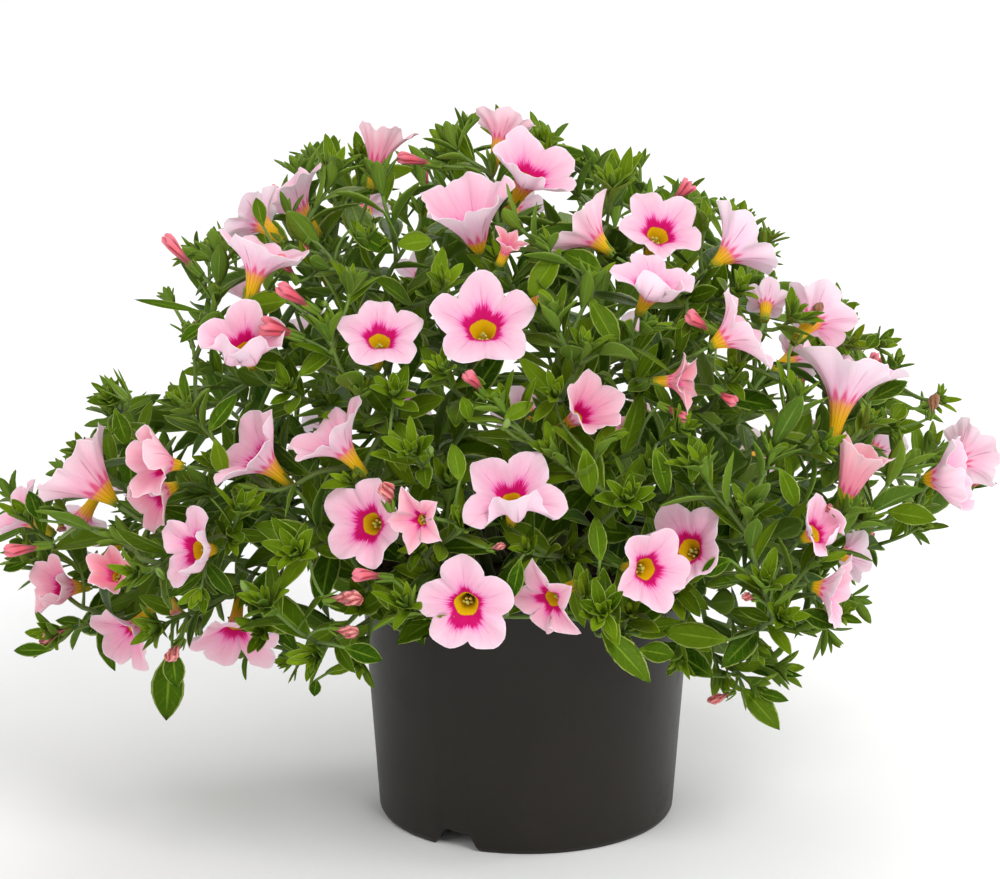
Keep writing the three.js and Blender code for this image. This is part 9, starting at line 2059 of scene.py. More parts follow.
s 4 501 -1 2124 -11 16 98 63 -75 20 117 33 -14 78
s 4 501 -6 2102 -5 -76 65 14 64 76 160 50 6 67
s 4 503 2 2076 61 20 77 -69 -35 63 176 53 25 56
s 4 494 6 2041 -61 27 74 64 -37 67 173 62 27 44
s 4 498 4 1995 -12 -92 38 4 38 92 239 80 5 33
s 4 503 18 1937 52 60 60 -36 -49 80 251 88 6 22
s 4 493 18 1862 -62 -51 60 53 30 80 252 96 13 11
s 10 -220 -1227 1418 7 -58 81 77 -48 -41 56 16 7 100
s 10 -222 -1223 1407 24 -95 17 26 24 94 87 24 7 96
s 10 -224 -1208 1403 -3 -35 94 -62 -73 -30 110 31 -6 85
s 10 -238 -1199 1392 9 -34 94 99 11 -6 119 41 10 74
s 10 -243 -1181 1373 89 -43 -12 -5 -35 94 162 49 41 63
s 10 -265 -1158 1361 28 3 96 41 -91 -9 194 60 31 51
s 10 -292 -1141 1332 -2 -100 0 44 -1 90 177 60 8 40
s 10 -318 -1103 1301 99 12 11 -3 -52 86 231 84 37 29
s 8 -595 426 2037 -22 26 94 96 -11 26 85 24 -5 100
s 8 -589 420 2025 20 4 98 -77 62 13 109 31 5 89
s 8 -591 423 2006 4 61 80 -10 -79 61 151 42 4 78
s 8 -594 411 1985 -32 -10 94 69 65 31 184 55 -6 67
s 8 -586 408 1954 65 60 47 -59 0 81 211 77 14 56
s 8 -594 400 1914 -70 37 61 61 -15 78 238 86 16 44
s 8 -586 383 1865 -13 -39 91 -32 89 33 204 74 43 33
s 8 -578 377 1799 16 95 28 -20 -25 95 317 120 24 22
s 3 841 -1059 1048 -12 -94 32 96 -3 27 60 17 -8 100
s 3 845 -1050 1044 53 -81 23 -67 -24 71 73 20 9 89
s 3 836 -1038 1044 -7 -60 79 70 -60 -40 101 28 1 78
s 3 832 -1026 1030 4 -100 -10 30 -8 95 108 36 -10 67
s 3 832 -1003 1024 81 -46 36 -58 -56 58 139 46 43 56
s 3 816 -979 1013 -67 -52 52 74 -46 49 143 48 34 44
s 3 813 -946 989 46 -80 -38 4 -42 91 163 56 18 33
s 3 799 -899 974 10 -7 99 16 -98 -8 198 81 42 22
s 3 779 -849 937 -55 -78 -30 31 -52 79 234 95 11 11
s 2 -1095 262 1669 -18 10 98 -98 -9 -18 69 19 -14 70
s 2 -1098 262 1655 -50 20 84 74 -40 54 92 26 -8 62
s 2 -1087 256 1642 -18 -10 98 -48 88 0 120 34 -8 55
s 2 -1082 261 1620 -18 52 84 -20 -85 48 174 63 -5 47
s 2 -1077 253 1592 -39 -71 58 60 29 75 149 48 30 39
s 2 -1056 252 1559 19 -14 97 -91 35 23 185 59 42 31
s 2 -1044 257 1511 -35 87 34 14 -31 94 220 70 42 23
s 2 -1016 249 1455 -26 -72 64 -13 69 71 253 91 15 15
s 2 -978 260 1386 30 59 75 -62 -48 63 319 126 24 8
s 2 -948 255 1311 -96 -22 -18 -20 5 98 347 128 32 0
s 2 -1228 204 1467 -90 38 21 -30 -90 33 90 25 -4 70
s 2 -1216 196 1463 -96 -22 18 -6 78 62 100 28 -4 62
s 2 -1176 201 1450 -98 9 -20 -22 -26 94 170 60 -14 47
s 2 -1144 201 1452 -48 -79 38 -80 57 17 184 59 20 39
s 2 -1108 221 1449 -89 45 6 -35 -77 53 223 70 23 31
s 2 -1058 232 1440 -57 -69 -44 -58 -4 81 284 96 20 23
s 10 327 -1188 1499 48 -81 35 -87 -37 34 68 19 -12 100
s 10 320 -1177 1498 -14 -70 70 67 -58 -46 97 27 -11 92
s 10 321 -1166 1484 0 -99 -11 10 -11 99 120 34 2 81
s 10 323 -1144 1482 38 -70 60 -90 -44 6 131 43 -15 70
s 10 313 -1120 1470 -50 -78 37 82 -29 50 182 60 25 59
s 10 310 -1042 1447 36 -25 90 -35 -93 -12 211 73 41 36
s 9 -246 1292 1281 -19 53 82 -93 17 -33 69 19 12 100
s 9 -246 1289 1268 -46 76 45 14 -44 89 83 23 -15 96
s 9 -240 1275 1262 -42 -2 91 4 100 5 104 29 -8 85
s 9 -228 1268 1246 1 66 75 -85 -39 36 151 47 -1 74
s 9 -225 1253 1223 -84 39 38 46 15 87 160 58 7 63
s 9 -208 1232 1200 -4 -20 98 -40 90 17 170 54 32 51
s 9 -192 1222 1157 -24 90 35 -14 -39 91 236 73 20 40
s 9 -169 1201 1108 -60 -72 34 -6 47 88 257 95 28 29
s 9 -74 1198 986 -92 -13 -38 -38 1 92 270 105 36 7
s 9 256 1307 1234 16 63 76 -18 -74 65 72 20 7 100
s 9 251 1296 1228 -18 20 96 72 70 -1 100 28 -7 96
s 9 255 1290 1214 39 44 81 -91 3 42 104 29 -9 85
s 9 245 1284 1196 -38 68 63 65 -28 70 142 49 -14 74
s 9 245 1267 1174 22 -27 94 -10 95 30 169 59 8 63
s 9 241 1263 1138 60 56 57 -50 -29 82 179 57 40 51
s 9 222 1255 1098 -35 66 66 66 -32 68 162 56 41 40
s 9 211 1236 1044 28 -58 77 -3 79 61 265 99 29 29
s 5 -782 1124 977 -10 95 -29 -92 -19 -34 64 18 -1 85
s 5 -782 1112 972 -77 56 -31 22 69 69 80 22 -2 76
s 5 -761 1085 970 -18 91 -38 -49 25 84 123 38 -5 58
s 5 -753 1060 975 -83 45 33 51 86 10 161 49 20 49
s 5 -730 1034 974 33 92 20 -90 25 35 161 48 41 40
s 5 -714 992 973 -55 36 -76 -32 74 59 216 66 21 30
s 5 -688 944 989 -58 30 76 1 93 -36 207 85 15 21
s 5 -648 884 997 60 73 -34 -60 69 42 246 86 31 11
s 5 -614 812 1011 -81 -14 -57 -42 82 39 246 100 30 1
s 1 -680 -181 2082 -62 50 60 48 -36 80 70 20 10 100
s 1 -671 -190 2074 -23 1 97 -37 92 -10 107 30 -8 89
s 1 -666 -188 2056 -26 70 66 -15 -70 69 134 37 11 78
s 1 -662 -201 2036 -78 -11 62 49 51 70 170 52 3 67
s 1 -643 -211 2013 53 -2 85 -77 42 49 178 60 11 56
s 1 -633 -221 1975 -46 88 -10 -12 4 99 204 69 11 44
s 1 -611 -252 1939 -84 -23 48 22 68 70 196 68 34 33
s 1 -574 -279 1892 26 77 58 -80 -17 58 242 98 23 22
s 1 -546 -323 1830 -92 37 -14 -5 25 97 323 127 22 13
s 1 -506 -366 1775 -6 -55 83 -30 80 51 312 115 21 4
s 1 -1068 -212 1667 -35 50 80 -30 -86 41 122 43 -6 47
s 1 -1044 -216 1654 -77 -60 -24 -47 27 84 150 55 25 39
s 1 -1010 -208 1651 -47 15 87 -80 -47 -36 172 55 27 31
s 1 -968 -204 1636 -78 31 -55 -62 -17 77 189 58 13 23
s 1 -911 -206 1638 -57 -68 46 -67 71 22 208 80 21 15
s 1 -838 -198 1637 -42 67 61 -79 -60 12 258 92 16 8
s 1 -760 -207 1622 -68 -28 -68 -73 10 68 259 109 17 0
s 10 -401 -1214 1143 -24 -40 88 8 -92 -39 69 19 -13 100
s 10 -401 -1211 1130 -38 -76 53 48 33 81 103 29 3 96
s 10 -391 -1201 1122 18 -40 90 -97 7 22 124 35 -9 85
s 10 -381 -1196 1113 -32 60 74 -53 -76 38 143 47 7 74
s 10 -362 -1202 1112 -92 -38 -2 -10 21 97 193 64 40 63
s 10 -287 -1182 1102 -64 72 -27 -51 -13 85 185 57 16 40
s 2 -1376 97 774 -90 27 -35 -40 -84 37 73 20 7 70
s 2 -1364 89 779 -94 -26 -22 -31 93 21 110 31 5 62
s 2 -1348 96 785 -66 75 -10 -64 -62 -46 119 33 -14 55
s 2 -1325 91 784 -68 -26 -69 -74 20 65 159 50 7 47
s 2 -1297 90 798 -93 -37 2 -34 87 34 170 62 32 39
s 2 -1260 102 803 -56 72 -41 -82 -41 40 235 72 23 31
s 2 -1210 98 814 -42 -63 -65 -88 10 46 232 71 42 23
s 2 -1153 104 843 -94 4 35 -35 -19 -92 282 103 6 15
s 3 792 -1109 1172 15 -59 80 -86 -47 -18 78 22 8 100
s 3 786 -1101 1162 -38 -60 71 92 -22 31 100 28 3 89
s 3 793 -1093 1146 4 -87 50 -32 46 83 119 33 0 78
s 3 798 -1074 1133 18 -25 95 -83 -56 1 168 56 -9 67
s 3 799 -1058 1106 -74 -19 64 66 -37 65 188 58 27 56
s 3 822 -1044 1074 34 -69 63 -71 26 66 227 72 18 44
s 11 -1340 -243 1180 -55 72 43 -59 -70 42 86 24 -4 70
s 11 -1336 -253 1172 -92 33 21 33 37 87 106 30 12 62
s 11 -1319 -261 1169 -43 41 80 -83 17 -53 126 35 6 55
s 11 -1305 -269 1151 -42 90 -10 -41 -10 91 161 50 -13 47
s 11 -1288 -294 1144 -84 11 53 32 89 33 184 56 12 39
s 11 -1257 -316 1133 22 86 47 -93 3 36 191 66 44 31
s 11 -1234 -359 1118 -80 25 -54 -30 60 74 255 88 43 23
s 11 -1194 -410 1118 -61 -5 79 -11 99 -2 262 98 28 15
s 7 740 1153 1165 67 70 25 -60 70 -38 61 17 -12 100
s 7 731 1147 1159 22 93 -30 47 17 86 97 27 4 89
s 7 726 1133 1165 36 80 48 39 34 -86 108 30 -8 78
s 7 721 1115 1157 83 53 -19 -25 66 71 142 45 2 67
s 7 702 1096 1158 -19 98 3 86 15 49 164 52 37 56
s 7 693 1063 1160 80 40 45 -46 89 2 171 63 6 44
s 7 670 1027 1157 39 38 -84 40 75 52 192 68 19 33
s 7 641 982 1174 -11 76 63 91 34 -25 230 80 28 22
s 7 613 917 1182 100 -5 3 3 91 42 260 105 29 11
s 6 503 -1031 1699 61 -39 69 -10 -90 -42 57 16 -8 100
s 6 494 -1031 1691 25 -76 60 83 49 27 75 21 -14 89
s 6 492 -1020 1680 82 -42 38 -51 -25 82 114 32 -13 78
s 6 475 -1010 1674 22 -38 90 89 -29 -34 140 44 12 67
s 6 462 -1000 1654 51 -86 -2 26 14 96 152 50 10 56
s 6 442 -976 1641 69 18 70 -8 -94 33 162 53 38 44
s 6 408 -960 1620 2 -84 55 78 36 52 191 63 13 33
s 6 372 -929 1591 85 -26 -47 38 -33 86 221 83 7 23
s 6 318 -890 1569 29 26 92 47 -88 10 236 88 9 14
s 6 264 -852 1524 -16 -97 -18 49 -23 84 270 108 6 5
s 11 -1373 -265 802 -74 -1 -67 66 16 -74 74 21 6 70
s 11 -1362 -262 810 -33 31 -89 -67 -74 0 108 30 9 62
s 11 -1356 -270 825 -48 -28 -83 -39 92 -9 127 36 0 55
s 11 -1348 -264 845 -73 49 -48 4 -67 -74 148 47 -9 47
s 11 -1330 -271 867 18 -15 -97 -93 30 -22 162 54 44 39
s 11 -1323 -275 904 -88 -20 -44 21 68 -71 206 65 39 31
s 11 -1300 -278 947 25 66 -71 -94 -1 -34 254 82 17 23
s 11 -1287 -303 1002 -46 -48 -75 -38 87 -32 212 76 11 15
s 11 -1258 -325 1072 -21 96 20 -67 1 -75 314 134 24 8
s 10 87 -1118 1626 -77 -30 56 52 22 82 73 20 -10 100
s 10 99 -1116 1623 -30 -34 89 -94 28 -20 103 29 -3 96
s 10 104 -1107 1609 -76 16 63 26 -81 53 108 30 -13 85
s 10 119 -1112 1594 -34 -75 56 4 59 81 124 40 -11 74
s 10 143 -1104 1582 -15 5 99 -96 -26 -13 158 57 14 63
s 10 166 -1098 1554 -99 5 -16 -17 -25 95 183 66 39 51
s 10 207 -1092 1532 -21 -77 60 -60 59 55 242 86 40 40
s 10 246 -1061 1499 -45 42 79 -20 -91 38 266 113 10 28
s 3 734 -1084 1414 7 -27 96 -98 -20 2 74 21 8 100
s 3 726 -1079 1403 -37 -8 93 83 -47 29 105 29 -6 89
s 3 732 -1080 1386 25 -59 77 -49 60 62 128 36 -2 78
s 3 734 -1068 1366 16 20 97 -54 -80 26 144 45 5 67
s 3 730 -1066 1335 -72 19 66 61 -28 74 166 54 20 56
s 3 744 -1072 1299 3 -60 80 -29 76 58 186 64 10 44
s 3 760 -1069 1252 33 59 74 -60 -48 64 209 64 44 33
s 3 770 -1078 1190 -98 -20 6 7 -1 100 197 77 27 22
s 9 43 1281 1485 -51 46 72 19 -76 62 59 16 -1 100
s 9 46 1272 1477 -74 6 66 58 56 59 84 24 -11 96
s 9 59 1271 1467 -8 37 92 -97 -22 1 109 30 4 85
s 9 62 1264 1447 -88 32 36 36 -5 93 124 43 -3 74
s 9 80 1255 1430 -23 -48 85 -41 84 36 161 52 32 63
s 9 100 1260 1401 -40 75 53 -26 -64 72 193 68 40 51
s 9 126 1255 1365 -78 -63 2 -14 21 97 227 77 5 40
s 9 169 1268 1328 30 -47 83 -95 -23 21 194 83 36 29
s 8 -736 134 2092 -61 6 79 76 35 55 84 24 -7 100
s 8 -725 132 2084 3 -6 100 -90 42 6 117 33 -6 89
s 8 -722 135 2065 -49 49 72 23 -73 65 152 43 11 78
s 8 -711 124 2047 -25 -41 88 -22 90 37 184 65 -12 67
s 8 -696 125 2020 13 57 81 -69 -53 49 171 58 14 56
s 8 -686 115 1982 -89 32 32 32 -6 94 226 68 30 44
s 8 -657 101 1942 45 2 90 -78 50 38 184 57 12 33
s 8 -632 96 1882 -43 74 52 0 -57 82 289 118 29 22
s 8 -597 81 1811 -54 -84 9 -16 21 96 327 116 36 11
s 2 -1397 108 1095 -95 18 26 -29 -82 -50 70 20 5 70
s 2 -1386 102 1088 -98 -11 -14 -17 34 93 122 34 -12 62
s 2 -1368 102 1092 -69 -11 72 -71 30 -64 138 39 8 55
s 2 -1346 106 1082 -76 63 -16 -53 -47 71 164 54 -14 47
s 2 -1316 96 1077 -74 -61 28 -42 75 51 169 51 39 39
s 2 -1277 102 1068 -55 48 68 -58 -81 11 244 89 21 31
s 2 -1234 96 1041 -88 0 -48 -48 3 88 273 90 29 23
s 2 -1172 90 1020 -45 -75 49 -52 67 53 296 125 43 15
s 2 -1099 105 988 -57 80 19 -51 -52 69 270 106 31 8
s 10 238 -1156 1685 42 -86 28 75 50 43 62 17 -8 100
s 10 241 -1146 1676 69 -54 48 -72 -48 50 76 21 0 95
s 10 228 -1136 1644 41 -69 60 -22 56 80 147 52 -2 73
s 10 220 -1118 1623 44 44 78 -14 -83 55 169 58 26 62
s 10 205 -1109 1591 -55 -15 82 83 -19 52 216 77 31 51
s 3 576 -1105 1576 -29 -31 90 -24 -89 -38 69 19 8 100
s 3 583 -1095 1569 -12 -16 98 -66 -72 -20 90 25 -11 89
s 3 583 -1091 1552 -75 -37 55 60 -2 80 143 40 -13 78
s 3 597 -1087 1534 -12 -60 79 -53 71 46 153 49 6 67
s 3 608 -1071 1510 -32 40 86 -22 -91 34 199 65 41 56
s 3 626 -1072 1475 -90 -42 7 1 14 99 229 84 18 44
s 3 664 -1068 1443 0 -22 98 -92 38 8 223 81 14 33
s 3 697 -1061 1389 -58 73 36 -8 -49 87 255 93 39 22
s 6 91 -1062 1825 20 -82 54 -72 -50 -48 63 18 -13 100
s 6 84 -1054 1819 -44 -79 42 89 -35 27 86 24 -15 96
s 6 90 -1043 1810 4 -100 9 -45 6 89 103 29 -15 85
s 6 88 -1023 1808 18 -57 80 -50 -75 -42 115 38 10 74
s 6 84 -1003 1792 -56 -77 -31 22 -50 84 132 45 32 63
s 6 95 -930 1775 -64 -9 76 36 -91 19 205 68 11 40
s 6 106 -881 1752 -22 -80 -57 -3 -58 82 225 84 42 29
s 6 116 -811 1743 47 -21 86 -54 -84 9 264 110 9 18
s 0 1387 -72 1149 82 6 57 6 -100 1 84 23 -13 89
s 0 1374 -76 1142 56 -58 59 61 77 18 93 26 -12 78
s 0 1363 -68 1129 77 37 52 -35 -44 83 127 42 -9 67
s 0 1339 -60 1124 54 -2 84 54 -76 -36 147 48 27 56
s 0 1313 -57 1104 49 -85 20 42 43 80 169 52 42 44
s 0 1284 -34 1084 94 33 -3 19 -48 86 207 63 37 33
s 0 1236 -19 1065 -10 -47 88 98 9 16 212 88 25 22
s 0 1184 2 1028 40 -77 -50 62 -18 77 175 65 10 11
s 0 1402 203 981 85 48 -20 44 -87 -23 61 17 -2 100
s 0 1395 192 983 88 45 -15 -42 89 16 86 24 -11 89
s 0 1379 191 982 83 55 2 18 -30 94 104 29 -8 78
s 0 1362 183 994 77 51 38 54 -19 -82 125 38 -13 67
s 0 1306 158 999 32 93 -19 78 -15 61 202 63 20 44
s 0 1272 127 1007 84 -6 53 6 100 3 207 62 30 33
s 0 1222 97 999 -4 44 -90 69 66 30 217 91 40 22
s 0 1161 55 1006 12 66 74 99 -1 -16 254 108 30 11
s 11 -1287 -378 1377 -84 6 55 53 -18 83 82 23 6 70
s 11 -1276 -382 1369 -38 -39 84 -42 88 22 102 29 -5 62
s 11 -1266 -374 1355 -37 44 82 -33 -88 32 125 35 -11 55
s 11 -1258 -381 1333 -73 -25 63 47 49 74 168 54 0 47
s 11 -1238 -382 1310 18 -22 96 -85 46 26 206 75 36 39
s 11 -1228 -381 1272 -37 75 55 2 -58 81 194 69 25 31
s 11 -1214 -400 1226 -70 -50 51 22 53 82 254 87 24 23
s 11 -1186 -415 1170 54 30 79 -83 2 56 242 98 16 15
s 2 -1354 320 1194 -32 63 71 -88 9 -47 74 21 9 70
s 2 -1353 314 1183 -61 71 35 22 -27 94 98 28 -3 62
s 2 -1345 300 1179 -73 16 66 36 92 18 109 31 0 55
s 2 -1329 291 1166 12 88 47 -84 -17 52 154 49 -4 47
s 2 -1323 269 1149 -87 50 -7 16 40 90 156 52 16 39
s 2 -1304 239 1139 -9 31 95 -47 83 -31 212 69 14 31
s 2 -1287 204 1112 29 95 -8 -44 21 88 210 72 32 23
s 2 -1274 150 1089 -90 10 42 37 67 64 224 90 38 15
s 3 921 -715 1725 59 38 71 -2 -88 48 60 17 4 100
s 3 911 -719 1720 31 -28 91 87 47 -15 81 23 -1 89
s 3 891 -711 1696 36 44 82 45 -86 26 113 36 9 67
s 3 875 -716 1677 30 -65 69 44 74 50 163 52 38 56
s 3 857 -708 1650 81 57 13 8 -32 94 151 45 27 44
s 3 824 -713 1624 -9 -2 100 99 7 10 169 53 27 33
s 3 794 -723 1579 86 -51 5 15 34 93 194 81 13 22
s 3 744 -730 1531 0 96 29 49 -26 83 211 85 13 11
s 3 694 -760 1476 -2 -75 66 49 57 66 281 104 21 0
s 3 649 -773 1410 81 54 -22 25 3 97 253 106 44 0
s 3 592 -790 1355 -60 34 73 76 -6 65 234 86 33 0
s 3 811 -969 1574 52 12 85 -85 -4 52 60 17 8 100
s 3 801 -968 1567 0 45 89 75 -60 30 86 24 7 89
s 3 798 -976 1554 37 -39 84 4 91 40 111 31 -10 78
s 3 792 -973 1535 62 60 51 -28 -44 86 122 37 -7 67
s 3 778 -986 1517 -12 -4 99 75 65 12 152 48 28 56
s 3 772 -998 1486 86 49 15 -25 14 96 194 59 21 44
s 3 751 -1020 1455 -38 89 24 45 -4 89 208 72 26 33
s 3 739 -1057 1416 22 -54 81 4 84 55 221 78 36 22
s 3 954 -964 1210 58 26 77 50 -86 -9 99 33 10 67
s 3 939 -969 1191 44 -69 58 22 71 67 114 37 42 56
s 3 920 -958 1168 44 45 78 -25 -77 59 158 58 7 44
s 3 893 -966 1140 -25 2 97 96 12 25 187 68 15 33
s 3 838 -968 1040 25 80 54 26 -60 76 230 86 20 11
s 10 -376 -1163 1648 -6 -77 64 -100 2 -7 71 20 -6 100
s 10 -378 -1151 1642 -38 -47 79 47 -84 -27 92 26 9 96
s 10 -374 -1144 1627 -29 -88 37 13 35 93 120 34 -9 85
s 10 -365 -1125 1619 11 -60 79 -98 -20 -2 141 43 8 74
s 10 -364 -1103 1600 -86 -36 36 51 -49 71 191 60 24 63
s 10 -346 -1080 1576 0 -100 6 -35 6 94 182 64 39 51
s 10 -332 -1038 1555 -53 8 84 21 -95 23 219 80 41 40
s 10 -311 -999 1513 -96 -25 11 19 -32 93 212 77 32 29
s 10 -275 -949 1465 72 -41 56 -67 -22 71 265 111 17 18
s 2 -1170 671 1390 -61 78 13 62 38 69 73 20 -2 70
s 2 -1162 660 1392 -36 78 51 -32 41 -85 102 29 10 62
s 2 -1154 650 1381 2 99 -14 -57 12 82 126 35 -8 55
s 2 -1150 627 1378 -66 68 32 75 62 23 122 43 -11 47
s 2 -1132 606 1368 13 94 32 -85 -6 53 170 54 30 39
s 2 -1121 573 1354 -66 68 -32 -2 41 91 223 74 9 31
s 2 -1098 530 1350 -41 28 87 -5 94 -33 201 71 42 23
s 2 -1064 481 1333 29 94 18 -76 11 64 235 100 9 15
s 2 -1032 411 1317 -97 -21 -13 -24 71 66 304 127 44 8
s 2 -982 350 1303 9 35 93 -84 53 -12 296 109 12 0
s 2 -939 292 1267 -23 60 -77 -46 63 63 290 124 34 0
s 4 435 622 2114 -47 67 58 64 -20 75 73 20 -13 100
s 4 441 612 2110 -32 52 79 -10 81 -58 89 25 -7 89
s 4 446 609 2095 -12 86 50 -27 -51 82 131 37 -5 78
s 4 447 592 2081 -62 48 63 76 18 62 140 44 5 67
s 4 463 576 2065 -16 28 95 -93 28 -24 145 49 17 56
s 4 472 556 2037 -36 93 -12 -15 6 99 193 70 12 44
s 4 491 519 2016 -46 -17 87 5 98 22 210 77 16 33
s 4 521 487 1978 32 94 15 -51 4 86 259 107 22 22
s 4 862 681 1746 -1 98 18 90 -7 42 134 41 -4 67
s 4 847 656 1738 94 -18 29 5 91 40 202 66 19 56
s 4 816 635 1727 34 56 -76 60 49 63 236 79 22 44
s 4 780 601 1735 41 50 76 72 32 -61 214 65 36 33
s 4 739 555 1722 98 -2 -20 16 66 73 251 101 10 22
s 0 1293 152 1517 88 32 35 -31 95 -8 71 20 6 100
s 0 1282 152 1510 68 73 8 32 -40 86 84 24 -12 89
s 0 1270 141 1512 63 52 58 69 -4 -72 122 34 1 78
s 0 1258 128 1499 93 36 -5 -12 44 89 145 45 -13 67
s 0 1233 116 1497 21 96 18 79 -28 55 171 62 41 56
s 0 1213 87 1496 86 18 48 -24 97 6 169 55 36 44
s 0 1180 56 1487 32 60 -73 48 56 67 223 76 42 33
s 0 1145 10 1497 12 40 91 66 66 -37 208 75 19 22
s 0 1110 -55 1484 98 -7 18 -6 78 62 276 114 19 11
s 11 -766 -1153 1299 -25 -97 4 -16 8 98 65 18 3 77
s 11 -761 -1141 1302 -11 -86 50 -76 -25 -60 88 25 2 69
s 11 -763 -1126 1294 -63 -74 22 71 -44 55 129 36 -1 60
s 11 -749 -1108 1289 38 -90 20 -83 -24 50 138 48 2 53
s 11 -746 -1080 1286 -52 -48 71 39 -87 -30 196 72 41 44
s 11 -735 -1046 1272 -56 -69 -45 -1 -54 84 186 66 35 36
s 11 -712 -1004 1274 66 -73 17 -72 -55 44 190 58 37 28
s 11 -698 -944 1270 -92 -16 37 31 -87 39 250 103 23 19
s 11 -661 -878 1251 -16 -80 -59 -31 -52 79 269 111 13 10
s 9 359 1195 1622 47 67 57 -84 13 53 69 19 -5 100
s 9 349 1189 1615 1 75 66 84 -36 40 102 28 -11 89
s 9 351 1174 1607 38 24 89 -35 93 -10 115 32 11 78
s 9 345 1165 1587 25 93 26 0 -28 96 138 42 -2 67
s 9 333 1143 1574 -33 47 82 93 30 20 180 64 14 56
s 9 329 1116 1550 85 19 49 -50 57 65 194 60 42 44
s 9 306 1088 1520 -6 78 63 46 -54 70 179 65 35 38
s 9 280 1040 1495 11 -12 99 39 92 7 255 100 18 28
s 9 247 991 1447 84 40 -37 21 40 90 306 113 17 18
s 9 200 946 1400 -38 77 52 72 -12 69 297 126 30 7
s 10 -90 -1128 1801 -60 -14 79 -79 -8 -61 69 19 -1 100
s 10 -88 -1124 1788 -75 2 66 56 -51 65 89 25 -13 96
s 10 -75 -1128 1777 -40 -57 72 -38 82 44 114 32 8 85
s 10 -61 -1118 1762 -27 50 83 -49 -81 32 136 48 -12 74
s 10 -48 -1118 1736 -90 -30 30 30 6 95 178 61 27 63
s 10 -20 -1105 1714 9 -5 100 -93 -35 7 203 63 33 51
s 10 2 -1087 1675 -97 19 18 9 -39 92 204 63 36 40
s 4 218 426 2270 -43 -6 90 -57 -76 -32 66 18 -9 100
s 4 218 424 2258 -76 -15 63 63 7 77 85 24 -8 89
s 4 230 423 2248 -39 -56 73 -61 75 24 85 24 -6 78
s 4 237 432 2231 -46 49 74 -7 -85 52 132 43 -8 67
s 4 250 431 2208 -71 -61 36 12 40 91 146 53 25 56
s 4 275 443 2188 6 -20 98 -98 -19 2 154 54 8 44
s 4 299 463 2156 -93 36 0 -17 -45 87 182 67 34 33
s 4 346 480 2129 -9 -88 47 -67 40 63 229 82 10 22
s 4 398 516 2096 -22 58 78 -53 -74 41 252 102 36 11
s 11 -870 -1144 1115 -52 -69 50 19 48 86 79 22 9 70
s 11 -861 -1134 1112 -37 -58 72 -93 27 -26 108 30 -7 62
s 11 -859 -1123 1098 -83 -29 48 56 -53 64 137 38 -3 55
s 11 -843 -1116 1083 -18 -96 21 -42 27 87 167 59 -11 47
s 11 -829 -1094 1068 -24 31 92 -37 -91 21 209 66 28 39
s 11 -810 -1079 1036 -100 1 5 5 -23 97 180 65 37 32
s 11 -773 -1061 1009 34 -62 71 -85 13 52 244 78 8 25
s 11 -737 -1027 968 -71 48 52 -6 -78 62 292 118 40 18
s 7 903 1068 1296 81 46 36 -22 -33 92 66 19 4 100
s 7 891 1063 1295 37 29 88 90 13 -42 87 24 8 89
s 7 886 1056 1281 97 -1 26 -22 50 84 125 35 -11 78
s 7 869 1056 1270 47 83 30 43 -52 74 136 47 7 67
s 7 847 1044 1259 45 -7 89 66 70 -28 154 51 11 56
s 7 823 1041 1234 96 9 -24 24 5 97 192 63 45 44
s 7 780 1040 1221 20 42 88 86 -50 4 198 73 29 33
s 7 732 1027 1194 45 -80 40 53 60 60 204 74 13 22
s 4 569 294 2205 29 -66 69 16 75 65 61 17 -14 100
s 4 564 306 2184 -38 -19 91 88 -39 28 81 23 -6 78
s 4 568 307 2164 32 -63 71 -42 58 70 100 32 2 67
s 4 565 323 2144 -41 14 90 -8 -99 11 110 34 10 56
s 4 558 330 2111 -48 -64 60 60 25 76 154 56 7 44
s 4 564 351 2074 68 -45 57 -64 0 77 188 68 22 33
s 4 555 382 2029 -30 46 84 29 -79 54 233 93 42 22
s 4 554 403 1961 -6 -99 10 3 10 99 228 91 6 11
s 0 1127 347 1758 25 93 28 -97 24 6 52 15 -12 100
s 0 1117 343 1750 8 92 38 67 -34 66 91 26 2 89
s 0 1110 315 1730 56 78 -30 -16 45 88 130 42 3 67
s 0 1094 294 1720 -45 80 41 82 19 53 147 50 40 56
s 0 1091 260 1709 86 -7 50 -25 80 54 129 43 28 44
s 0 1077 222 1690 18 76 -62 15 60 78 208 69 11 33
s 0 1062 165 1681 -23 17 96 49 87 -3 234 87 22 22
s 6 183 -985 1960 3 -39 92 100 -2 -4 67 19 8 100
s 6 187 -982 1949 62 -46 64 -68 11 73 81 23 8 96
s 6 178 -972 1940 2 11 99 46 -88 9 102 29 2 85
s 6 173 -972 1920 11 -74 67 30 66 69 140 51 0 74
s 6 170 -957 1899 69 1 72 -62 -50 60 165 54 45 63
s 6 150 -950 1872 -24 -44 87 90 25 37 196 65 18 51
s 6 119 -905 1792 33 51 80 3 -85 53 206 76 39 29
s 1 -275 -1030 1897 0 -58 82 -90 -36 -26 70 20 7 100
s 1 -279 -1023 1888 -62 -46 63 78 -43 46 94 26 3 96
s 1 -271 -1018 1876 5 -89 46 -46 39 80 98 28 -8 85
s 1 -267 -1001 1867 -16 -15 98 -53 -82 -21 128 40 11 74
s 1 -265 -988 1844 -56 -79 24 31 6 95 169 52 27 63
s 1 -250 -965 1825 51 -76 41 -68 -7 73 178 64 39 51
s 1 -243 -930 1801 -58 10 81 32 -89 33 206 72 28 40
s 1 -224 -894 1764 -11 -99 -8 -18 -5 98 224 84 21 29
s 1 -203 -837 1728 46 13 88 -54 -75 38 247 102 34 18
s 1 -445 -1041 1823 -14 -38 91 29 -90 -34 55 15 2 100
s 1 -445 -1038 1811 -8 -86 50 30 46 83 91 25 0 94
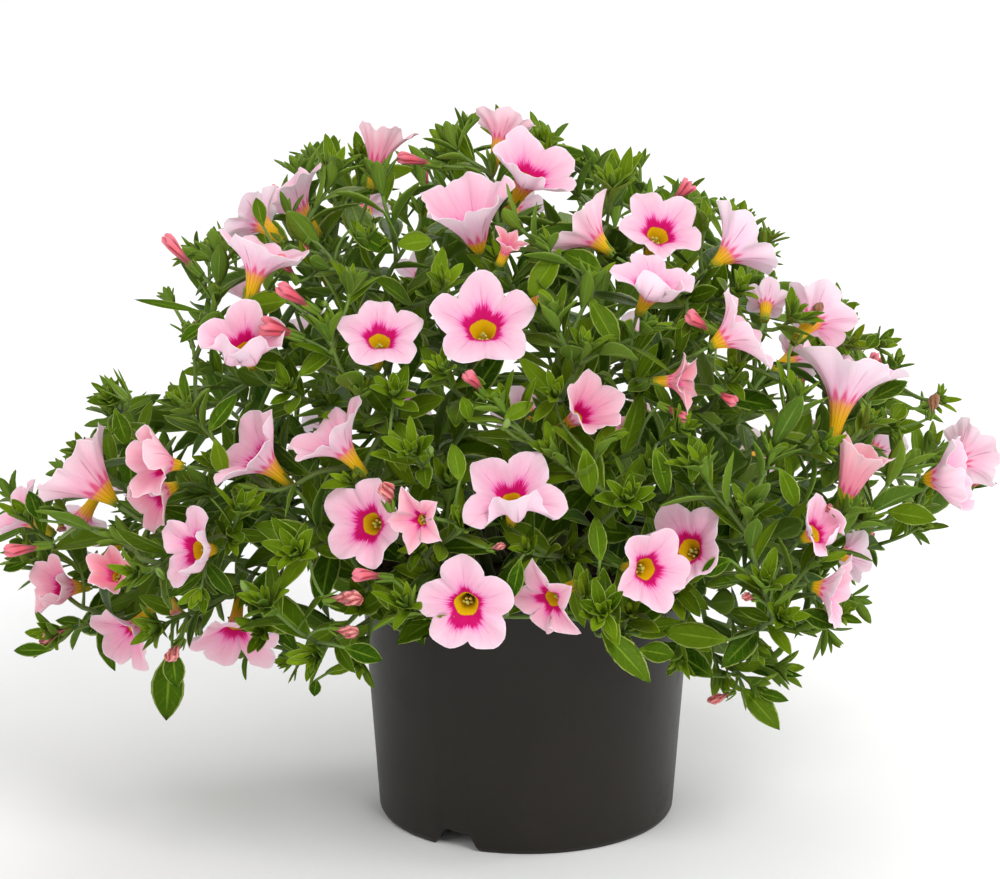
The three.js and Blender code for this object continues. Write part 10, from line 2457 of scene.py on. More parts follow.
s 1 -440 -1025 1806 42 -51 75 -87 -46 18 100 28 -9 83
s 1 -448 -1011 1793 -57 -44 69 80 -47 36 114 40 6 72
s 1 -441 -994 1774 46 -87 16 -41 -4 91 163 56 19 61
s 1 -444 -964 1760 18 -31 93 -43 -88 -21 173 56 37 49
s 1 -450 -933 1729 -54 -84 0 32 -21 92 188 60 14 38
s 1 -439 -885 1703 73 -49 48 -67 -38 64 216 90 14 28
s 1 -444 -825 1666 -62 23 75 29 -82 50 217 78 7 16
s 5 -737 1181 1312 -47 86 22 71 51 -48 84 23 2 90
s 5 -727 1172 1310 -9 93 35 -99 -13 9 110 31 0 81
s 5 -729 1154 1305 -56 73 -38 25 59 77 134 38 -2 70
s 5 -722 1133 1310 -10 90 41 10 42 -90 118 36 -9 61
s 5 -709 1106 1304 21 91 -36 -54 42 73 198 63 22 52
s 5 -702 1068 1306 -87 44 -22 22 74 63 205 62 8 41
s 5 -676 1026 1315 35 72 60 -89 45 -2 245 83 27 31
s 5 -653 966 1314 -43 26 -86 -37 82 43 262 96 29 22
s 5 -624 893 1326 -74 22 64 31 95 2 322 137 44 12
s 5 -317 1255 1578 25 64 73 -96 5 28 76 21 -15 100
s 5 -323 1249 1568 -21 78 59 55 -40 73 114 32 -7 89
s 5 -321 1234 1559 -2 24 97 6 97 -24 127 36 -12 78
s 5 -319 1226 1538 21 87 44 -32 -37 88 142 52 0 67
s 5 -325 1205 1518 -59 44 67 80 21 57 194 64 21 56
s 5 -317 1180 1490 53 5 84 -66 65 38 197 67 40 51
s 5 -322 1155 1448 -27 96 -4 10 7 99 216 76 15 40
s 5 -322 1110 1404 -44 -31 84 35 80 48 238 96 21 29
s 5 -314 1064 1340 89 30 35 -44 34 83 302 125 31 18
s 5 -321 1014 1278 -67 49 55 66 6 75 249 97 21 7
s 1 -590 -1061 1529 -54 -69 49 4 -60 -80 62 17 -10 97
s 1 -569 -1028 1537 -86 1 -51 24 -87 -44 133 44 -11 67
s 1 -552 -1012 1553 3 0 -100 -64 -77 -2 148 55 33 58
s 1 -525 -969 1616 -82 19 -54 -27 -96 8 225 79 44 36
s 1 -489 -937 1650 42 -72 -55 -72 -64 29 234 97 24 26
s 2 -1153 489 1654 -40 79 48 31 -37 88 80 22 -7 70
s 2 -1150 476 1653 -59 49 64 56 82 -10 108 30 -9 62
s 2 -1137 466 1643 11 88 46 -90 -12 43 116 32 -8 55
s 2 -1136 447 1629 -72 69 -1 30 32 90 151 55 -11 47
s 2 -1122 420 1624 -26 48 84 -13 84 -52 179 58 5 39
s 2 -1107 390 1605 20 93 -31 -39 37 84 191 64 26 31
s 2 -1069 288 1572 44 39 81 -85 46 25 253 94 33 15
s 11 -1154 -836 1250 -43 -89 12 -85 36 -38 82 23 12 70
s 11 -1152 -823 1251 -68 -68 26 52 -70 -48 98 27 1 62
s 11 -1140 -813 1244 -36 -86 -37 -44 -19 88 139 39 -6 55
s 11 -1128 -795 1251 -31 -83 47 -74 -10 -66 139 50 -1 47
s 11 -1116 -768 1247 -81 -45 -38 6 -70 71 157 49 15 39
s 11 -1090 -742 1256 4 -91 -41 -73 -30 61 194 65 9 31
s 11 -1072 -701 1276 -94 -18 31 18 -98 -2 206 65 15 23
s 11 -1031 -656 1289 -28 2 -96 -70 -68 19 242 93 24 15
s 7 732 1098 1547 27 91 33 -19 -28 94 66 18 10 100
s 7 726 1087 1546 -1 71 70 93 26 -26 97 27 -6 89
s 7 729 1074 1536 62 52 58 -77 52 36 114 32 -13 78
s 7 721 1061 1520 3 100 -1 21 1 98 134 42 2 67
s 7 716 1034 1512 18 18 97 3 98 -19 171 59 31 56
s 7 712 1006 1488 67 73 -15 -20 37 91 219 77 40 44
s 7 695 965 1472 -68 72 15 57 38 73 202 64 21 33
s 7 689 908 1454 53 13 84 -38 92 10 223 86 38 22
s 7 667 848 1414 -3 95 -31 21 31 93 283 119 35 11
s 5 -568 1210 1512 -61 45 65 -56 33 -76 68 19 -13 100
s 5 -562 1209 1501 -60 78 18 -34 -45 82 84 24 12 92
s 5 -554 1195 1496 -92 11 39 32 78 53 117 33 -2 81
s 5 -535 1190 1490 -34 66 67 -88 -48 4 134 44 -7 71
s 5 -519 1177 1472 -83 44 -35 -30 19 94 146 48 33 61
s 5 -489 1160 1466 -49 -14 86 -50 85 -14 167 56 26 49
s 5 -451 1150 1445 -28 93 22 -61 -35 71 223 82 44 40
s 5 -407 1124 1420 -97 -24 1 -10 46 88 213 87 26 29
s 5 -345 1100 1391 23 8 97 -92 33 19 272 95 27 18
s 0 1363 -484 1191 72 -45 53 -66 -20 73 57 16 -5 100
s 0 1353 -477 1191 58 -37 72 21 -79 -58 88 25 -3 89
s 0 1335 -459 1169 86 -31 40 -50 -58 64 91 30 6 67
s 0 1313 -449 1159 1 -65 76 98 16 12 163 52 24 56
s 0 1269 -398 1123 54 14 83 7 -99 13 173 59 40 33
s 0 1231 -367 1098 -20 -94 29 75 4 66 223 80 23 22
s 0 1136 -260 1053 3 -13 99 76 -64 -10 273 106 10 0
s 3 980 -866 1584 50 -63 60 69 -13 -71 57 16 7 100
s 3 975 -860 1574 69 -72 -9 18 5 98 77 22 5 89
s 3 966 -847 1575 85 -29 44 -38 -92 13 95 27 -2 78
s 3 948 -841 1569 27 -90 33 87 38 33 134 40 5 67
s 3 933 -821 1560 96 -3 -27 23 -44 87 103 32 28 56
s 3 906 -803 1566 51 -40 76 64 -41 -65 176 54 20 44
s 3 868 -782 1560 16 -84 -51 74 -25 63 175 53 40 33
s 3 826 -748 1561 88 47 -10 41 -64 65 229 98 19 22
s 7 1230 804 1040 69 72 10 14 -27 95 57 16 1 100
s 7 1222 795 1043 62 55 56 41 37 -83 95 26 7 89
s 7 1216 784 1033 96 25 15 -28 68 68 124 35 7 78
s 7 1198 778 1025 29 93 -20 56 1 83 134 47 10 67
s 7 1180 757 1022 44 -43 79 77 63 -9 139 49 37 56
s 7 1157 744 1001 95 3 -30 28 23 93 179 59 45 44
s 7 1076 743 956 44 -72 54 41 69 60 201 72 34 22
s 0 1054 -319 1895 54 -46 70 -33 -88 -33 64 18 10 100
s 0 1044 -315 1886 15 -88 46 72 42 55 95 27 -8 89
s 0 1043 -302 1875 71 -67 21 -41 -14 90 119 33 -2 78
s 0 1030 -284 1870 10 -49 87 64 -63 -43 154 48 -6 67
s 0 1021 -265 1850 -3 -100 -8 35 -8 93 157 48 10 56
s 0 1018 -229 1840 36 -92 -14 -71 -37 60 199 62 17 44
s 0 1000 -187 1824 -64 -66 38 73 -37 57 238 73 6 33
s 0 1000 -134 1795 37 -87 -32 -7 -37 93 227 88 26 22
s 1 -564 -990 1796 2 -42 91 26 88 40 57 16 2 100
s 1 -560 -983 1787 36 -13 92 -89 -34 30 93 26 -7 90
s 1 -569 -980 1774 -53 -3 85 79 -38 48 97 27 -4 78
s 1 -550 -965 1738 -20 -31 93 -95 -18 -26 171 63 19 58
s 1 -535 -947 1715 -99 8 14 7 -54 84 180 59 35 46
s 1 -498 -932 1696 7 -98 20 -64 11 76 205 62 35 36
s 4 747 -115 2179 14 -58 80 -50 66 56 72 20 5 100
s 4 746 -105 2172 25 -19 95 -62 -79 1 68 19 -9 89
s 4 740 -101 2157 -46 -33 83 89 -18 42 117 33 10 78
s 4 747 -93 2138 57 -54 62 -70 7 71 151 53 5 67
s 4 742 -75 2117 -17 24 96 22 -94 28 161 56 28 56
s 4 742 -62 2082 -22 -95 23 14 20 97 176 54 5 44
s 4 740 4 2001 -80 -23 56 60 -33 73 240 92 23 22
s 4 740 41 1935 76 -64 -4 -7 -14 99 244 89 25 11
s 5 -1056 1035 1069 -68 73 4 69 66 -29 70 20 -3 70
s 5 -1044 1028 1069 -5 100 1 -99 -5 10 95 27 2 62
s 5 -1042 1010 1066 -68 59 -45 9 66 74 114 32 6 55
s 5 -1030 992 1074 -50 75 44 -7 47 -88 149 50 -13 47
s 5 -1011 969 1073 -4 88 -48 -66 33 67 173 62 22 39
s 5 -997 935 1084 -98 -2 -19 -8 95 31 234 80 30 31
s 5 -962 906 1104 -15 95 28 -99 -14 -7 223 82 37 23
s 5 -922 859 1118 -39 -52 -76 -82 56 4 234 88 10 15
s 5 -864 809 1143 -74 -18 65 -30 95 -8 284 104 8 8
s 6 84 -942 2049 -45 -31 84 57 63 53 72 20 -10 100
s 6 94 -937 2041 7 -14 99 -99 -9 6 90 25 -9 96
s 6 93 -931 2025 -56 34 76 34 -74 58 121 34 -11 85
s 6 102 -938 2006 -41 -50 76 10 81 58 154 47 0 74
s 6 118 -934 1984 15 19 97 -96 -20 18 155 51 12 63
s 6 126 -936 1948 -77 63 14 4 -16 99 194 70 10 51
s 6 146 -952 1908 -5 -84 53 -18 53 83 233 80 11 40
s 11 -1260 -792 934 -90 -32 -31 21 -92 35 70 20 12 70
s 11 -1248 -790 934 -56 -69 -46 -64 1 76 86 24 10 62
s 11 -1239 -779 943 -75 -56 35 -24 -26 -94 119 33 0 55
s 11 -1223 -765 940 -72 -34 -61 -39 -52 76 146 45 10 47
s 11 -1199 -754 949 -23 -97 -10 -92 19 33 179 55 33 39
s 11 -1174 -729 958 -95 1 30 -2 -100 -2 188 61 44 31
s 11 -1132 -710 964 -29 -71 -64 -77 -22 60 152 56 26 23
s 11 -1084 -684 986 -32 -86 40 -94 33 -5 272 98 13 15
s 11 -1023 -642 1001 -67 61 -42 -74 -57 35 287 104 27 8
s 11 -952 -610 1021 28 -93 -24 -86 -35 37 259 104 19 0
s 11 -1036 -867 1525 -31 -78 54 -92 40 5 66 18 -14 70
s 11 -1035 -854 1520 -69 -34 64 42 -91 -3 103 29 3 62
s 11 -1026 -849 1507 -63 -76 17 9 14 98 108 30 -4 55
s 11 -1011 -834 1502 -54 -49 68 -78 0 -62 132 45 -1 47
s 11 -1001 -816 1483 -91 -23 35 42 -48 77 151 46 27 39
s 11 -974 -802 1462 -2 -100 1 -51 2 86 204 66 42 31
s 11 -947 -771 1439 -44 28 86 -19 -96 21 237 74 22 23
s 11 -913 -744 1398 -95 5 -31 -30 -36 88 231 97 5 15
s 6 678 -911 1867 10 -68 73 24 -69 -68 49 14 -11 100
s 6 675 -909 1856 -10 -93 36 51 27 82 90 25 -2 89
s 6 678 -895 1849 43 -68 60 -89 -44 13 116 32 9 78
s 6 668 -868 1816 35 -94 -6 -6 -8 99 149 48 32 56
s 6 662 -838 1800 46 6 89 -31 -92 23 164 58 38 44
s 6 649 -810 1771 -85 -50 17 35 -30 89 179 61 9 33
s 6 647 -765 1739 93 -36 -5 -14 -48 86 210 90 9 22
s 6 621 -708 1706 -28 -14 95 72 -68 11 252 103 6 11
s 6 514 -658 2138 0 -85 53 -56 44 70 76 21 -15 100
s 6 517 -647 2133 15 -76 63 -79 -47 -38 96 27 -1 89
s 6 516 -642 2117 -52 -75 41 39 22 89 128 36 0 78
s 6 526 -631 2103 37 -83 42 -64 10 76 125 42 4 67
s 6 528 -609 2085 -73 -15 67 57 -67 48 165 60 21 56
s 6 544 -592 2057 -18 -98 -1 -22 3 98 176 56 8 44
s 6 566 -557 2037 33 -59 73 -93 -9 35 207 69 27 33
s 6 582 -512 2003 -96 -29 1 15 -47 87 232 89 9 22
s 6 620 -461 1964 53 -85 -2 -42 -28 86 236 89 15 11
s 6 244 -50 2350 49 72 49 -85 27 45 102 28 -6 78
s 6 237 -60 2330 -4 95 32 34 -28 90 118 40 -14 67
s 6 237 -84 2312 39 -9 92 29 96 -3 153 51 20 56
s 6 239 -106 2280 62 73 28 -46 5 89 215 68 11 44
s 6 230 -141 2247 -39 85 36 59 -8 81 204 69 33 33
s 6 235 -192 2209 54 8 84 -59 74 32 276 98 9 22
s 6 228 -245 2150 43 83 -35 -1 39 92 285 109 22 11
s 6 212 -303 2096 -70 -22 68 48 56 67 360 138 36 0
s 3 1066 -903 1372 47 -34 82 75 65 -15 64 18 8 100
s 3 1064 -897 1361 88 12 46 -38 -39 84 89 25 -11 89
s 3 1049 -897 1355 -7 8 99 91 -40 10 87 24 4 78
s 3 1044 -904 1337 87 -21 45 -28 54 80 133 42 -10 67
s 3 1028 -906 1316 28 91 30 23 -36 90 170 55 23 56
s 1 -915 -1013 1482 -98 0 -22 -22 -16 96 61 17 -4 70
s 1 -905 -1016 1487 -89 -32 33 -44 80 -41 87 24 6 62
s 1 -892 -1008 1483 -93 38 2 -31 -80 52 115 32 6 55
s 1 -873 -1014 1478 -86 -35 -36 -47 28 84 145 48 2 47
s 1 -815 -1006 1485 -69 41 -60 -72 -29 63 185 59 30 32
s 1 -776 -1013 1501 -26 -88 -40 -96 21 17 180 66 15 25
s 1 -731 -1004 1533 -74 58 35 -68 -68 -28 228 86 24 18
s 1 -663 -1013 1547 -32 16 -93 -95 -3 32 223 92 22 10
s 1 -809 -875 1802 -73 -24 65 7 -96 -27 61 17 5 73
s 1 -806 -870 1791 -74 -52 42 46 6 89 83 23 9 65
s 1 -795 -858 1785 3 -76 64 -97 14 21 114 32 12 58
s 1 -794 -840 1771 -65 -75 -13 40 -48 78 113 36 4 50
s 1 -776 -823 1755 -14 -99 -2 -39 4 92 182 60 14 43
s 1 -758 -791 1746 -33 -26 90 -35 -86 -38 182 64 12 35
s 1 -734 -759 1719 -96 -25 -13 -1 -42 91 221 78 37 27
s 1 -686 -728 1697 31 -87 38 -76 1 64 288 123 28 19
s 3 1138 -862 1334 80 29 52 23 -96 18 44 12 8 100
s 3 1131 -869 1332 61 -30 73 57 80 -16 62 17 -10 89
s 3 1125 -866 1321 99 11 -5 4 4 100 89 25 -1 78
s 3 1107 -867 1319 38 56 74 82 -57 2 112 37 7 67
s 3 1094 -880 1308 91 -27 30 4 80 60 124 43 22 56
s 3 1068 -885 1296 33 93 -15 52 -5 85 99 32 6 44
s 3 1042 -911 1293 51 8 85 27 93 -25 168 51 12 33
s 8 -364 440 2282 -29 53 80 84 54 -5 56 16 11 100
s 8 -355 433 2278 14 75 64 -74 51 -44 72 20 2 89
s 8 -353 428 2263 -33 89 32 1 -33 94 98 28 -12 78
s 8 -349 409 2256 -63 17 76 44 88 17 135 48 -11 67
s 8 -334 393 2240 38 81 44 -81 6 58 144 47 40 56
s 8 -330 364 2222 -75 56 -36 -2 53 85 172 58 25 44
s 8 -312 325 2214 3 32 95 -54 81 -25 204 65 7 33
s 8 -295 279 2185 -6 88 -48 -20 46 87 212 76 29 22
s 0 1237 -511 1564 46 -68 56 86 18 -48 64 18 11 100
s 0 1235 -505 1553 68 -71 18 -15 10 98 100 28 0 89
s 0 1225 -492 1553 54 -38 75 8 -87 -49 113 32 -3 78
s 0 1211 -484 1539 24 -93 28 54 37 76 142 51 -11 67
s 0 1202 -461 1526 91 -21 35 -41 -58 70 180 64 41 56
s 0 1178 -440 1511 -14 -28 95 87 -50 -2 180 63 32 44
s 0 1159 -414 1479 34 -94 -8 17 -2 99 232 83 36 33
s 0 1137 -370 1449 53 34 78 -7 -89 44 221 94 41 22
s 0 1101 -328 1400 -46 -67 58 79 -1 61 238 101 6 11
s 11 -1000 -997 1305 39 -92 -8 -56 -30 77 52 15 -14 70
s 11 -1004 -990 1311 27 -91 32 -1 -33 -94 74 21 -6 62
s 11 -1007 -964 1305 71 -70 6 -62 -59 52 105 36 2 47
s 11 -1021 -947 1305 -18 -64 75 98 -14 12 106 37 23 39
s 11 -1052 -894 1288 48 26 83 22 -96 18 142 51 16 23
s 9 79 1123 1892 5 26 96 -96 -26 12 68 19 6 100
s 9 74 1121 1880 -58 41 70 62 -35 71 82 23 -10 89
s 9 80 1113 1866 21 -23 95 -52 80 31 135 38 2 78
s 9 81 1114 1843 24 73 64 -26 -59 76 152 51 8 67
s 9 98 1111 1781 37 61 70 -52 -49 70 186 58 8 44
s 9 104 1114 1733 -31 -79 54 19 50 84 170 57 22 33
s 9 116 1141 1679 57 36 74 -38 -68 62 243 101 37 22
s 9 80 1212 1542 78 -61 -10 -1 -17 98 302 118 43 0
s 6 536 -845 2028 -11 -96 27 85 -23 -47 58 16 3 100
s 6 541 -836 2022 24 -97 -10 -38 -19 91 69 19 -12 89
s 6 540 -823 2026 37 -75 54 -65 -63 -43 85 24 0 78
s 6 532 -807 2020 -70 -63 -34 47 -76 44 81 26 -14 67
s 6 539 -784 2020 85 -36 -40 -18 -90 40 132 42 16 56
s 6 532 -715 2032 -14 -42 -90 4 -91 42 172 54 22 33
s 6 537 -669 2054 50 -77 38 -84 -55 0 176 65 20 22
s 6 549 -222 2290 56 60 57 27 -78 56 58 16 -9 100
s 6 542 -231 2287 44 -4 90 48 86 -20 73 20 -9 89
s 6 538 -232 2272 90 33 31 -32 0 95 102 28 -12 78
s 6 521 -236 2264 -5 48 87 90 -36 25 101 35 -12 67
s 6 510 -249 2245 82 -22 52 -19 76 62 138 44 20 56
s 6 486 -253 2224 59 80 14 22 -32 92 145 46 14 44
s 6 452 -272 2209 46 34 82 73 38 -56 198 60 25 33
s 6 412 -294 2179 92 -21 -33 38 37 85 208 81 41 22
s 6 350 -311 2158 -3 90 43 78 -25 58 201 81 24 11
s 6 284 -344 2124 22 -66 72 59 68 44 241 90 42 0
s 4 239 827 2148 32 6 94 79 53 -30 66 18 6 100
s 4 242 824 2135 53 19 83 -83 34 45 87 24 9 89
s 4 232 824 2122 1 74 68 46 -61 65 126 35 -5 78
s 4 225 811 2105 1 -44 90 52 77 37 152 56 -5 67
s 4 221 807 2077 85 39 36 -37 -4 93 178 62 25 56
s 4 200 796 2049 -36 36 86 90 -9 42 184 68 30 44
s 4 187 777 2008 81 -36 46 -23 54 81 212 76 25 33
s 4 157 764 1957 -3 97 23 31 -21 93 216 78 21 22
s 4 128 727 1897 -17 -6 98 68 72 16 229 81 37 11
s 6 208 -858 2132 64 20 74 -68 -31 67 72 20 -11 100
s 6 198 -858 2124 3 13 99 95 -30 1 105 30 9 89
s 6 198 -864 2108 42 -24 87 -31 87 39 120 34 10 78
s 6 187 -860 2089 10 66 74 40 -71 58 157 55 -12 67
s 6 177 -876 2068 17 -24 96 33 93 17 176 54 25 56
s 6 167 -887 2035 81 50 29 -35 1 94 186 67 19 51
s 6 140 -910 2004 -42 50 76 85 -8 52 242 77 25 40
s 0 1430 -128 1384 30 -17 94 95 -8 -31 66 18 12 100
s 0 1422 -120 1362 54 41 74 -5 -86 51 105 29 7 78
s 0 1410 -122 1346 1 -45 89 74 60 29 131 48 -11 67
s 0 1407 -115 1320 69 32 65 -68 -2 74 111 40 29 56
s 0 1392 -104 1292 -6 49 87 34 -81 48 187 58 8 44
s 0 1382 -102 1249 -41 -80 45 38 30 88 184 60 21 33
s 0 1378 -83 1196 77 27 58 -45 -43 79 212 84 12 22
s 11 -1107 -1013 1131 -40 -81 -43 66 -58 48 58 16 2 70
s 11 -1103 -994 1141 -83 -53 -19 56 -80 -19 94 26 0 55
s 11 -1095 -978 1143 7 -62 -78 -32 -76 57 120 41 -11 47
s 11 -1092 -962 1162 33 -86 -40 -91 -17 -38 113 36 37 39
s 11 -1098 -936 1177 -74 -40 -55 47 -88 1 164 51 30 31
s 11 -1093 -907 1204 59 -6 -81 -3 -100 6 172 60 33 23
s 5 -218 1098 1926 35 65 68 -46 75 -48 79 22 -11 100
s 5 -222 1094 1914 41 76 50 -36 -37 85 98 28 3 89
s 5 -232 1080 1909 6 53 85 88 37 -29 125 35 0 78
s 5 -233 1066 1891 73 53 43 -61 24 75 149 49 -5 67
s 5 -248 1050 1872 -3 99 13 39 -11 91 158 48 13 56
s 5 -261 1019 1855 5 16 99 50 85 -16 204 73 12 44
s 5 -275 987 1820 79 57 -21 1 34 94 223 78 32 33
s 5 -307 943 1792 -5 55 83 99 15 -4 220 83 6 22
s 5 -334 884 1747 63 -38 68 -5 86 52 271 105 42 11
s 5 -372 839 1692 -16 83 -54 28 56 78 326 114 7 0
s 2 -1297 802 982 -33 91 24 -73 -41 54 61 17 -14 70
s 2 -1295 791 977 -86 50 14 39 45 80 84 23 -15 62
s 2 -1281 783 975 -18 68 70 -97 -3 -22 108 30 -4 55
s 2 -1273 771 960 -59 80 -9 -12 3 99 142 44 -12 47
s 2 -1259 749 953 -59 17 79 26 96 0 174 62 9 39
s 2 -1236 733 931 23 74 63 -84 -18 52 197 71 7 31
s 2 -1222 704 899 -98 20 3 10 34 94 218 73 21 23
s 2 -1193 669 864 -8 -26 96 -34 91 22 257 103 38 15
s 2 -1165 632 807 -1 100 -7 -24 6 97 284 103 41 8
s 3 885 -899 1758 46 -2 89 12 -99 -9 74 21 8 100
s 3 877 -905 1748 17 -31 94 74 66 8 96 27 8 89
s 3 875 -900 1731 72 7 69 -68 -16 72 145 40 1 78
s 3 858 -901 1714 -21 26 94 93 -25 28 138 47 -14 67
s 3 853 -911 1686 75 -28 60 -36 59 72 204 70 11 56
s 3 833 -917 1653 -19 83 52 50 -38 78 196 66 27 44
s 3 820 -945 1613 35 -35 87 -11 91 41 253 77 12 33
s 11 -962 -1065 1420 47 -56 68 -78 10 61 69 19 -10 70
s 11 -969 -1055 1415 17 -21 96 16 -96 -24 105 29 0 62
s 11 -973 -1054 1398 9 -79 60 32 60 74 112 31 -9 55
s 11 -975 -1038 1384 67 -5 74 -56 -68 47 149 49 10 47
s 11 -992 -1028 1363 -32 -50 80 92 1 38 170 53 20 39
s 11 -999 -1010 1332 29 -94 15 -2 15 99 177 58 10 31
s 8 -12 391 2380 -5 0 100 67 -74 4 68 19 -4 100
s 8 -10 386 2368 17 -47 87 -20 84 50 79 22 12 89
s 8 -10 395 2355 35 30 89 -45 -78 44 114 32 -12 78
s 8 -17 393 2335 -28 -48 83 68 51 52 154 48 0 67
s 8 -14 401 2309 26 -37 89 -91 22 35 133 48 14 56
s 8 -28 415 2279 -3 26 96 42 -87 25 185 58 9 44
s 8 -39 422 2236 27 -96 4 14 8 99 186 66 23 33
s 8 -58 453 2190 56 58 59 -7 -68 73 252 88 37 22
s 8 -92 473 2127 -70 -16 69 71 -14 69 268 110 29 11
s 8 58 136 2422 71 -66 25 -68 -56 47 64 18 0 100
s 8 48 143 2418 2 -46 88 81 -51 -28 96 27 -2 89
s 8 47 148 2402 28 -93 25 5 27 96 100 28 -7 78
s 8 45 166 2393 78 -63 -8 -57 -75 34 119 41 8 67
s 8 30 183 2377 -38 -75 53 85 -7 52 174 64 38 56
s 8 29 213 2358 63 -74 -26 -13 -42 90 196 63 14 44
s 8 16 256 2352 -29 -26 92 -8 -95 -29 169 61 20 33
s 8 1 306 2328 -46 -81 -36 31 -53 79 246 101 26 22
s 8 -7 374 2305 93 -21 30 -37 -63 68 240 86 44 11
s 0 1250 -178 1649 36 -74 57 32 67 67 157 48 42 56
s 0 1234 -163 1623 97 26 -5 14 -35 93 121 39 22 44
s 0 1202 -151 1597 -16 10 98 86 -46 19 195 69 43 33
s 0 1174 -140 1550 56 -82 0 20 14 97 200 79 10 22
s 0 1133 -114 1499 53 75 39 16 -54 83 241 94 41 11
s 4 333 1074 1947 -13 51 85 42 81 -42 69 19 4 100
s 4 339 1068 1936 32 71 63 -89 -1 46 100 28 -12 89
s 4 332 1058 1923 -24 80 56 58 -34 74 130 36 0 78
s 4 337 1038 1912 19 36 92 -61 77 -17 150 49 -6 67
s 4 339 1022 1887 9 99 10 -27 -7 96 165 57 22 56
s 4 336 990 1866 -70 29 66 69 52 50 223 78 43 44
s 4 354 905 1798 -60 74 -31 4 41 91 285 102 36 22
s 4 368 834 1764 -35 -15 92 17 96 22 320 131 43 11
s 4 382 771 1716 76 60 -24 -17 54 82 306 131 17 0
s 1 -282 -847 2149 9 -50 86 60 -66 -44 56 16 -13 100
s 1 -285 -830 2132 -4 -31 95 -74 -63 -23 104 29 -1 78
s 1 -298 -820 2120 -27 -71 65 92 0 38 140 45 11 67
s 1 -299 -800 2102 70 -32 64 -71 -24 66 125 43 37 56
s 1 -315 -773 2091 20 6 98 22 -98 1 179 60 26 44
s 1 -336 -744 2066 -15 -89 43 64 24 73 194 60 20 33
s 1 -353 -696 2046 99 -7 -12 5 -63 77 243 88 41 22
s 1 -394 -643 2024 -51 -57 64 86 -33 40 216 80 22 11
s 1 -424 -582 1982 10 -77 -63 30 -58 76 283 119 10 0
s 6 377 -980 2029 80 6 60 37 -84 -40 71 20 -5 100
s 6 368 -983 2018 57 -58 57 32 81 49 110 31 12 90
s 6 360 -971 2005 95 16 26 -13 -56 82 136 38 -11 79
s 6 337 -970 1997 -7 -82 57 100 -5 4 163 60 12 69
s 6 316 -966 1974 90 -29 -32 36 8 93 193 64 29 59
s 6 232 -968 1940 50 -83 25 47 50 72 272 92 17 39
s 7 1159 924 1320 -6 24 97 16 96 -22 60 17 10 100
s 7 1163 923 1309 33 70 63 -70 -27 67 98 28 10 89
s 7 1156 913 1299 -40 39 83 91 31 28 118 33 -5 78
s 7 1162 901 1284 38 10 92 -70 68 22 150 55 -1 67
s 7 1162 893 1258 -12 97 21 -1 -22 98 169 58 16 56
s 7 1165 869 1234 -30 -52 80 7 82 56 179 56 21 44
s 7 1179 852 1195 64 61 46 -60 3 80 214 72 35 33
s 7 1176 817 1150 -14 93 -35 25 38 89 218 91 14 22
s 7 1174 722 1036 80 57 18 -24 4 97 305 108 11 0
s 3 1143 -736 1626 71 9 70 -34 -82 46 67 19 -15 100
s 3 1132 -739 1622 75 9 66 65 11 -75 75 21 8 89
s 3 1129 -739 1607 79 -20 58 -51 30 80 102 28 -15 78
s 3 1114 -732 1596 24 67 70 39 -73 57 120 39 1 67
s 3 1079 -732 1549 98 17 3 -1 -10 99 156 57 30 44
s 3 1042 -737 1534 72 30 63 66 2 -75 146 48 24 33
s 3 941 -781 1566 18 91 -38 85 4 52 236 98 33 11
s 2 -1459 510 877 -93 -34 -11 1 26 -96 83 23 -10 70
s 2 -1446 517 877 -80 -7 -60 -45 -59 67 91 26 -11 62
s 2 -1432 514 887 -53 -75 -40 -82 57 1 121 34 9 55
s 2 -1416 525 900 -98 17 -5 -14 -91 -38 145 44 -9 47
s 2 -1388 530 907 -43 4 -90 -87 -30 40 174 63 40 39
s 2 -1358 533 931 -89 -37 26 -45 82 -36 173 62 7 31
s 2 -1317 551 951 -77 64 -9 -63 -72 30 211 72 39 23
s 2 -1192 603 954 36 13 92 -79 -48 38 258 103 40 8
s 2 -1178 616 883 72 -60 34 -16 33 93 305 116 18 0
s 4 743 733 2046 -48 64 60 88 37 31 60 17 -11 100
s 4 740 725 2022 24 95 21 42 -30 86 104 29 -2 78
s 4 736 710 2008 -56 -25 79 30 83 48 118 39 -15 67
s 4 736 702 1982 70 62 35 -42 -5 91 165 53 30 56
s 4 723 686 1953 -46 58 68 74 -18 65 206 66 5 44
s 4 725 658 1917 52 -31 80 -38 75 54 201 63 22 33
s 4 719 635 1865 -2 100 -4 5 4 100 208 89 16 22
s 4 712 586 1811 -40 -35 84 39 77 51 245 105 37 11
s 4 710 542 1743 93 36 9 -22 34 92 281 113 24 0
s 0 1441 298 1412 83 56 -5 56 -83 2 64 18 -6 100
s 0 1430 297 1409 64 69 -35 59 -14 80 89 25 0 89
s 0 1419 288 1417 75 53 40 36 16 -92 114 32 3 78
s 0 1405 274 1412 86 17 -49 26 69 68 132 40 -10 67
s 0 1381 265 1421 -68 74 0 69 63 36 124 44 45 56
s 0 1332 213 1449 1 27 -96 69 69 21 210 74 13 33
s 0 1300 181 1482 20 82 54 89 8 -44 209 80 33 22
s 5 -457 1051 1954 -69 42 59 71 27 65 75 21 11 100
s 5 -447 1043 1949 -25 24 94 -48 81 -34 106 30 3 89
s 5 -442 1042 1932 -31 88 35 -18 -41 89 112 31 -11 78
s 5 -435 1025 1919 -67 5 74 49 78 39 141 51 -4 67
s 5 -401 998 1870 -90 42 -2 5 15 99 177 53 28 44
s 5 -368 971 1846 7 -2 100 -47 88 5 227 78 19 33
s 5 -333 946 1802 84 37 40 -43 1 90 199 78 33 22
s 6 712 -711 2091 53 -65 55 -84 -30 45 65 18 -6 100
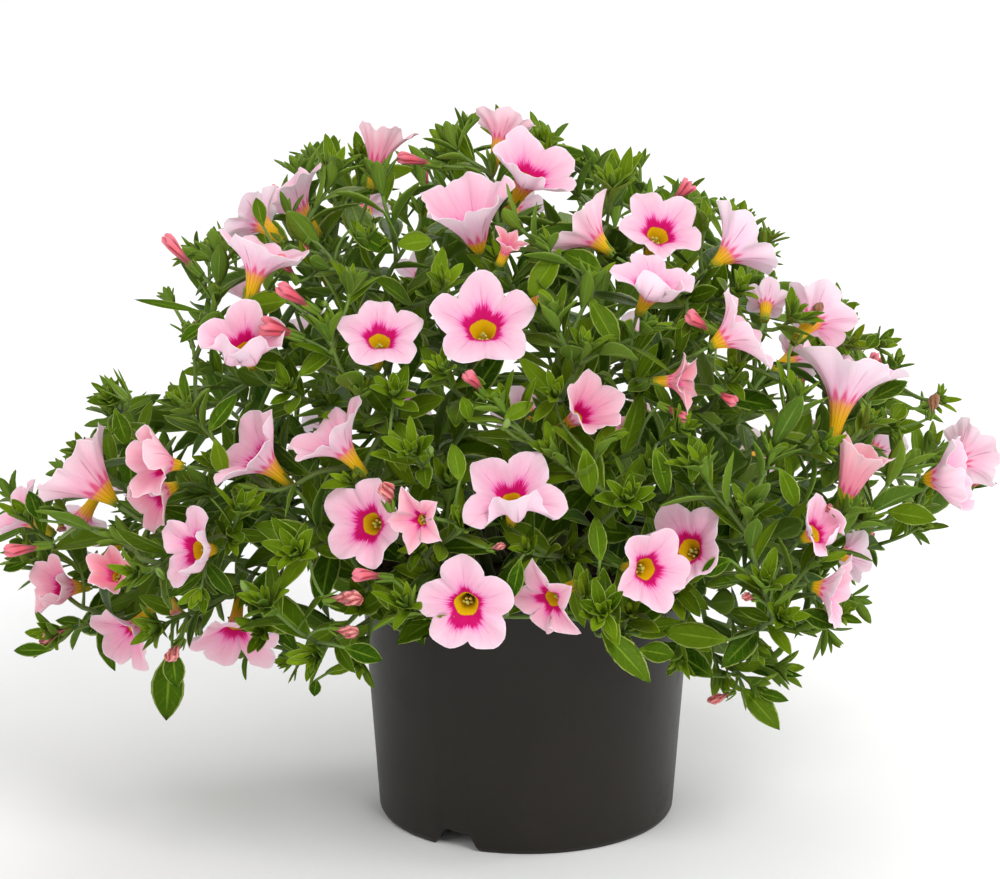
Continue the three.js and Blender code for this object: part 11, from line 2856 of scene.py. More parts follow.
s 6 703 -703 2090 21 -41 89 59 -67 -45 74 21 10 89
s 6 698 -698 2076 37 -89 26 17 34 92 96 27 3 78
s 6 692 -680 2069 60 -18 78 -50 -84 19 116 36 -13 67
s 6 674 -665 2059 -14 -68 72 99 -13 7 139 51 40 56
s 6 661 -639 2042 51 -71 -48 24 -42 88 157 57 34 44
s 6 640 -601 2041 9 -58 81 -41 -76 -50 181 57 11 33
s 6 608 -560 2021 -53 -79 -31 41 -56 72 221 81 28 22
s 6 61 -195 2445 -57 -2 82 55 -75 37 60 17 -3 100
s 6 67 -199 2436 -39 -46 80 4 85 52 89 25 -1 89
s 6 76 -190 2426 -2 11 99 -74 -67 6 111 31 9 78
s 6 77 -188 2406 -89 -17 42 44 -8 89 119 40 3 67
s 6 96 -185 2389 11 -57 81 -78 46 43 139 47 19 56
s 6 112 -172 2364 -49 50 71 -14 -85 51 180 64 8 44
s 6 138 -170 2330 -97 -20 14 12 11 99 199 70 14 33
s 6 181 -164 2298 17 -48 86 -83 40 40 197 75 7 22
s 4 86 643 2316 -58 77 26 61 19 77 69 19 12 100
s 4 93 633 2316 -52 44 74 -30 72 -63 86 24 -1 89
s 4 98 626 2303 -13 97 18 -31 -21 92 110 31 -9 78
s 4 99 606 2297 -71 44 55 67 67 32 137 47 11 67
s 4 116 589 2286 7 99 12 -92 2 40 135 46 38 56
s 4 127 560 2271 -53 74 -40 -16 38 91 164 55 14 44
s 4 150 523 2270 -94 30 16 22 90 -38 173 60 8 33
s 4 184 483 2250 -21 88 -43 -44 30 84 202 74 13 22
s 6 818 -326 2167 7 57 82 50 -73 46 63 18 -1 78
s 6 812 -333 2155 2 -38 92 13 92 38 83 30 7 67
s 6 806 -329 2136 74 66 -11 8 8 99 110 35 40 56
s 6 787 -334 2120 -40 -2 92 90 15 40 106 34 37 44
s 6 777 -340 2089 92 34 21 -28 18 94 120 37 43 33
s 6 748 -344 2057 -16 93 33 49 -22 84 160 64 16 22
s 6 717 -367 2018 18 -20 96 49 87 9 158 63 43 11
s 6 682 -376 1958 87 46 -18 20 2 98 179 71 39 0
s 0 1097 -550 1863 23 -94 25 90 30 31 46 13 11 100
s 0 1100 -541 1859 50 -84 21 -54 -11 84 65 18 -10 89
s 0 1092 -531 1862 31 -69 65 30 -58 -76 77 21 -13 78
s 0 1084 -521 1851 -3 -100 -10 56 -10 82 102 31 -9 67
s 0 1084 -498 1851 90 -43 9 -41 -75 51 119 37 17 56
s 0 1065 -438 1850 43 -43 -79 11 -85 52 163 50 14 33
s 0 1057 -395 1867 55 -53 65 -32 -85 -42 137 58 15 22
s 0 1038 -337 1866 -76 -48 -43 25 -83 49 176 67 17 11
s 8 -79 904 2174 15 52 84 42 74 -53 58 16 -13 100
s 8 -76 900 2163 47 58 66 -84 7 54 89 25 -2 89
s 8 -86 893 2154 -27 67 69 89 -10 45 100 28 -5 78
s 8 -85 877 2141 36 19 91 -45 90 -1 123 45 11 67
s 8 -106 843 2096 -37 47 80 92 10 37 164 52 6 44
s 8 -113 815 2063 88 9 46 -44 48 76 229 76 12 33
s 8 -140 787 2022 -35 66 -66 0 70 71 167 66 27 22
s 8 -170 737 1979 -34 -21 92 60 71 38 217 89 23 11
s 8 -189 689 1917 87 49 -3 -14 31 94 272 103 43 0
s 8 -592 239 2331 -6 -7 100 56 82 9 68 19 -7 100
s 8 -588 239 2319 51 36 78 -82 -9 57 81 23 -14 89
s 8 -598 236 2307 -44 44 79 73 -33 59 114 32 -15 78
s 8 -597 224 2290 48 -12 87 -47 80 38 116 40 -1 67
s 8 -605 221 2264 55 63 56 -35 -43 83 139 42 28 56
s 8 -623 206 2239 -61 74 28 75 43 50 175 63 30 44
s 8 -635 188 2201 87 -25 42 -26 49 84 219 67 29 33
s 8 -665 176 2155 22 97 7 25 -13 96 208 78 14 22
s 8 -697 143 2099 -26 -58 78 45 64 62 240 95 37 11
s 3 1270 -720 1467 72 29 63 -34 -65 68 78 22 -10 100
s 3 1258 -724 1464 27 39 88 93 -33 -14 90 25 -13 89
s 3 1252 -732 1450 42 -19 88 -38 85 36 112 31 4 78
s 3 1235 -732 1435 49 76 42 23 -58 78 134 44 -6 67
s 3 1218 -752 1422 34 5 94 39 90 -18 190 62 35 56
s 3 1200 -770 1394 69 70 -18 7 18 98 193 68 41 44
s 3 1169 -803 1376 -22 63 74 96 -2 30 247 75 29 33
s 3 1143 -848 1343 73 -26 63 -12 86 50 262 98 41 22
s 4 648 932 1989 14 83 54 -95 27 -18 79 22 0 100
s 4 645 922 1979 -22 95 23 22 -19 96 112 31 11 89
s 4 648 904 1978 -28 39 88 22 92 -34 128 36 -11 78
s 4 656 888 1964 39 91 12 -67 19 72 144 52 10 67
s 4 655 859 1953 -80 49 -34 12 68 72 183 58 41 56
s 4 668 823 1950 -10 26 96 -22 94 -27 160 54 37 44
s 4 685 779 1934 14 79 -59 -29 61 74 215 74 24 33
s 4 698 717 1927 -82 18 55 44 80 40 299 112 14 22
s 1 -548 -617 2243 7 -36 93 -95 26 17 58 16 8 100
s 1 -550 -610 2233 -35 -2 94 38 -92 12 92 26 2 89
s 1 -545 -614 2218 -27 -68 68 -1 71 71 128 36 0 78
s 1 -535 -604 2202 78 -28 55 -62 -41 67 101 34 -15 67
s 1 -516 -595 2146 24 -72 65 -58 44 69 185 63 7 44
s 1 -502 -576 2107 -51 25 83 7 -94 33 146 46 10 33
s 1 -483 -570 2052 -73 -64 26 17 20 96 203 72 11 22
s 1 -450 -545 1991 66 3 75 -72 -29 64 273 104 27 11
s 8 -417 818 2184 -56 66 49 23 -45 86 85 24 -4 100
s 8 -412 808 2177 -67 8 74 47 81 34 108 30 -1 89
s 8 -399 805 2164 9 85 51 -88 -18 45 127 36 -5 78
s 8 -396 795 2144 -54 -29 79 82 6 57 161 50 2 67
s 8 -377 778 2126 -18 6 98 -48 86 -14 136 45 10 56
s 8 -359 770 2092 -21 97 8 -21 -13 97 188 70 33 44
s 8 -287 731 2014 34 53 78 -86 -16 48 245 101 26 22
s 8 -248 702 1949 -73 67 -16 -16 7 98 295 126 17 11
s 7 1121 834 1632 2 -24 97 47 86 20 69 19 0 100
s 7 1124 837 1619 19 7 98 -98 -8 19 84 24 -7 89
s 7 1116 840 1604 -16 45 88 50 -73 46 133 37 -6 78
s 7 1113 833 1581 -18 -60 78 35 70 62 147 51 4 67
s 7 1114 850 1516 -22 54 81 14 -80 58 188 70 7 44
s 7 1137 877 1409 69 -10 72 -72 -15 68 242 98 37 22
s 7 1145 898 1332 -53 66 53 17 -53 83 308 122 33 11
s 8 -287 -208 2440 -26 -44 86 77 44 47 76 21 8 100
s 8 -278 -203 2432 7 -52 85 -90 34 28 94 26 1 89
s 8 -280 -192 2420 -42 -3 91 50 -84 20 131 37 -2 78
s 8 -275 -190 2399 -35 -87 36 6 36 93 125 41 -1 67
s 8 -264 -172 2380 20 0 98 -75 -64 15 164 53 21 56
s 8 -260 -159 2347 -51 -58 64 76 4 65 172 59 14 44
s 8 -237 -142 2311 22 -87 44 -50 29 82 195 67 30 33
s 8 -216 -109 2268 -4 35 94 -37 -88 31 255 105 28 22
s 8 -192 -84 2202 -76 -64 -7 -1 -10 100 250 97 17 11
s 0 1188 -427 1827 65 -71 -27 57 22 79 87 24 -11 78
s 0 1154 -417 1833 62 -62 49 76 62 -19 122 39 38 56
s 0 1128 -406 1834 37 7 -92 89 -30 34 126 45 44 44
s 8 -95 7 2484 -58 -29 76 10 -95 -29 54 15 -12 100
s 8 -90 6 2473 -67 -64 37 21 31 93 78 22 -1 89
s 8 -79 15 2469 -25 -48 84 -96 4 -26 113 32 7 78
s 8 -74 27 2455 -85 -21 48 50 -61 61 116 37 -5 67
s 8 -54 35 2441 -31 -95 6 -45 20 87 141 44 6 56
s 8 -35 61 2436 -48 -18 86 -27 -90 -34 174 55 16 44
s 8 -9 88 2417 -65 -57 -51 -30 -41 86 174 59 32 33
s 1 -658 -942 1990 -8 12 99 -85 -53 0 78 22 -5 89
s 1 -662 -943 1978 -43 9 90 84 -30 44 106 30 -5 79
s 1 -652 -948 1965 5 -100 -1 -89 -5 46 118 33 -7 70
s 1 -648 -942 1944 -14 67 73 -22 -74 63 158 53 3 60
s 1 -644 -950 1917 -89 8 46 46 6 89 158 51 21 51
s 1 -603 -955 1847 -73 66 16 -4 -27 96 194 59 6 31
s 1 -567 -971 1802 -21 -73 65 -23 68 69 241 94 30 23
s 2 -1557 -100 896 -90 1 44 17 -91 37 74 21 -4 70
s 2 -1547 -104 890 -89 -38 25 5 47 88 91 26 2 62
s 2 -1532 -100 888 -64 -24 73 -75 41 -52 111 31 -13 55
s 2 -1519 -93 872 -95 -15 28 31 -35 88 128 44 -2 47
s 2 -1495 -87 861 -32 -87 38 -58 50 65 183 56 37 39
s 2 -1474 -61 849 -65 -29 70 38 -93 -3 172 60 39 31
s 2 -1447 -33 825 -47 -75 -46 -27 -37 89 205 63 33 23
s 2 -1413 14 817 1 -39 92 -81 -54 -22 264 95 24 15
s 2 -1371 70 792 -92 35 -17 -37 -63 69 240 96 42 8
s 7 1493 457 1180 99 -1 14 -3 96 27 68 19 9 100
s 7 1481 462 1176 94 35 3 22 -64 73 102 28 10 89
s 7 1465 456 1179 81 -6 59 52 56 -65 135 38 -5 78
s 7 1445 453 1168 97 -2 -24 24 21 95 163 54 8 67
s 7 1416 455 1170 69 66 29 61 -75 24 182 55 23 56
s 7 1380 444 1169 71 -65 27 56 75 35 206 67 37 44
s 7 1332 448 1167 39 46 -80 90 1 45 246 79 14 33
s 7 1195 438 1193 20 -74 -65 95 0 31 294 111 23 11
s 7 1116 442 1208 -6 98 20 91 -3 42 301 115 9 0
s 4 879 936 1834 8 81 58 88 22 -43 66 18 6 100
s 4 884 927 1828 38 62 68 -78 61 -12 94 26 1 89
s 4 879 920 1816 4 99 15 14 -16 98 116 32 7 78
s 4 876 900 1812 -16 41 90 45 84 -31 128 44 1 67
s 4 880 879 1797 54 73 41 -74 19 64 130 45 21 56
s 4 873 849 1785 -72 67 -19 31 55 77 185 68 29 44
s 4 882 806 1780 11 78 62 -91 33 -26 175 60 41 33
s 4 881 754 1760 20 79 -58 -2 59 80 221 93 14 22
s 8 -1018 11 2124 -96 14 26 4 -81 59 70 20 1 100
s 8 -1007 8 2118 -77 -52 37 -18 73 66 87 24 -3 89
s 8 -994 18 2114 -99 -4 -12 7 -96 -28 106 30 5 78
s 8 -979 22 2098 -99 -15 0 4 -24 97 148 48 6 67
s 8 -951 28 2094 -23 -71 66 -90 42 14 191 63 7 56
s 8 -922 47 2085 -82 44 38 -31 -88 35 196 66 35 44
s 8 -878 59 2076 -26 -82 -51 -74 -17 65 242 88 43 33
s 8 -824 86 2080 -28 -19 94 -89 -31 -33 265 103 43 22
s 8 -758 117 2058 -82 33 -46 -56 -33 76 262 112 34 11
s 6 877 -754 2004 39 -67 63 82 56 8 64 18 -5 100
s 6 875 -746 1993 90 -16 41 -44 -43 79 99 28 -6 89
s 6 845 -736 1970 64 -76 8 34 37 87 170 56 9 67
s 6 740 -693 1974 27 6 -96 92 -30 24 230 71 34 33
s 6 606 -522 2276 24 -51 83 -4 85 53 68 19 6 100
s 6 604 -512 2269 24 11 96 -5 -99 13 80 22 -11 89
s 6 598 -515 2255 10 -69 71 66 58 48 87 24 -5 78
s 6 591 -498 2214 -16 43 89 36 -81 45 142 46 38 56
s 6 600 -483 2086 29 76 59 -32 -50 80 203 87 43 22
s 6 608 -482 2016 -31 -90 30 9 28 95 271 111 7 11
s 8 -575 -77 2391 41 -34 84 -85 -48 22 67 19 0 100
s 8 -583 -72 2382 -35 -35 87 91 -34 23 87 24 -13 89
s 8 -580 -68 2365 19 -78 59 -17 57 81 127 36 11 78
s 8 -582 -51 2350 26 -17 95 -45 -89 -4 149 49 -11 67
s 8 -592 -39 2325 -8 -59 80 76 49 44 126 40 19 56
s 8 -592 -11 2298 85 -28 45 -53 -47 71 227 73 29 44
s 8 -612 24 2271 -55 -2 83 68 -60 43 193 67 6 33
s 8 -628 66 2228 26 -92 -30 18 -25 95 293 123 29 22
s 8 -654 126 2183 60 37 71 -13 -83 54 257 95 33 11
s 7 1340 689 1444 37 78 51 72 -59 38 60 17 -3 100
s 7 1335 678 1442 76 20 62 16 87 -47 76 21 9 89
s 7 1329 673 1427 76 65 1 -6 5 100 100 28 -9 78
s 7 1313 663 1420 44 65 62 76 -64 12 135 43 10 67
s 7 1304 643 1404 50 -15 86 -15 96 25 153 49 21 56
s 7 1282 629 1380 36 93 9 24 -18 95 203 66 44 44
s 7 1258 597 1361 -14 4 99 74 67 7 225 83 24 33
s 7 1235 561 1322 81 -27 52 -36 46 81 175 70 40 22
s 7 1191 519 1283 -15 96 22 58 -10 81 224 90 42 11
s 7 1147 464 1244 44 -49 76 25 87 42 285 120 39 0
s 1 -594 -841 2120 31 23 92 -86 48 17 64 18 -6 100
s 1 -601 -840 2109 3 51 86 53 -73 42 104 29 -1 89
s 1 -604 -851 2097 8 1 100 40 91 -4 109 30 -4 78
s 1 -605 -853 2076 59 67 46 -38 -27 88 151 47 -3 67
s 1 -620 -868 2056 -36 55 75 89 -4 46 178 64 21 56
s 1 -643 -914 1993 -24 97 -6 27 12 95 193 62 19 30
s 6 384 -280 2370 -78 14 61 60 -12 79 103 38 7 44
s 6 390 -286 2341 -10 -75 65 3 66 76 119 44 38 33
s 6 397 -284 2304 61 73 29 -51 8 86 111 40 11 22
s 6 393 -285 2254 15 93 33 -4 -33 94 149 63 33 11
s 6 69 -794 2258 1 -25 97 -50 84 22 59 16 -12 100
s 6 69 -795 2233 -48 -51 71 27 68 68 108 30 2 78
s 6 82 -786 2224 -44 -29 85 -72 -44 -53 114 36 -11 67
s 6 101 -775 2212 -92 39 8 -17 -57 80 137 45 44 56
s 6 129 -787 2205 -85 -37 37 -6 77 63 189 59 26 44
s 6 178 -832 2138 -80 50 34 31 -13 94 168 69 34 22
s 8 -817 867 1984 -1 80 60 -87 -31 39 73 20 -1 100
s 8 -823 857 1977 -38 72 58 87 6 49 98 28 -8 89
s 8 -816 844 1971 -24 74 63 -40 52 -76 91 26 -8 78
s 8 -812 832 1952 11 89 44 -40 -37 84 115 40 -10 67
s 8 -814 807 1939 -73 40 55 67 54 50 170 60 12 56
s 8 -803 777 1921 70 16 70 -56 72 41 179 62 32 44
s 8 -804 738 1895 -60 66 -45 6 60 80 186 63 29 33
s 8 -793 680 1880 -24 13 96 13 99 -10 236 94 8 22
s 8 -774 614 1847 69 72 10 -53 40 74 303 124 43 11
s 1 -364 -547 2301 43 56 71 -37 -61 71 79 25 -12 67
s 1 -400 -564 2228 75 66 2 14 -19 97 165 60 19 33
s 1 -433 -572 2195 -35 1 94 94 4 34 171 62 7 22
s 1 -457 -578 2141 76 -60 26 -5 34 94 181 70 22 11
s 2 -1574 75 1288 -90 -11 41 40 11 91 69 19 9 70
s 2 -1561 76 1287 -44 -17 88 -88 24 -40 74 21 1 62
s 2 -1553 81 1274 -74 53 40 -7 -67 74 90 25 -10 55
s 2 -1538 75 1260 -73 -53 43 -4 66 76 128 42 2 47
s 2 -1516 84 1247 -40 49 78 -74 -67 4 146 46 38 39
s 2 -1495 85 1218 -100 -3 -7 -6 -7 100 188 62 43 31
s 2 -1458 85 1191 -20 -86 47 -48 51 72 189 62 10 23
s 2 -1416 99 1154 -16 70 69 -54 -65 54 242 98 20 15
s 5 -1214 873 1526 -86 46 23 44 41 80 61 17 5 70
s 5 -1202 868 1529 -74 42 52 -24 57 -79 97 27 10 62
s 5 -1191 864 1518 -62 79 0 -41 -32 86 113 32 2 55
s 5 -1178 849 1512 -45 83 34 61 0 79 136 50 2 47
s 5 -1152 841 1508 -28 76 58 -92 -40 8 144 48 45 39
s 5 -1124 823 1495 -61 15 -78 -71 35 62 182 59 25 31
s 5 -1083 803 1497 -69 -40 60 -45 89 8 232 83 16 23
s 5 -1026 793 1492 -29 95 -12 -81 -18 56 241 99 7 15
s 5 -957 767 1491 -62 -35 -70 -79 25 56 239 101 22 8
s 5 -878 750 1496 -28 8 96 -93 24 -28 285 122 17 0
s 6 -38 -741 2318 -69 -10 72 69 -39 61 62 17 -2 100
s 6 -26 -748 2316 -58 -25 77 -53 84 -13 103 29 -9 89
s 6 -12 -744 2304 -41 84 35 -57 -54 62 104 29 -10 78
s 6 26 -763 2275 -11 -10 99 -90 44 -6 153 53 26 56
s 6 47 -771 2243 -84 55 0 -8 -11 99 212 76 43 44
s 0 1602 184 1146 71 -40 58 -48 34 81 76 21 12 100
s 0 1589 189 1145 74 2 67 26 -93 -26 110 31 -8 89
s 0 1577 184 1134 54 -66 52 48 75 46 123 34 5 78
s 0 1563 192 1118 85 27 45 -30 -47 83 141 48 -13 67
s 0 1536 192 1108 18 15 97 94 -32 -13 180 61 14 56
s 0 1469 198 1056 52 79 33 37 -56 74 258 78 25 33
s 0 1416 186 1027 40 -51 76 53 81 26 287 120 22 22
s 6 -134 -399 2473 -18 -8 98 33 93 13 53 15 -5 100
s 6 -128 -394 2466 33 20 92 -79 -48 38 52 14 4 89
s 6 -133 -394 2454 -64 14 75 72 -21 66 77 22 -2 78
s 6 -123 -391 2419 -3 56 83 -15 -82 55 109 35 43 56
s 6 -124 -398 2391 -71 -34 61 51 34 79 139 46 12 44
s 6 -112 -397 2310 -44 58 68 37 -57 73 149 60 11 22
s 6 -106 -409 2252 -71 -65 28 11 29 95 177 72 32 11
s 6 -92 -402 2177 15 88 45 -17 -43 89 193 78 39 0
s 5 -912 1064 1743 -20 83 51 -27 -55 79 79 22 -6 100
s 5 -912 1051 1739 -44 51 74 76 66 0 106 30 1 89
s 5 -901 1042 1727 -43 90 1 -88 -42 22 144 40 -1 78
s 5 -902 1027 1708 -55 82 17 27 -2 96 143 51 8 67
s 5 -893 1002 1694 -40 2 92 21 97 7 184 62 8 56
s 5 -879 978 1666 -8 94 -32 -42 26 87 154 52 9 44
s 5 -873 937 1638 -88 44 16 34 39 85 246 79 13 33
s 5 -849 885 1607 46 12 88 -68 68 26 301 112 15 22
s 5 -830 826 1556 -21 88 -43 -18 40 90 286 103 29 9
s 5 -807 761 1514 -68 -45 58 5 76 65 334 122 34 0
s 11 -1312 -940 1166 -70 -72 0 -71 69 -15 70 20 5 70
s 11 -1308 -928 1168 -89 -44 13 40 -88 -24 86 24 9 62
s 11 -1294 -922 1162 -58 -68 -46 -51 -13 85 112 31 -10 55
s 11 -1279 -910 1172 -49 -75 44 -77 14 -63 141 49 1 47
s 11 -1262 -890 1173 -86 -1 -50 -24 -87 44 141 48 45 39
s 11 -1230 -878 1185 4 -78 -62 -91 -28 30 198 69 28 31
s 11 -1204 -853 1211 -87 -23 44 -9 -79 -60 230 79 12 23
s 11 -1160 -819 1226 -44 17 -88 -73 -64 24 225 85 12 15
s 8 -808 164 2313 -24 -35 91 -77 64 4 62 17 -15 100
s 8 -808 168 2300 0 59 80 7 -80 59 73 20 4 89
s 8 -806 159 2286 -58 -22 79 45 72 53 97 27 0 78
s 8 -793 159 2267 38 25 89 -90 -11 41 163 54 2 67
s 8 -792 155 2238 -82 57 11 19 10 98 145 52 22 56
s 8 -774 145 2207 15 -68 72 -41 62 67 194 71 26 44
s 8 -758 148 2162 -11 99 -5 -31 1 95 193 67 39 33
s 8 -740 134 2106 -78 -41 48 31 42 86 248 100 38 22
s 0 1422 -365 1620 51 -84 19 86 50 -12 38 11 -13 100
s 0 1397 -343 1610 31 -93 -19 67 8 74 110 34 -3 67
s 0 1268 -208 1634 -40 -91 -8 77 -38 51 204 72 31 11
s 1 -764 -658 2171 -89 33 33 14 -48 87 91 25 8 89
s 1 -732 -644 2164 -40 43 81 -70 -72 3 106 38 -6 67
s 1 -673 -629 2151 -40 -82 41 -88 47 9 183 55 13 44
s 1 -631 -610 2143 -72 68 -13 -57 -47 68 194 61 38 33
s 1 -573 -606 2135 -52 -80 -30 -62 11 78 244 103 10 22
s 8 -227 762 2332 54 44 72 -52 -50 70 75 21 -4 100
s 8 -236 757 2325 27 -1 96 96 13 -26 87 24 2 89
s 8 -235 751 2310 56 -2 82 -66 58 47 110 31 9 78
s 8 -245 753 2290 12 77 62 -3 -62 78 120 38 -2 67
s 8 -258 742 2267 -42 -53 74 46 57 68 169 52 19 56
s 8 -267 742 2232 86 -17 47 -44 18 88 208 63 32 44
s 8 -291 750 2193 8 73 68 30 -66 68 213 75 36 33
s 8 -315 744 2138 -2 -98 17 35 15 92 236 96 44 22
s 6 282 -574 2408 8 -63 78 13 78 62 70 20 9 100
s 6 284 -562 2401 32 -30 90 -77 -64 6 106 30 -2 89
s 6 276 -556 2386 -40 -45 80 91 -8 40 136 38 6 78
s 6 281 -547 2365 32 -66 68 -53 47 70 141 52 -14 67
s 6 275 -526 2344 9 0 100 -3 -100 0 208 69 36 56
s 6 256 -442 2221 -95 -28 11 27 -62 74 270 96 18 22
s 6 251 -401 2152 53 -84 -12 -2 -16 99 262 92 13 11
s 8 -1187 393 1963 -85 -23 48 -24 97 2 69 19 -10 100
s 8 -1177 401 1960 -72 7 69 -49 -76 -43 102 29 -6 89
s 8 -1167 401 1947 -100 0 -3 -3 -20 98 124 35 10 78
s 8 -1146 401 1943 -75 -53 39 -64 75 -20 137 50 2 67
s 8 -1125 411 1928 -92 20 35 12 -69 71 168 62 44 56
s 8 -1093 413 1911 -64 -66 -38 -53 3 85 182 64 24 44
s 8 -1051 430 1902 -15 -14 98 -64 -74 -21 195 58 37 33
s 8 -1001 450 1879 -83 27 -48 -55 -35 76 252 96 6 22
s 8 -930 470 1867 -14 -92 37 -79 32 51 233 89 31 11
s 8 -859 503 1847 -38 68 63 -61 -69 38 313 125 8 0
s 8 -786 512 1814 -56 -32 -76 -77 -12 63 284 105 11 0
s 1 -1079 -172 2126 -66 -66 37 36 15 92 62 18 -6 100
s 1 -1068 -173 2128 -77 -21 61 -50 79 -36 71 20 5 89
s 1 -1058 -167 2118 -96 7 27 14 -72 68 76 21 -5 78
s 1 -1041 -173 2110 -78 -52 34 -20 73 65 118 42 -6 67
s 1 -1018 -168 2104 -66 2 75 -73 -27 -63 134 42 38 56
s 1 -990 -167 2086 -88 6 -48 -48 -4 88 145 46 20 44
s 1 -949 -171 2082 -52 -74 42 -63 67 40 165 53 10 33
s 1 -896 -165 2074 -42 79 44 -74 -58 34 226 85 28 22
s 1 -830 -176 2063 -64 -35 -68 -75 13 64 240 100 36 11
s 1 -750 -182 2060 36 -1 93 -93 -10 35 242 103 30 0
s 11 -1530 -298 1396 -77 -57 30 8 38 92 114 32 9 55
s 11 -1513 -289 1386 24 14 96 -84 -46 27 129 48 -13 47
s 11 -1501 -282 1362 -89 37 27 7 -48 88 163 56 44 39
s 11 -1475 -282 1337 -28 -73 62 -39 68 62 215 75 30 31
s 11 -1445 -266 1305 -24 54 81 -42 -81 41 205 75 7 23
s 11 -1410 -265 1257 -97 -26 -2 -4 7 100 256 105 11 15
s 11 -1354 -265 1208 2 -57 82 -68 59 43 267 100 28 8
s 2 -1504 506 1384 -69 48 55 71 58 39 78 22 11 70
s 2 -1493 500 1380 -8 49 87 -91 33 -27 96 27 -3 62
s 2 -1490 493 1365 -62 76 21 17 -14 98 111 31 -8 55
s 2 -1480 475 1356 -59 22 78 46 88 9 162 51 -13 47
s 2 -1462 463 1338 34 80 49 -79 -3 61 157 51 25 39
s 2 -1423 408 1290 -38 38 85 -63 56 -53 183 56 5 23
s 2 -1393 378 1248 20 98 9 -48 2 88 231 90 11 15
s 2 -1362 324 1203 -77 -43 47 2 72 70 248 97 23 8
s 1 -1142 -886 1717 -74 -15 66 67 -30 68 82 23 10 70
s 1 -1130 -888 1709 -48 -52 70 -33 85 41 92 26 1 62
s 1 -1121 -877 1698 -20 -46 86 -2 -88 -48 110 31 -8 55
s 1 -1110 -879 1677 -76 -56 31 10 37 92 156 48 -8 47
s 1 -1087 -872 1659 -1 -31 95 -97 25 7 180 63 29 39
s 1 -1070 -859 1626 -82 42 38 11 -53 84 207 70 38 31
s 1 -989 -875 1556 8 75 65 -100 5 6 265 95 38 15
s 1 -938 -920 1513 -40 79 -46 -43 28 86 272 102 13 8
s 11 -1443 -448 1596 -52 -26 81 -47 88 -2 78 22 -10 70
s 11 -1438 -439 1586 -58 17 80 5 -97 24 89 25 -7 62
s 11 -1432 -441 1570 -82 -10 56 55 13 82 98 27 1 55
s 11 -1412 -438 1558 -3 -30 95 -96 27 5 147 51 9 47
s 11 -1402 -428 1532 -91 27 -31 -40 -40 82 194 59 41 39
s 11 -1375 -427 1503 -30 -81 50 -32 58 75 190 69 9 31
s 11 -1345 -408 1470 18 37 91 -71 -59 38 172 60 17 23
s 11 -1314 -397 1417 -93 -36 -6 -5 -3 100 286 109 23 15
s 1 -506 -481 2414 -46 -20 87 44 80 41 63 18 -2 100
s 1 -498 -480 2404 7 25 97 -97 -21 12 105 30 9 89
s 1 -500 -480 2388 -41 56 72 38 -62 69 111 31 -4 78
s 1 -494 -492 2371 -13 -33 93 -13 94 32 150 54 2 67
s 1 -485 -493 2344 14 69 71 -51 -56 65 148 49 10 56
s 1 -482 -510 2312 -83 18 54 56 21 80 205 72 41 44
s 1 -463 -531 2275 38 -22 90 -63 65 42 226 78 33 33
s 1 -455 -548 2219 -13 94 32 -2 -33 94 231 85 27 22
s 8 -766 447 2289 78 0 62 -56 42 71 80 22 -11 78
s 8 -763 449 2269 -19 96 20 -2 -21 98 127 46 6 67
s 8 -751 439 2248 -50 -56 66 3 76 66 133 41 21 56
s 8 -731 440 2221 30 39 87 -85 -30 43 174 58 13 44
s 8 -715 434 2182 -89 -16 -43 -44 1 90 188 67 28 33
s 8 -677 427 2142 16 -58 80 -65 55 53 216 93 20 22
s 8 -640 430 2082 -19 91 38 -30 -42 86 234 90 43 11
s 11 -1381 -766 1228 -90 8 44 -1 98 -19 49 14 -12 70
s 11 -1371 -761 1225 -79 42 44 -37 -91 20 76 21 -11 62
s 11 -1364 -770 1216 -99 13 11 16 43 89 106 30 9 55
s 11 -1348 -777 1216 -49 27 83 -38 79 -48 126 41 -5 47
s 11 -1334 -790 1200 7 95 -31 -46 31 84 133 43 13 39
s 11 -1301 -848 1194 0 79 61 -99 -8 10 183 64 29 23
s 1 -792 -454 2264 -7 94 33 -18 -33 92 89 27 -9 67
s 1 -758 -482 2233 9 77 64 -87 -25 43 142 43 7 44
s 1 -742 -509 2208 -74 49 -46 -27 40 87 154 51 18 33
s 1 -710 -548 2195 -57 -14 81 -7 99 12 206 83 35 22
s 1 -662 -581 2166 12 99 11 -66 0 75 184 72 31 11
s 6 -252 -392 2515 -81 -21 54 41 46 79 78 22 3 100
s 6 -239 -392 2509 -30 -26 92 -84 52 -14 119 33 -2 89
s 6 -231 -385 2494 -75 27 60 22 -76 61 139 39 4 78
s 6 -213 -393 2479 -72 -66 20 -30 56 77 147 50 4 67
s 6 -184 -388 2468 -56 30 77 -64 -75 -17 159 52 36 56
s 6 -155 -391 2440 -87 50 1 -8 -15 98 186 63 26 44
s 8 -778 696 2231 -28 79 55 96 26 12 68 19 -8 100
s 8 -769 688 2228 54 61 58 -69 71 -11 80 22 11 89
s 8 -769 678 2214 -32 94 9 9 -7 99 128 36 -9 78
s 8 -767 658 2208 -95 32 6 32 89 32 138 48 -1 67
s 8 -753 637 2195 30 88 37 -80 3 59 170 62 43 56
s 8 -750 604 2181 -74 62 -28 12 52 84 128 47 33 44
s 8 -732 562 2179 -1 68 74 -55 61 -57 200 71 12 33
s 8 -709 511 2161 30 90 -32 -44 43 79 225 88 29 22
s 1 -1143 -691 1936 -17 51 85 -27 -85 46 38 11 -2 70
s 1 -1145 -700 1930 16 27 95 64 70 -30 42 12 -6 62
s 1 -1137 -700 1922 42 7 90 -88 29 38 62 18 0 55
s 1 -1139 -700 1907 -50 66 56 32 -46 83 79 28 -9 47
s 1 -1118 -802 1771 65 75 -9 -22 30 93 161 58 12 8
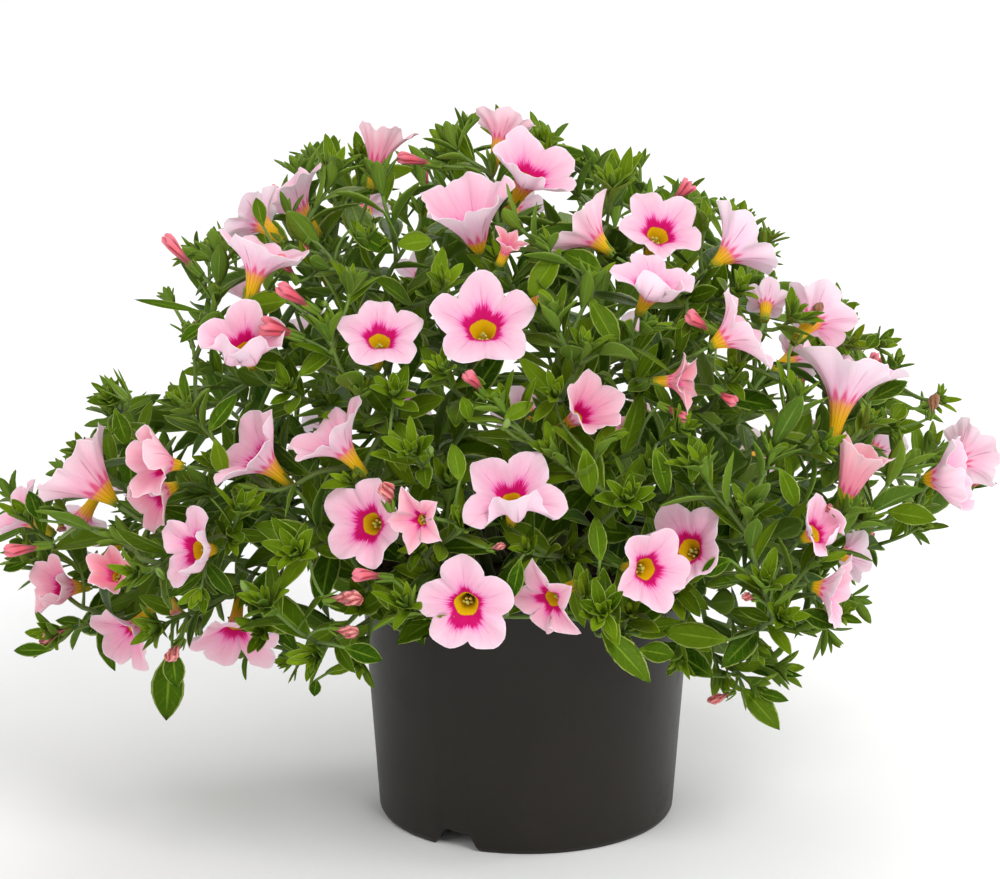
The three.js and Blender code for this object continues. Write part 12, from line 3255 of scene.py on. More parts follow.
s 1 -1119 -851 1722 -88 -23 42 26 51 82 154 66 31 0
s 1 -1056 -660 2049 21 10 97 -97 -11 22 45 13 5 100
s 1 -1064 -660 2042 -27 31 91 81 -44 39 64 18 -2 89
s 1 -1061 -666 2031 23 -36 90 -21 89 41 88 25 -11 78
s 1 -1063 -660 2015 29 68 67 -12 -67 74 90 27 1 67
s 1 -1072 -669 1997 16 -45 88 81 57 14 109 39 11 56
s 1 -1073 -674 1969 96 11 25 -26 16 95 152 49 11 31
s 1 -1094 -680 1939 -4 85 53 40 -47 79 134 45 26 23
s 1 -1108 -707 1903 36 -40 84 -6 89 45 190 69 21 15
s 5 -1178 793 1850 -9 -10 99 14 98 11 72 20 6 100
s 5 -1174 798 1838 27 36 89 -71 -55 44 89 25 -11 89
s 5 -1180 793 1822 -42 2 90 89 17 42 116 32 3 78
s 5 -1171 793 1800 56 20 80 -78 -21 60 135 49 -2 67
s 5 -1178 792 1771 -68 -9 72 72 7 69 202 68 12 56
s 5 -1171 795 1734 35 -80 49 -68 15 72 178 64 44 44
s 5 -1181 808 1688 -51 20 84 68 -50 53 249 88 11 33
s 5 -1181 815 1625 -14 -88 46 13 45 88 251 99 9 22
s 5 -1168 836 1550 90 1 44 -44 -11 89 237 88 15 8
s 1 -672 -431 2423 16 -3 99 98 9 -16 76 21 -11 100
s 1 -670 -433 2408 55 -20 81 -61 56 56 94 26 10 89
s 1 -680 -427 2394 26 52 81 22 -85 48 136 38 -2 78
s 1 -691 -435 2374 22 -44 87 37 86 34 157 50 8 67
s 1 -702 -433 2344 86 43 28 -20 -22 95 189 63 31 56
s 1 -731 -444 2318 28 -8 96 93 26 -25 171 57 6 44
s 1 -749 -462 2273 83 -15 54 -42 47 78 226 80 40 33
s 2 -1670 322 1169 -57 69 44 -53 10 -84 65 18 10 70
s 2 -1663 314 1161 -72 68 -11 -12 3 99 90 25 6 62
s 2 -1654 302 1166 -87 42 27 42 91 -7 109 30 0 55
s 2 -1635 294 1162 -27 96 -7 -79 -18 59 142 49 -6 47
s 2 -1620 270 1160 -92 14 -36 -17 69 70 184 63 19 39
s 2 -1592 250 1166 19 80 57 -82 44 -35 155 52 30 31
s 2 -1558 220 1162 5 88 -46 -69 36 63 206 74 40 23
s 2 -1522 174 1167 -87 -39 29 -26 88 40 222 87 20 15
s 2 -1458 136 1161 22 87 44 -91 2 41 257 99 19 8
s 11 -1638 -560 832 -57 -78 24 -59 18 -79 66 19 -6 70
s 11 -1635 -549 829 -94 -33 -10 27 -89 36 75 21 -11 62
s 11 -1620 -544 828 -42 -87 -25 -70 14 70 116 32 -10 55
s 11 -1609 -529 834 -75 -53 39 13 -70 -70 129 44 -1 47
s 11 -1592 -510 828 -79 -31 -52 -28 -58 76 135 46 19 39
s 11 -1564 -492 833 -2 -93 36 -97 10 22 187 60 26 31
s 11 -1540 -456 832 -97 24 5 -20 -90 40 134 43 35 23
s 11 -1498 -420 824 24 -40 -88 -54 -82 22 185 67 23 15
s 11 -1451 -369 833 -20 -58 79 -87 -27 -42 229 96 36 8
s 11 -1398 -308 832 -86 38 -35 -51 -72 48 270 107 30 0
s 1 -1046 -577 2162 0 46 89 3 -89 46 77 22 -10 100
s 1 -1048 -586 2152 -18 7 98 72 69 8 105 30 -9 89
s 1 -1042 -589 2135 56 25 79 -83 14 55 140 39 6 78
s 1 -1051 -596 2114 -34 66 67 65 -35 67 164 56 -12 67
s 1 -1050 -618 2093 8 -20 98 4 98 20 177 65 25 56
s 1 -1051 -635 2058 63 71 32 -40 -6 91 226 76 23 44
s 2 -1523 772 1237 -16 99 -1 -84 -14 -52 71 20 7 70
s 2 -1523 758 1234 -51 73 -46 16 60 78 111 31 0 62
s 2 -1517 744 1242 -58 76 30 44 60 -66 142 40 -7 55
s 2 -1503 725 1241 16 91 -38 -73 36 58 158 55 0 47
s 2 -1502 696 1250 -64 50 58 73 64 25 154 54 15 39
s 2 -1487 664 1264 38 90 23 -90 42 -15 223 69 44 31
s 2 -1482 616 1275 -36 4 -93 -18 98 11 176 56 22 23
s 2 -1480 560 1304 -67 62 41 70 71 7 175 72 20 15
s 2 -1457 484 1317 83 55 -15 -42 77 47 328 137 30 8
s 1 -1218 -543 2022 -62 75 23 -78 -60 -16 29 8 7 100
s 1 -1221 -546 2015 -74 39 55 57 -9 82 52 14 11 89
s 1 -1212 -553 2012 -34 11 93 -36 90 -24 44 12 0 78
s 1 -1205 -551 2001 -9 84 54 -65 -46 60 62 22 5 67
s 1 -1142 -667 1922 78 44 44 -62 44 65 121 46 23 8
s 11 -1412 -686 1704 -8 -86 50 -54 46 70 50 14 -8 70
s 11 -1411 -675 1703 -11 -58 80 -52 -66 -55 78 22 6 62
s 11 -1412 -670 1689 -45 -84 29 36 12 92 106 30 -3 55
s 11 -1402 -657 1680 37 -77 52 -80 2 60 112 40 5 47
s 11 -1406 -636 1669 -73 -52 45 64 -75 18 112 34 44 39
s 11 -1400 -617 1645 -12 -96 -24 0 -24 97 146 45 11 31
s 11 -1395 -579 1631 72 59 36 -3 -49 87 149 50 22 23
s 11 -1394 -486 1564 66 -74 -10 -26 -36 90 190 81 14 8
s 11 -1601 -638 1299 -92 31 23 21 -9 97 61 17 8 70
s 11 -1590 -644 1300 -58 -56 60 -63 77 10 70 20 4 62
s 11 -1578 -641 1291 -58 66 47 -51 -75 42 104 29 11 55
s 11 -1566 -653 1280 -98 -6 20 12 62 78 132 46 0 47
s 11 -1542 -662 1275 -86 46 21 0 41 -91 104 39 41 39
s 11 -1518 -676 1257 -42 79 -46 -50 22 84 154 51 23 31
s 11 -1488 -707 1251 -81 -31 49 -11 91 40 200 61 19 23
s 11 -1438 -728 1239 52 80 30 -75 25 62 190 82 41 15
s 2 -1779 -34 981 -80 58 17 -54 -81 22 70 20 7 70
s 2 -1769 -41 976 -98 -20 -7 -17 57 81 92 26 0 62
s 2 -1751 -40 978 -69 16 70 -72 -12 -68 126 35 8 55
s 2 -1732 -40 966 -80 60 -1 -37 -47 80 144 45 -11 47
s 2 -1706 -53 959 -93 -30 21 -8 73 67 203 72 15 39
s 2 -1668 -56 953 -60 54 59 -58 -80 14 184 57 43 31
s 2 -1628 -76 932 -96 12 -26 -23 23 94 234 85 42 23
s 2 -1571 -96 914 -18 -37 91 -74 66 12 250 98 28 15
s 11 -1755 -267 1008 -54 -4 84 -81 -23 -53 58 16 11 70
s 11 -1752 -264 997 -95 8 32 25 -46 85 76 21 -8 62
s 11 -1739 -268 993 -62 -47 63 -38 88 28 100 28 0 55
s 11 -1726 -259 984 -53 51 68 -41 -86 32 116 41 -9 47
s 11 -1712 -263 965 -96 22 15 15 -2 99 120 42 25 39
s 11 -1686 -273 950 -35 -10 93 -46 88 -8 131 42 37 31
s 11 -1660 -276 920 -19 98 -9 -46 0 89 172 54 26 23
s 11 -1521 -383 850 -61 42 -67 -70 11 71 212 79 44 0
s 11 -1723 -437 1191 6 -44 90 -100 -2 6 120 34 -2 55
s 11 -1706 -416 1152 -34 -90 27 -15 34 93 161 50 6 39
s 11 -1690 -389 1134 -13 -5 99 -13 -99 -6 178 55 30 31
s 11 -1661 -317 1066 93 -12 36 -38 -37 85 259 108 33 15
s 11 -1672 -284 998 -46 69 55 22 -51 83 262 99 5 8
s 2 -1863 173 1104 -64 71 28 -1 -38 93 59 16 -14 70
s 2 -1844 158 1096 -10 86 51 -89 -31 34 120 34 -5 55
s 2 -1837 144 1082 -81 34 -48 -32 43 84 105 38 -14 47
s 2 -1819 123 1076 -55 60 59 10 74 -66 140 46 18 39
s 2 -1799 104 1054 7 96 -27 -43 28 86 172 63 22 31
s 2 -1784 65 1036 -87 25 -42 -11 73 68 179 55 20 23
s 2 -1751 22 1014 25 48 84 -95 29 12 228 81 19 15
f 5 -321 878 1165 -99 6 -10 11 84 -53 203 61 13 37
f 5 -331 897 1144 -89 40 19 -21 0 -98 179 54 34 37
f 9 270 845 1031 2 11 99 79 61 -8 187 56 11 36
f 9 285 854 1038 70 -34 62 10 92 39 145 43 10 36
f 10 -211 -931 1106 61 -52 -60 16 -66 73 162 49 34 37
f 10 -218 -930 1108 -55 -82 -12 56 -48 68 149 45 34 37
f 10 183 -938 1215 19 -88 -43 82 -9 56 200 60 23 37
f 10 186 -932 1215 79 51 -33 60 -58 54 140 42 32 37
f 10 138 -975 1172 27 1 -96 17 -98 3 204 61 12 37
f 10 136 -983 1168 -40 -13 -91 24 -97 3 148 44 0 37
f 5 -333 952 1184 38 64 -67 -64 70 31 149 45 16 37
f 5 -340 950 1185 -94 -7 -34 -17 94 28 153 46 4 37
f 10 26 -1018 1281 -67 -73 -11 -42 25 87 187 56 14 37
f 10 14 -1013 1295 -12 65 75 -73 -58 38 174 52 26 37
f 10 -353 -933 1300 9 -77 63 -81 32 49 156 47 31 37
f 10 -340 -926 1280 -85 -44 -29 -31 -3 95 133 40 19 37
f 7 800 602 1190 86 -50 -8 50 86 4 214 64 7 30
f 7 827 624 1169 -15 62 -77 94 34 9 202 60 11 30
f 5 -826 748 1074 -73 53 -44 -67 -69 28 185 55 4 24
f 5 -831 737 1073 -3 -98 -19 -98 -1 22 158 48 16 24
f 9 145 930 1438 -97 21 -7 -8 0 100 216 65 3 37
f 9 124 938 1471 -54 84 5 -27 -23 94 195 59 17 37
f 7 641 876 1169 82 -10 56 56 8 -82 156 47 20 30
f 7 665 879 1151 33 75 -58 94 -31 14 197 59 13 30
f 5 -648 898 1065 -79 -3 61 34 80 48 206 62 35 30
f 5 -644 882 1052 -92 7 39 32 68 66 130 39 29 30
f 2 -1138 234 827 83 38 40 -55 66 51 127 38 39 21
f 2 -1146 212 816 -84 53 8 43 59 68 160 48 17 21
f 7 520 903 1234 -60 -9 80 10 98 18 204 61 26 30
f 7 522 897 1225 -90 33 -28 -4 58 81 190 57 21 30
f 6 97 -884 1724 3 1 -100 -37 -93 -2 204 61 23 37
f 6 97 -880 1736 -58 -68 44 16 -63 -76 134 40 28 37
f 3 815 -854 1024 92 30 26 -20 -20 96 219 66 32 30
f 3 814 -854 1022 88 38 28 -20 -25 95 142 42 30 30
f 7 832 665 1343 12 99 -1 26 -2 96 201 60 9 30
f 7 826 653 1325 52 85 -10 10 6 99 132 39 35 30
f 5 -403 839 1647 20 55 -81 -13 84 54 130 39 32 30
f 5 -408 842 1650 -83 43 -34 21 82 53 170 51 12 30
f 1 -176 -780 1731 51 -72 47 -14 48 87 191 57 8 37
f 1 -168 -772 1763 86 38 34 -31 -15 94 146 44 22 37
f 5 -774 838 1500 36 71 61 26 55 -79 154 46 36 25
f 5 -778 837 1495 -56 71 -42 70 68 21 205 62 6 25
f 8 -144 740 1939 12 76 -63 72 37 58 193 58 37 30
f 8 -149 731 1944 62 -8 78 40 89 -23 147 44 1 30
f 3 826 -923 1092 46 76 46 -39 -30 87 184 55 30 30
f 3 815 -925 1062 -61 55 57 50 -28 82 200 60 8 30
f 3 866 -908 1101 -18 87 46 55 -30 78 137 41 15 30
f 3 870 -908 1100 72 69 -5 12 -6 99 153 46 8 30
f 10 -380 -1033 1527 -64 56 -52 -77 -45 45 199 60 16 37
f 10 -410 -1045 1522 -20 -3 -98 -95 -22 20 188 56 39 36
f 6 365 -733 1769 70 -69 -18 -32 -53 78 170 51 25 32
f 6 362 -758 1787 44 -20 88 -49 -87 5 171 51 5 32
f 11 -1290 -341 938 20 -96 18 -29 -23 -93 148 44 12 21
f 11 -1294 -338 933 -76 -4 -64 24 -94 -23 171 51 3 21
f 11 -704 -928 1338 -29 60 74 -12 -79 60 198 60 7 25
f 11 -703 -936 1337 23 -97 -3 -27 -10 96 179 54 11 25
f 6 -98 -456 2090 -52 -47 -71 -15 -77 62 131 39 17 30
f 6 -101 -460 2096 -80 -24 56 37 -92 12 139 42 9 30
f 1 -475 -780 1736 -93 27 25 22 -12 97 153 46 35 34
f 1 -468 -785 1733 19 -77 61 -39 51 77 205 62 30 35
f 6 352 -699 1834 -21 61 76 4 -78 63 157 47 12 32
f 6 353 -708 1855 48 41 77 -48 -62 63 202 61 23 32
f 11 -1030 -766 1257 99 -11 -5 -10 -97 22 168 51 23 21
f 11 -1036 -770 1254 -46 -62 -64 55 -76 34 140 42 8 21
f 8 -693 624 1862 42 71 -57 60 26 76 160 48 19 30
f 8 -704 619 1862 -3 99 15 80 -6 60 161 48 39 30
f 6 344 -373 2141 69 37 62 37 -92 14 187 56 8 30
f 6 326 -371 2135 4 -100 1 81 4 58 169 51 9 30
f 6 -86 -361 2198 78 4 63 -57 44 69 177 53 2 30
f 6 -86 -381 2176 84 20 51 -54 44 72 158 47 20 30
f 3 990 -912 1240 99 12 -6 3 28 96 195 58 35 30
f 5 -885 738 1529 -34 -86 39 -45 51 73 214 64 40 22
f 5 -883 746 1525 -47 85 25 -38 -45 81 169 51 23 22
f 5 -795 852 1599 -9 99 8 52 -3 86 152 46 20 25
f 5 -789 850 1608 28 -41 87 32 89 32 135 41 12 30
f 11 -1093 -617 1367 -78 43 45 -6 -77 63 140 42 24 21
f 11 -1090 -616 1360 -98 -3 -19 -16 -41 90 214 64 18 21
f 6 423 -762 1802 34 -81 -47 29 -38 88 177 53 21 30
f 6 414 -753 1798 -40 -91 5 59 -22 78 206 62 6 30
f 3 965 -796 1553 -2 -65 -76 98 12 -13 215 65 36 30
f 3 1096 -702 1492 58 72 37 18 33 -93 168 50 29 30
f 3 1060 -722 1507 -19 45 -87 89 46 4 121 36 15 30
f 1 -815 -740 1749 -38 -69 62 -72 64 27 142 43 37 22
f 1 -803 -737 1747 -23 -3 97 -97 12 -22 126 38 27 22
f 2 -1229 581 954 28 -4 96 -89 -40 24 148 44 30 21
f 2 -1218 591 939 -1 38 92 -56 -77 31 139 42 33 21
f 6 448 -678 2134 -90 -1 43 -16 -92 -36 140 42 29 30
f 0 1342 -426 1218 -55 2 84 77 42 49 210 63 20 30
f 1 -609 -246 2151 96 14 23 -17 -38 91 139 42 25 30
f 1 -617 -239 2132 98 -4 19 -19 -28 94 168 50 2 30
f 11 -1278 -561 1065 33 -90 -28 -87 -40 29 172 52 6 21
f 11 -1256 -538 1078 0 -94 35 -99 -5 -14 122 37 21 21
f 2 -1507 -170 882 14 -23 96 -24 -95 -20 168 50 29 21
f 2 -1506 -148 867 -28 -70 -66 -7 -67 74 185 56 22 21
f 6 708 -871 1880 42 89 20 31 -34 89 187 56 1 30
f 6 704 -872 1881 -19 68 71 72 -39 57 163 49 7 30
f 11 -1219 -792 1244 -74 67 -10 -6 9 99 132 40 0 21
f 3 867 -875 1804 -86 11 51 52 21 83 219 66 30 30
f 3 869 -870 1804 -33 92 23 16 -18 97 169 51 32 30
f 2 -1433 356 1184 -15 37 -92 -93 25 26 202 60 17 21
f 2 -1447 363 1181 -16 92 -34 -98 -11 17 131 39 26 21
f 1 -838 -818 1842 28 87 40 -63 -15 76 143 43 21 21
f 11 -1569 -329 977 10 99 14 -27 -10 96 204 61 30 21
f 11 -1574 -334 981 -59 -21 78 49 68 55 156 47 22 21
b 3 753 -640 732 98 -20 -5 -14 -82 56 209 45 19 10
b 11 -732 -682 702 -11 -9 -99 -11 -99 10 64 45 11 8
b 3 631 -804 758 -82 32 48 1 -83 56 226 96 19 10
b 3 746 -730 682 67 -36 -65 6 -84 54 191 89 15 10
b 3 790 -735 677 96 -23 -18 -9 -81 57 119 45 19 10
b 10 373 -1128 959 98 -21 -8 -12 -82 56 124 80 14 11
b 3 670 -1005 954 -98 20 7 -13 -81 57 224 95 1 10
b 10 -30 -1249 1311 -19 -9 -98 -12 -99 11 137 57 2 17
b 10 235 -1233 1306 -11 43 89 6 -90 44 152 64 -4 31
b 10 244 -1296 1077 69 -36 -63 6 -84 55 240 100 20 15
b 11 -612 -1184 984 94 -25 -23 -8 -83 56 138 72 6 9
b 3 916 -990 1048 92 8 -38 28 -81 51 139 73 15 10
b 3 670 -1124 1273 -88 5 -47 -31 -82 48 114 65 7 10
b 11 -1241 -606 768 -7 -9 -99 -14 -98 10 240 120 2 7
b 10 -228 -1202 1573 -19 43 88 4 -90 44 136 64 19 32
b 6 184 -1168 1666 14 -9 -99 13 -99 11 169 71 19 32
b 6 417 -1126 1654 28 -8 -96 25 -96 16 175 64 15 25
b 11 -760 -1148 1280 12 9 99 -16 -98 11 136 57 19 19
b 10 -79 -1148 1763 82 32 48 -7 -77 64 121 57 18 32
b 6 567 -1074 1674 -21 -43 -88 0 -90 44 155 57 1 25
b 10 -195 -1139 1760 -30 8 95 20 -97 15 88 50 2 32
b 1 -459 -1123 1722 31 -8 -95 18 -97 14 159 64 4 30
b 3 839 -1009 1552 44 -7 -90 37 -90 25 152 65 16 25
b 11 -1215 -846 866 10 -9 -99 -6 -99 9 139 81 10 7
b 6 204 -877 2103 51 -40 -76 17 -82 54 197 86 16 25
b 3 1222 -797 1342 97 -21 -10 -8 -71 70 171 88 1 25
b 6 239 -796 2186 -88 29 38 8 -69 72 152 87 9 25
b 1 -763 -921 1856 79 -1 62 -40 -77 50 170 79 17 19
b 6 105 -758 2246 -53 -39 -75 -15 -83 54 202 87 1 25
b 3 1162 -679 1704 88 29 38 -2 -77 64 154 66 8 25
b 3 1246 -636 1622 55 39 74 -2 -88 48 75 66 12 25
b 1 -936 -810 1879 98 -20 -7 -10 -70 71 138 87 5 18
b 1 -330 -732 2274 -97 -21 -9 7 -65 76 120 87 9 25
b 1 -1048 -964 1643 24 -9 -97 6 -99 10 140 65 15 18
b 1 -604 -584 2275 86 -30 -41 9 -71 70 177 88 -2 25
b 1 -1065 -946 1673 58 4 81 -41 -84 34 160 65 12 18
b 0 1156 -614 1870 61 38 70 -6 -85 52 62 52 6 25
b 6 310 -562 2408 23 9 97 -17 -98 13 159 51 12 25
b 1 -809 -812 2087 -97 12 -22 -24 -67 70 169 94 -2 25
b 1 -1096 -742 1983 -79 -33 -52 -16 -71 69 103 51 11 18
b 1 -1098 -702 2018 -97 -12 22 24 -68 69 241 29 2 25
b 1 -898 -574 2286 -25 43 87 2 -89 45 107 51 4 25
b 11 -1385 -701 1710 -98 16 -10 -18 -70 70 121 59 -5 18
b 11 -1402 -711 1678 32 -8 -94 8 -99 11 138 66 11 18
b 11 -1656 -615 789 -98 17 -5 -17 -82 55 141 52 18 7
b 11 -1751 -299 1018 -93 9 -35 -28 -77 57 113 61 16 18
b 11 -1680 -598 1255 -37 42 83 -8 -90 42 113 60 -4 18
"""
# flowers: name, node it stands for, style, centre of the rim x y z, axis in thousandths, radius, length, coral tone
# (raised for f10 to darken it as painted shade) and turn in hundredths
FLOWERS = """
f01 flower_01 funnel -79 -174 2571 229 567 792 101 205 55 18
f02 flower_02 bowl 26 -431 2470 387 -421 820 163 217 5 140
f03 flower_03 bowl -198 -636 2333 -236 -223 946 161 138 10 52
f04 flower_04 cup -495 -233 2551 223 213 951 116 210 60 35
f05 flower_05 funnel -853 -167 2335 -592 96 800 149 216 15 26
f05b flower_06 bowl -952 -436 2296 -709 564 422 124 169 10 87
f06 flower_07 funnel -881 -736 2271 286 138 948 157 226 20 105
f07 flower_08 bowl -956 -919 1964 -122 -792 598 157 209 10 157
f08 flower_09 open -491 -951 2022 91 -505 859 142 179 5 161
f09 flower_10 open -152 -965 2067 0 -595 804 176 211 5 162
f10 flower_11 funnel 153 -659 2323 -754 254 606 142 166 45 70
f11 flower_12 open 454 -611 2300 252 -594 764 146 184 0 192
f12 flower_13 curl 425 -869 2160 361 -483 798 150 150 0 147
f13 flower_14 funnel 752 -536 2238 761 415 499 150 167 0 35
f14 flower_15 bowl 714 -956 2030 865 19 502 146 120 30 70
f15 flower_16 bowl 997 -606 2001 496 802 334 135 206 15 18
f15b flower_17 bowl 807 -650 2055 106 907 408 113 118 10 18
f16 flower_18 funnel 1092 -703 1865 205 231 951 188 307 0 94
f17 flower_19 bowl 1473 -506 1379 908 -388 158 153 109 20 52
f17b flower_20 bowl 1567 -194 1384 756 602 256 131 104 30 122
f18 flower_21 cup2 228 -1098 1807 610 -539 581 117 211 40 131
f19 flower_22 curl -53 -1218 1519 20 -759 651 176 214 5 122
f20 flower_23 open -552 -1163 1410 -543 -803 245 148 183 18 262
f21 flower_24 star -384 -1328 1472 -568 -798 202 105 104 62 201
f22 flower_25 flat -212 -1248 1148 -141 -990 4 162 178 5 161
f23 flower_26 star 50 -1254 1161 -632 -752 -189 136 177 35 174
f24 flower_27 bowl 421 -1200 1262 517 -829 211 146 197 5 105
f25 flower_28 bowl 506 -1044 1304 -424 -765 484 155 203 5 70
f26 flower_29 funnel -959 -1009 1648 -708 -143 691 159 229 18 18
f27 flower_30 funnel -682 -1079 1720 -629 -58 775 149 216 25 113
f28 flower_31 funnel -1546 -651 1453 -757 145 637 162 177 40 35
f29 flower_32 bowl -1810 -291 1207 -818 -84 569 123 168 25 52
f30 flower_33 bowl -1274 -964 1570 -796 -537 277 132 133 60 174
f31 flower_34 bowl -1300 -818 1398 -797 -583 -161 128 130 62 227
f32 flower_35 open -1140 -1045 1280 -675 -716 179 152 125 14 166
f33 flower_36 curl -1677 -388 943 -768 -617 172 128 164 58 105
f35 flower_37 bowl -1420 -566 806 -608 -649 -457 134 178 30 122
f36 flower_38 bowl -1018 -717 834 -102 -697 -710 159 208 25 157
f37 flower_39 curl 992 -1025 1356 702 -457 546 122 98 5 140
f37b branch_04 bowl 1122 -788 1190 915 401 -53 95 76 10 52
f38 flower_40 bowl 1047 -988 1116 936 -320 -146 128 95 35 105
f39 flower_41 cup 1108 -836 1516 325 105 940 90 159 80 18
f40 flower_42 halfstar 545 -1003 1857 929 -357 100 93 136 85 35
f41 branch_12 crumple -1431 -808 1140 -362 -763 535 81 134 90 0
f42 branch_02 halfstar -56 -825 2306 352 -330 876 56 115 95 0
g01 branch_03 open -1491 742 1041 -583 809 78 121 174 4 150
g02 branch_08 cup2 1104 814 1118 786 616 57 96 185 31 386
g03 flower_43 bowl -811 1149 1462 -293 954 71 130 203 0 37
g04 flower_44 funnel 433 1221 1072 261 965 -32 138 236 46 517
g05 branch_03 bowl -1651 423 926 -513 195 -836 112 180 14 121
g06 branch_03 open -1553 59 861 -619 -89 -780 115 166 16 324
g07 flower_45 bowl 378 1270 1432 -216 835 506 127 200 18 139
g08 branch_05 open 510 1051 1896 311 776 549 119 172 16 58
g09 branch_09 bowl -43 982 2032 170 880 444 115 183 21 615
g10 flower_46 funnel -13 1266 1133 -259 966 -21 138 236 28 280
g11 branch_08 bowl 1334 589 1202 676 637 370 110 177 4 513
g12 branch_03 cup2 -1310 510 863 -731 680 -52 89 164 4 338
g13 branch_06 open -380 1111 1721 170 889 425 111 162 10 522
g14 branch_09 flat -606 877 2024 -314 774 549 107 147 12 343
g15 branch_06 bowl -755 1182 1099 -381 925 -2 114 182 0 539
g16 branch_06 cup2 -965 834 793 23 668 -744 97 185 11 192
g17 branch_08 open 1022 846 1477 704 640 307 107 157 18 383
g18 branch_06 cup2 -1056 874 1766 -402 556 727 98 187 23 483
g19 branch_06 flat -346 1054 893 71 629 -774 112 152 0 485
g20 branch_06 bowl -806 1032 1852 -383 521 763 109 176 13 135
g21 branch_10 cup2 20 1162 1670 -118 848 516 94 182 21 208
g22 branch_06 star -448 1207 1177 -357 930 86 111 182 0 570
g23 branch_08 open 890 1055 1010 507 811 -292 127 181 0 467
"""
# buds and spent flowers: name kind branch, foot and tip x y z, width
BUDS = """
b01 bud 1 -1111 -585 2122 -1231 -534 2239 46
b02 budd 1 -778 -738 2131 -841 -736 2217 42
b03 bud 1 -743 -568 2236 -768 -569 2202 36
b04 bud 1 -702 -906 2066 -830 -913 2156 52
b05 budo 1 -756 -909 1980 -888 -924 2029 60
b06 budd 6 -300 -433 2464 -440 -424 2493 44
b07 budo 6 477 -461 2334 553 -411 2396 48
b08 bud 6 626 -935 2011 529 -931 2068 52
b09 budd 6 436 -1000 1774 522 -1031 1734 40
b10 bud 6 621 -954 1820 689 -990 1782 42
b11 bud 10 -142 -1110 1828 -208 -1118 1912 46
b12 bud 11 -1648 -591 1162 -1798 -611 1147 48
b13 wilt 10 -454 -1262 1491 -479 -1273 1583 50
b14 bud 10 -457 -1223 1241 -578 -1244 1255 48
b15 wilt 11 -673 -1204 1158 -552 -1260 1180 50
b16 wilt 11 -656 -1155 1045 -569 -1185 1037 44
b17 wilt 11 -1593 -528 841 -1694 -574 805 44
b18 wilt 11 -1181 -842 900 -1227 -886 840 44
b19 wiltp 10 -132 -1267 1355 -79 -1290 1372 26
b20 wilt 3 708 -731 675 620 -765 654 32
b21 wiltp 3 759 -1119 1138 711 -1135 1151 32
b22 budt 11 -930 -1123 1154 -959 -1132 1206 26
b23 budt 11 -1232 -953 1160 -1255 -959 1194 26
b24 wiltp 3 1032 -969 1380 1004 -972 1419 28
b25 budt 10 -83 -1174 1743 -70 -1179 1778 26
b26 budt 10 -323 -1170 1653 -333 -1174 1685 24
b27 budt 6 262 -570 2410 272 -567 2454 28
b28 budt 6 254 -483 2433 308 -472 2472 24
b29 dry 6 956 -733 1991 988 -730 2056 36
b30 dry 0 1379 -530 1600 1403 -507 1679 36
b31 calyx 11 -1356 -726 1724 -1437 -704 1802 40
b32 tube 11 -1218 -852 1075 -1196 -887 1008 34
b33 tube 11 -1616 -544 1238 -1608 -566 1209 30
b34 budt 1 -675 -898 2091 -688 -902 2099 24
c01 bud 8 -359 864 2073 -388 945 2171 41
c02 budd 8 -881 854 2010 -944 973 2076 48
c03 budd 7 655 932 858 546 1036 847 46
c04 bud 7 516 1136 1298 553 1201 1346 41
c05 wilt 7 1210 464 850 1286 504 876 38
c06 budt 5 -635 1056 1657 -660 1108 1697 26
c07 wilt 5 -1210 950 1163 -1261 1025 1170 42
c08 budo 5 -1182 835 1537 -1212 955 1577 47
c09 bud 7 792 1041 1392 852 1157 1388 47
c10 wilt 5 -779 1023 909 -793 1112 906 40
c11 bud 9 435 1113 1642 459 1233 1687 52
c12 budt 7 900 809 920 941 841 873 26
c13 bud 5 -77 1183 1457 -70 1308 1572 45
c14 budd 7 617 1100 1520 651 1193 1605 41
c15 budo 5 -1053 969 1386 -1110 1110 1463 49
c16 budt 4 12 724 2249 -11 736 2314 26
c17 budt 7 1430 408 1062 1493 434 1046 26
c18 bud 2 -1201 794 937 -1219 920 915 41
c19 budt 4 256 1080 1755 252 1146 1778 26
c20 budo 7 1253 778 1366 1321 824 1467 49
c21 wilt 0 1575 84 1157 1631 124 1215 50
c22 budo 7 1000 990 1264 1062 1107 1335 51
"""
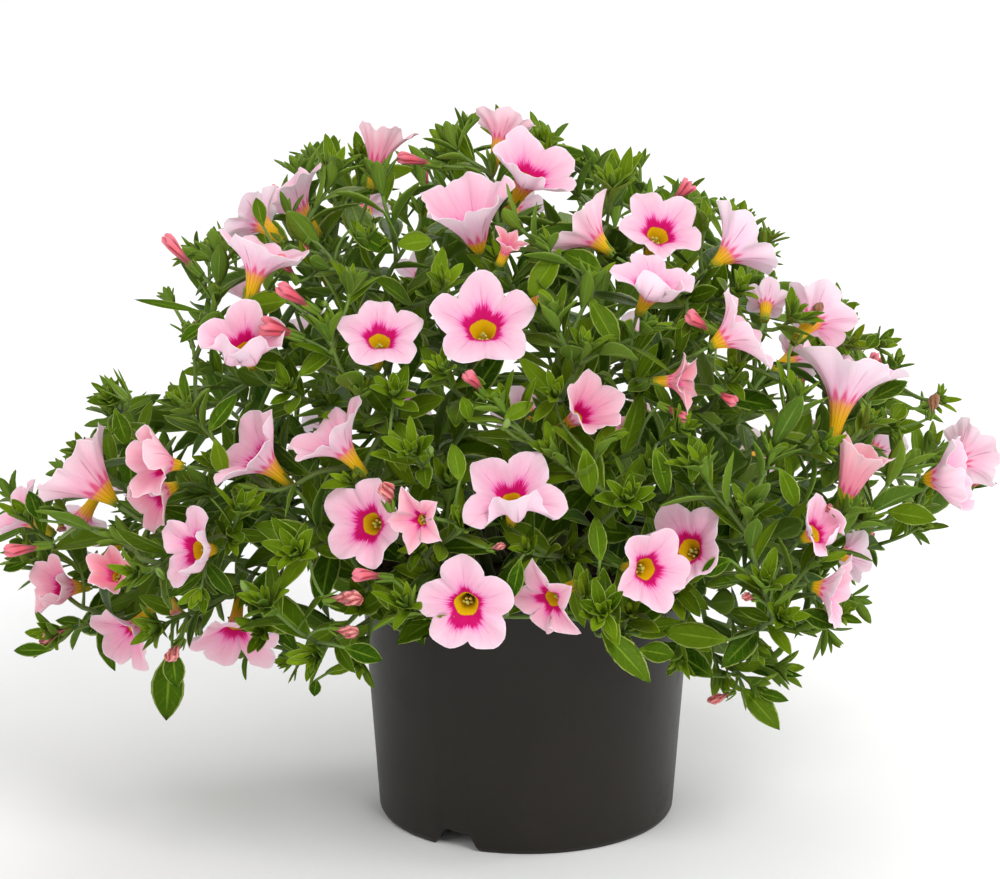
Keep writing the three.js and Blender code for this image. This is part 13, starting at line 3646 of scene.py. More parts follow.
# shoot tips: branch, last two points of the stem, size in hundredths, 1 for a fuller one
ROSETTES = """
3 151 152 98 0
5 165 166 107 0
7 172 173 109 0
6 179 180 104 0
6 186 187 102 0
9 193 194 106 0
7 200 201 99 0
7 207 208 110 0
9 214 215 110 0
0 221 222 114 0
3 228 229 118 0
1 235 236 104 0
11 242 243 97 0
11 249 250 102 0
5 256 257 97 0
8 263 264 97 0
0 270 271 112 0
6 277 278 97 0
4 284 285 100 0
3 291 292 90 1
1 298 299 112 0
8 305 306 109 0
6 312 313 103 0
11 326 327 91 0
4 333 334 115 0
0 340 341 114 0
8 347 348 98 0
10 354 355 89 0
11 361 362 104 0
3 368 369 94 0
9 375 376 112 0
4 382 383 102 0
6 396 397 101 0
10 403 404 118 0
10 410 411 97 0
5 417 418 111 0
3 431 432 97 0
7 438 439 106 0
8 445 446 113 0
8 452 453 113 0
1 459 460 100 0
2 466 467 110 0
5 473 474 93 0
3 480 481 115 0
11 487 488 106 0
9 494 495 101 0
8 501 502 107 0
1 508 509 111 0
3 515 516 80 1
9 522 523 105 0
7 529 530 102 0
2 536 537 120 0
3 543 544 95 1
8 550 551 106 0
3 557 558 99 0
8 564 565 97 0
5 571 572 118 0
11 578 579 102 0
3 585 586 100 0
0 592 593 109 0
9 599 600 94 0
6 606 607 117 0
11 613 614 117 0
5 620 621 104 0
7 627 628 100 0
7 634 635 111 0
0 641 642 102 0
7 648 649 105 0
10 655 656 100 0
11 662 663 106 0
7 669 670 109 0
7 676 677 119 0
5 690 691 107 0
3 697 698 117 0
0 704 705 96 0
6 711 712 106 0
1 718 719 95 0
4 725 726 101 0
6 732 733 103 0
10 739 740 107 0
1 746 747 111 0
0 753 754 97 0
6 760 761 108 0
2 767 768 97 0
5 774 775 117 0
5 781 782 96 0
10 788 789 93 0
4 795 796 116 0
11 802 803 109 0
2 809 810 101 0
7 816 817 113 0
3 823 824 97 0
9 830 831 98 0
6 837 838 105 0
0 844 845 99 0
4 851 852 100 0
11 858 859 104 0
10 865 866 70 1
11 872 873 90 1
5 879 880 104 0
0 886 887 102 0
8 893 894 119 0
1 900 901 115 0
9 907 908 103 0
4 914 915 113 0
10 928 929 108 0
10 935 936 100 1
0 942 943 107 0
7 949 950 109 0
7 956 957 109 0
4 963 964 108 0
4 970 971 100 0
1 977 978 109 0
6 984 985 105 0
6 991 992 99 0
6 998 999 109 0
5 1005 1006 105 0
8 1012 1013 103 0
0 1019 1020 114 0
11 1026 1027 113 0
8 1033 1034 104 0
9 1040 1041 99 0
10 1047 1048 80 1
11 1054 1055 111 0
0 1061 1062 105 0
10 1068 1069 110 1
8 1075 1076 106 0
8 1082 1083 111 0
1 1089 1090 96 0
2 1096 1097 96 0
4 1103 1104 100 0
10 1110 1111 90 1
8 1117 1118 117 0
3 1124 1125 80 1
2 1131 1132 108 0
2 1138 1139 118 0
10 1145 1146 100 1
9 1152 1153 99 0
9 1159 1160 97 0
5 1166 1167 94 0
1 1173 1174 115 0
1 1180 1181 95 0
10 1187 1188 105 1
2 1194 1195 112 0
3 1201 1202 115 1
11 1208 1209 112 0
7 1215 1216 91 0
6 1222 1223 90 1
11 1229 1230 106 0
10 1236 1237 100 1
3 1243 1244 110 1
9 1250 1251 95 0
8 1257 1258 114 0
2 1264 1265 115 0
10 1271 1272 100 1
3 1278 1279 110 1
6 1285 1286 90 1
0 1292 1293 86 0
0 1299 1300 98 0
11 1306 1307 113 0
2 1313 1314 101 0
3 1320 1321 88 0
3 1327 1328 90 1
3 1334 1335 80 1
10 1341 1342 105 1
2 1348 1349 106 0
4 1355 1356 98 0
4 1362 1363 80 0
0 1369 1370 98 0
11 1376 1377 105 1
9 1383 1384 101 0
10 1390 1391 105 1
4 1397 1398 93 0
11 1404 1405 110 1
7 1411 1412 94 0
4 1418 1419 90 0
0 1425 1426 97 0
6 1432 1433 90 1
1 1439 1440 90 1
1 1446 1447 90 1
5 1453 1454 110 0
5 1460 1461 107 0
1 1467 1468 100 1
2 1474 1475 111 0
11 1481 1482 106 0
7 1488 1489 101 0
5 1495 1496 94 0
0 1502 1503 91 0
3 1509 1510 90 1
7 1516 1517 93 0
0 1523 1524 104 0
1 1530 1531 90 1
4 1537 1538 100 0
5 1544 1545 109 0
6 1551 1552 100 1
11 1558 1559 100 1
11 1565 1566 101 0
6 1572 1573 90 1
6 1579 1580 98 0
6 1586 1587 109 0
3 1593 1594 90 1
1 1600 1601 90 1
1 1607 1608 105 0
3 1614 1615 70 1
8 1621 1622 92 0
0 1628 1629 96 0
11 1635 1636 70 1
9 1642 1643 107 0
6 1649 1650 80 1
6 1656 1657 86 0
4 1663 1664 102 0
6 1670 1671 100 1
0 1677 1678 92 0
11 1684 1685 80 1
5 1691 1692 106 0
2 1698 1699 96 0
3 1705 1706 110 1
11 1712 1713 100 1
8 1719 1720 97 0
8 1726 1727 95 0
0 1733 1734 66 0
4 1740 1741 107 0
1 1747 1748 90 1
6 1754 1755 115 1
7 1761 1762 93 0
3 1768 1769 90 1
2 1775 1776 108 0
4 1782 1783 96 0
0 1789 1790 67 0
5 1796 1797 105 0
6 1803 1804 90 1
6 1810 1811 88 0
4 1817 1818 92 0
6 1824 1825 60 1
0 1831 1832 70 1
8 1838 1839 93 0
8 1845 1846 93 0
3 1852 1853 105 1
4 1859 1860 110 0
1 1866 1867 96 0
8 1873 1874 111 0
7 1880 1881 110 0
8 1887 1888 98 0
0 1894 1895 70 1
8 1901 1902 86 0
1 1908 1909 100 1
2 1915 1916 97 0
7 1922 1923 105 0
4 1929 1930 90 0
8 1936 1937 101 0
6 1943 1944 110 1
6 1950 1951 90 1
8 1957 1958 107 0
7 1964 1965 95 0
1 1971 1972 100 1
6 1978 1979 50 1
6 1985 1986 90 1
8 1992 1993 102 0
1 1999 2000 70 1
2 2006 2007 96 0
5 2013 2014 97 0
6 2020 2021 110 1
0 2027 2028 105 0
6 2034 2035 70 1
5 2041 2042 112 0
11 2048 2049 95 1
8 2055 2056 104 0
0 2062 2063 70 1
1 2069 2070 100 1
8 2076 2077 101 0
6 2083 2084 110 1
8 2090 2091 99 0
1 2097 2098 86 0
11 2104 2105 99 0
2 2111 2112 102 0
1 2118 2119 110 1
11 2125 2126 107 0
1 2132 2133 100 1
8 2139 2140 71 0
11 2146 2147 80 1
1 2153 2154 80 1
6 2160 2161 115 1
8 2167 2168 99 0
1 2174 2175 60 1
1 2181 2182 70 1
5 2188 2189 108 0
1 2195 2196 115 1
2 2202 2203 97 0
11 2209 2210 90 1
1 2216 2217 110 1
2 2223 2224 109 0
1 2230 2231 50 1
11 2237 2238 80 1
11 2244 2245 90 1
2 2251 2252 108 0
11 2258 2259 80 1
11 2265 2266 100 1
2 2272 2273 97 0
"""


# ---- small helpers ------------------------------------------------------------------------------
def unit(a):
    a = np.asarray(a, float)
    return a / max(np.linalg.norm(a), 1e-9)


def units(a):
    return a / np.maximum(np.linalg.norm(a, axis=-1, keepdims=True), 1e-9)


def smooth(x, lo, hi):
    t = np.clip((x - lo) / (hi - lo), 0, 1)
    return t * t * (3 - 2 * t)


class Build:
    """Gathers grids of faces, each corner with its own UV, into one mesh. Positions are in millimetres."""

    def __init__(self):
        self.co, self.tone, self.rnd, self.ext = [], [], [], []
        self.loops, self.size, self.uv, self.mat = [], [], [], []
        self.n = 0

    def points(self, co, tone=0.0, rnd=0.0, ext=0.0):
        co = np.asarray(co, float).reshape(-1, 3)
        k = len(co)
        self.co.append(co)
        self.tone.append(np.broadcast_to(np.asarray(tone, float), (k,)))
        self.rnd.append(np.broadcast_to(np.asarray(rnd, float), (k,)))
        self.ext.append(np.broadcast_to(np.asarray(ext, float), (k,)))
        self.n += k
        return self.n - k

    def faces(self, idx, uv, mat):
        idx = np.asarray(idx, np.int64)
        self.loops.append(idx.reshape(-1))
        self.size.append(np.full(len(idx), idx.shape[1]))
        self.uv.append(np.asarray(uv, float).reshape(-1, 2))
        self.mat.append(np.full(len(idx), mat))

    def grid(self, base, nu, nv, U, V, mat, closed=False, flip=False):
        """Quads over a grid whose point (i, j) is base + i * nv + j; U has an entry more than nu where the grid closes."""
        i, j = np.meshgrid(np.arange(nu if closed else nu - 1), np.arange(nv - 1), indexing="ij")
        i, j = i.ravel(), j.ravel()
        i2 = (i + 1) % nu
        q = np.stack([base + i * nv + j, base + i2 * nv + j, base + i2 * nv + j + 1, base + i * nv + j + 1], 1)
        u = np.stack([U[i], U[i + 1], U[i + 1], U[i]], 1)
        v = np.stack([V[j], V[j], V[j + 1], V[j + 1]], 1)
        if flip:
            q, u, v = q[:, ::-1], u[:, ::-1], v[:, ::-1]
        self.faces(q, np.stack([u, v], 2), mat)

    def mesh(self, name, mats):
        me = bpy.data.meshes.new(name)
        co = np.concatenate(self.co) * MM
        loops = np.concatenate(self.loops).astype(np.int32)
        size = np.concatenate(self.size).astype(np.int32)
        me.vertices.add(len(co))
        me.vertices.foreach_set("co", co.astype(np.float32).ravel())
        me.loops.add(len(loops))
        me.loops.foreach_set("vertex_index", loops)
        me.polygons.add(len(size))
        start = np.concatenate([[0], np.cumsum(size)[:-1]]).astype(np.int32)
        me.polygons.foreach_set("loop_start", start)
        me.polygons.foreach_set("material_index", np.concatenate(self.mat).astype(np.int32))
        me.polygons.foreach_set("use_smooth", np.ones(len(size), bool))
        uv = me.uv_layers.new(name="Surface")
        uv.data.foreach_set("uv", np.concatenate(self.uv).astype(np.float32).ravel())
        for key, val in (("tone", self.tone), ("rnd", self.rnd), ("ext", self.ext)):
            a = me.attributes.new(key, "FLOAT", "POINT")
            a.data.foreach_set("value", np.concatenate(val).astype(np.float32))
        me.update(calc_edges=True)
        me.validate()
        o = bpy.data.objects.new(name, me)
        bpy.context.scene.collection.objects.link(o)
        for m in mats:
            me.materials.append(m)
        return o


# ---- node materials -----------------------------------------------------------------------------
class Nodes:
    def __init__(self, name):
        self.m = bpy.data.materials.new(name)
        self.m.use_nodes = True
        self.t = self.m.node_tree
        self.t.nodes.clear()
        self.out = self.t.nodes.new("ShaderNodeOutputMaterial")
        self.p = self.t.nodes.new("ShaderNodeBsdfPrincipled")
        self.t.links.new(self.p.outputs[0], self.out.inputs[0])

    def put(self, socket, val):
        if isinstance(val, bpy.types.NodeSocket):
            self.t.links.new(val, socket)
        elif isinstance(val, (tuple, list)) and socket.type == "RGBA":
            socket.default_value = (*val[:3], 1)
        else:
            socket.default_value = val

    def math(self, op, a, b=0.0, c=0.0, clamp=False):
        n = self.t.nodes.new("ShaderNodeMath")
        n.operation, n.use_clamp = op, clamp
        for k, v in enumerate((a, b, c)):
            self.put(n.inputs[k], v)
        return n.outputs[0]

    def add(self, a, b): return self.math("ADD", a, b)
    def sub(self, a, b): return self.math("SUBTRACT", a, b)
    def mul(self, a, b): return self.math("MULTIPLY", a, b)
    def absv(self, a): return self.math("ABSOLUTE", a)
    def fract(self, a): return self.math("FRACT", a)

    def ramp(self, x, lo, hi, smoothly=True):
        """0 below lo, 1 above hi; lo may lie above hi, which turns it round."""
        n = self.t.nodes.new("ShaderNodeMapRange")
        n.interpolation_type = "SMOOTHSTEP" if smoothly else "LINEAR"
        n.clamp = True
        self.put(n.inputs["Value"], x)
        if not isinstance(lo, bpy.types.NodeSocket) and not isinstance(hi, bpy.types.NodeSocket) and lo > hi:
            lo, hi, a, b = hi, lo, 1.0, 0.0
        else:
            a, b = 0.0, 1.0
        self.put(n.inputs["From Min"], lo)
        self.put(n.inputs["From Max"], hi)
        n.inputs["To Min"].default_value, n.inputs["To Max"].default_value = a, b
        return n.outputs[0]

    def mix(self, f, a, b, blend="MIX"):
        n = self.t.nodes.new("ShaderNodeMix")
        n.data_type, n.blend_type = "RGBA", blend
        self.put(n.inputs[0], f)
        self.put(n.inputs[6], a)
        self.put(n.inputs[7], b)
        return n.outputs[2]

    def uv(self):
        n = self.t.nodes.new("ShaderNodeUVMap")
        n.uv_map = "Surface"
        s = self.t.nodes.new("ShaderNodeSeparateXYZ")
        self.t.links.new(n.outputs[0], s.inputs[0])
        return s.outputs[0], s.outputs[1]

    def attr(self, name):
        n = self.t.nodes.new("ShaderNodeAttribute")
        n.attribute_name = name
        return n.outputs["Fac"]

    def combine(self, x, y, z=0.0):
        n = self.t.nodes.new("ShaderNodeCombineXYZ")
        for k, v in enumerate((x, y, z)):
            self.put(n.inputs[k], v)
        return n.outputs[0]

    def obj(self):
        return self.t.nodes.new("ShaderNodeTexCoord").outputs["Object"]

    def noise(self, vec, scale, detail=2.0, rough=0.5, color=False, distort=0.0):
        n = self.t.nodes.new("ShaderNodeTexNoise")
        self.put(n.inputs["Vector"], vec)
        n.inputs["Scale"].default_value = scale
        n.inputs["Detail"].default_value = detail
        n.inputs["Roughness"].default_value = rough
        n.inputs["Distortion"].default_value = distort
        return n.outputs["Color" if color else "Fac"]

    def voronoi(self, vec, scale, feature="F1"):
        n = self.t.nodes.new("ShaderNodeTexVoronoi")
        n.feature = feature
        self.put(n.inputs["Vector"], vec)
        n.inputs["Scale"].default_value = scale
        return n.outputs["Distance"]

    def bump(self, height, distance, strength=1.0):
        n = self.t.nodes.new("ShaderNodeBump")
        n.inputs["Strength"].default_value = strength
        n.inputs["Distance"].default_value = distance
        self.put(n.inputs["Height"], height)
        self.put(self.p.inputs["Normal"], n.outputs[0])

    def set(self, **k):
        names = dict(base="Base Color", rough="Roughness", spec="Specular IOR Level", sss="Subsurface Weight",
                     sheen="Sheen Weight", sheen_rough="Sheen Roughness", coat="Coat Weight", coat_rough="Coat Roughness",
                     sss_scale="Subsurface Scale", metal="Metallic")
        for key, v in k.items():
            self.put(self.p.inputs[names[key]], v)
        return self


def petal_coords(n):
    """Distance from the lobe's middle vein (0 on it, 1 between lobes), the limb coordinate (0 throat, 1 rim), and a vector that closes round the flower."""
    u, v = n.uv()
    t = n.mul(n.absv(n.sub(n.fract(u), 0.5)), 2.0)
    side = n.sub(n.fract(u), 0.5)
    s = n.math("DIVIDE", n.sub(v, 0.4), 0.6)
    ang = n.mul(u, 2 * math.pi / 5)
    around = n.combine(n.math("COSINE", ang), n.math("SINE", ang), n.mul(v, 0.35))
    rnd = n.attr("rnd")
    shift = n.t.nodes.new("ShaderNodeVectorMath")
    shift.operation = "ADD"
    n.put(shift.inputs[0], around)
    n.put(shift.inputs[1], n.combine(n.mul(rnd, 37.0), n.mul(rnd, 11.0), n.mul(rnd, 5.0)))
    return u, v, t, side, s, shift.outputs[0], ang, rnd


def petal_face():
    n = Nodes("petal_face")
    u, v, t, side, s, vec, ang, rnd = petal_coords(n)
    tone = n.attr("tone")
    streak = n.noise(vec, 15.0, 3.0, 0.62)
    soft = n.noise(vec, 3.2, 2.0, 0.5)
    body = n.mix(tone, (0.890, 0.450, 0.600), (0.850, 0.225, 0.280))
    light = n.mix(tone, (0.925, 0.600, 0.725), (0.900, 0.400, 0.440))
    base = n.mix(n.ramp(n.add(s, n.mul(n.sub(soft, 0.5), 0.5)), 0.45, 1.10), body, light)
    # painted highlight: a whitish band along the rim
    base = n.mix(n.mul(n.ramp(s, 0.955, 1.0), 0.65), base, (0.950, 0.780, 0.850))
    # a little deeper towards the ring, the petal's own colour; painted shade in the folds between the lobes
    base = n.mix(n.mul(n.ramp(s, 0.66, 0.20), 0.24), base, (0.850, 0.200, 0.500))
    base = n.mix(n.mul(n.ramp(t, 0.80, 1.0), 0.16), base, (0.780, 0.250, 0.460))
    # fine veins that leave the middle vein and run to the rim
    warped = n.add(n.mul(t, 3.2), n.mul(n.sub(streak, 0.5), 0.5))
    side_vein = n.absv(n.sub(n.fract(n.sub(warped, n.mul(s, 1.1))), 0.5))
    base = n.mix(n.mul(n.mul(n.ramp(side_vein, 0.12, 0.0), n.ramp(s, 0.98, 0.3)), 0.20), base, (0.740, 0.200, 0.400))
    base = n.mix(n.mul(n.ramp(streak, 0.50, 0.72), 0.16), base, (0.770, 0.260, 0.470))
    mid_line = n.mul(n.ramp(t, 0.046, 0.008), n.mul(n.ramp(s, 0.88, 0.50), n.ramp(s, 0.05, 0.2)))
    base = n.mix(n.mul(mid_line, n.add(0.12, n.mul(rnd, 0.32))), base, (0.600, 0.150, 0.290))
    # the magenta ring with a feathered outer edge
    edge = n.add(0.235, n.add(n.mul(n.sub(streak, 0.5), 0.42), n.mul(n.sub(soft, 0.5), 0.16)))
    edge = n.add(edge, n.add(n.mul(n.sub(0.5, n.absv(n.sub(t, 0.35))), 0.06), n.attr("ext")))
    near = n.sub(edge, s)
    halo = n.ramp(near, -0.20, 0.04)
    base = n.mix(n.mul(halo, n.mul(n.ramp(tone, 1.25, 0.6), 0.50)), base, (0.820, 0.060, 0.400))
    ring = n.ramp(near, -0.070, 0.070)
    ringcol = n.mix(n.ramp(near, -0.02, 0.11), (0.700, 0.012, 0.260), (0.530, 0.000, 0.120))
    base = n.mix(n.mul(ring, n.mul(n.ramp(tone, 1.35, 0.6), 0.99)), base, ringcol)
    # the yellow throat
    base = n.mix(n.mul(n.ramp(s, 0.050, 0.0), 0.80), base, (0.440, 0.010, 0.030))
    thr = n.add(s, n.mul(n.sub(streak, 0.5), 0.05))
    deep = n.ramp(v, 0.30, 0.10)
    yellow = n.mix(deep, (0.700, 0.440, 0.004), (0.600, 0.470, 0.012))
    line = n.absv(n.sub(n.fract(n.mul(u, 3.0)), 0.5))
    yellow = n.mix(n.mul(n.ramp(line, 0.14, 0.02), n.mul(n.ramp(v, 0.10, 0.34), 0.16)), yellow, (0.420, 0.170, 0.003))
    base = n.mix(n.ramp(thr, 0.020, -0.014), base, yellow)
    fine = n.noise(vec, 60.0, 2.0, 0.6)
    n.set(base=base, rough=0.60, spec=0.10, sss=0.42, sss_scale=0.0013)
    n.p.inputs["Subsurface Radius"].default_value = (1.0, 0.85, 0.90)
    veins = n.add(n.mul(mid_line, -0.8), n.mul(n.ramp(side_vein, 0.12, 0.0), -0.25))
    n.bump(n.add(veins, n.add(n.mul(streak, 0.55), n.mul(fine, 0.35))), 0.00022, 0.55)
    return n.m


def petal_back():
    n = Nodes("petal_back")
    u, v, t, side, s, vec, ang, rnd = petal_coords(n)
    tone = n.attr("tone")
    streak = n.noise(vec, 15.0, 3.0, 0.6)
    soft = n.noise(vec, 3.0, 2.0, 0.5)
    # the outside's own paler pink, lifted further as painted light for light shining through the thin petal
    body = n.mix(tone, (0.950, 0.570, 0.740), (0.850, 0.210, 0.260))
    light = n.mix(tone, (0.970, 0.710, 0.850), (0.910, 0.400, 0.430))
    base = n.mix(n.ramp(n.add(s, n.mul(n.sub(soft, 0.5), 0.5)), 0.30, 1.0), body, light)
    # painted highlight: a whitish band along the rim
    base = n.mix(n.mul(n.ramp(s, 0.955, 1.0), 0.5), base, (0.930, 0.740, 0.800))
    # fine veins
    warped = n.add(n.mul(t, 3.2), n.mul(n.sub(streak, 0.5), 0.5))
    side_vein = n.absv(n.sub(n.fract(n.sub(warped, n.mul(s, 1.1))), 0.5))
    base = n.mix(n.mul(n.mul(n.ramp(side_vein, 0.10, 0.0), n.ramp(s, 0.98, 0.3)), 0.18), base, (0.600, 0.150, 0.250))
    # magenta flames that rise between the middle veins
    flame = n.sub(n.add(n.mul(n.ramp(n.absv(n.sub(t, 0.52)), 0.42, 0.05), 0.20), n.mul(n.sub(streak, 0.5), 0.20)), n.sub(s, n.add(0.01, n.attr("ext"))))
    wide = n.mul(n.ramp(flame, -0.16, 0.08), n.ramp(v, 0.30, 0.40))
    base = n.mix(n.mul(wide, 0.50), base, (0.830, 0.150, 0.320))
    flame = n.mul(n.ramp(flame, 0.0, 0.12), n.ramp(v, 0.30, 0.40))
    base = n.mix(n.mul(flame, 0.72), base, (0.680, 0.035, 0.170))
    mid = n.ramp(t, 0.050, 0.010)
    mid = n.mul(mid, n.mul(n.ramp(s, 0.86, 0.55), n.ramp(v, 0.24, 0.34)))
    base = n.mix(n.mul(mid, n.add(0.28, n.mul(rnd, 0.36))), base, (0.360, 0.095, 0.130))
    # the tube, yellow with fine reddish lines
    tube = n.mix(n.ramp(n.add(v, n.mul(n.sub(streak, 0.5), 0.05)), 0.02, 0.16), (0.330, 0.340, 0.020), (0.780, 0.450, 0.008))
    tube = n.mix(n.ramp(v, 0.20, 0.40), tube, (0.840, 0.340, 0.090))
    line = n.absv(n.sub(n.fract(n.mul(u, 3.0)), 0.5))
    tube = n.mix(n.mul(n.ramp(line, 0.16, 0.02), 0.55), tube, (0.42, 0.11, 0.010))
    tube = n.mix(n.mul(n.ramp(n.noise(vec, 9.0, 3.0, 0.6), 0.45, 0.75), 0.30), tube, (0.60, 0.24, 0.015))
    base = n.mix(n.ramp(n.add(v, n.mul(n.sub(streak, 0.5), 0.12)), 0.420, 0.335), base, tube)
    n.set(base=base, rough=0.62, spec=0.10, sss=0.65, sss_scale=0.0014)
    n.p.inputs["Subsurface Radius"].default_value = (1.0, 0.85, 0.90)
    n.bump(n.add(n.mul(mid, 0.9), n.add(n.mul(streak, 0.6), n.mul(n.ramp(line, 0.16, 0.0), n.mul(n.ramp(v, 0.45, 0.35), 0.4)))), 0.00022, 0.55)
    return n.m


def leaf_side(upper):
    n = Nodes("leaf_upper" if upper else "leaf_under")
    u, v = n.uv()
    tone, rnd = n.attr("tone"), n.attr("rnd")
    obj = n.obj()
    side = n.mul(n.absv(n.sub(u, 0.5)), 2.0)
    blotch = n.noise(obj, 130.0, 3.0, 0.55)
    if upper:
        old, young = (0.017, 0.055, 0.0002), (0.215, 0.330, 0.006)
        vein_c, margin_hairs_and_glint_c = (0.190, 0.310, 0.020), (0.400, 0.510, 0.110)
    else:
        old, young = (0.062, 0.130, 0.012), (0.170, 0.280, 0.030)
        vein_c, margin_hairs_and_glint_c = (0.190, 0.300, 0.060), (0.320, 0.430, 0.100)
    # old to young by the tone attribute; for the listed leaves this tone also carries painted shade on the plant's left
    # and painted light in its middle
    base = n.mix(n.add(n.mul(tone, 0.95), n.mul(n.sub(rnd, 0.5), 0.42)), old, young)
    base = n.mix(n.mul(n.ramp(blotch, 0.35, 0.75), 0.35), base, (0.062, 0.145, 0.002) if upper else (0.120, 0.200, 0.020))
    base = n.mix(n.mul(n.ramp(rnd, 0.72, 1.0), 0.30), base, (0.140, 0.215, 0.006))
    # side veins, curved forward
    vv = n.sub(n.mul(v, 6.0), n.mul(n.math("POWER", side, 0.8), 1.5))
    vein = n.ramp(n.absv(n.sub(n.fract(vv), 0.5)), 0.10, 0.0)
    base = n.mix(n.mul(vein, 0.20), base, vein_c)
    midrib = n.ramp(side, 0.13, 0.03)
    base = n.mix(n.mul(midrib, n.mul(n.ramp(v, 1.0, 0.55), 0.62 if upper else 0.75)), base, vein_c)
    base = n.mix(n.mul(n.ramp(v, 0.22, 0.02), 0.45), base, vein_c)
    hairs = n.noise(obj, 620.0, 3.0, 0.65)
    base = n.mix(n.mul(n.ramp(hairs, 0.54, 0.74), 0.20), base, vein_c)
    # pale margin: partly the fine hairs on the edge, partly a painted highlight and glow of light through the thin edge
    rim = n.ramp(n.add(side, n.mul(n.sub(hairs, 0.5), 0.06)), 0.83, 0.93)
    base = n.mix(n.mul(rim, 0.85 if upper else 0.6), base, margin_hairs_and_glint_c)
    rough = n.add(0.40 if upper else 0.55, n.mul(n.sub(blotch, 0.5), 0.20))
    n.set(base=base, rough=rough, spec=0.11 if upper else 0.05)
    n.p.inputs["Specular Tint"].default_value = (0.85, 1.0, 0.45, 1)
    n.p.inputs["Subsurface Radius"].default_value = (0.45, 1.0, 0.15)
    cells = n.noise(obj, 900.0, 2.0, 0.5)
    h = n.add(n.add(n.mul(vein, -0.6), n.mul(midrib, -1.2)), n.add(n.mul(cells, 0.5), n.mul(blotch, 0.8)))
    n.bump(h, 0.00025, 0.6 if upper else 0.5)
    return n.m


def stem_material():
    n = Nodes("stem")
    u, v = n.uv()
    obj = n.obj()
    tone = n.attr("tone")
    streak = n.noise(n.combine(n.mul(u, 9.0), n.mul(v, 1.4), n.attr("rnd")), 3.0, 3.0, 0.6)
    base = n.mix(tone, (0.050, 0.042, 0.020), (0.130, 0.230, 0.030))
    base = n.mix(n.mul(n.ramp(streak, 0.40, 0.72), 0.45), base, n.mix(tone, (0.090, 0.100, 0.030), (0.200, 0.300, 0.060)))
    base = n.mix(n.mul(n.ramp(n.noise(obj, 170.0, 3.0, 0.6), 0.55, 0.75), 0.35), base, (0.120, 0.085, 0.035))
    n.set(base=base, rough=0.58, spec=0.3, sheen=0.25, sheen_rough=0.3)
    n.bump(n.add(streak, n.mul(n.noise(obj, 1400.0, 2.0, 0.6), 0.8)), 0.0002, 0.7)
    return n.m


def bud_material():
    """A folded corolla: coral between dark red stripes, purplish brown and then yellow at its foot. Youth 1 is green."""
    n = Nodes("folded_corolla")
    u, v = n.uv()
    tone, rnd = n.attr("tone"), n.attr("rnd")
    obj = n.obj()
    mott = n.noise(obj, 420.0, 3.0, 0.6)
    coral = n.mix(rnd, (0.640, 0.070, 0.110), (0.780, 0.150, 0.190))
    coral = n.mix(n.mul(n.ramp(v, 0.65, 1.0), 0.55), coral, (0.860, 0.300, 0.370))
    tw = n.fract(n.add(u, n.mul(v, 0.8)))
    stripe = n.ramp(n.absv(n.sub(tw, 0.5)), 0.24, 0.06)
    coral = n.mix(n.mul(stripe, n.mul(n.ramp(v, 1.10, 0.72), 0.92)), coral, (0.270, 0.016, 0.028))
    coral = n.mix(n.mul(n.ramp(v, 0.66, 0.38), 0.80), coral, (0.190, 0.035, 0.035))
    coral = n.mix(n.ramp(n.add(v, n.mul(n.sub(mott, 0.5), 0.16)), 0.36, 0.20), coral, (0.520, 0.330, 0.030))
    coral = n.mix(n.ramp(v, 0.14, 0.04), coral, (0.170, 0.250, 0.040))
    green = n.mix(mott, (0.145, 0.260, 0.040), (0.260, 0.360, 0.080))
    base = n.mix(tone, coral, green)
    n.set(base=base, rough=0.58, spec=0.3, sss=0.12, sss_scale=0.001, sheen=0.3, sheen_rough=0.35)
    n.p.inputs["Subsurface Radius"].default_value = (1.0, 0.4, 0.3)
    n.bump(n.add(n.mul(stripe, -1.0), n.mul(mott, 0.9)), 0.00022, 0.7)
    return n.m


def wilt_material():
    """A spent corolla: salmon to rose brown, with painted shade in its folds and a painted highlight on the ridges
    between them.
    """
    n = Nodes("spent_corolla")
    u, v = n.uv()
    tone, rnd = n.attr("tone"), n.attr("rnd")
    obj = n.obj()
    a = n.noise(obj, 260.0, 4.0, 0.65, distort=0.8)
    b = n.noise(obj, 900.0, 3.0, 0.6)
    base = n.mix(rnd, (0.640, 0.105, 0.120), (0.780, 0.220, 0.210))
    wound = n.fract(n.add(n.add(u, n.mul(v, 2.2)), n.mul(n.sub(a, 0.5), 0.7)))
    groove = n.absv(n.sub(wound, 0.5))
    # painted shade in the folds, then a painted highlight on the ridges
    base = n.mix(n.mul(n.ramp(groove, 0.22, 0.04), 0.85), base, (0.200, 0.018, 0.022))
    base = n.mix(n.mul(n.ramp(groove, 0.36, 0.48), 0.60), base, (0.880, 0.520, 0.440))
    base = n.mix(n.mul(n.ramp(a, 0.50, 0.36), 0.7), base, (0.260, 0.040, 0.030))
    base = n.mix(n.mul(n.ramp(b, 0.58, 0.75), 0.35), base, (0.820, 0.500, 0.400))
    base = n.mix(tone, base, n.mix(a, (0.150, 0.070, 0.030), (0.380, 0.200, 0.080)))
    base = n.mix(n.ramp(v, 0.22, 0.08), base, (0.420, 0.290, 0.040))
    n.set(base=base, rough=0.72, spec=0.2, sss=0.08, sss_scale=0.001, sheen=0.2, sheen_rough=0.5)
    n.bump(n.add(n.mul(n.ramp(groove, 0.0, 0.4), 1.2), n.add(a, n.mul(b, 0.5))), 0.0004, 0.9)
    return n.m


def stamen_material():
    n = Nodes("stamen")
    tone = n.attr("tone")
    g = n.noise(n.obj(), 2400.0, 2.0, 0.6)
    base = n.mix(tone, n.mix(g, (0.560, 0.430, 0.050), (0.800, 0.680, 0.160)), (0.420, 0.470, 0.080))
    n.set(base=base, rough=0.7, spec=0.2, sheen=0.2)
    n.bump(g, 0.00012, 0.8)
    return n.m


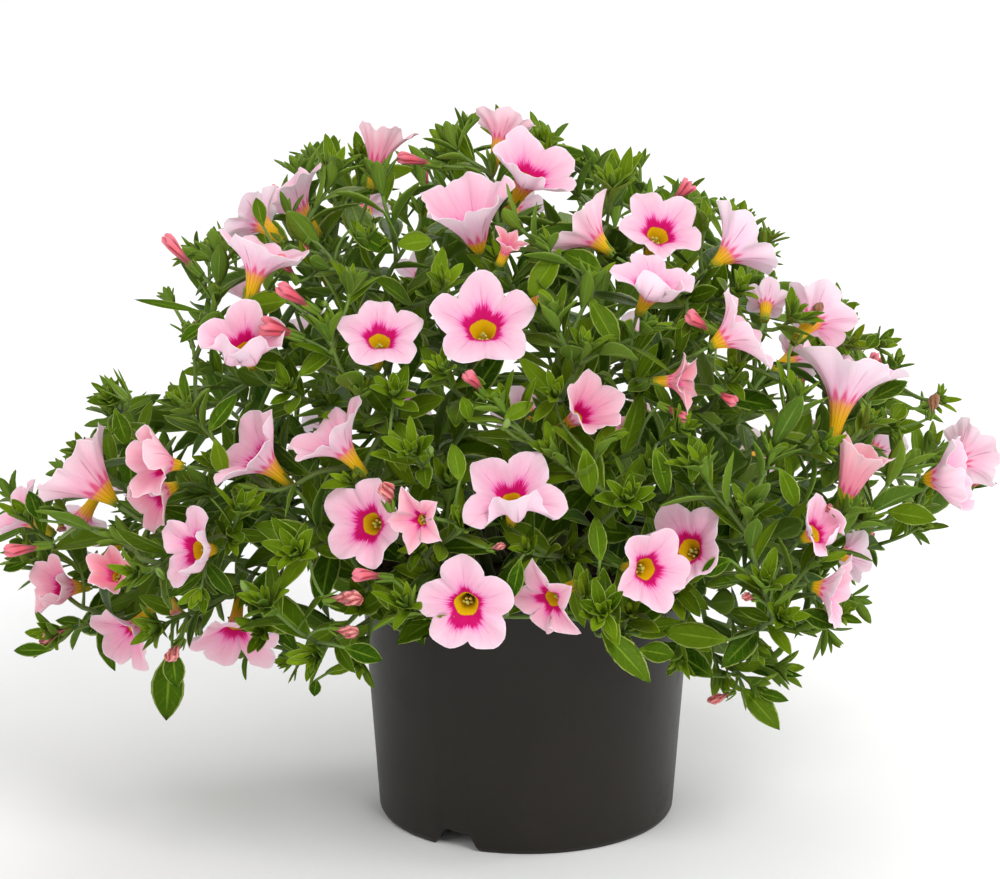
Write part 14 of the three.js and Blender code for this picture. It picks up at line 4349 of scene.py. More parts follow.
def pot_material():
    n = Nodes("moulded_plastic")
    obj = n.obj()
    fine = n.noise(obj, 2600.0, 2.0, 0.55)
    cloud = n.noise(obj, 22.0, 4.0, 0.6)
    dust = n.noise(obj, 60.0, 5.0, 0.7)
    base = n.mix(n.ramp(cloud, 0.3, 0.72), (0.0100, 0.0080, 0.0048), (0.0140, 0.0112, 0.0076))
    base = n.mix(n.mul(n.ramp(dust, 0.60, 0.82), 0.18), base, (0.055, 0.049, 0.042))
    # flow marks left by the mould
    s = n.t.nodes.new("ShaderNodeSeparateXYZ")
    n.put(s.inputs[0], obj)
    fringe = n.noise(n.combine(n.mul(s.outputs[0], 30.0), n.mul(s.outputs[1], 30.0), n.mul(s.outputs[2], 260.0)), 1.0, 3.0, 0.5)
    rough = n.add(n.add(0.40, n.mul(cloud, 0.10)), n.mul(n.ramp(dust, 0.5, 0.8), 0.14))
    n.set(base=base, rough=rough, spec=0.28)
    n.bump(n.add(n.mul(fine, 0.55), n.mul(fringe, 0.35)), 0.00012, 0.5)
    return n.m


def soil_material():
    n = Nodes("potting_mix")
    obj = n.obj()
    tone = n.attr("tone")
    a = n.noise(obj, 240.0, 5.0, 0.7)
    c = n.voronoi(obj, 420.0)
    base = n.mix(a, (0.012, 0.008, 0.005), (0.075, 0.045, 0.024))
    base = n.mix(n.mul(n.ramp(c, 0.35, 0.05), 0.4), base, (0.120, 0.080, 0.045))
    base = n.mix(tone, base, n.mix(a, (0.45, 0.42, 0.36), (0.70, 0.68, 0.62)))
    n.set(base=base, rough=0.92, spec=0.15)
    n.bump(n.add(a, n.mul(c, 0.6)), 0.0010, 0.9)
    return n.m


FACE, BACK = petal_face(), petal_back()
LEAF_UP, LEAF_UNDER = leaf_side(True), leaf_side(False)
STEM, BUD, WILT, STAMEN = stem_material(), bud_material(), wilt_material(), stamen_material()


# ---- leaves -------------------------------------------------------------------------------------
LEAF_ACROSS = np.array([-1.0, -0.62, 0.0, 0.62, 1.0])
LEAF_ALONG = np.array([0.0, 0.10, 0.24, 0.40, 0.56, 0.71, 0.84, 0.94, 1.0])


def leaf(b, foot, along, face, length, width, curl, tone, rnd, fold, twist, wave=0.0, thick=0.34, mats=(0, 1), along_t=None, stalk=0.15, blunt=0.92, across=None, full=0.88):
    """A lens-shaped blade folded along its middle rib: upper and under side share their edges."""
    ts = LEAF_ALONG if along_t is None else along_t
    us = LEAF_ACROSS if across is None else across
    nt, nu = len(ts), len(us)
    a = unit(along)
    n = unit(face - np.dot(face, a) * a)
    side = np.cross(n, a)
    mid = foot + np.outer(length * ts * (1 - 0.12 * abs(curl) * ts), a) - np.outer(length * curl * 0.5 * ts * ts, n)
    tang = units(np.gradient(mid, axis=0))
    nn = units(np.cross(tang, side))
    nn *= np.sign(np.sum(nn * n, axis=1))[:, None]
    ang = twist * ts
    sd = side * np.cos(ang)[:, None] + nn * np.sin(ang)[:, None]
    nm = nn * np.cos(ang)[:, None] - side * np.sin(ang)[:, None]
    prof = np.sin(math.pi * ts ** blunt) ** full
    half = width / 2 * np.maximum(prof, np.where(ts < 0.5, stalk, 0))
    half[-1] = 0
    top, bot = [], []
    for k, u in enumerate(us):
        rise = fold * abs(u) ** 1.2 * half * (1.0 - 0.25 * abs(u)) + wave * half * np.sin(ts * 15 + 3 * u + rnd * 6) * abs(u)
        p = mid + sd * (u * half)[:, None] + nm * rise[:, None]
        top.append(p)
        lens = thick * (1 - u * u) * np.minimum(1, half / 0.5)
        bot.append(p - nm * lens[:, None])
    top, bot = np.array(top), np.array(bot)
    # points: the upper side's five rows, then the under side's three inner rows
    base = b.points(top.reshape(-1, 3), tone, rnd)
    under = b.points(bot[1:-1].reshape(-1, 3), tone, rnd)
    V, U = ts, (us + 1) / 2
    i, j = np.meshgrid(np.arange(nu - 1), np.arange(nt - 1), indexing="ij")
    i, j = i.ravel(), j.ravel()

    def up(i, j): return base + i * nt + j

    def dn(i, j):
        edge = (i == 0) | (i == nu - 1)
        return np.where(edge, base + i * nt + j, under + (i - 1) * nt + j)

    tip = j == nt - 2
    for fn, mat, flip in ((up, mats[0], False), (dn, mats[1], True)):
        q = np.stack([fn(i, j), fn(i + 1, j), fn(i + 1, j + 1), fn(i, j + 1)], 1)
        uv = np.stack([np.stack([U[i], U[i + 1], U[i + 1], U[i]], 1), np.stack([V[j], V[j], V[j + 1], V[j + 1]], 1)], 2)
        # the tip's row closes on one point
        tq = np.stack([fn(i[tip], j[tip]), fn(i[tip] + 1, j[tip]), np.full(tip.sum(), base + (nu // 2) * nt + nt - 1)], 1)
        tuv = uv[tip][:, :3].copy()
        q, uv = q[~tip], uv[~tip]
        if flip:
            q, uv, tq, tuv = q[:, ::-1], uv[:, ::-1], tq[:, ::-1], tuv[:, ::-1]
        b.faces(q, uv, mat)
        b.faces(tq, tuv, mat)
    # the foot is closed between the two sides
    ring_up = [up(k, 0) for k in range(nu)]
    ring_dn = [int(dn(np.array([k]), np.array([0]))[0]) for k in range(nu)]
    for k in range(nu - 1):
        quad = [ring_up[k + 1], ring_up[k], ring_dn[k], ring_dn[k + 1]]
        f = [quad[0]]
        for x in quad[1:]:
            if x not in f:
                f.append(x)
        if len(f) >= 3:
            b.faces([f], [[0.5, 0.0]] * len(f), mats[1])


# ---- flowers ------------------------------------------------------------------------------------
# per style: slope of the limb at the throat and at the rim (degrees from the limb's plane), share of the slope
# that is lost early, depth of the notch between lobes, its sharpness, and how far the lobes' tips are drawn out
STYLES = {
    "flat": (40, 0, 0.50, 0.27, 2.6, 0.00),
    "open": (50, 14, 0.60, 0.28, 2.2, 0.02),
    "bowl": (54, 24, 0.70, 0.26, 2.2, 0.02),
    "funnel": (56, 34, 0.90, 0.24, 2.1, 0.03),
    "star": (46, 14, 0.70, 0.38, 1.35, 0.06),
    "cup": (80, 58, 1.00, 0.22, 1.9, 0.03),
    "cup2": (72, 44, 0.90, 0.24, 2.0, 0.02),
    "curl": (44, 14, 0.70, 0.27, 2.2, 0.02),
    "halfstar": (76, 40, 0.90, 0.36, 1.4, 0.08),
    "crumple": (74, 48, 0.90, 0.26, 1.8, 0.02),
}
CAM_E = 0.27250833219022136
RIGHT = np.array([1.0, 0, 0])
UPC = np.array([0, math.sin(CAM_E), math.cos(CAM_E)])


def plane_axes(f):
    e1 = RIGHT - np.dot(RIGHT, f) * f
    if np.linalg.norm(e1) < 0.2:
        e1 = UPC - np.dot(UPC, f) * f
    e1 = unit(e1)
    return e1, np.cross(f, e1)


def lobe_angle(f, degrees):
    """The angle in the limb's plane of a direction given in the front view, counterclockwise from the right."""
    d = math.radians(degrees)
    w = math.cos(d) * RIGHT + math.sin(d) * UPC
    e1, e2 = plane_axes(f)
    w = w - np.dot(w, f) * f
    return math.atan2(np.dot(w, e2), np.dot(w, e1))


# flowers with features of their own: "bends" are lobes by their direction in the front view, the angle that they
# bend by (more closes the lobe over the throat) and how far out from the throat the bend starts
LOOKS = {
    "f01": dict(a0=66, a1=34, notch=0.16, wave=2.0),
    "f02": dict(a0=50, a1=26, spin=36, sizes=[(-108, 0.80)], pows=[(-108, 1.5)], bends=[(-108, 66, 0.2), (-36, 24, 0.2), (180, 20, 0.2)]),
    "f03": dict(a0=70, a1=44, notch=0.13, wave=2.0, bends=[(-90, 10, 0.1)]),
    "f04": dict(wave=2.2, glow=0.10, scale=0.84, a0=74, a1=54, notch=0.18),
    "f07": dict(rt=0.21, edge=0.03, a0=48, a1=20, spin=90, sizes=[(-126, 1.12), (-54, 1.12)], bends=[(-126, 116, 0.14), (-54, 108, 0.14), (90, 14, 0.1)]),
    "f12": dict(a0=50, a1=12, spin=84, notch=0.34, bends=[(-132, 96, 0.05), (-60, 74, 0.06), (84, -14, 0.3), (12, -4, 0.2)]),
    "f15b": dict(scale=0.72),
    "f18": dict(rt=0.21, a0=72, a1=40, notch=0.20, spin=84, bends=[(-60, 30, 0.1)]),
    "f19": dict(a0=44, a1=8, spin=66, notch=0.38, rt=0.21, edge=0.02, fold=0.22, power=1.6, tip=0.04, sizes=[(-78, 1.22)], pows=[(-78, 1.4)], bends=[(-78, 112, 0.06), (66, 10, 0.1), (138, 16, 0.1), (-150, -4, 0.2), (-6, -8, 0.2)]),
    "f21": dict(a0=70, a1=18, notch=0.50, power=1.10, fold=0.38, tip=0.08, rt=0.17, edge=-0.04),
    "f08": dict(ring=(90, 0.05), a1=20, bends=[(-90, -30, 0.15), (-54, -30, 0.15), (-126, -30, 0.15)]),
    "f09": dict(ring=(90, 0.05), a1=18, notch=0.30, bends=[(-54, -26, 0.15), (-126, -26, 0.15)]),
    "f11": dict(a1=20, sizes=[(-100, 0.8)]),
    "f20": dict(a1=18, notch=0.26, power=1.9, ring=(-120, 0.08), sizes=[(160, 1.12)]),
    "f22": dict(a0=44, a1=4, notch=0.30, power=3.0, edge=-0.085, ring=(-95, 0.30), sizes=[(90, 1.10)]),
    "f25": dict(edge=-0.03, ring=(-100, 0.13)),
    "f24": dict(edge=-0.05, ring=(-60, 0.06), bends=[(-50, 22, 0.3), (110, 20, 0.2)]),
    "f23": dict(a0=54, a1=8, notch=0.54, power=1.10, fold=0.42, tip=0.10, rt=0.21, sizes=[(190, 1.15), (-60, 1.08)]),
    "f32": dict(notch=0.40, power=2.2, tip=0.0, a1=18, spin=75, bends=[(3, 52, 0.15), (-69, 84, 0.12)]),
    "f28": dict(a0=62, a1=46, notch=0.15, wave=2.6, rt=0.28, glow=0.05),
    "f17": dict(a0=58, a1=18, spin=36, notch=0.20, power=2.4, wave=2.4, edge=-0.12, bends=[(180, 84, 0.12), (-108, 52, 0.2), (108, 30, 0.2)]),
    "f17b": dict(a0=56, a1=30, notch=0.18, wave=2.6),
    "f30": dict(rt=0.22, a0=58, a1=30, bends=[(-10, 74, 0.1), (60, 30, 0.1)]),
    "f36": dict(a1=20, rt=0.16, edge=-0.02),
    "f35": dict(rt=0.20, edge=-0.12),
    "f16": dict(a0=64, a1=36, notch=0.18, wave=1.8),
    "f13": dict(a0=58, a1=30, notch=0.18, wave=1.8),
    "f14": dict(a0=60, a1=30, notch=0.22, wave=1.8),
    "f31": dict(a1=30, bends=[(90, 80, 0.1), (18, 40, 0.1)]),
    "f33": dict(a0=66, a1=26, bends=[(-60, 90, 0.1), (20, 40, 0.1)]),
    "f37": dict(edge=-0.08, a0=52, a1=20, bends=[(-70, 112, 0.10), (10, 84, 0.10), (150, 30, 0.1)]),
    "f39": dict(a0=80, a1=66, notch=0.14, rt=0.36),
    "f40": dict(a0=74, a1=30, notch=0.52, power=1.1, fold=0.42, tip=0.08, rt=0.2),
    "f42": dict(a0=76, a1=44, notch=0.40, power=1.2, fold=0.25),
}


def flower(b, name, style, C, f, R, L, tone, spin, fine=True):
    look = LOOKS.get(name, {})
    R, spin = R * look.get("scale", 1.0), math.radians(look["spin"]) if "spin" in look else spin
    a0, a1, early, notch, power, tip = STYLES[look.get("style", style)]
    notch = look.get("notch", notch * rng.uniform(0.85, 1.15))
    power = look.get("power", power)
    tip = look.get("tip", tip)
    a0, a1 = look.get("a0", a0), look.get("a1", a1 + rng.normal(0, 3))
    e1, e2 = plane_axes(f)
    th0 = lobe_angle(f, math.degrees(spin))
    nu = 60 if fine else 45
    tube_q = np.array([0.0, 0.10, 0.24, 0.42, 0.62, 0.82]) if fine else np.array([0.0, 0.14, 0.36, 0.68])
    limb_s = np.array([0.0, 0.05, 0.11, 0.18, 0.26, 0.35, 0.45, 0.56, 0.67, 0.78, 0.88, 0.95, 0.985, 1.0]) if fine else np.array([0.0, 0.08, 0.18, 0.30, 0.44, 0.58, 0.72, 0.86, 0.95, 1.0])
    nt, nl = len(tube_q), len(limb_s)
    nv = nt + nl
    th = th0 + np.arange(nu) / nu * 2 * math.pi - math.pi / 5
    lobe = np.floor(np.arange(nu) / nu * 5).astype(int)
    t = (np.arange(nu) / nu * 5 - lobe) * 2 - 1            # -1..1 across the lobe
    rt = look.get("rt", 0.247) * R
    rf = 1.25
    # how far each lobe bends from the plain style
    bend = rng.normal(0, 10.0, 5)
    start = np.full(5, 0.22)
    for deg, val, s0 in look.get("bends", ()):
        k = int(round((lobe_angle(f, deg) - th0) / (2 * math.pi / 5))) % 5
        bend[k], start[k] = val, s0
    size = 1 + rng.normal(0, 0.035, 5)
    for deg, val in look.get("sizes", ()):
        k = int(round((lobe_angle(f, deg) - th0) / (2 * math.pi / 5))) % 5
        size[k] = val
    w = np.cos(math.pi * np.abs(t) / 4) ** 2
    other = np.where(t > 0, (lobe + 1) % 5, (lobe - 1) % 5)
    size_t = size[lobe] * w + size[other] * (1 - w)
    skew = rng.normal(0, look.get("skew", 0.10), 5)
    tt = np.clip(np.abs(t + skew[lobe] * (1 - t * t)), 0, 1)
    pw = power * rng.uniform(0.80, 1.25, 5)
    for deg, val in look.get("pows", ()):
        pw[int(round((lobe_angle(f, deg) - th0) / (2 * math.pi / 5))) % 5] = val
    pw = pw[lobe]
    nd = (notch * rng.uniform(0.85, 1.15, 5))
    nd = np.where(t > 0, (nd + np.roll(nd, -1))[lobe] / 2, (nd + np.roll(nd, 1))[lobe] / 2)
    outline = size_t * (1 - nd * tt ** pw) * (1 + tip * np.exp(-(t / 0.16) ** 2))
    outline *= 1 + 0.010 * np.sin(np.arange(nu) / nu * 2 * math.pi * 11 + rng.uniform(0, 6.28)) + 0.008 * np.sin(np.arange(nu) / nu * 2 * math.pi * 17 + rng.uniform(0, 6.28))
    # the limb's slope from throat to rim, integrated to a curve
    S = np.linspace(0, 1, 61)
    slope0 = a0 + (a1 - a0) * (1 - (1 - S) ** (1 + 1.6 * (1 - early) + 0.6))
    flat_r = np.trapz(np.cos(np.radians(slope0)), S)
    flat_z = np.trapz(np.sin(np.radians(slope0)), S)
    ell = (R - rt) / flat_r
    zt = max(L - ell * flat_z, 0.42 * L)

    def curve(angle):
        dr, dz = np.cos(angle), np.sin(angle)
        return (np.interp(limb_s, S, np.concatenate([[0], np.cumsum((dr[1:] + dr[:-1]) / 2)]) / 60),
                np.interp(limb_s, S, np.concatenate([[0], np.cumsum((dz[1:] + dz[:-1]) / 2)]) / 60))

    plain_r, plain_z = curve(np.radians(slope0))
    bent = []
    for k in range(5):
        late = smooth(S, start[k], min(1.0, start[k] + (0.78 if abs(bend[k]) < 50 else 0.60)))
        bent.append(curve(np.radians(slope0 + bend[k] * late - look.get("lip", 10) * smooth(S, 0.86, 1.0))))
    k_slope = math.tan(math.radians(90 - a0)) * zt / (rt - rf)   # slope that the tube must reach at the throat
    p = max(1.2, min(4.0, (k_slope - 0.42) / 0.58))
    az = np.arange(nu) / nu * 2 * math.pi
    swell = 1 + 0.035 * np.cos(5 * (az - math.pi / 5))
    co = np.zeros((nu, nv, 3))
    rr = rf + (rt - rf) * (0.42 * tube_q + 0.58 * tube_q ** p)
    sw = 1 + (swell[:, None] - 1) * smooth(tube_q, 0.2, 1.0)[None]
    co[:, :nt, 0] = np.cos(th)[:, None] * rr * sw
    co[:, :nt, 1] = np.sin(th)[:, None] * rr * sw
    co[:, :nt, 2] = zt * tube_q
    ends = np.zeros((2, nu, nl, 3))
    for m, ks in enumerate((lobe, other)):
        for i in range(nu):
            k = ks[i]
            tk = th0 + k * 2 * math.pi / 5
            d = th[i] - tk
            d = (d + math.pi) % (2 * math.pi) - math.pi
            reach = ell * outline[i]
            r0 = (rt + reach * plain_r) * swell[i]
            rb = (rt + reach * bent[k][0]) * swell[i]
            x, y = rb * math.cos(d), r0 * math.sin(d)
            ends[m, i, :, 0] = x * math.cos(tk) - y * math.sin(tk)
            ends[m, i, :, 1] = x * math.sin(tk) + y * math.cos(tk)
            ends[m, i, :, 2] = zt + reach * bent[k][1]
    own = 1 - 0.5 * smooth(np.abs(t), 0.62, 1.0)
    co[:, nt:] = ends[0] * own[:, None, None] + ends[1] * (1 - own)[:, None, None]
    # pleats: the middle vein lies in a shallow valley, the fold between two lobes in another
    crease = rng.uniform(0.6, 1.5, 5)[lobe]
    s_full = np.concatenate([np.zeros(nt), limb_s])
    cup = rng.normal(0.02, 0.045, 5)[lobe] * w * 2
    lift = (0.078 * crease * (0.5 - np.exp(-(t / 0.30) ** 2)))[:, None] * (s_full * (1 - 0.35 * s_full))[None]
    lift += (cup * (t * t - 0.4))[:, None] * (s_full ** 1.6)[None]
    fold = look.get("fold", {"star": 0.12, "halfstar": 0.2}.get(style, 0.0))
    lift += (fold * (np.abs(t) - 0.4))[:, None] * (s_full ** 1.1)[None]
    lift -= (0.075 * np.exp(-((1 - np.abs(t)) / 0.16) ** 2))[:, None] * (s_full * (1 - 0.4 * s_full))[None]
    ph = rng.uniform(0, 6.28, 3)
    wave = 0.032 * np.sin(7 * az + ph[0]) + 0.020 * np.sin(13 * az + ph[1]) + 0.010 * np.sin(19 * az + ph[2])
    if style == "crumple":
        wave += 0.09 * np.sin(5 * az + ph[1]) + 0.07 * np.sin(9 * az + ph[2])
    lift += wave[:, None] * (s_full ** 2)[None] * look.get("wave", 1.35)
    d_th = np.roll(co, -1, 0) - np.roll(co, 1, 0)
    d_v = np.gradient(co, axis=1)
    nrm = units(np.cross(d_v, d_th))          # points into the flower, towards its axis and its front
    co = co + nrm * (lift * R)[:, :, None]
    d_th = np.roll(co, -1, 0) - np.roll(co, 1, 0)
    d_v = np.gradient(co, axis=1)
    nrm = units(np.cross(d_v, d_th))
    thick = np.concatenate([np.full(nt, 0.40), 0.34 - 0.18 * limb_s])
    inn = co.copy()
    out = co - nrm * thick[None, :, None]
    inn[:, 0] = inn[:, 0] * np.array([0.5, 0.5, 1]) + np.array([0, 0, 0.6])
    out[:, 0, 2] = np.minimum(out[:, 0, 2], -0.1)
    # the rim is one shared row, rounded
    rim = (inn[:, -1] + out[:, -1]) / 2
    frame_m = np.stack([e1, e2, f])
    foot = C - f * L

    def world(q): return foot + q.reshape(-1, 3) @ frame_m
    deg, more = look.get("ring", (-90, 0.0))
    ext = more * np.clip(np.cos(th - lobe_angle(f, deg)), 0, 1) ** 2 + look.get("edge", 0.0)
    nin = b.points(world(inn), tone, name_rnd(name), np.repeat(ext, nv))
    nout = b.points(world(out), tone, name_rnd(name), look.get("glow", 0.0))
    U = np.arange(nu + 1) / nu * 5
    V = np.concatenate([0.4 * tube_q, 0.4 + 0.6 * limb_s])
    b.grid(nin, nu, nv, U, V, 0, closed=True, flip=True)
    b.grid(nout, nu, nv, U, V, 1, closed=True, flip=False)
    i = np.arange(nu)
    i2 = (i + 1) % nu
    q = np.stack([nin + i2 * nv + nv - 1, nin + i * nv + nv - 1, nout + i * nv + nv - 1, nout + i2 * nv + nv - 1], 1)
    uv = np.stack([np.stack([U[i + 1], U[i], U[i], U[i + 1]], 1), np.ones((nu, 4))], 2)
    b.faces(q, uv, 0)
    c1 = b.points(world(np.array([[0, 0, 0.5]])), tone, name_rnd(name))
    c2 = b.points(world(np.array([[0, 0, -0.4]])), tone, name_rnd(name))
    tri = np.stack([nin + i2 * nv, np.full(nu, c1), nin + i * nv], 1)
    b.faces(tri, np.stack([np.stack([U[i + 1], U[i], U[i]], 1), np.zeros((nu, 3))], 2), 0)
    tri = np.stack([nout + i * nv, np.full(nu, c2), nout + i2 * nv], 1)
    b.faces(tri, np.stack([np.stack([U[i], U[i], U[i + 1]], 1), np.zeros((nu, 3))], 2), 1)

    def to_world(v): return foot + np.asarray(v) @ frame_m
    # sepals hug the foot of the tube
    for k in range(5):
        a = th0 + (k + 0.5) * 2 * math.pi / 5 + rng.normal(0, 0.08)
        rad = np.array([math.cos(a), math.sin(a), 0])
        spread = rng.uniform(0.10, 0.34)
        d = unit(np.array([0, 0, 1.0]) + rad * spread)
        fc = unit(-rad + np.array([0, 0, spread]))
        leaf(b, to_world(rad * 0.95 + np.array([0, 0, -1.3])), d @ frame_m, fc @ frame_m, rng.uniform(0.30, 0.40) * min(L, 22), rng.uniform(1.5, 2.0), rng.uniform(-0.5, -0.1), 0.55, rng.uniform(), 0.2, 0.0, thick=0.4, mats=(2, 3), along_t=np.array([0.0, 0.15, 0.4, 0.65, 0.85, 1.0]), stalk=0.7)
    # stamens and stigma
    if fine:
        for k in range(6):
            a = th0 + k * 1.2566 + 0.4
            off = 0.0 if k == 5 else rng.uniform(1.0, 1.5)
            h = zt * (0.86 if k == 5 else rng.uniform(0.66, 0.80))
            top = np.array([off * math.cos(a), off * math.sin(a), h])
            bottom = np.array([0.35 * math.cos(a), 0.35 * math.sin(a), 1.2])
            blob(b, to_world(top), 0.62 if k < 5 else 0.75, f, 4, 0.0 if k < 5 else 1.0)
            thread(b, to_world(bottom), to_world(top), 0.16, 4, 0.6)


def name_rnd(name):
    return (sum(ord(c) * (i + 3) for i, c in enumerate(name)) * 0.61803) % 1.0


def thread(b, p, q, radius, mat, tone):
    a = unit(q - p)
    s = unit(np.cross(a, [0.3, 0.5, 0.81]))
    t = np.cross(a, s)
    ang = np.arange(4) * math.pi / 2
    ring = np.outer(np.cos(ang), s) + np.outer(np.sin(ang), t)
    co = np.stack([p + ring * radius, q + ring * radius], 1)
    n0 = b.points(co, tone, 0.5)
    b.grid(n0, 4, 2, np.arange(5) / 4, np.array([0.0, 1.0]), mat, closed=True, flip=False)
    b.faces([[n0 + 6, n0 + 4, n0 + 2, n0]], [[0.5, 0]] * 4, mat)
    b.faces([[n0 + 1, n0 + 3, n0 + 5, n0 + 7]], [[0.5, 1]] * 4, mat)


def blob(b, c, r, axis, mat, tone):
    a = unit(axis)
    s = unit(np.cross(a, [0.3, 0.5, 0.81]))
    t = np.cross(a, s)
    ph = np.array([0.55, 1.2, 1.94, 2.59])
    ang = np.arange(7) / 7 * 2 * math.pi
    wob = 1 + rng.normal(0, 0.08, (7, 4))
    co = c + (np.sin(ph)[None, :, None] * (np.cos(ang)[:, None, None] * s + np.sin(ang)[:, None, None] * t * 0.8) * wob[:, :, None] - np.cos(ph)[None, :, None] * a * 0.9) * r
    n0 = b.points(co, tone, 0.5)
    b.grid(n0, 7, 4, np.arange(8) / 7, np.linspace(0, 1, 4), mat, closed=True)
    lo = b.points([c - a * r * 0.9], tone, 0.5)
    hi = b.points([c + a * r * 0.9], tone, 0.5)
    for i in range(7):
        j = (i + 1) % 7
        b.faces([[n0 + j * 4, n0 + i * 4, lo]], [[0.5, 0]] * 3, mat)
        b.faces([[n0 + i * 4 + 3, n0 + j * 4 + 3, hi]], [[0.5, 1]] * 3, mat)


# ---- buds and spent flowers -----------------------------------------------------------------------
def folded(b, P, Q, width, kind, rnd):
    """A corolla before or after it is open, with its calyx: five folds wound round the axis."""
    axis = unit(Q - P)
    L = np.linalg.norm(Q - P)
    s = unit(np.cross(axis, [0.21, 0.53, 0.82]))
    t = np.cross(axis, s)
    ragged = {"wilt": 0.12, "wiltp": 0.15, "dry": 0.12}.get(kind, 0.0)
    nu, q = (30 if L > 8 else 20), np.linspace(0, 1, 15 if L > 8 else 9)
    w = width / 2
    if kind in ("bud", "budd"):
        prof = np.interp(q, [0, 0.10, 0.30, 0.50, 0.70, 0.86, 0.95, 1], [0.42, 0.42, 0.44, 0.58, 0.84, 1.04, 0.98, 0.42])
    elif kind == "budo":
        prof = np.interp(q, [0, 0.10, 0.30, 0.50, 0.70, 0.86, 0.95, 1], [0.42, 0.42, 0.42, 0.60, 0.90, 1.12, 1.22, 0.70])
    elif kind == "budt":
        prof = np.interp(q, [0, 0.15, 0.40, 0.70, 0.90, 1], [0.55, 0.80, 1.0, 0.85, 0.50, 0.08])
    elif kind == "tube":
        prof = np.interp(q, [0, 0.10, 0.30, 0.60, 0.90, 1], [0.35, 0.38, 0.50, 0.80, 1.25, 1.15])
    elif kind == "calyx":
        prof = np.interp(q, [0, 0.15, 0.35, 0.6, 1], [0.60, 0.85, 0.80, 0.40, 0.05])
    else:
        prof = np.interp(q, [0, 0.10, 0.30, 0.45, 0.62, 0.80, 0.92, 1], [0.40, 0.38, 0.42, 0.72, 1.08, 1.12, 0.80, 0.22])
    wind = {"bud": 1.1, "budd": 1.3, "budo": 0.5, "wilt": 1.8, "wiltp": 2.2, "dry": 1.2}.get(kind, 0.0)
    deep = {"bud": 0.13, "budd": 0.12, "budo": 0.16, "budt": 0.05, "tube": 0.05, "wilt": 0.34, "wiltp": 0.36, "dry": 0.3}.get(kind, 0.08)
    ang = np.arange(nu) / nu * 2 * math.pi
    ph = rng.uniform(0, 6.28, 4)
    fold = 1 - deep * (0.5 + 0.5 * np.cos(5 * (ang[:, None] + wind * q[None] * 1.25)))
    if kind in ("budo", "tube"):
        fold *= 1 + 0.14 * smooth(q, 0.7, 1.0)[None] * np.cos(5 * ang)[:, None]
    rough = ragged * smooth(q, 0.3, 0.6)[None] * (np.sin(3 * ang[:, None] + 7 * q[None] + ph[0]) + 0.8 * np.sin(7 * ang[:, None] - 9 * q[None] + ph[1]) + 0.5 * np.sin(11 * ang[:, None] + 17 * q[None] + ph[2]))
    r = w * prof[None] * fold * (1 + rough)
    lean = np.outer(np.sin(q * 3.0) * w * 0.25, math.cos(ph[3]) * s + math.sin(ph[3]) * t)
    points = 0.07 if kind in ("bud", "budd", "budo") else 0.0
    along = q + points * smooth(q, 0.7, 1.0)[None] * np.cos(5 * (ang[:, None] + wind * 1.25) + math.pi) if points else q + (ragged * 0.35 * smooth(q, 0.5, 1.0))[None] * np.sin(4 * ang + ph[1])[:, None] if ragged else np.broadcast_to(q, (nu, len(q)))
    co = P + lean[None] + along[:, :, None] * L * axis + r[:, :, None] * (np.cos(ang)[:, None, None] * s + np.sin(ang)[:, None, None] * t)
    green = 1.0 if kind in ("budt", "calyx") else 0.0
    tone = green if kind in ("budt", "calyx") else (0.85 if kind == "dry" else 0.0)
    mat = 1 if kind in ("wilt", "wiltp", "dry") else 0
    n0 = b.points(co, tone, rnd)
    m = len(q)
    V = q if kind != "tube" else q * 0.34
    b.grid(n0, nu, m, np.arange(nu + 1) / nu * 5, V, mat, closed=True)
    lo = b.points([P - axis * 0.15], tone, rnd)
    hi = b.points([P + lean[-1] + axis * L * (1.01 if kind not in ("budo", "tube") else 0.90)], tone, rnd)
    i = np.arange(nu)
    j = (i + 1) % nu
    b.faces(np.stack([n0 + j * m, n0 + i * m, np.full(nu, lo)], 1), np.zeros((nu, 3, 2)), mat)
    b.faces(np.stack([n0 + i * m + m - 1, n0 + j * m + m - 1, np.full(nu, hi)], 1), np.stack([np.stack([i / nu * 5, (i + 1) / nu * 5, i / nu * 5], 1), np.full((nu, 3), V[-1])], 2), mat)
    # calyx
    reach = {"budt": 1.05, "calyx": 1.15}.get(kind, 0.52)
    for k in range(5):
        a = k * 2 * math.pi / 5 + ph[0]
        rad = math.cos(a) * s + math.sin(a) * t
        spread = rng.uniform(0.05, 0.22) + (0.25 if kind in ("calyx", "wilt", "wiltp", "dry") else 0)
        ln = max(3.2, reach * min(L, 15) * rng.uniform(0.85, 1.1))
        leaf(b, P + rad * w * 0.42 - axis * 0.8, unit(axis + rad * spread), unit(-rad + axis * spread), ln, max(1.1, min(2.0, w * 0.8)), rng.uniform(-0.35, 0.05), 0.5, rng.uniform(), 0.25, 0.0, thick=0.4, mats=(2, 3), along_t=np.array([0.0, 0.15, 0.4, 0.65, 0.85, 1.0]), stalk=0.75)


# ---- stems ----------------------------------------------------------------------------------------
def spline(p, per):
    """Points of a smooth curve through p (Catmull-Rom)."""
    q = np.vstack([2 * p[0] - p[1], p, 2 * p[-1] - p[-2]])
    out = []
    for k in range(len(p) - 1):
        a, b_, c, d = q[k:k + 4]
        for m in range(per):
            t = m / per
            out.append(0.5 * ((2 * b_) + (-a + c) * t + (2 * a - 5 * b_ + 4 * c - d) * t ** 2 + (-a + 3 * b_ - 3 * c + d) * t ** 3))
    out.append(p[-1])
    return np.array(out)


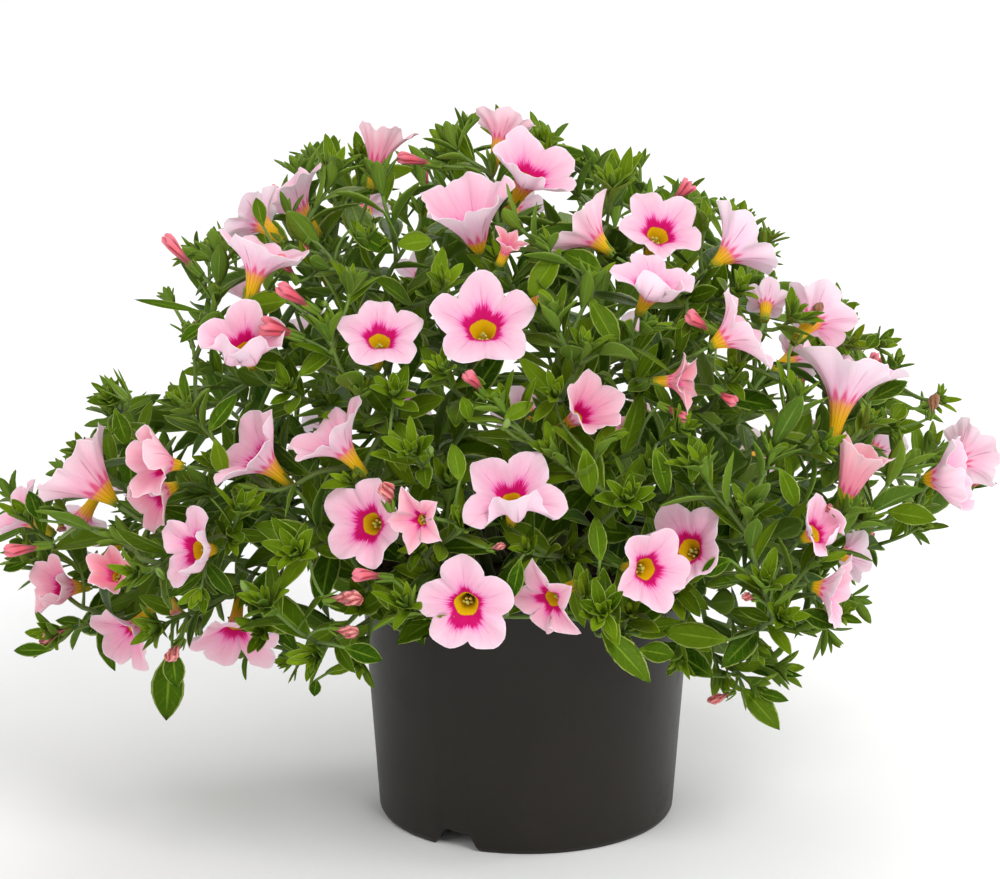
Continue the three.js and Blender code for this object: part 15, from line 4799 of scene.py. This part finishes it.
def tube(b, pts, r0, r1, sides, mat, tone0, tone1, rnd, flare=0.0):
    d = np.concatenate([[0], np.cumsum(np.linalg.norm(np.diff(pts, axis=0), axis=1))])
    f = d / max(d[-1], 1e-6)
    tg = units(np.gradient(pts, axis=0))
    ref = np.array([0.0, 0, 1]) if abs(tg[0][2]) < 0.9 else np.array([1.0, 0, 0])
    e = unit(np.cross(tg[0], ref))
    ring = []
    ang = np.arange(sides) / sides * 2 * math.pi
    for k in range(len(pts)):
        e = unit(e - np.dot(e, tg[k]) * tg[k])
        g = np.cross(tg[k], e)
        rr = r0 + (r1 - r0) * f[k]
        rr *= 1 + 0.06 * math.sin(k * 2.3 + rnd * 9) + flare * max(0, 1 - d[k] / 4.0) ** 2
        ring.append(pts[k] + rr * (np.outer(np.cos(ang), e) + np.outer(np.sin(ang), g)))
    co = np.array(ring).transpose(1, 0, 2)
    m = len(pts)
    tn = np.tile(tone0 + (tone1 - tone0) * f, sides)
    n0 = b.points(co, tn, rnd)
    b.grid(n0, sides, m, np.arange(sides + 1) / sides, d / 10.0, mat, closed=True)
    b.faces([[n0 + k * m for k in range(sides)][::-1]], [[0.5, 0]] * sides, mat)
    b.faces([[n0 + k * m + m - 1 for k in range(sides)]], [[0.5, 1]] * sides, mat)


# ---- read the tables and make the plant --------------------------------------------------------------
PTS = np.array(POINTS.split(), float).reshape(-1, 3) / 10
pieces = {}


def finished(o, *nodes, slot):
    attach(o, "root")
    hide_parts(*nodes)
    return o


stems = [Build() for _ in range(12)]
for row in STEMS.strip().splitlines():
    k = row.split()
    kind, g, r0, r1 = k[0], int(k[1]), int(k[2]) / 100, int(k[3]) / 100
    p = PTS[[int(x) for x in k[4:]]]
    if len(p) < 2:
        continue
    if kind == "m":
        tube(stems[g], spline(p, 4), r0, r1, 8, 0, 0.25, 0.8, rng.uniform(), 0.25)
    elif kind == "s":
        tube(stems[g], spline(p, 2), r0, r1, 6, 0, 0.45, 1.0, rng.uniform(), 0.2)
    else:
        tube(stems[g], spline(p, 2), r0, max(r1, 0.5), 6, 0, 0.8, 1.0, rng.uniform(), 0.3)
for g, b in enumerate(stems):
    finished(b.mesh(f"stems_{g + 1:02d}", [STEM]), f"branch_{g + 1:02d}", slot="foliage")

leaves = [Build() for _ in range(12)]
for row in LEAVES.strip().splitlines():
    k = row.split()
    kind, g = k[0], int(k[1])
    v = np.array(k[2:], float)
    foot, a, n = v[0:3] / 10, v[3:6] / 100, v[6:9] / 100
    ln, wd, curl, tone = v[9] / 10, v[10] / 10, v[11] / 100, v[12] / 100
    r = rng.uniform()
    small = ln < 9
    leaf(leaves[g], foot - unit(a) * 0.3, a, n, ln, wd * (1.0 if kind != "b" else 1.0), curl, tone, r,
         fold=rng.uniform(0.22, 0.55) + 0.25 * (tone > 0.6), twist=rng.normal(0, 0.22), wave=rng.uniform(0, 0.05),
         along_t=np.array([0.0, 0.16, 0.36, 0.58, 0.80, 1.0]) if small else np.array([0.0, 0.11, 0.26, 0.42, 0.58, 0.74, 0.88, 1.0]), blunt=rng.uniform(0.82, 1.12))


def clear_of_flowers(p, axis_mm=0.0):
    """False where a point lies in a flower's limb or hides the face of a flower from the front."""
    h = np.einsum("ij,ij->i", p - FC, FF)
    away = np.linalg.norm(p - FC - h[:, None] * FF, axis=1)
    if np.any((away < FR * 1.02) & (h > -0.45 * FL) & (h < 0.30 * FR)):
        return False
    ray = unit(p - EYE)
    dn = FF @ ray
    ok = (dn < -0.20) & FOPEN
    k = np.einsum("ij,ij->i", FC - EYE, FF) / np.where(np.abs(dn) < 1e-6, 1e-6, dn)
    hit = EYE + ray * k[:, None]
    return not np.any(ok & (np.linalg.norm(hit - FC, axis=1) < FR * 0.93) & (np.linalg.norm(p - EYE) < k))


EYE = np.array([-9.5802, 0, 137.5251]) + 1600 * np.array([0, -math.cos(CAM_E), math.sin(CAM_E)])
fl = [row.split() for row in FLOWERS.strip().splitlines()]
FC = np.array([[float(x) / 10 for x in k[3:6]] for k in fl])
FF = units(np.array([[float(x) for x in k[6:9]] for k in fl]))
FR = np.array([float(k[9]) / 10 for k in fl])
FL = np.array([float(k[10]) / 10 for k in fl])
FOPEN = np.array([k[0] not in ("f03", "f04", "f12", "f15", "f15b", "f17", "f35", "f36", "f37b", "f41", "f42") for k in fl])
THREE = np.array([-1.0, 0.0, 1.0])
for row in ROSETTES.strip().splitlines():
    g, i0, i1, size, seen = (int(x) for x in row.split())
    tip, axis = PTS[i1], unit(PTS[i1] - PTS[i0])
    axis = unit(axis + np.array([0, 0, 0.25]))
    sc = size / 100 * rng.uniform(0.9, 1.1)
    s = unit(np.cross(axis, [0.3, 0.5, 0.81]))
    t = np.cross(axis, s)
    a = rng.uniform(0, 6.28)
    if seen:
        plan = [(4, 5.0, 1.6, 8, 1.05), (5, 9.0, 2.8, 20, 0.90), (6, 12.8, 4.3, 38, 0.55)]
    else:
        plan = [(2, 4.6, 1.7, 9, 1.0), (4, 8.0, 2.8, 23, 0.80), (3, 11.4, 4.1, 46, 0.45)]
    for count, ln, wd, tilt, tone in plan:
        for k in range(count):
            a += 2.39996 + rng.normal(0, 0.15)
            th = math.radians(tilt + rng.normal(0, 7))
            rad = math.cos(a) * s + math.sin(a) * t
            d = math.cos(th) * axis + math.sin(th) * rad
            nrm = math.sin(th) * axis - math.cos(th) * rad
            long = ln * sc * rng.uniform(0.82, 1.18)
            foot = tip - axis * (0.6 + 0.02 * tilt)
            if not (clear_of_flowers(foot + d * long) and clear_of_flowers(foot + d * long * 0.5)):
                continue
            leaf(leaves[g], foot, d, nrm, long, wd * sc * rng.uniform(0.85, 1.15), rng.uniform(-0.1, 0.35), min(1.1, tone + rng.normal(0, 0.12)), rng.uniform(),
                 fold=rng.uniform(0.3, 0.7), twist=rng.normal(0, 0.15), along_t=np.array([0.0, 0.25, 0.55, 0.82, 1.0]) if ln < 5 else np.array([0.0, 0.18, 0.38, 0.60, 0.80, 0.93, 1.0]),
                 blunt=rng.uniform(0.90, 1.2), across=None if seen and ln > 8 else THREE, stalk=0.3, full=0.72)
for g, b in enumerate(leaves):
    finished(b.mesh(f"leaves_{g + 1:02d}", [LEAF_UP, LEAF_UNDER]), f"branch_{g + 1:02d}", slot="foliage")

for row in FLOWERS.strip().splitlines():
    k = row.split()
    name, node, style = k[:3]
    v = np.array(k[3:], float)
    C, f = v[0:3] / 10, unit(v[3:6] / 1000)
    R, L, tone, spin = v[6] / 10, v[7] / 10, v[8] / 100, v[9] / 100
    b = Build()
    flower(b, name, style, C, f, R, L, tone, spin, fine=name[0] == "f")
    o = b.mesh(f"flower_{name}", [FACE, BACK, LEAF_UP, LEAF_UNDER, STAMEN])
    finished(o, node, slot="petal")

buds = [Build() for _ in range(12)]
for row in BUDS.strip().splitlines():
    k = row.split()
    kind, g = k[1], int(k[2])
    v = np.array(k[3:], float) / 10
    folded(buds[g], v[0:3], v[3:6], v[6], kind, name_rnd(k[0]))
for g, b in enumerate(buds):
    if b.n:
        finished(b.mesh(f"buds_{g + 1:02d}", [BUD, WILT, LEAF_UP, LEAF_UNDER]), f"branch_{g + 1:02d}", slot="petal")


# ---- pot and growing medium ------------------------------------------------------------------------
def lathe_object(name, prof, sides, mats):
    bm = bmesh.new()
    rings = []
    for r, z in prof:
        if r < 1e-6:
            rings.append([bm.verts.new((0, 0, z * MM))])
        else:
            rings.append([bm.verts.new((r * MM * math.cos(2 * math.pi * k / sides), r * MM * math.sin(2 * math.pi * k / sides), z * MM)) for k in range(sides)])
    for a, b_ in zip(rings, rings[1:]):
        for k in range(sides):
            k2 = (k + 1) % sides
            f = [a[k % len(a)], a[k2 % len(a)], b_[k2 % len(b_)], b_[k % len(b_)]]
            g = []
            for x in f:
                if x not in g:
                    g.append(x)
            if len(g) >= 3:
                bm.faces.new(g)
    bmesh.ops.recalc_face_normals(bm, faces=bm.faces)
    me = bpy.data.meshes.new(name)
    bm.to_mesh(me)
    bm.free()
    o = bpy.data.objects.new(name, me)
    bpy.context.scene.collection.objects.link(o)
    for m in mats:
        me.materials.append(m)
    return o


def applied(o):
    dg = bpy.context.evaluated_depsgraph_get()
    me = bpy.data.meshes.new_from_object(o.evaluated_get(dg))
    old = o.data
    o.modifiers.clear()
    o.data = me
    bpy.data.meshes.remove(old)
    return o


def wall_at(z):
    return 53.2 + 6.8 * (z - 1.2) / 93.8


def rounded(profile, radii, steps=4):
    """The profile with its corners rounded: radii[k] is corner k's radius."""
    out = []
    n = len(profile)
    for k, p in enumerate(profile):
        p = np.array(p, float)
        r = radii[k]
        if r <= 0 or k in (0, n - 1):
            out.append(tuple(p))
            continue
        a, c = unit(np.array(profile[k - 1]) - p), unit(np.array(profile[k + 1]) - p)
        ang = math.acos(max(-1, min(1, float(a @ c))))
        d = min(r / math.tan(ang / 2), 0.45 * np.linalg.norm(np.array(profile[k - 1]) - p), 0.45 * np.linalg.norm(np.array(profile[k + 1]) - p))
        p0, p1 = p + a * d, p + c * d
        for m in range(steps + 1):
            t = m / steps
            out.append(tuple((1 - t) ** 2 * p0 + 2 * t * (1 - t) * p + t * t * p1))
    return out


POT = pot_material()
outline = [(0, 0), (30, 0), (31.6, 4.5), (49.6, 4.5), (50.9, 0), (52.3, 0), (53.25, 1.6), (wall_at(88.2), 88.2), (wall_at(89.2) + 0.25, 89.2),
           (60.0, 94.6), (59.6, 95.0), (58.8, 95.0), (58.6, 94.4), (wall_at(8.2) - 1.4, 8.2), (wall_at(6.4) - 3.0, 6.4), (31, 6.4), (29.4, 1.9), (0, 1.9)]
radii = [0, 1.0, 0.8, 0.8, 0.5, 0.5, 1.6, 0.6, 0.6, 0.35, 0.2, 0.2, 0.3, 1.2, 1.2, 0.8, 0.8, 0]
pot = lathe_object("pot_shell", rounded(outline, radii), 144, [POT])
for deg in (-28, 92, 212):
    s = [(-11.7, -3), (9.9, -3), (6.0, 4.6), (5.4, 5.3), (4.4, 5.75), (-3.4, 6.95), (-4.5, 6.8), (-5.2, 6.2)]   # slanted sides
    a = math.radians(deg)
    bm = bmesh.new()
    for y in (-45, -59):
        for x, z in s:
            bm.verts.new(((x * math.cos(a) - y * math.sin(a)) * MM, (x * math.sin(a) + y * math.cos(a)) * MM, z * MM))
    bm.verts.ensure_lookup_table()
    m = len(s)
    bm.faces.new([bm.verts[k] for k in range(m)])
    bm.faces.new([bm.verts[m + k] for k in reversed(range(m))])
    for k in range(m):
        bm.faces.new([bm.verts[(k + 1) % m], bm.verts[k], bm.verts[m + k], bm.verts[m + (k + 1) % m]])
    bmesh.ops.recalc_face_normals(bm, faces=bm.faces)
    me = bpy.data.meshes.new("cut")
    bm.to_mesh(me)
    bm.free()
    cut = bpy.data.objects.new("cut", me)
    bpy.context.scene.collection.objects.link(cut)
    mod = pot.modifiers.new("cut", "BOOLEAN")
    mod.operation, mod.solver, mod.object = "DIFFERENCE", "EXACT", cut
    bpy.context.view_layer.update()
    applied(pot)
    bpy.data.objects.remove(cut)
    bpy.data.meshes.remove(me)
bev = pot.modifiers.new("soft", "BEVEL")
bev.width, bev.segments, bev.limit_method, bev.angle_limit = 0.00035, 2, "ANGLE", math.radians(38)
bpy.context.view_layer.update()
applied(pot)
pot.data.materials.clear()
pot.data.materials.append(POT)
pot.data.polygons.foreach_set("use_smooth", np.ones(len(pot.data.polygons), bool))
pot.data.set_sharp_from_angle(angle=math.radians(35))
finished(pot, "pot", slot="pot_plastic")

SOIL = soil_material()
b = Build()
nr, na = 26, 84
top = []
ph = rng.uniform(0, 6.28, 12)
for i in range(na):
    for j in range(nr):
        r = 57.7 * (j + 1) / nr
        a = 2 * math.pi * i / na
        x, y = r * math.cos(a), r * math.sin(a)
        h = 87.0 + 0.9 * math.sin(x * 0.11 + ph[0]) * math.cos(y * 0.13 + ph[1]) + 0.6 * math.sin(x * 0.31 + ph[2]) * math.sin(y * 0.27 + ph[3]) + rng.normal(0, 0.38)
        h -= 1.0 * max(0, (r - 54) / 4) ** 2
        top.append((x, y, h))
n0 = b.points(top, 0.0, 0.0)
b.grid(n0, na, nr, np.arange(na + 1) / na, np.linspace(0, 1, nr), 0, closed=True, flip=True)
c = b.points([(0, 0, 87.2)], 0, 0)
i = np.arange(na)
j = (i + 1) % na
b.faces(np.stack([n0 + i * nr, n0 + j * nr, np.full(na, c)], 1), np.zeros((na, 3, 2)), 0)
low = []
side = [(wall_at(60) - 1.75, 60), (wall_at(30) - 1.75, 30), (wall_at(9) - 1.8, 9), (wall_at(7) - 3.4, 6.8), (31.2, 6.8), (28.8, 2.2)]
for a in range(na):
    for r, z in side:
        low.append((r * math.cos(2 * math.pi * a / na), r * math.sin(2 * math.pi * a / na), z))
n1 = b.points(low, 0.0, 0.0)
b.grid(n1, na, len(side), np.arange(na + 1) / na, np.linspace(0, 1, len(side)), 0, closed=True, flip=True)
b.faces(np.stack([n0 + i * nr + nr - 1, n1 + i * len(side), n1 + j * len(side), n0 + j * nr + nr - 1], 1), np.zeros((na, 4, 2)), 0)
c = b.points([(0, 0, 2.2)], 0, 0)
b.faces(np.stack([n1 + i * len(side) + len(side) - 1, np.full(na, c), n1 + j * len(side) + len(side) - 1], 1), np.zeros((na, 3, 2)), 0)
for k in range(620):
    r, a = 56.5 * math.sqrt(rng.uniform()), rng.uniform(0, 6.2832)
    white = rng.uniform() < 0.10
    blob(b, np.array([r * math.cos(a), r * math.sin(a), 87.0 + rng.uniform(0.1, 0.9)]), rng.uniform(0.5, 1.5) if not white else rng.uniform(0.7, 1.3), rng.normal(0, 1, 3), 0, 1.0 if white else 0.0)
finished(b.mesh("potting_mix", [SOIL]), "growing_medium", slot="growing_medium")

# ---- floor, light and camera -------------------------------------------------------------------------
n = Nodes("pale_floor")
n.set(base=n.mix(n.noise(n.obj(), 1.5, 2.0, 0.5), (0.90, 0.90, 0.90), (0.93, 0.93, 0.93)), rough=0.9, spec=0.1)
bm = bmesh.new()
bmesh.ops.create_circle(bm, cap_ends=True, segments=96, radius=14)
me = bpy.data.meshes.new("floor")
bm.to_mesh(me)
bm.free()
floor = bpy.data.objects.new("floor", me)
floor.location = (0, 0, -0.0002)
me.materials.append(n.m)
bpy.context.scene.collection.objects.link(floor)

world = bpy.data.worlds.new("studio")
bpy.context.scene.world = world
world.use_nodes = True
bg = world.node_tree.nodes["Background"]
bg.inputs[0].default_value = (1, 1, 1, 1)
bg.inputs[1].default_value = 0.72


def area(name, pos, target, size, power, color=(1, 1, 1)):
    d = bpy.data.lights.new(name, "AREA")
    d.shape, d.size, d.energy, d.color = "DISK", size, power, color
    o = bpy.data.objects.new(name, d)
    o.location = pos
    o.rotation_mode = "QUATERNION"
    o.rotation_quaternion = (Vector(target) - Vector(pos)).to_track_quat("-Z", "Y")
    bpy.context.scene.collection.objects.link(o)


mid = (0, 0, 0.14)
area("key", (0.8, -1.6, 1.7), mid, 1.0, 29)
area("fill", (-1.6, -1.3, 0.9), mid, 1.4, 8)
area("back", (0.3, 1.7, 1.6), mid, 1.2, 14)
area("side", (1.7, 0.45, 0.55), mid, 0.8, 9)

cam = bpy.data.cameras.new("camera")
cam.sensor_fit, cam.sensor_width, cam.lens = "HORIZONTAL", 36.0, 4489.078 * 36 / 1000
cam.clip_start, cam.clip_end = 0.05, 60
o = bpy.data.objects.new("camera", cam)
T = Vector((-9.5802, 0, 137.5251)) * MM
D = 1.6
o.location = T + D * Vector((0, -math.cos(CAM_E), math.sin(CAM_E)))
o.rotation_mode = "QUATERNION"
o.rotation_quaternion = (T - o.location).to_track_quat("-Z", "Y")
bpy.context.scene.collection.objects.link(o)
bpy.context.scene.camera = o

sc = bpy.context.scene
sc.view_settings.view_transform = "Standard"
sc.view_settings.look = "None"
sc.view_settings.exposure = 0
sc.view_settings.gamma = 1
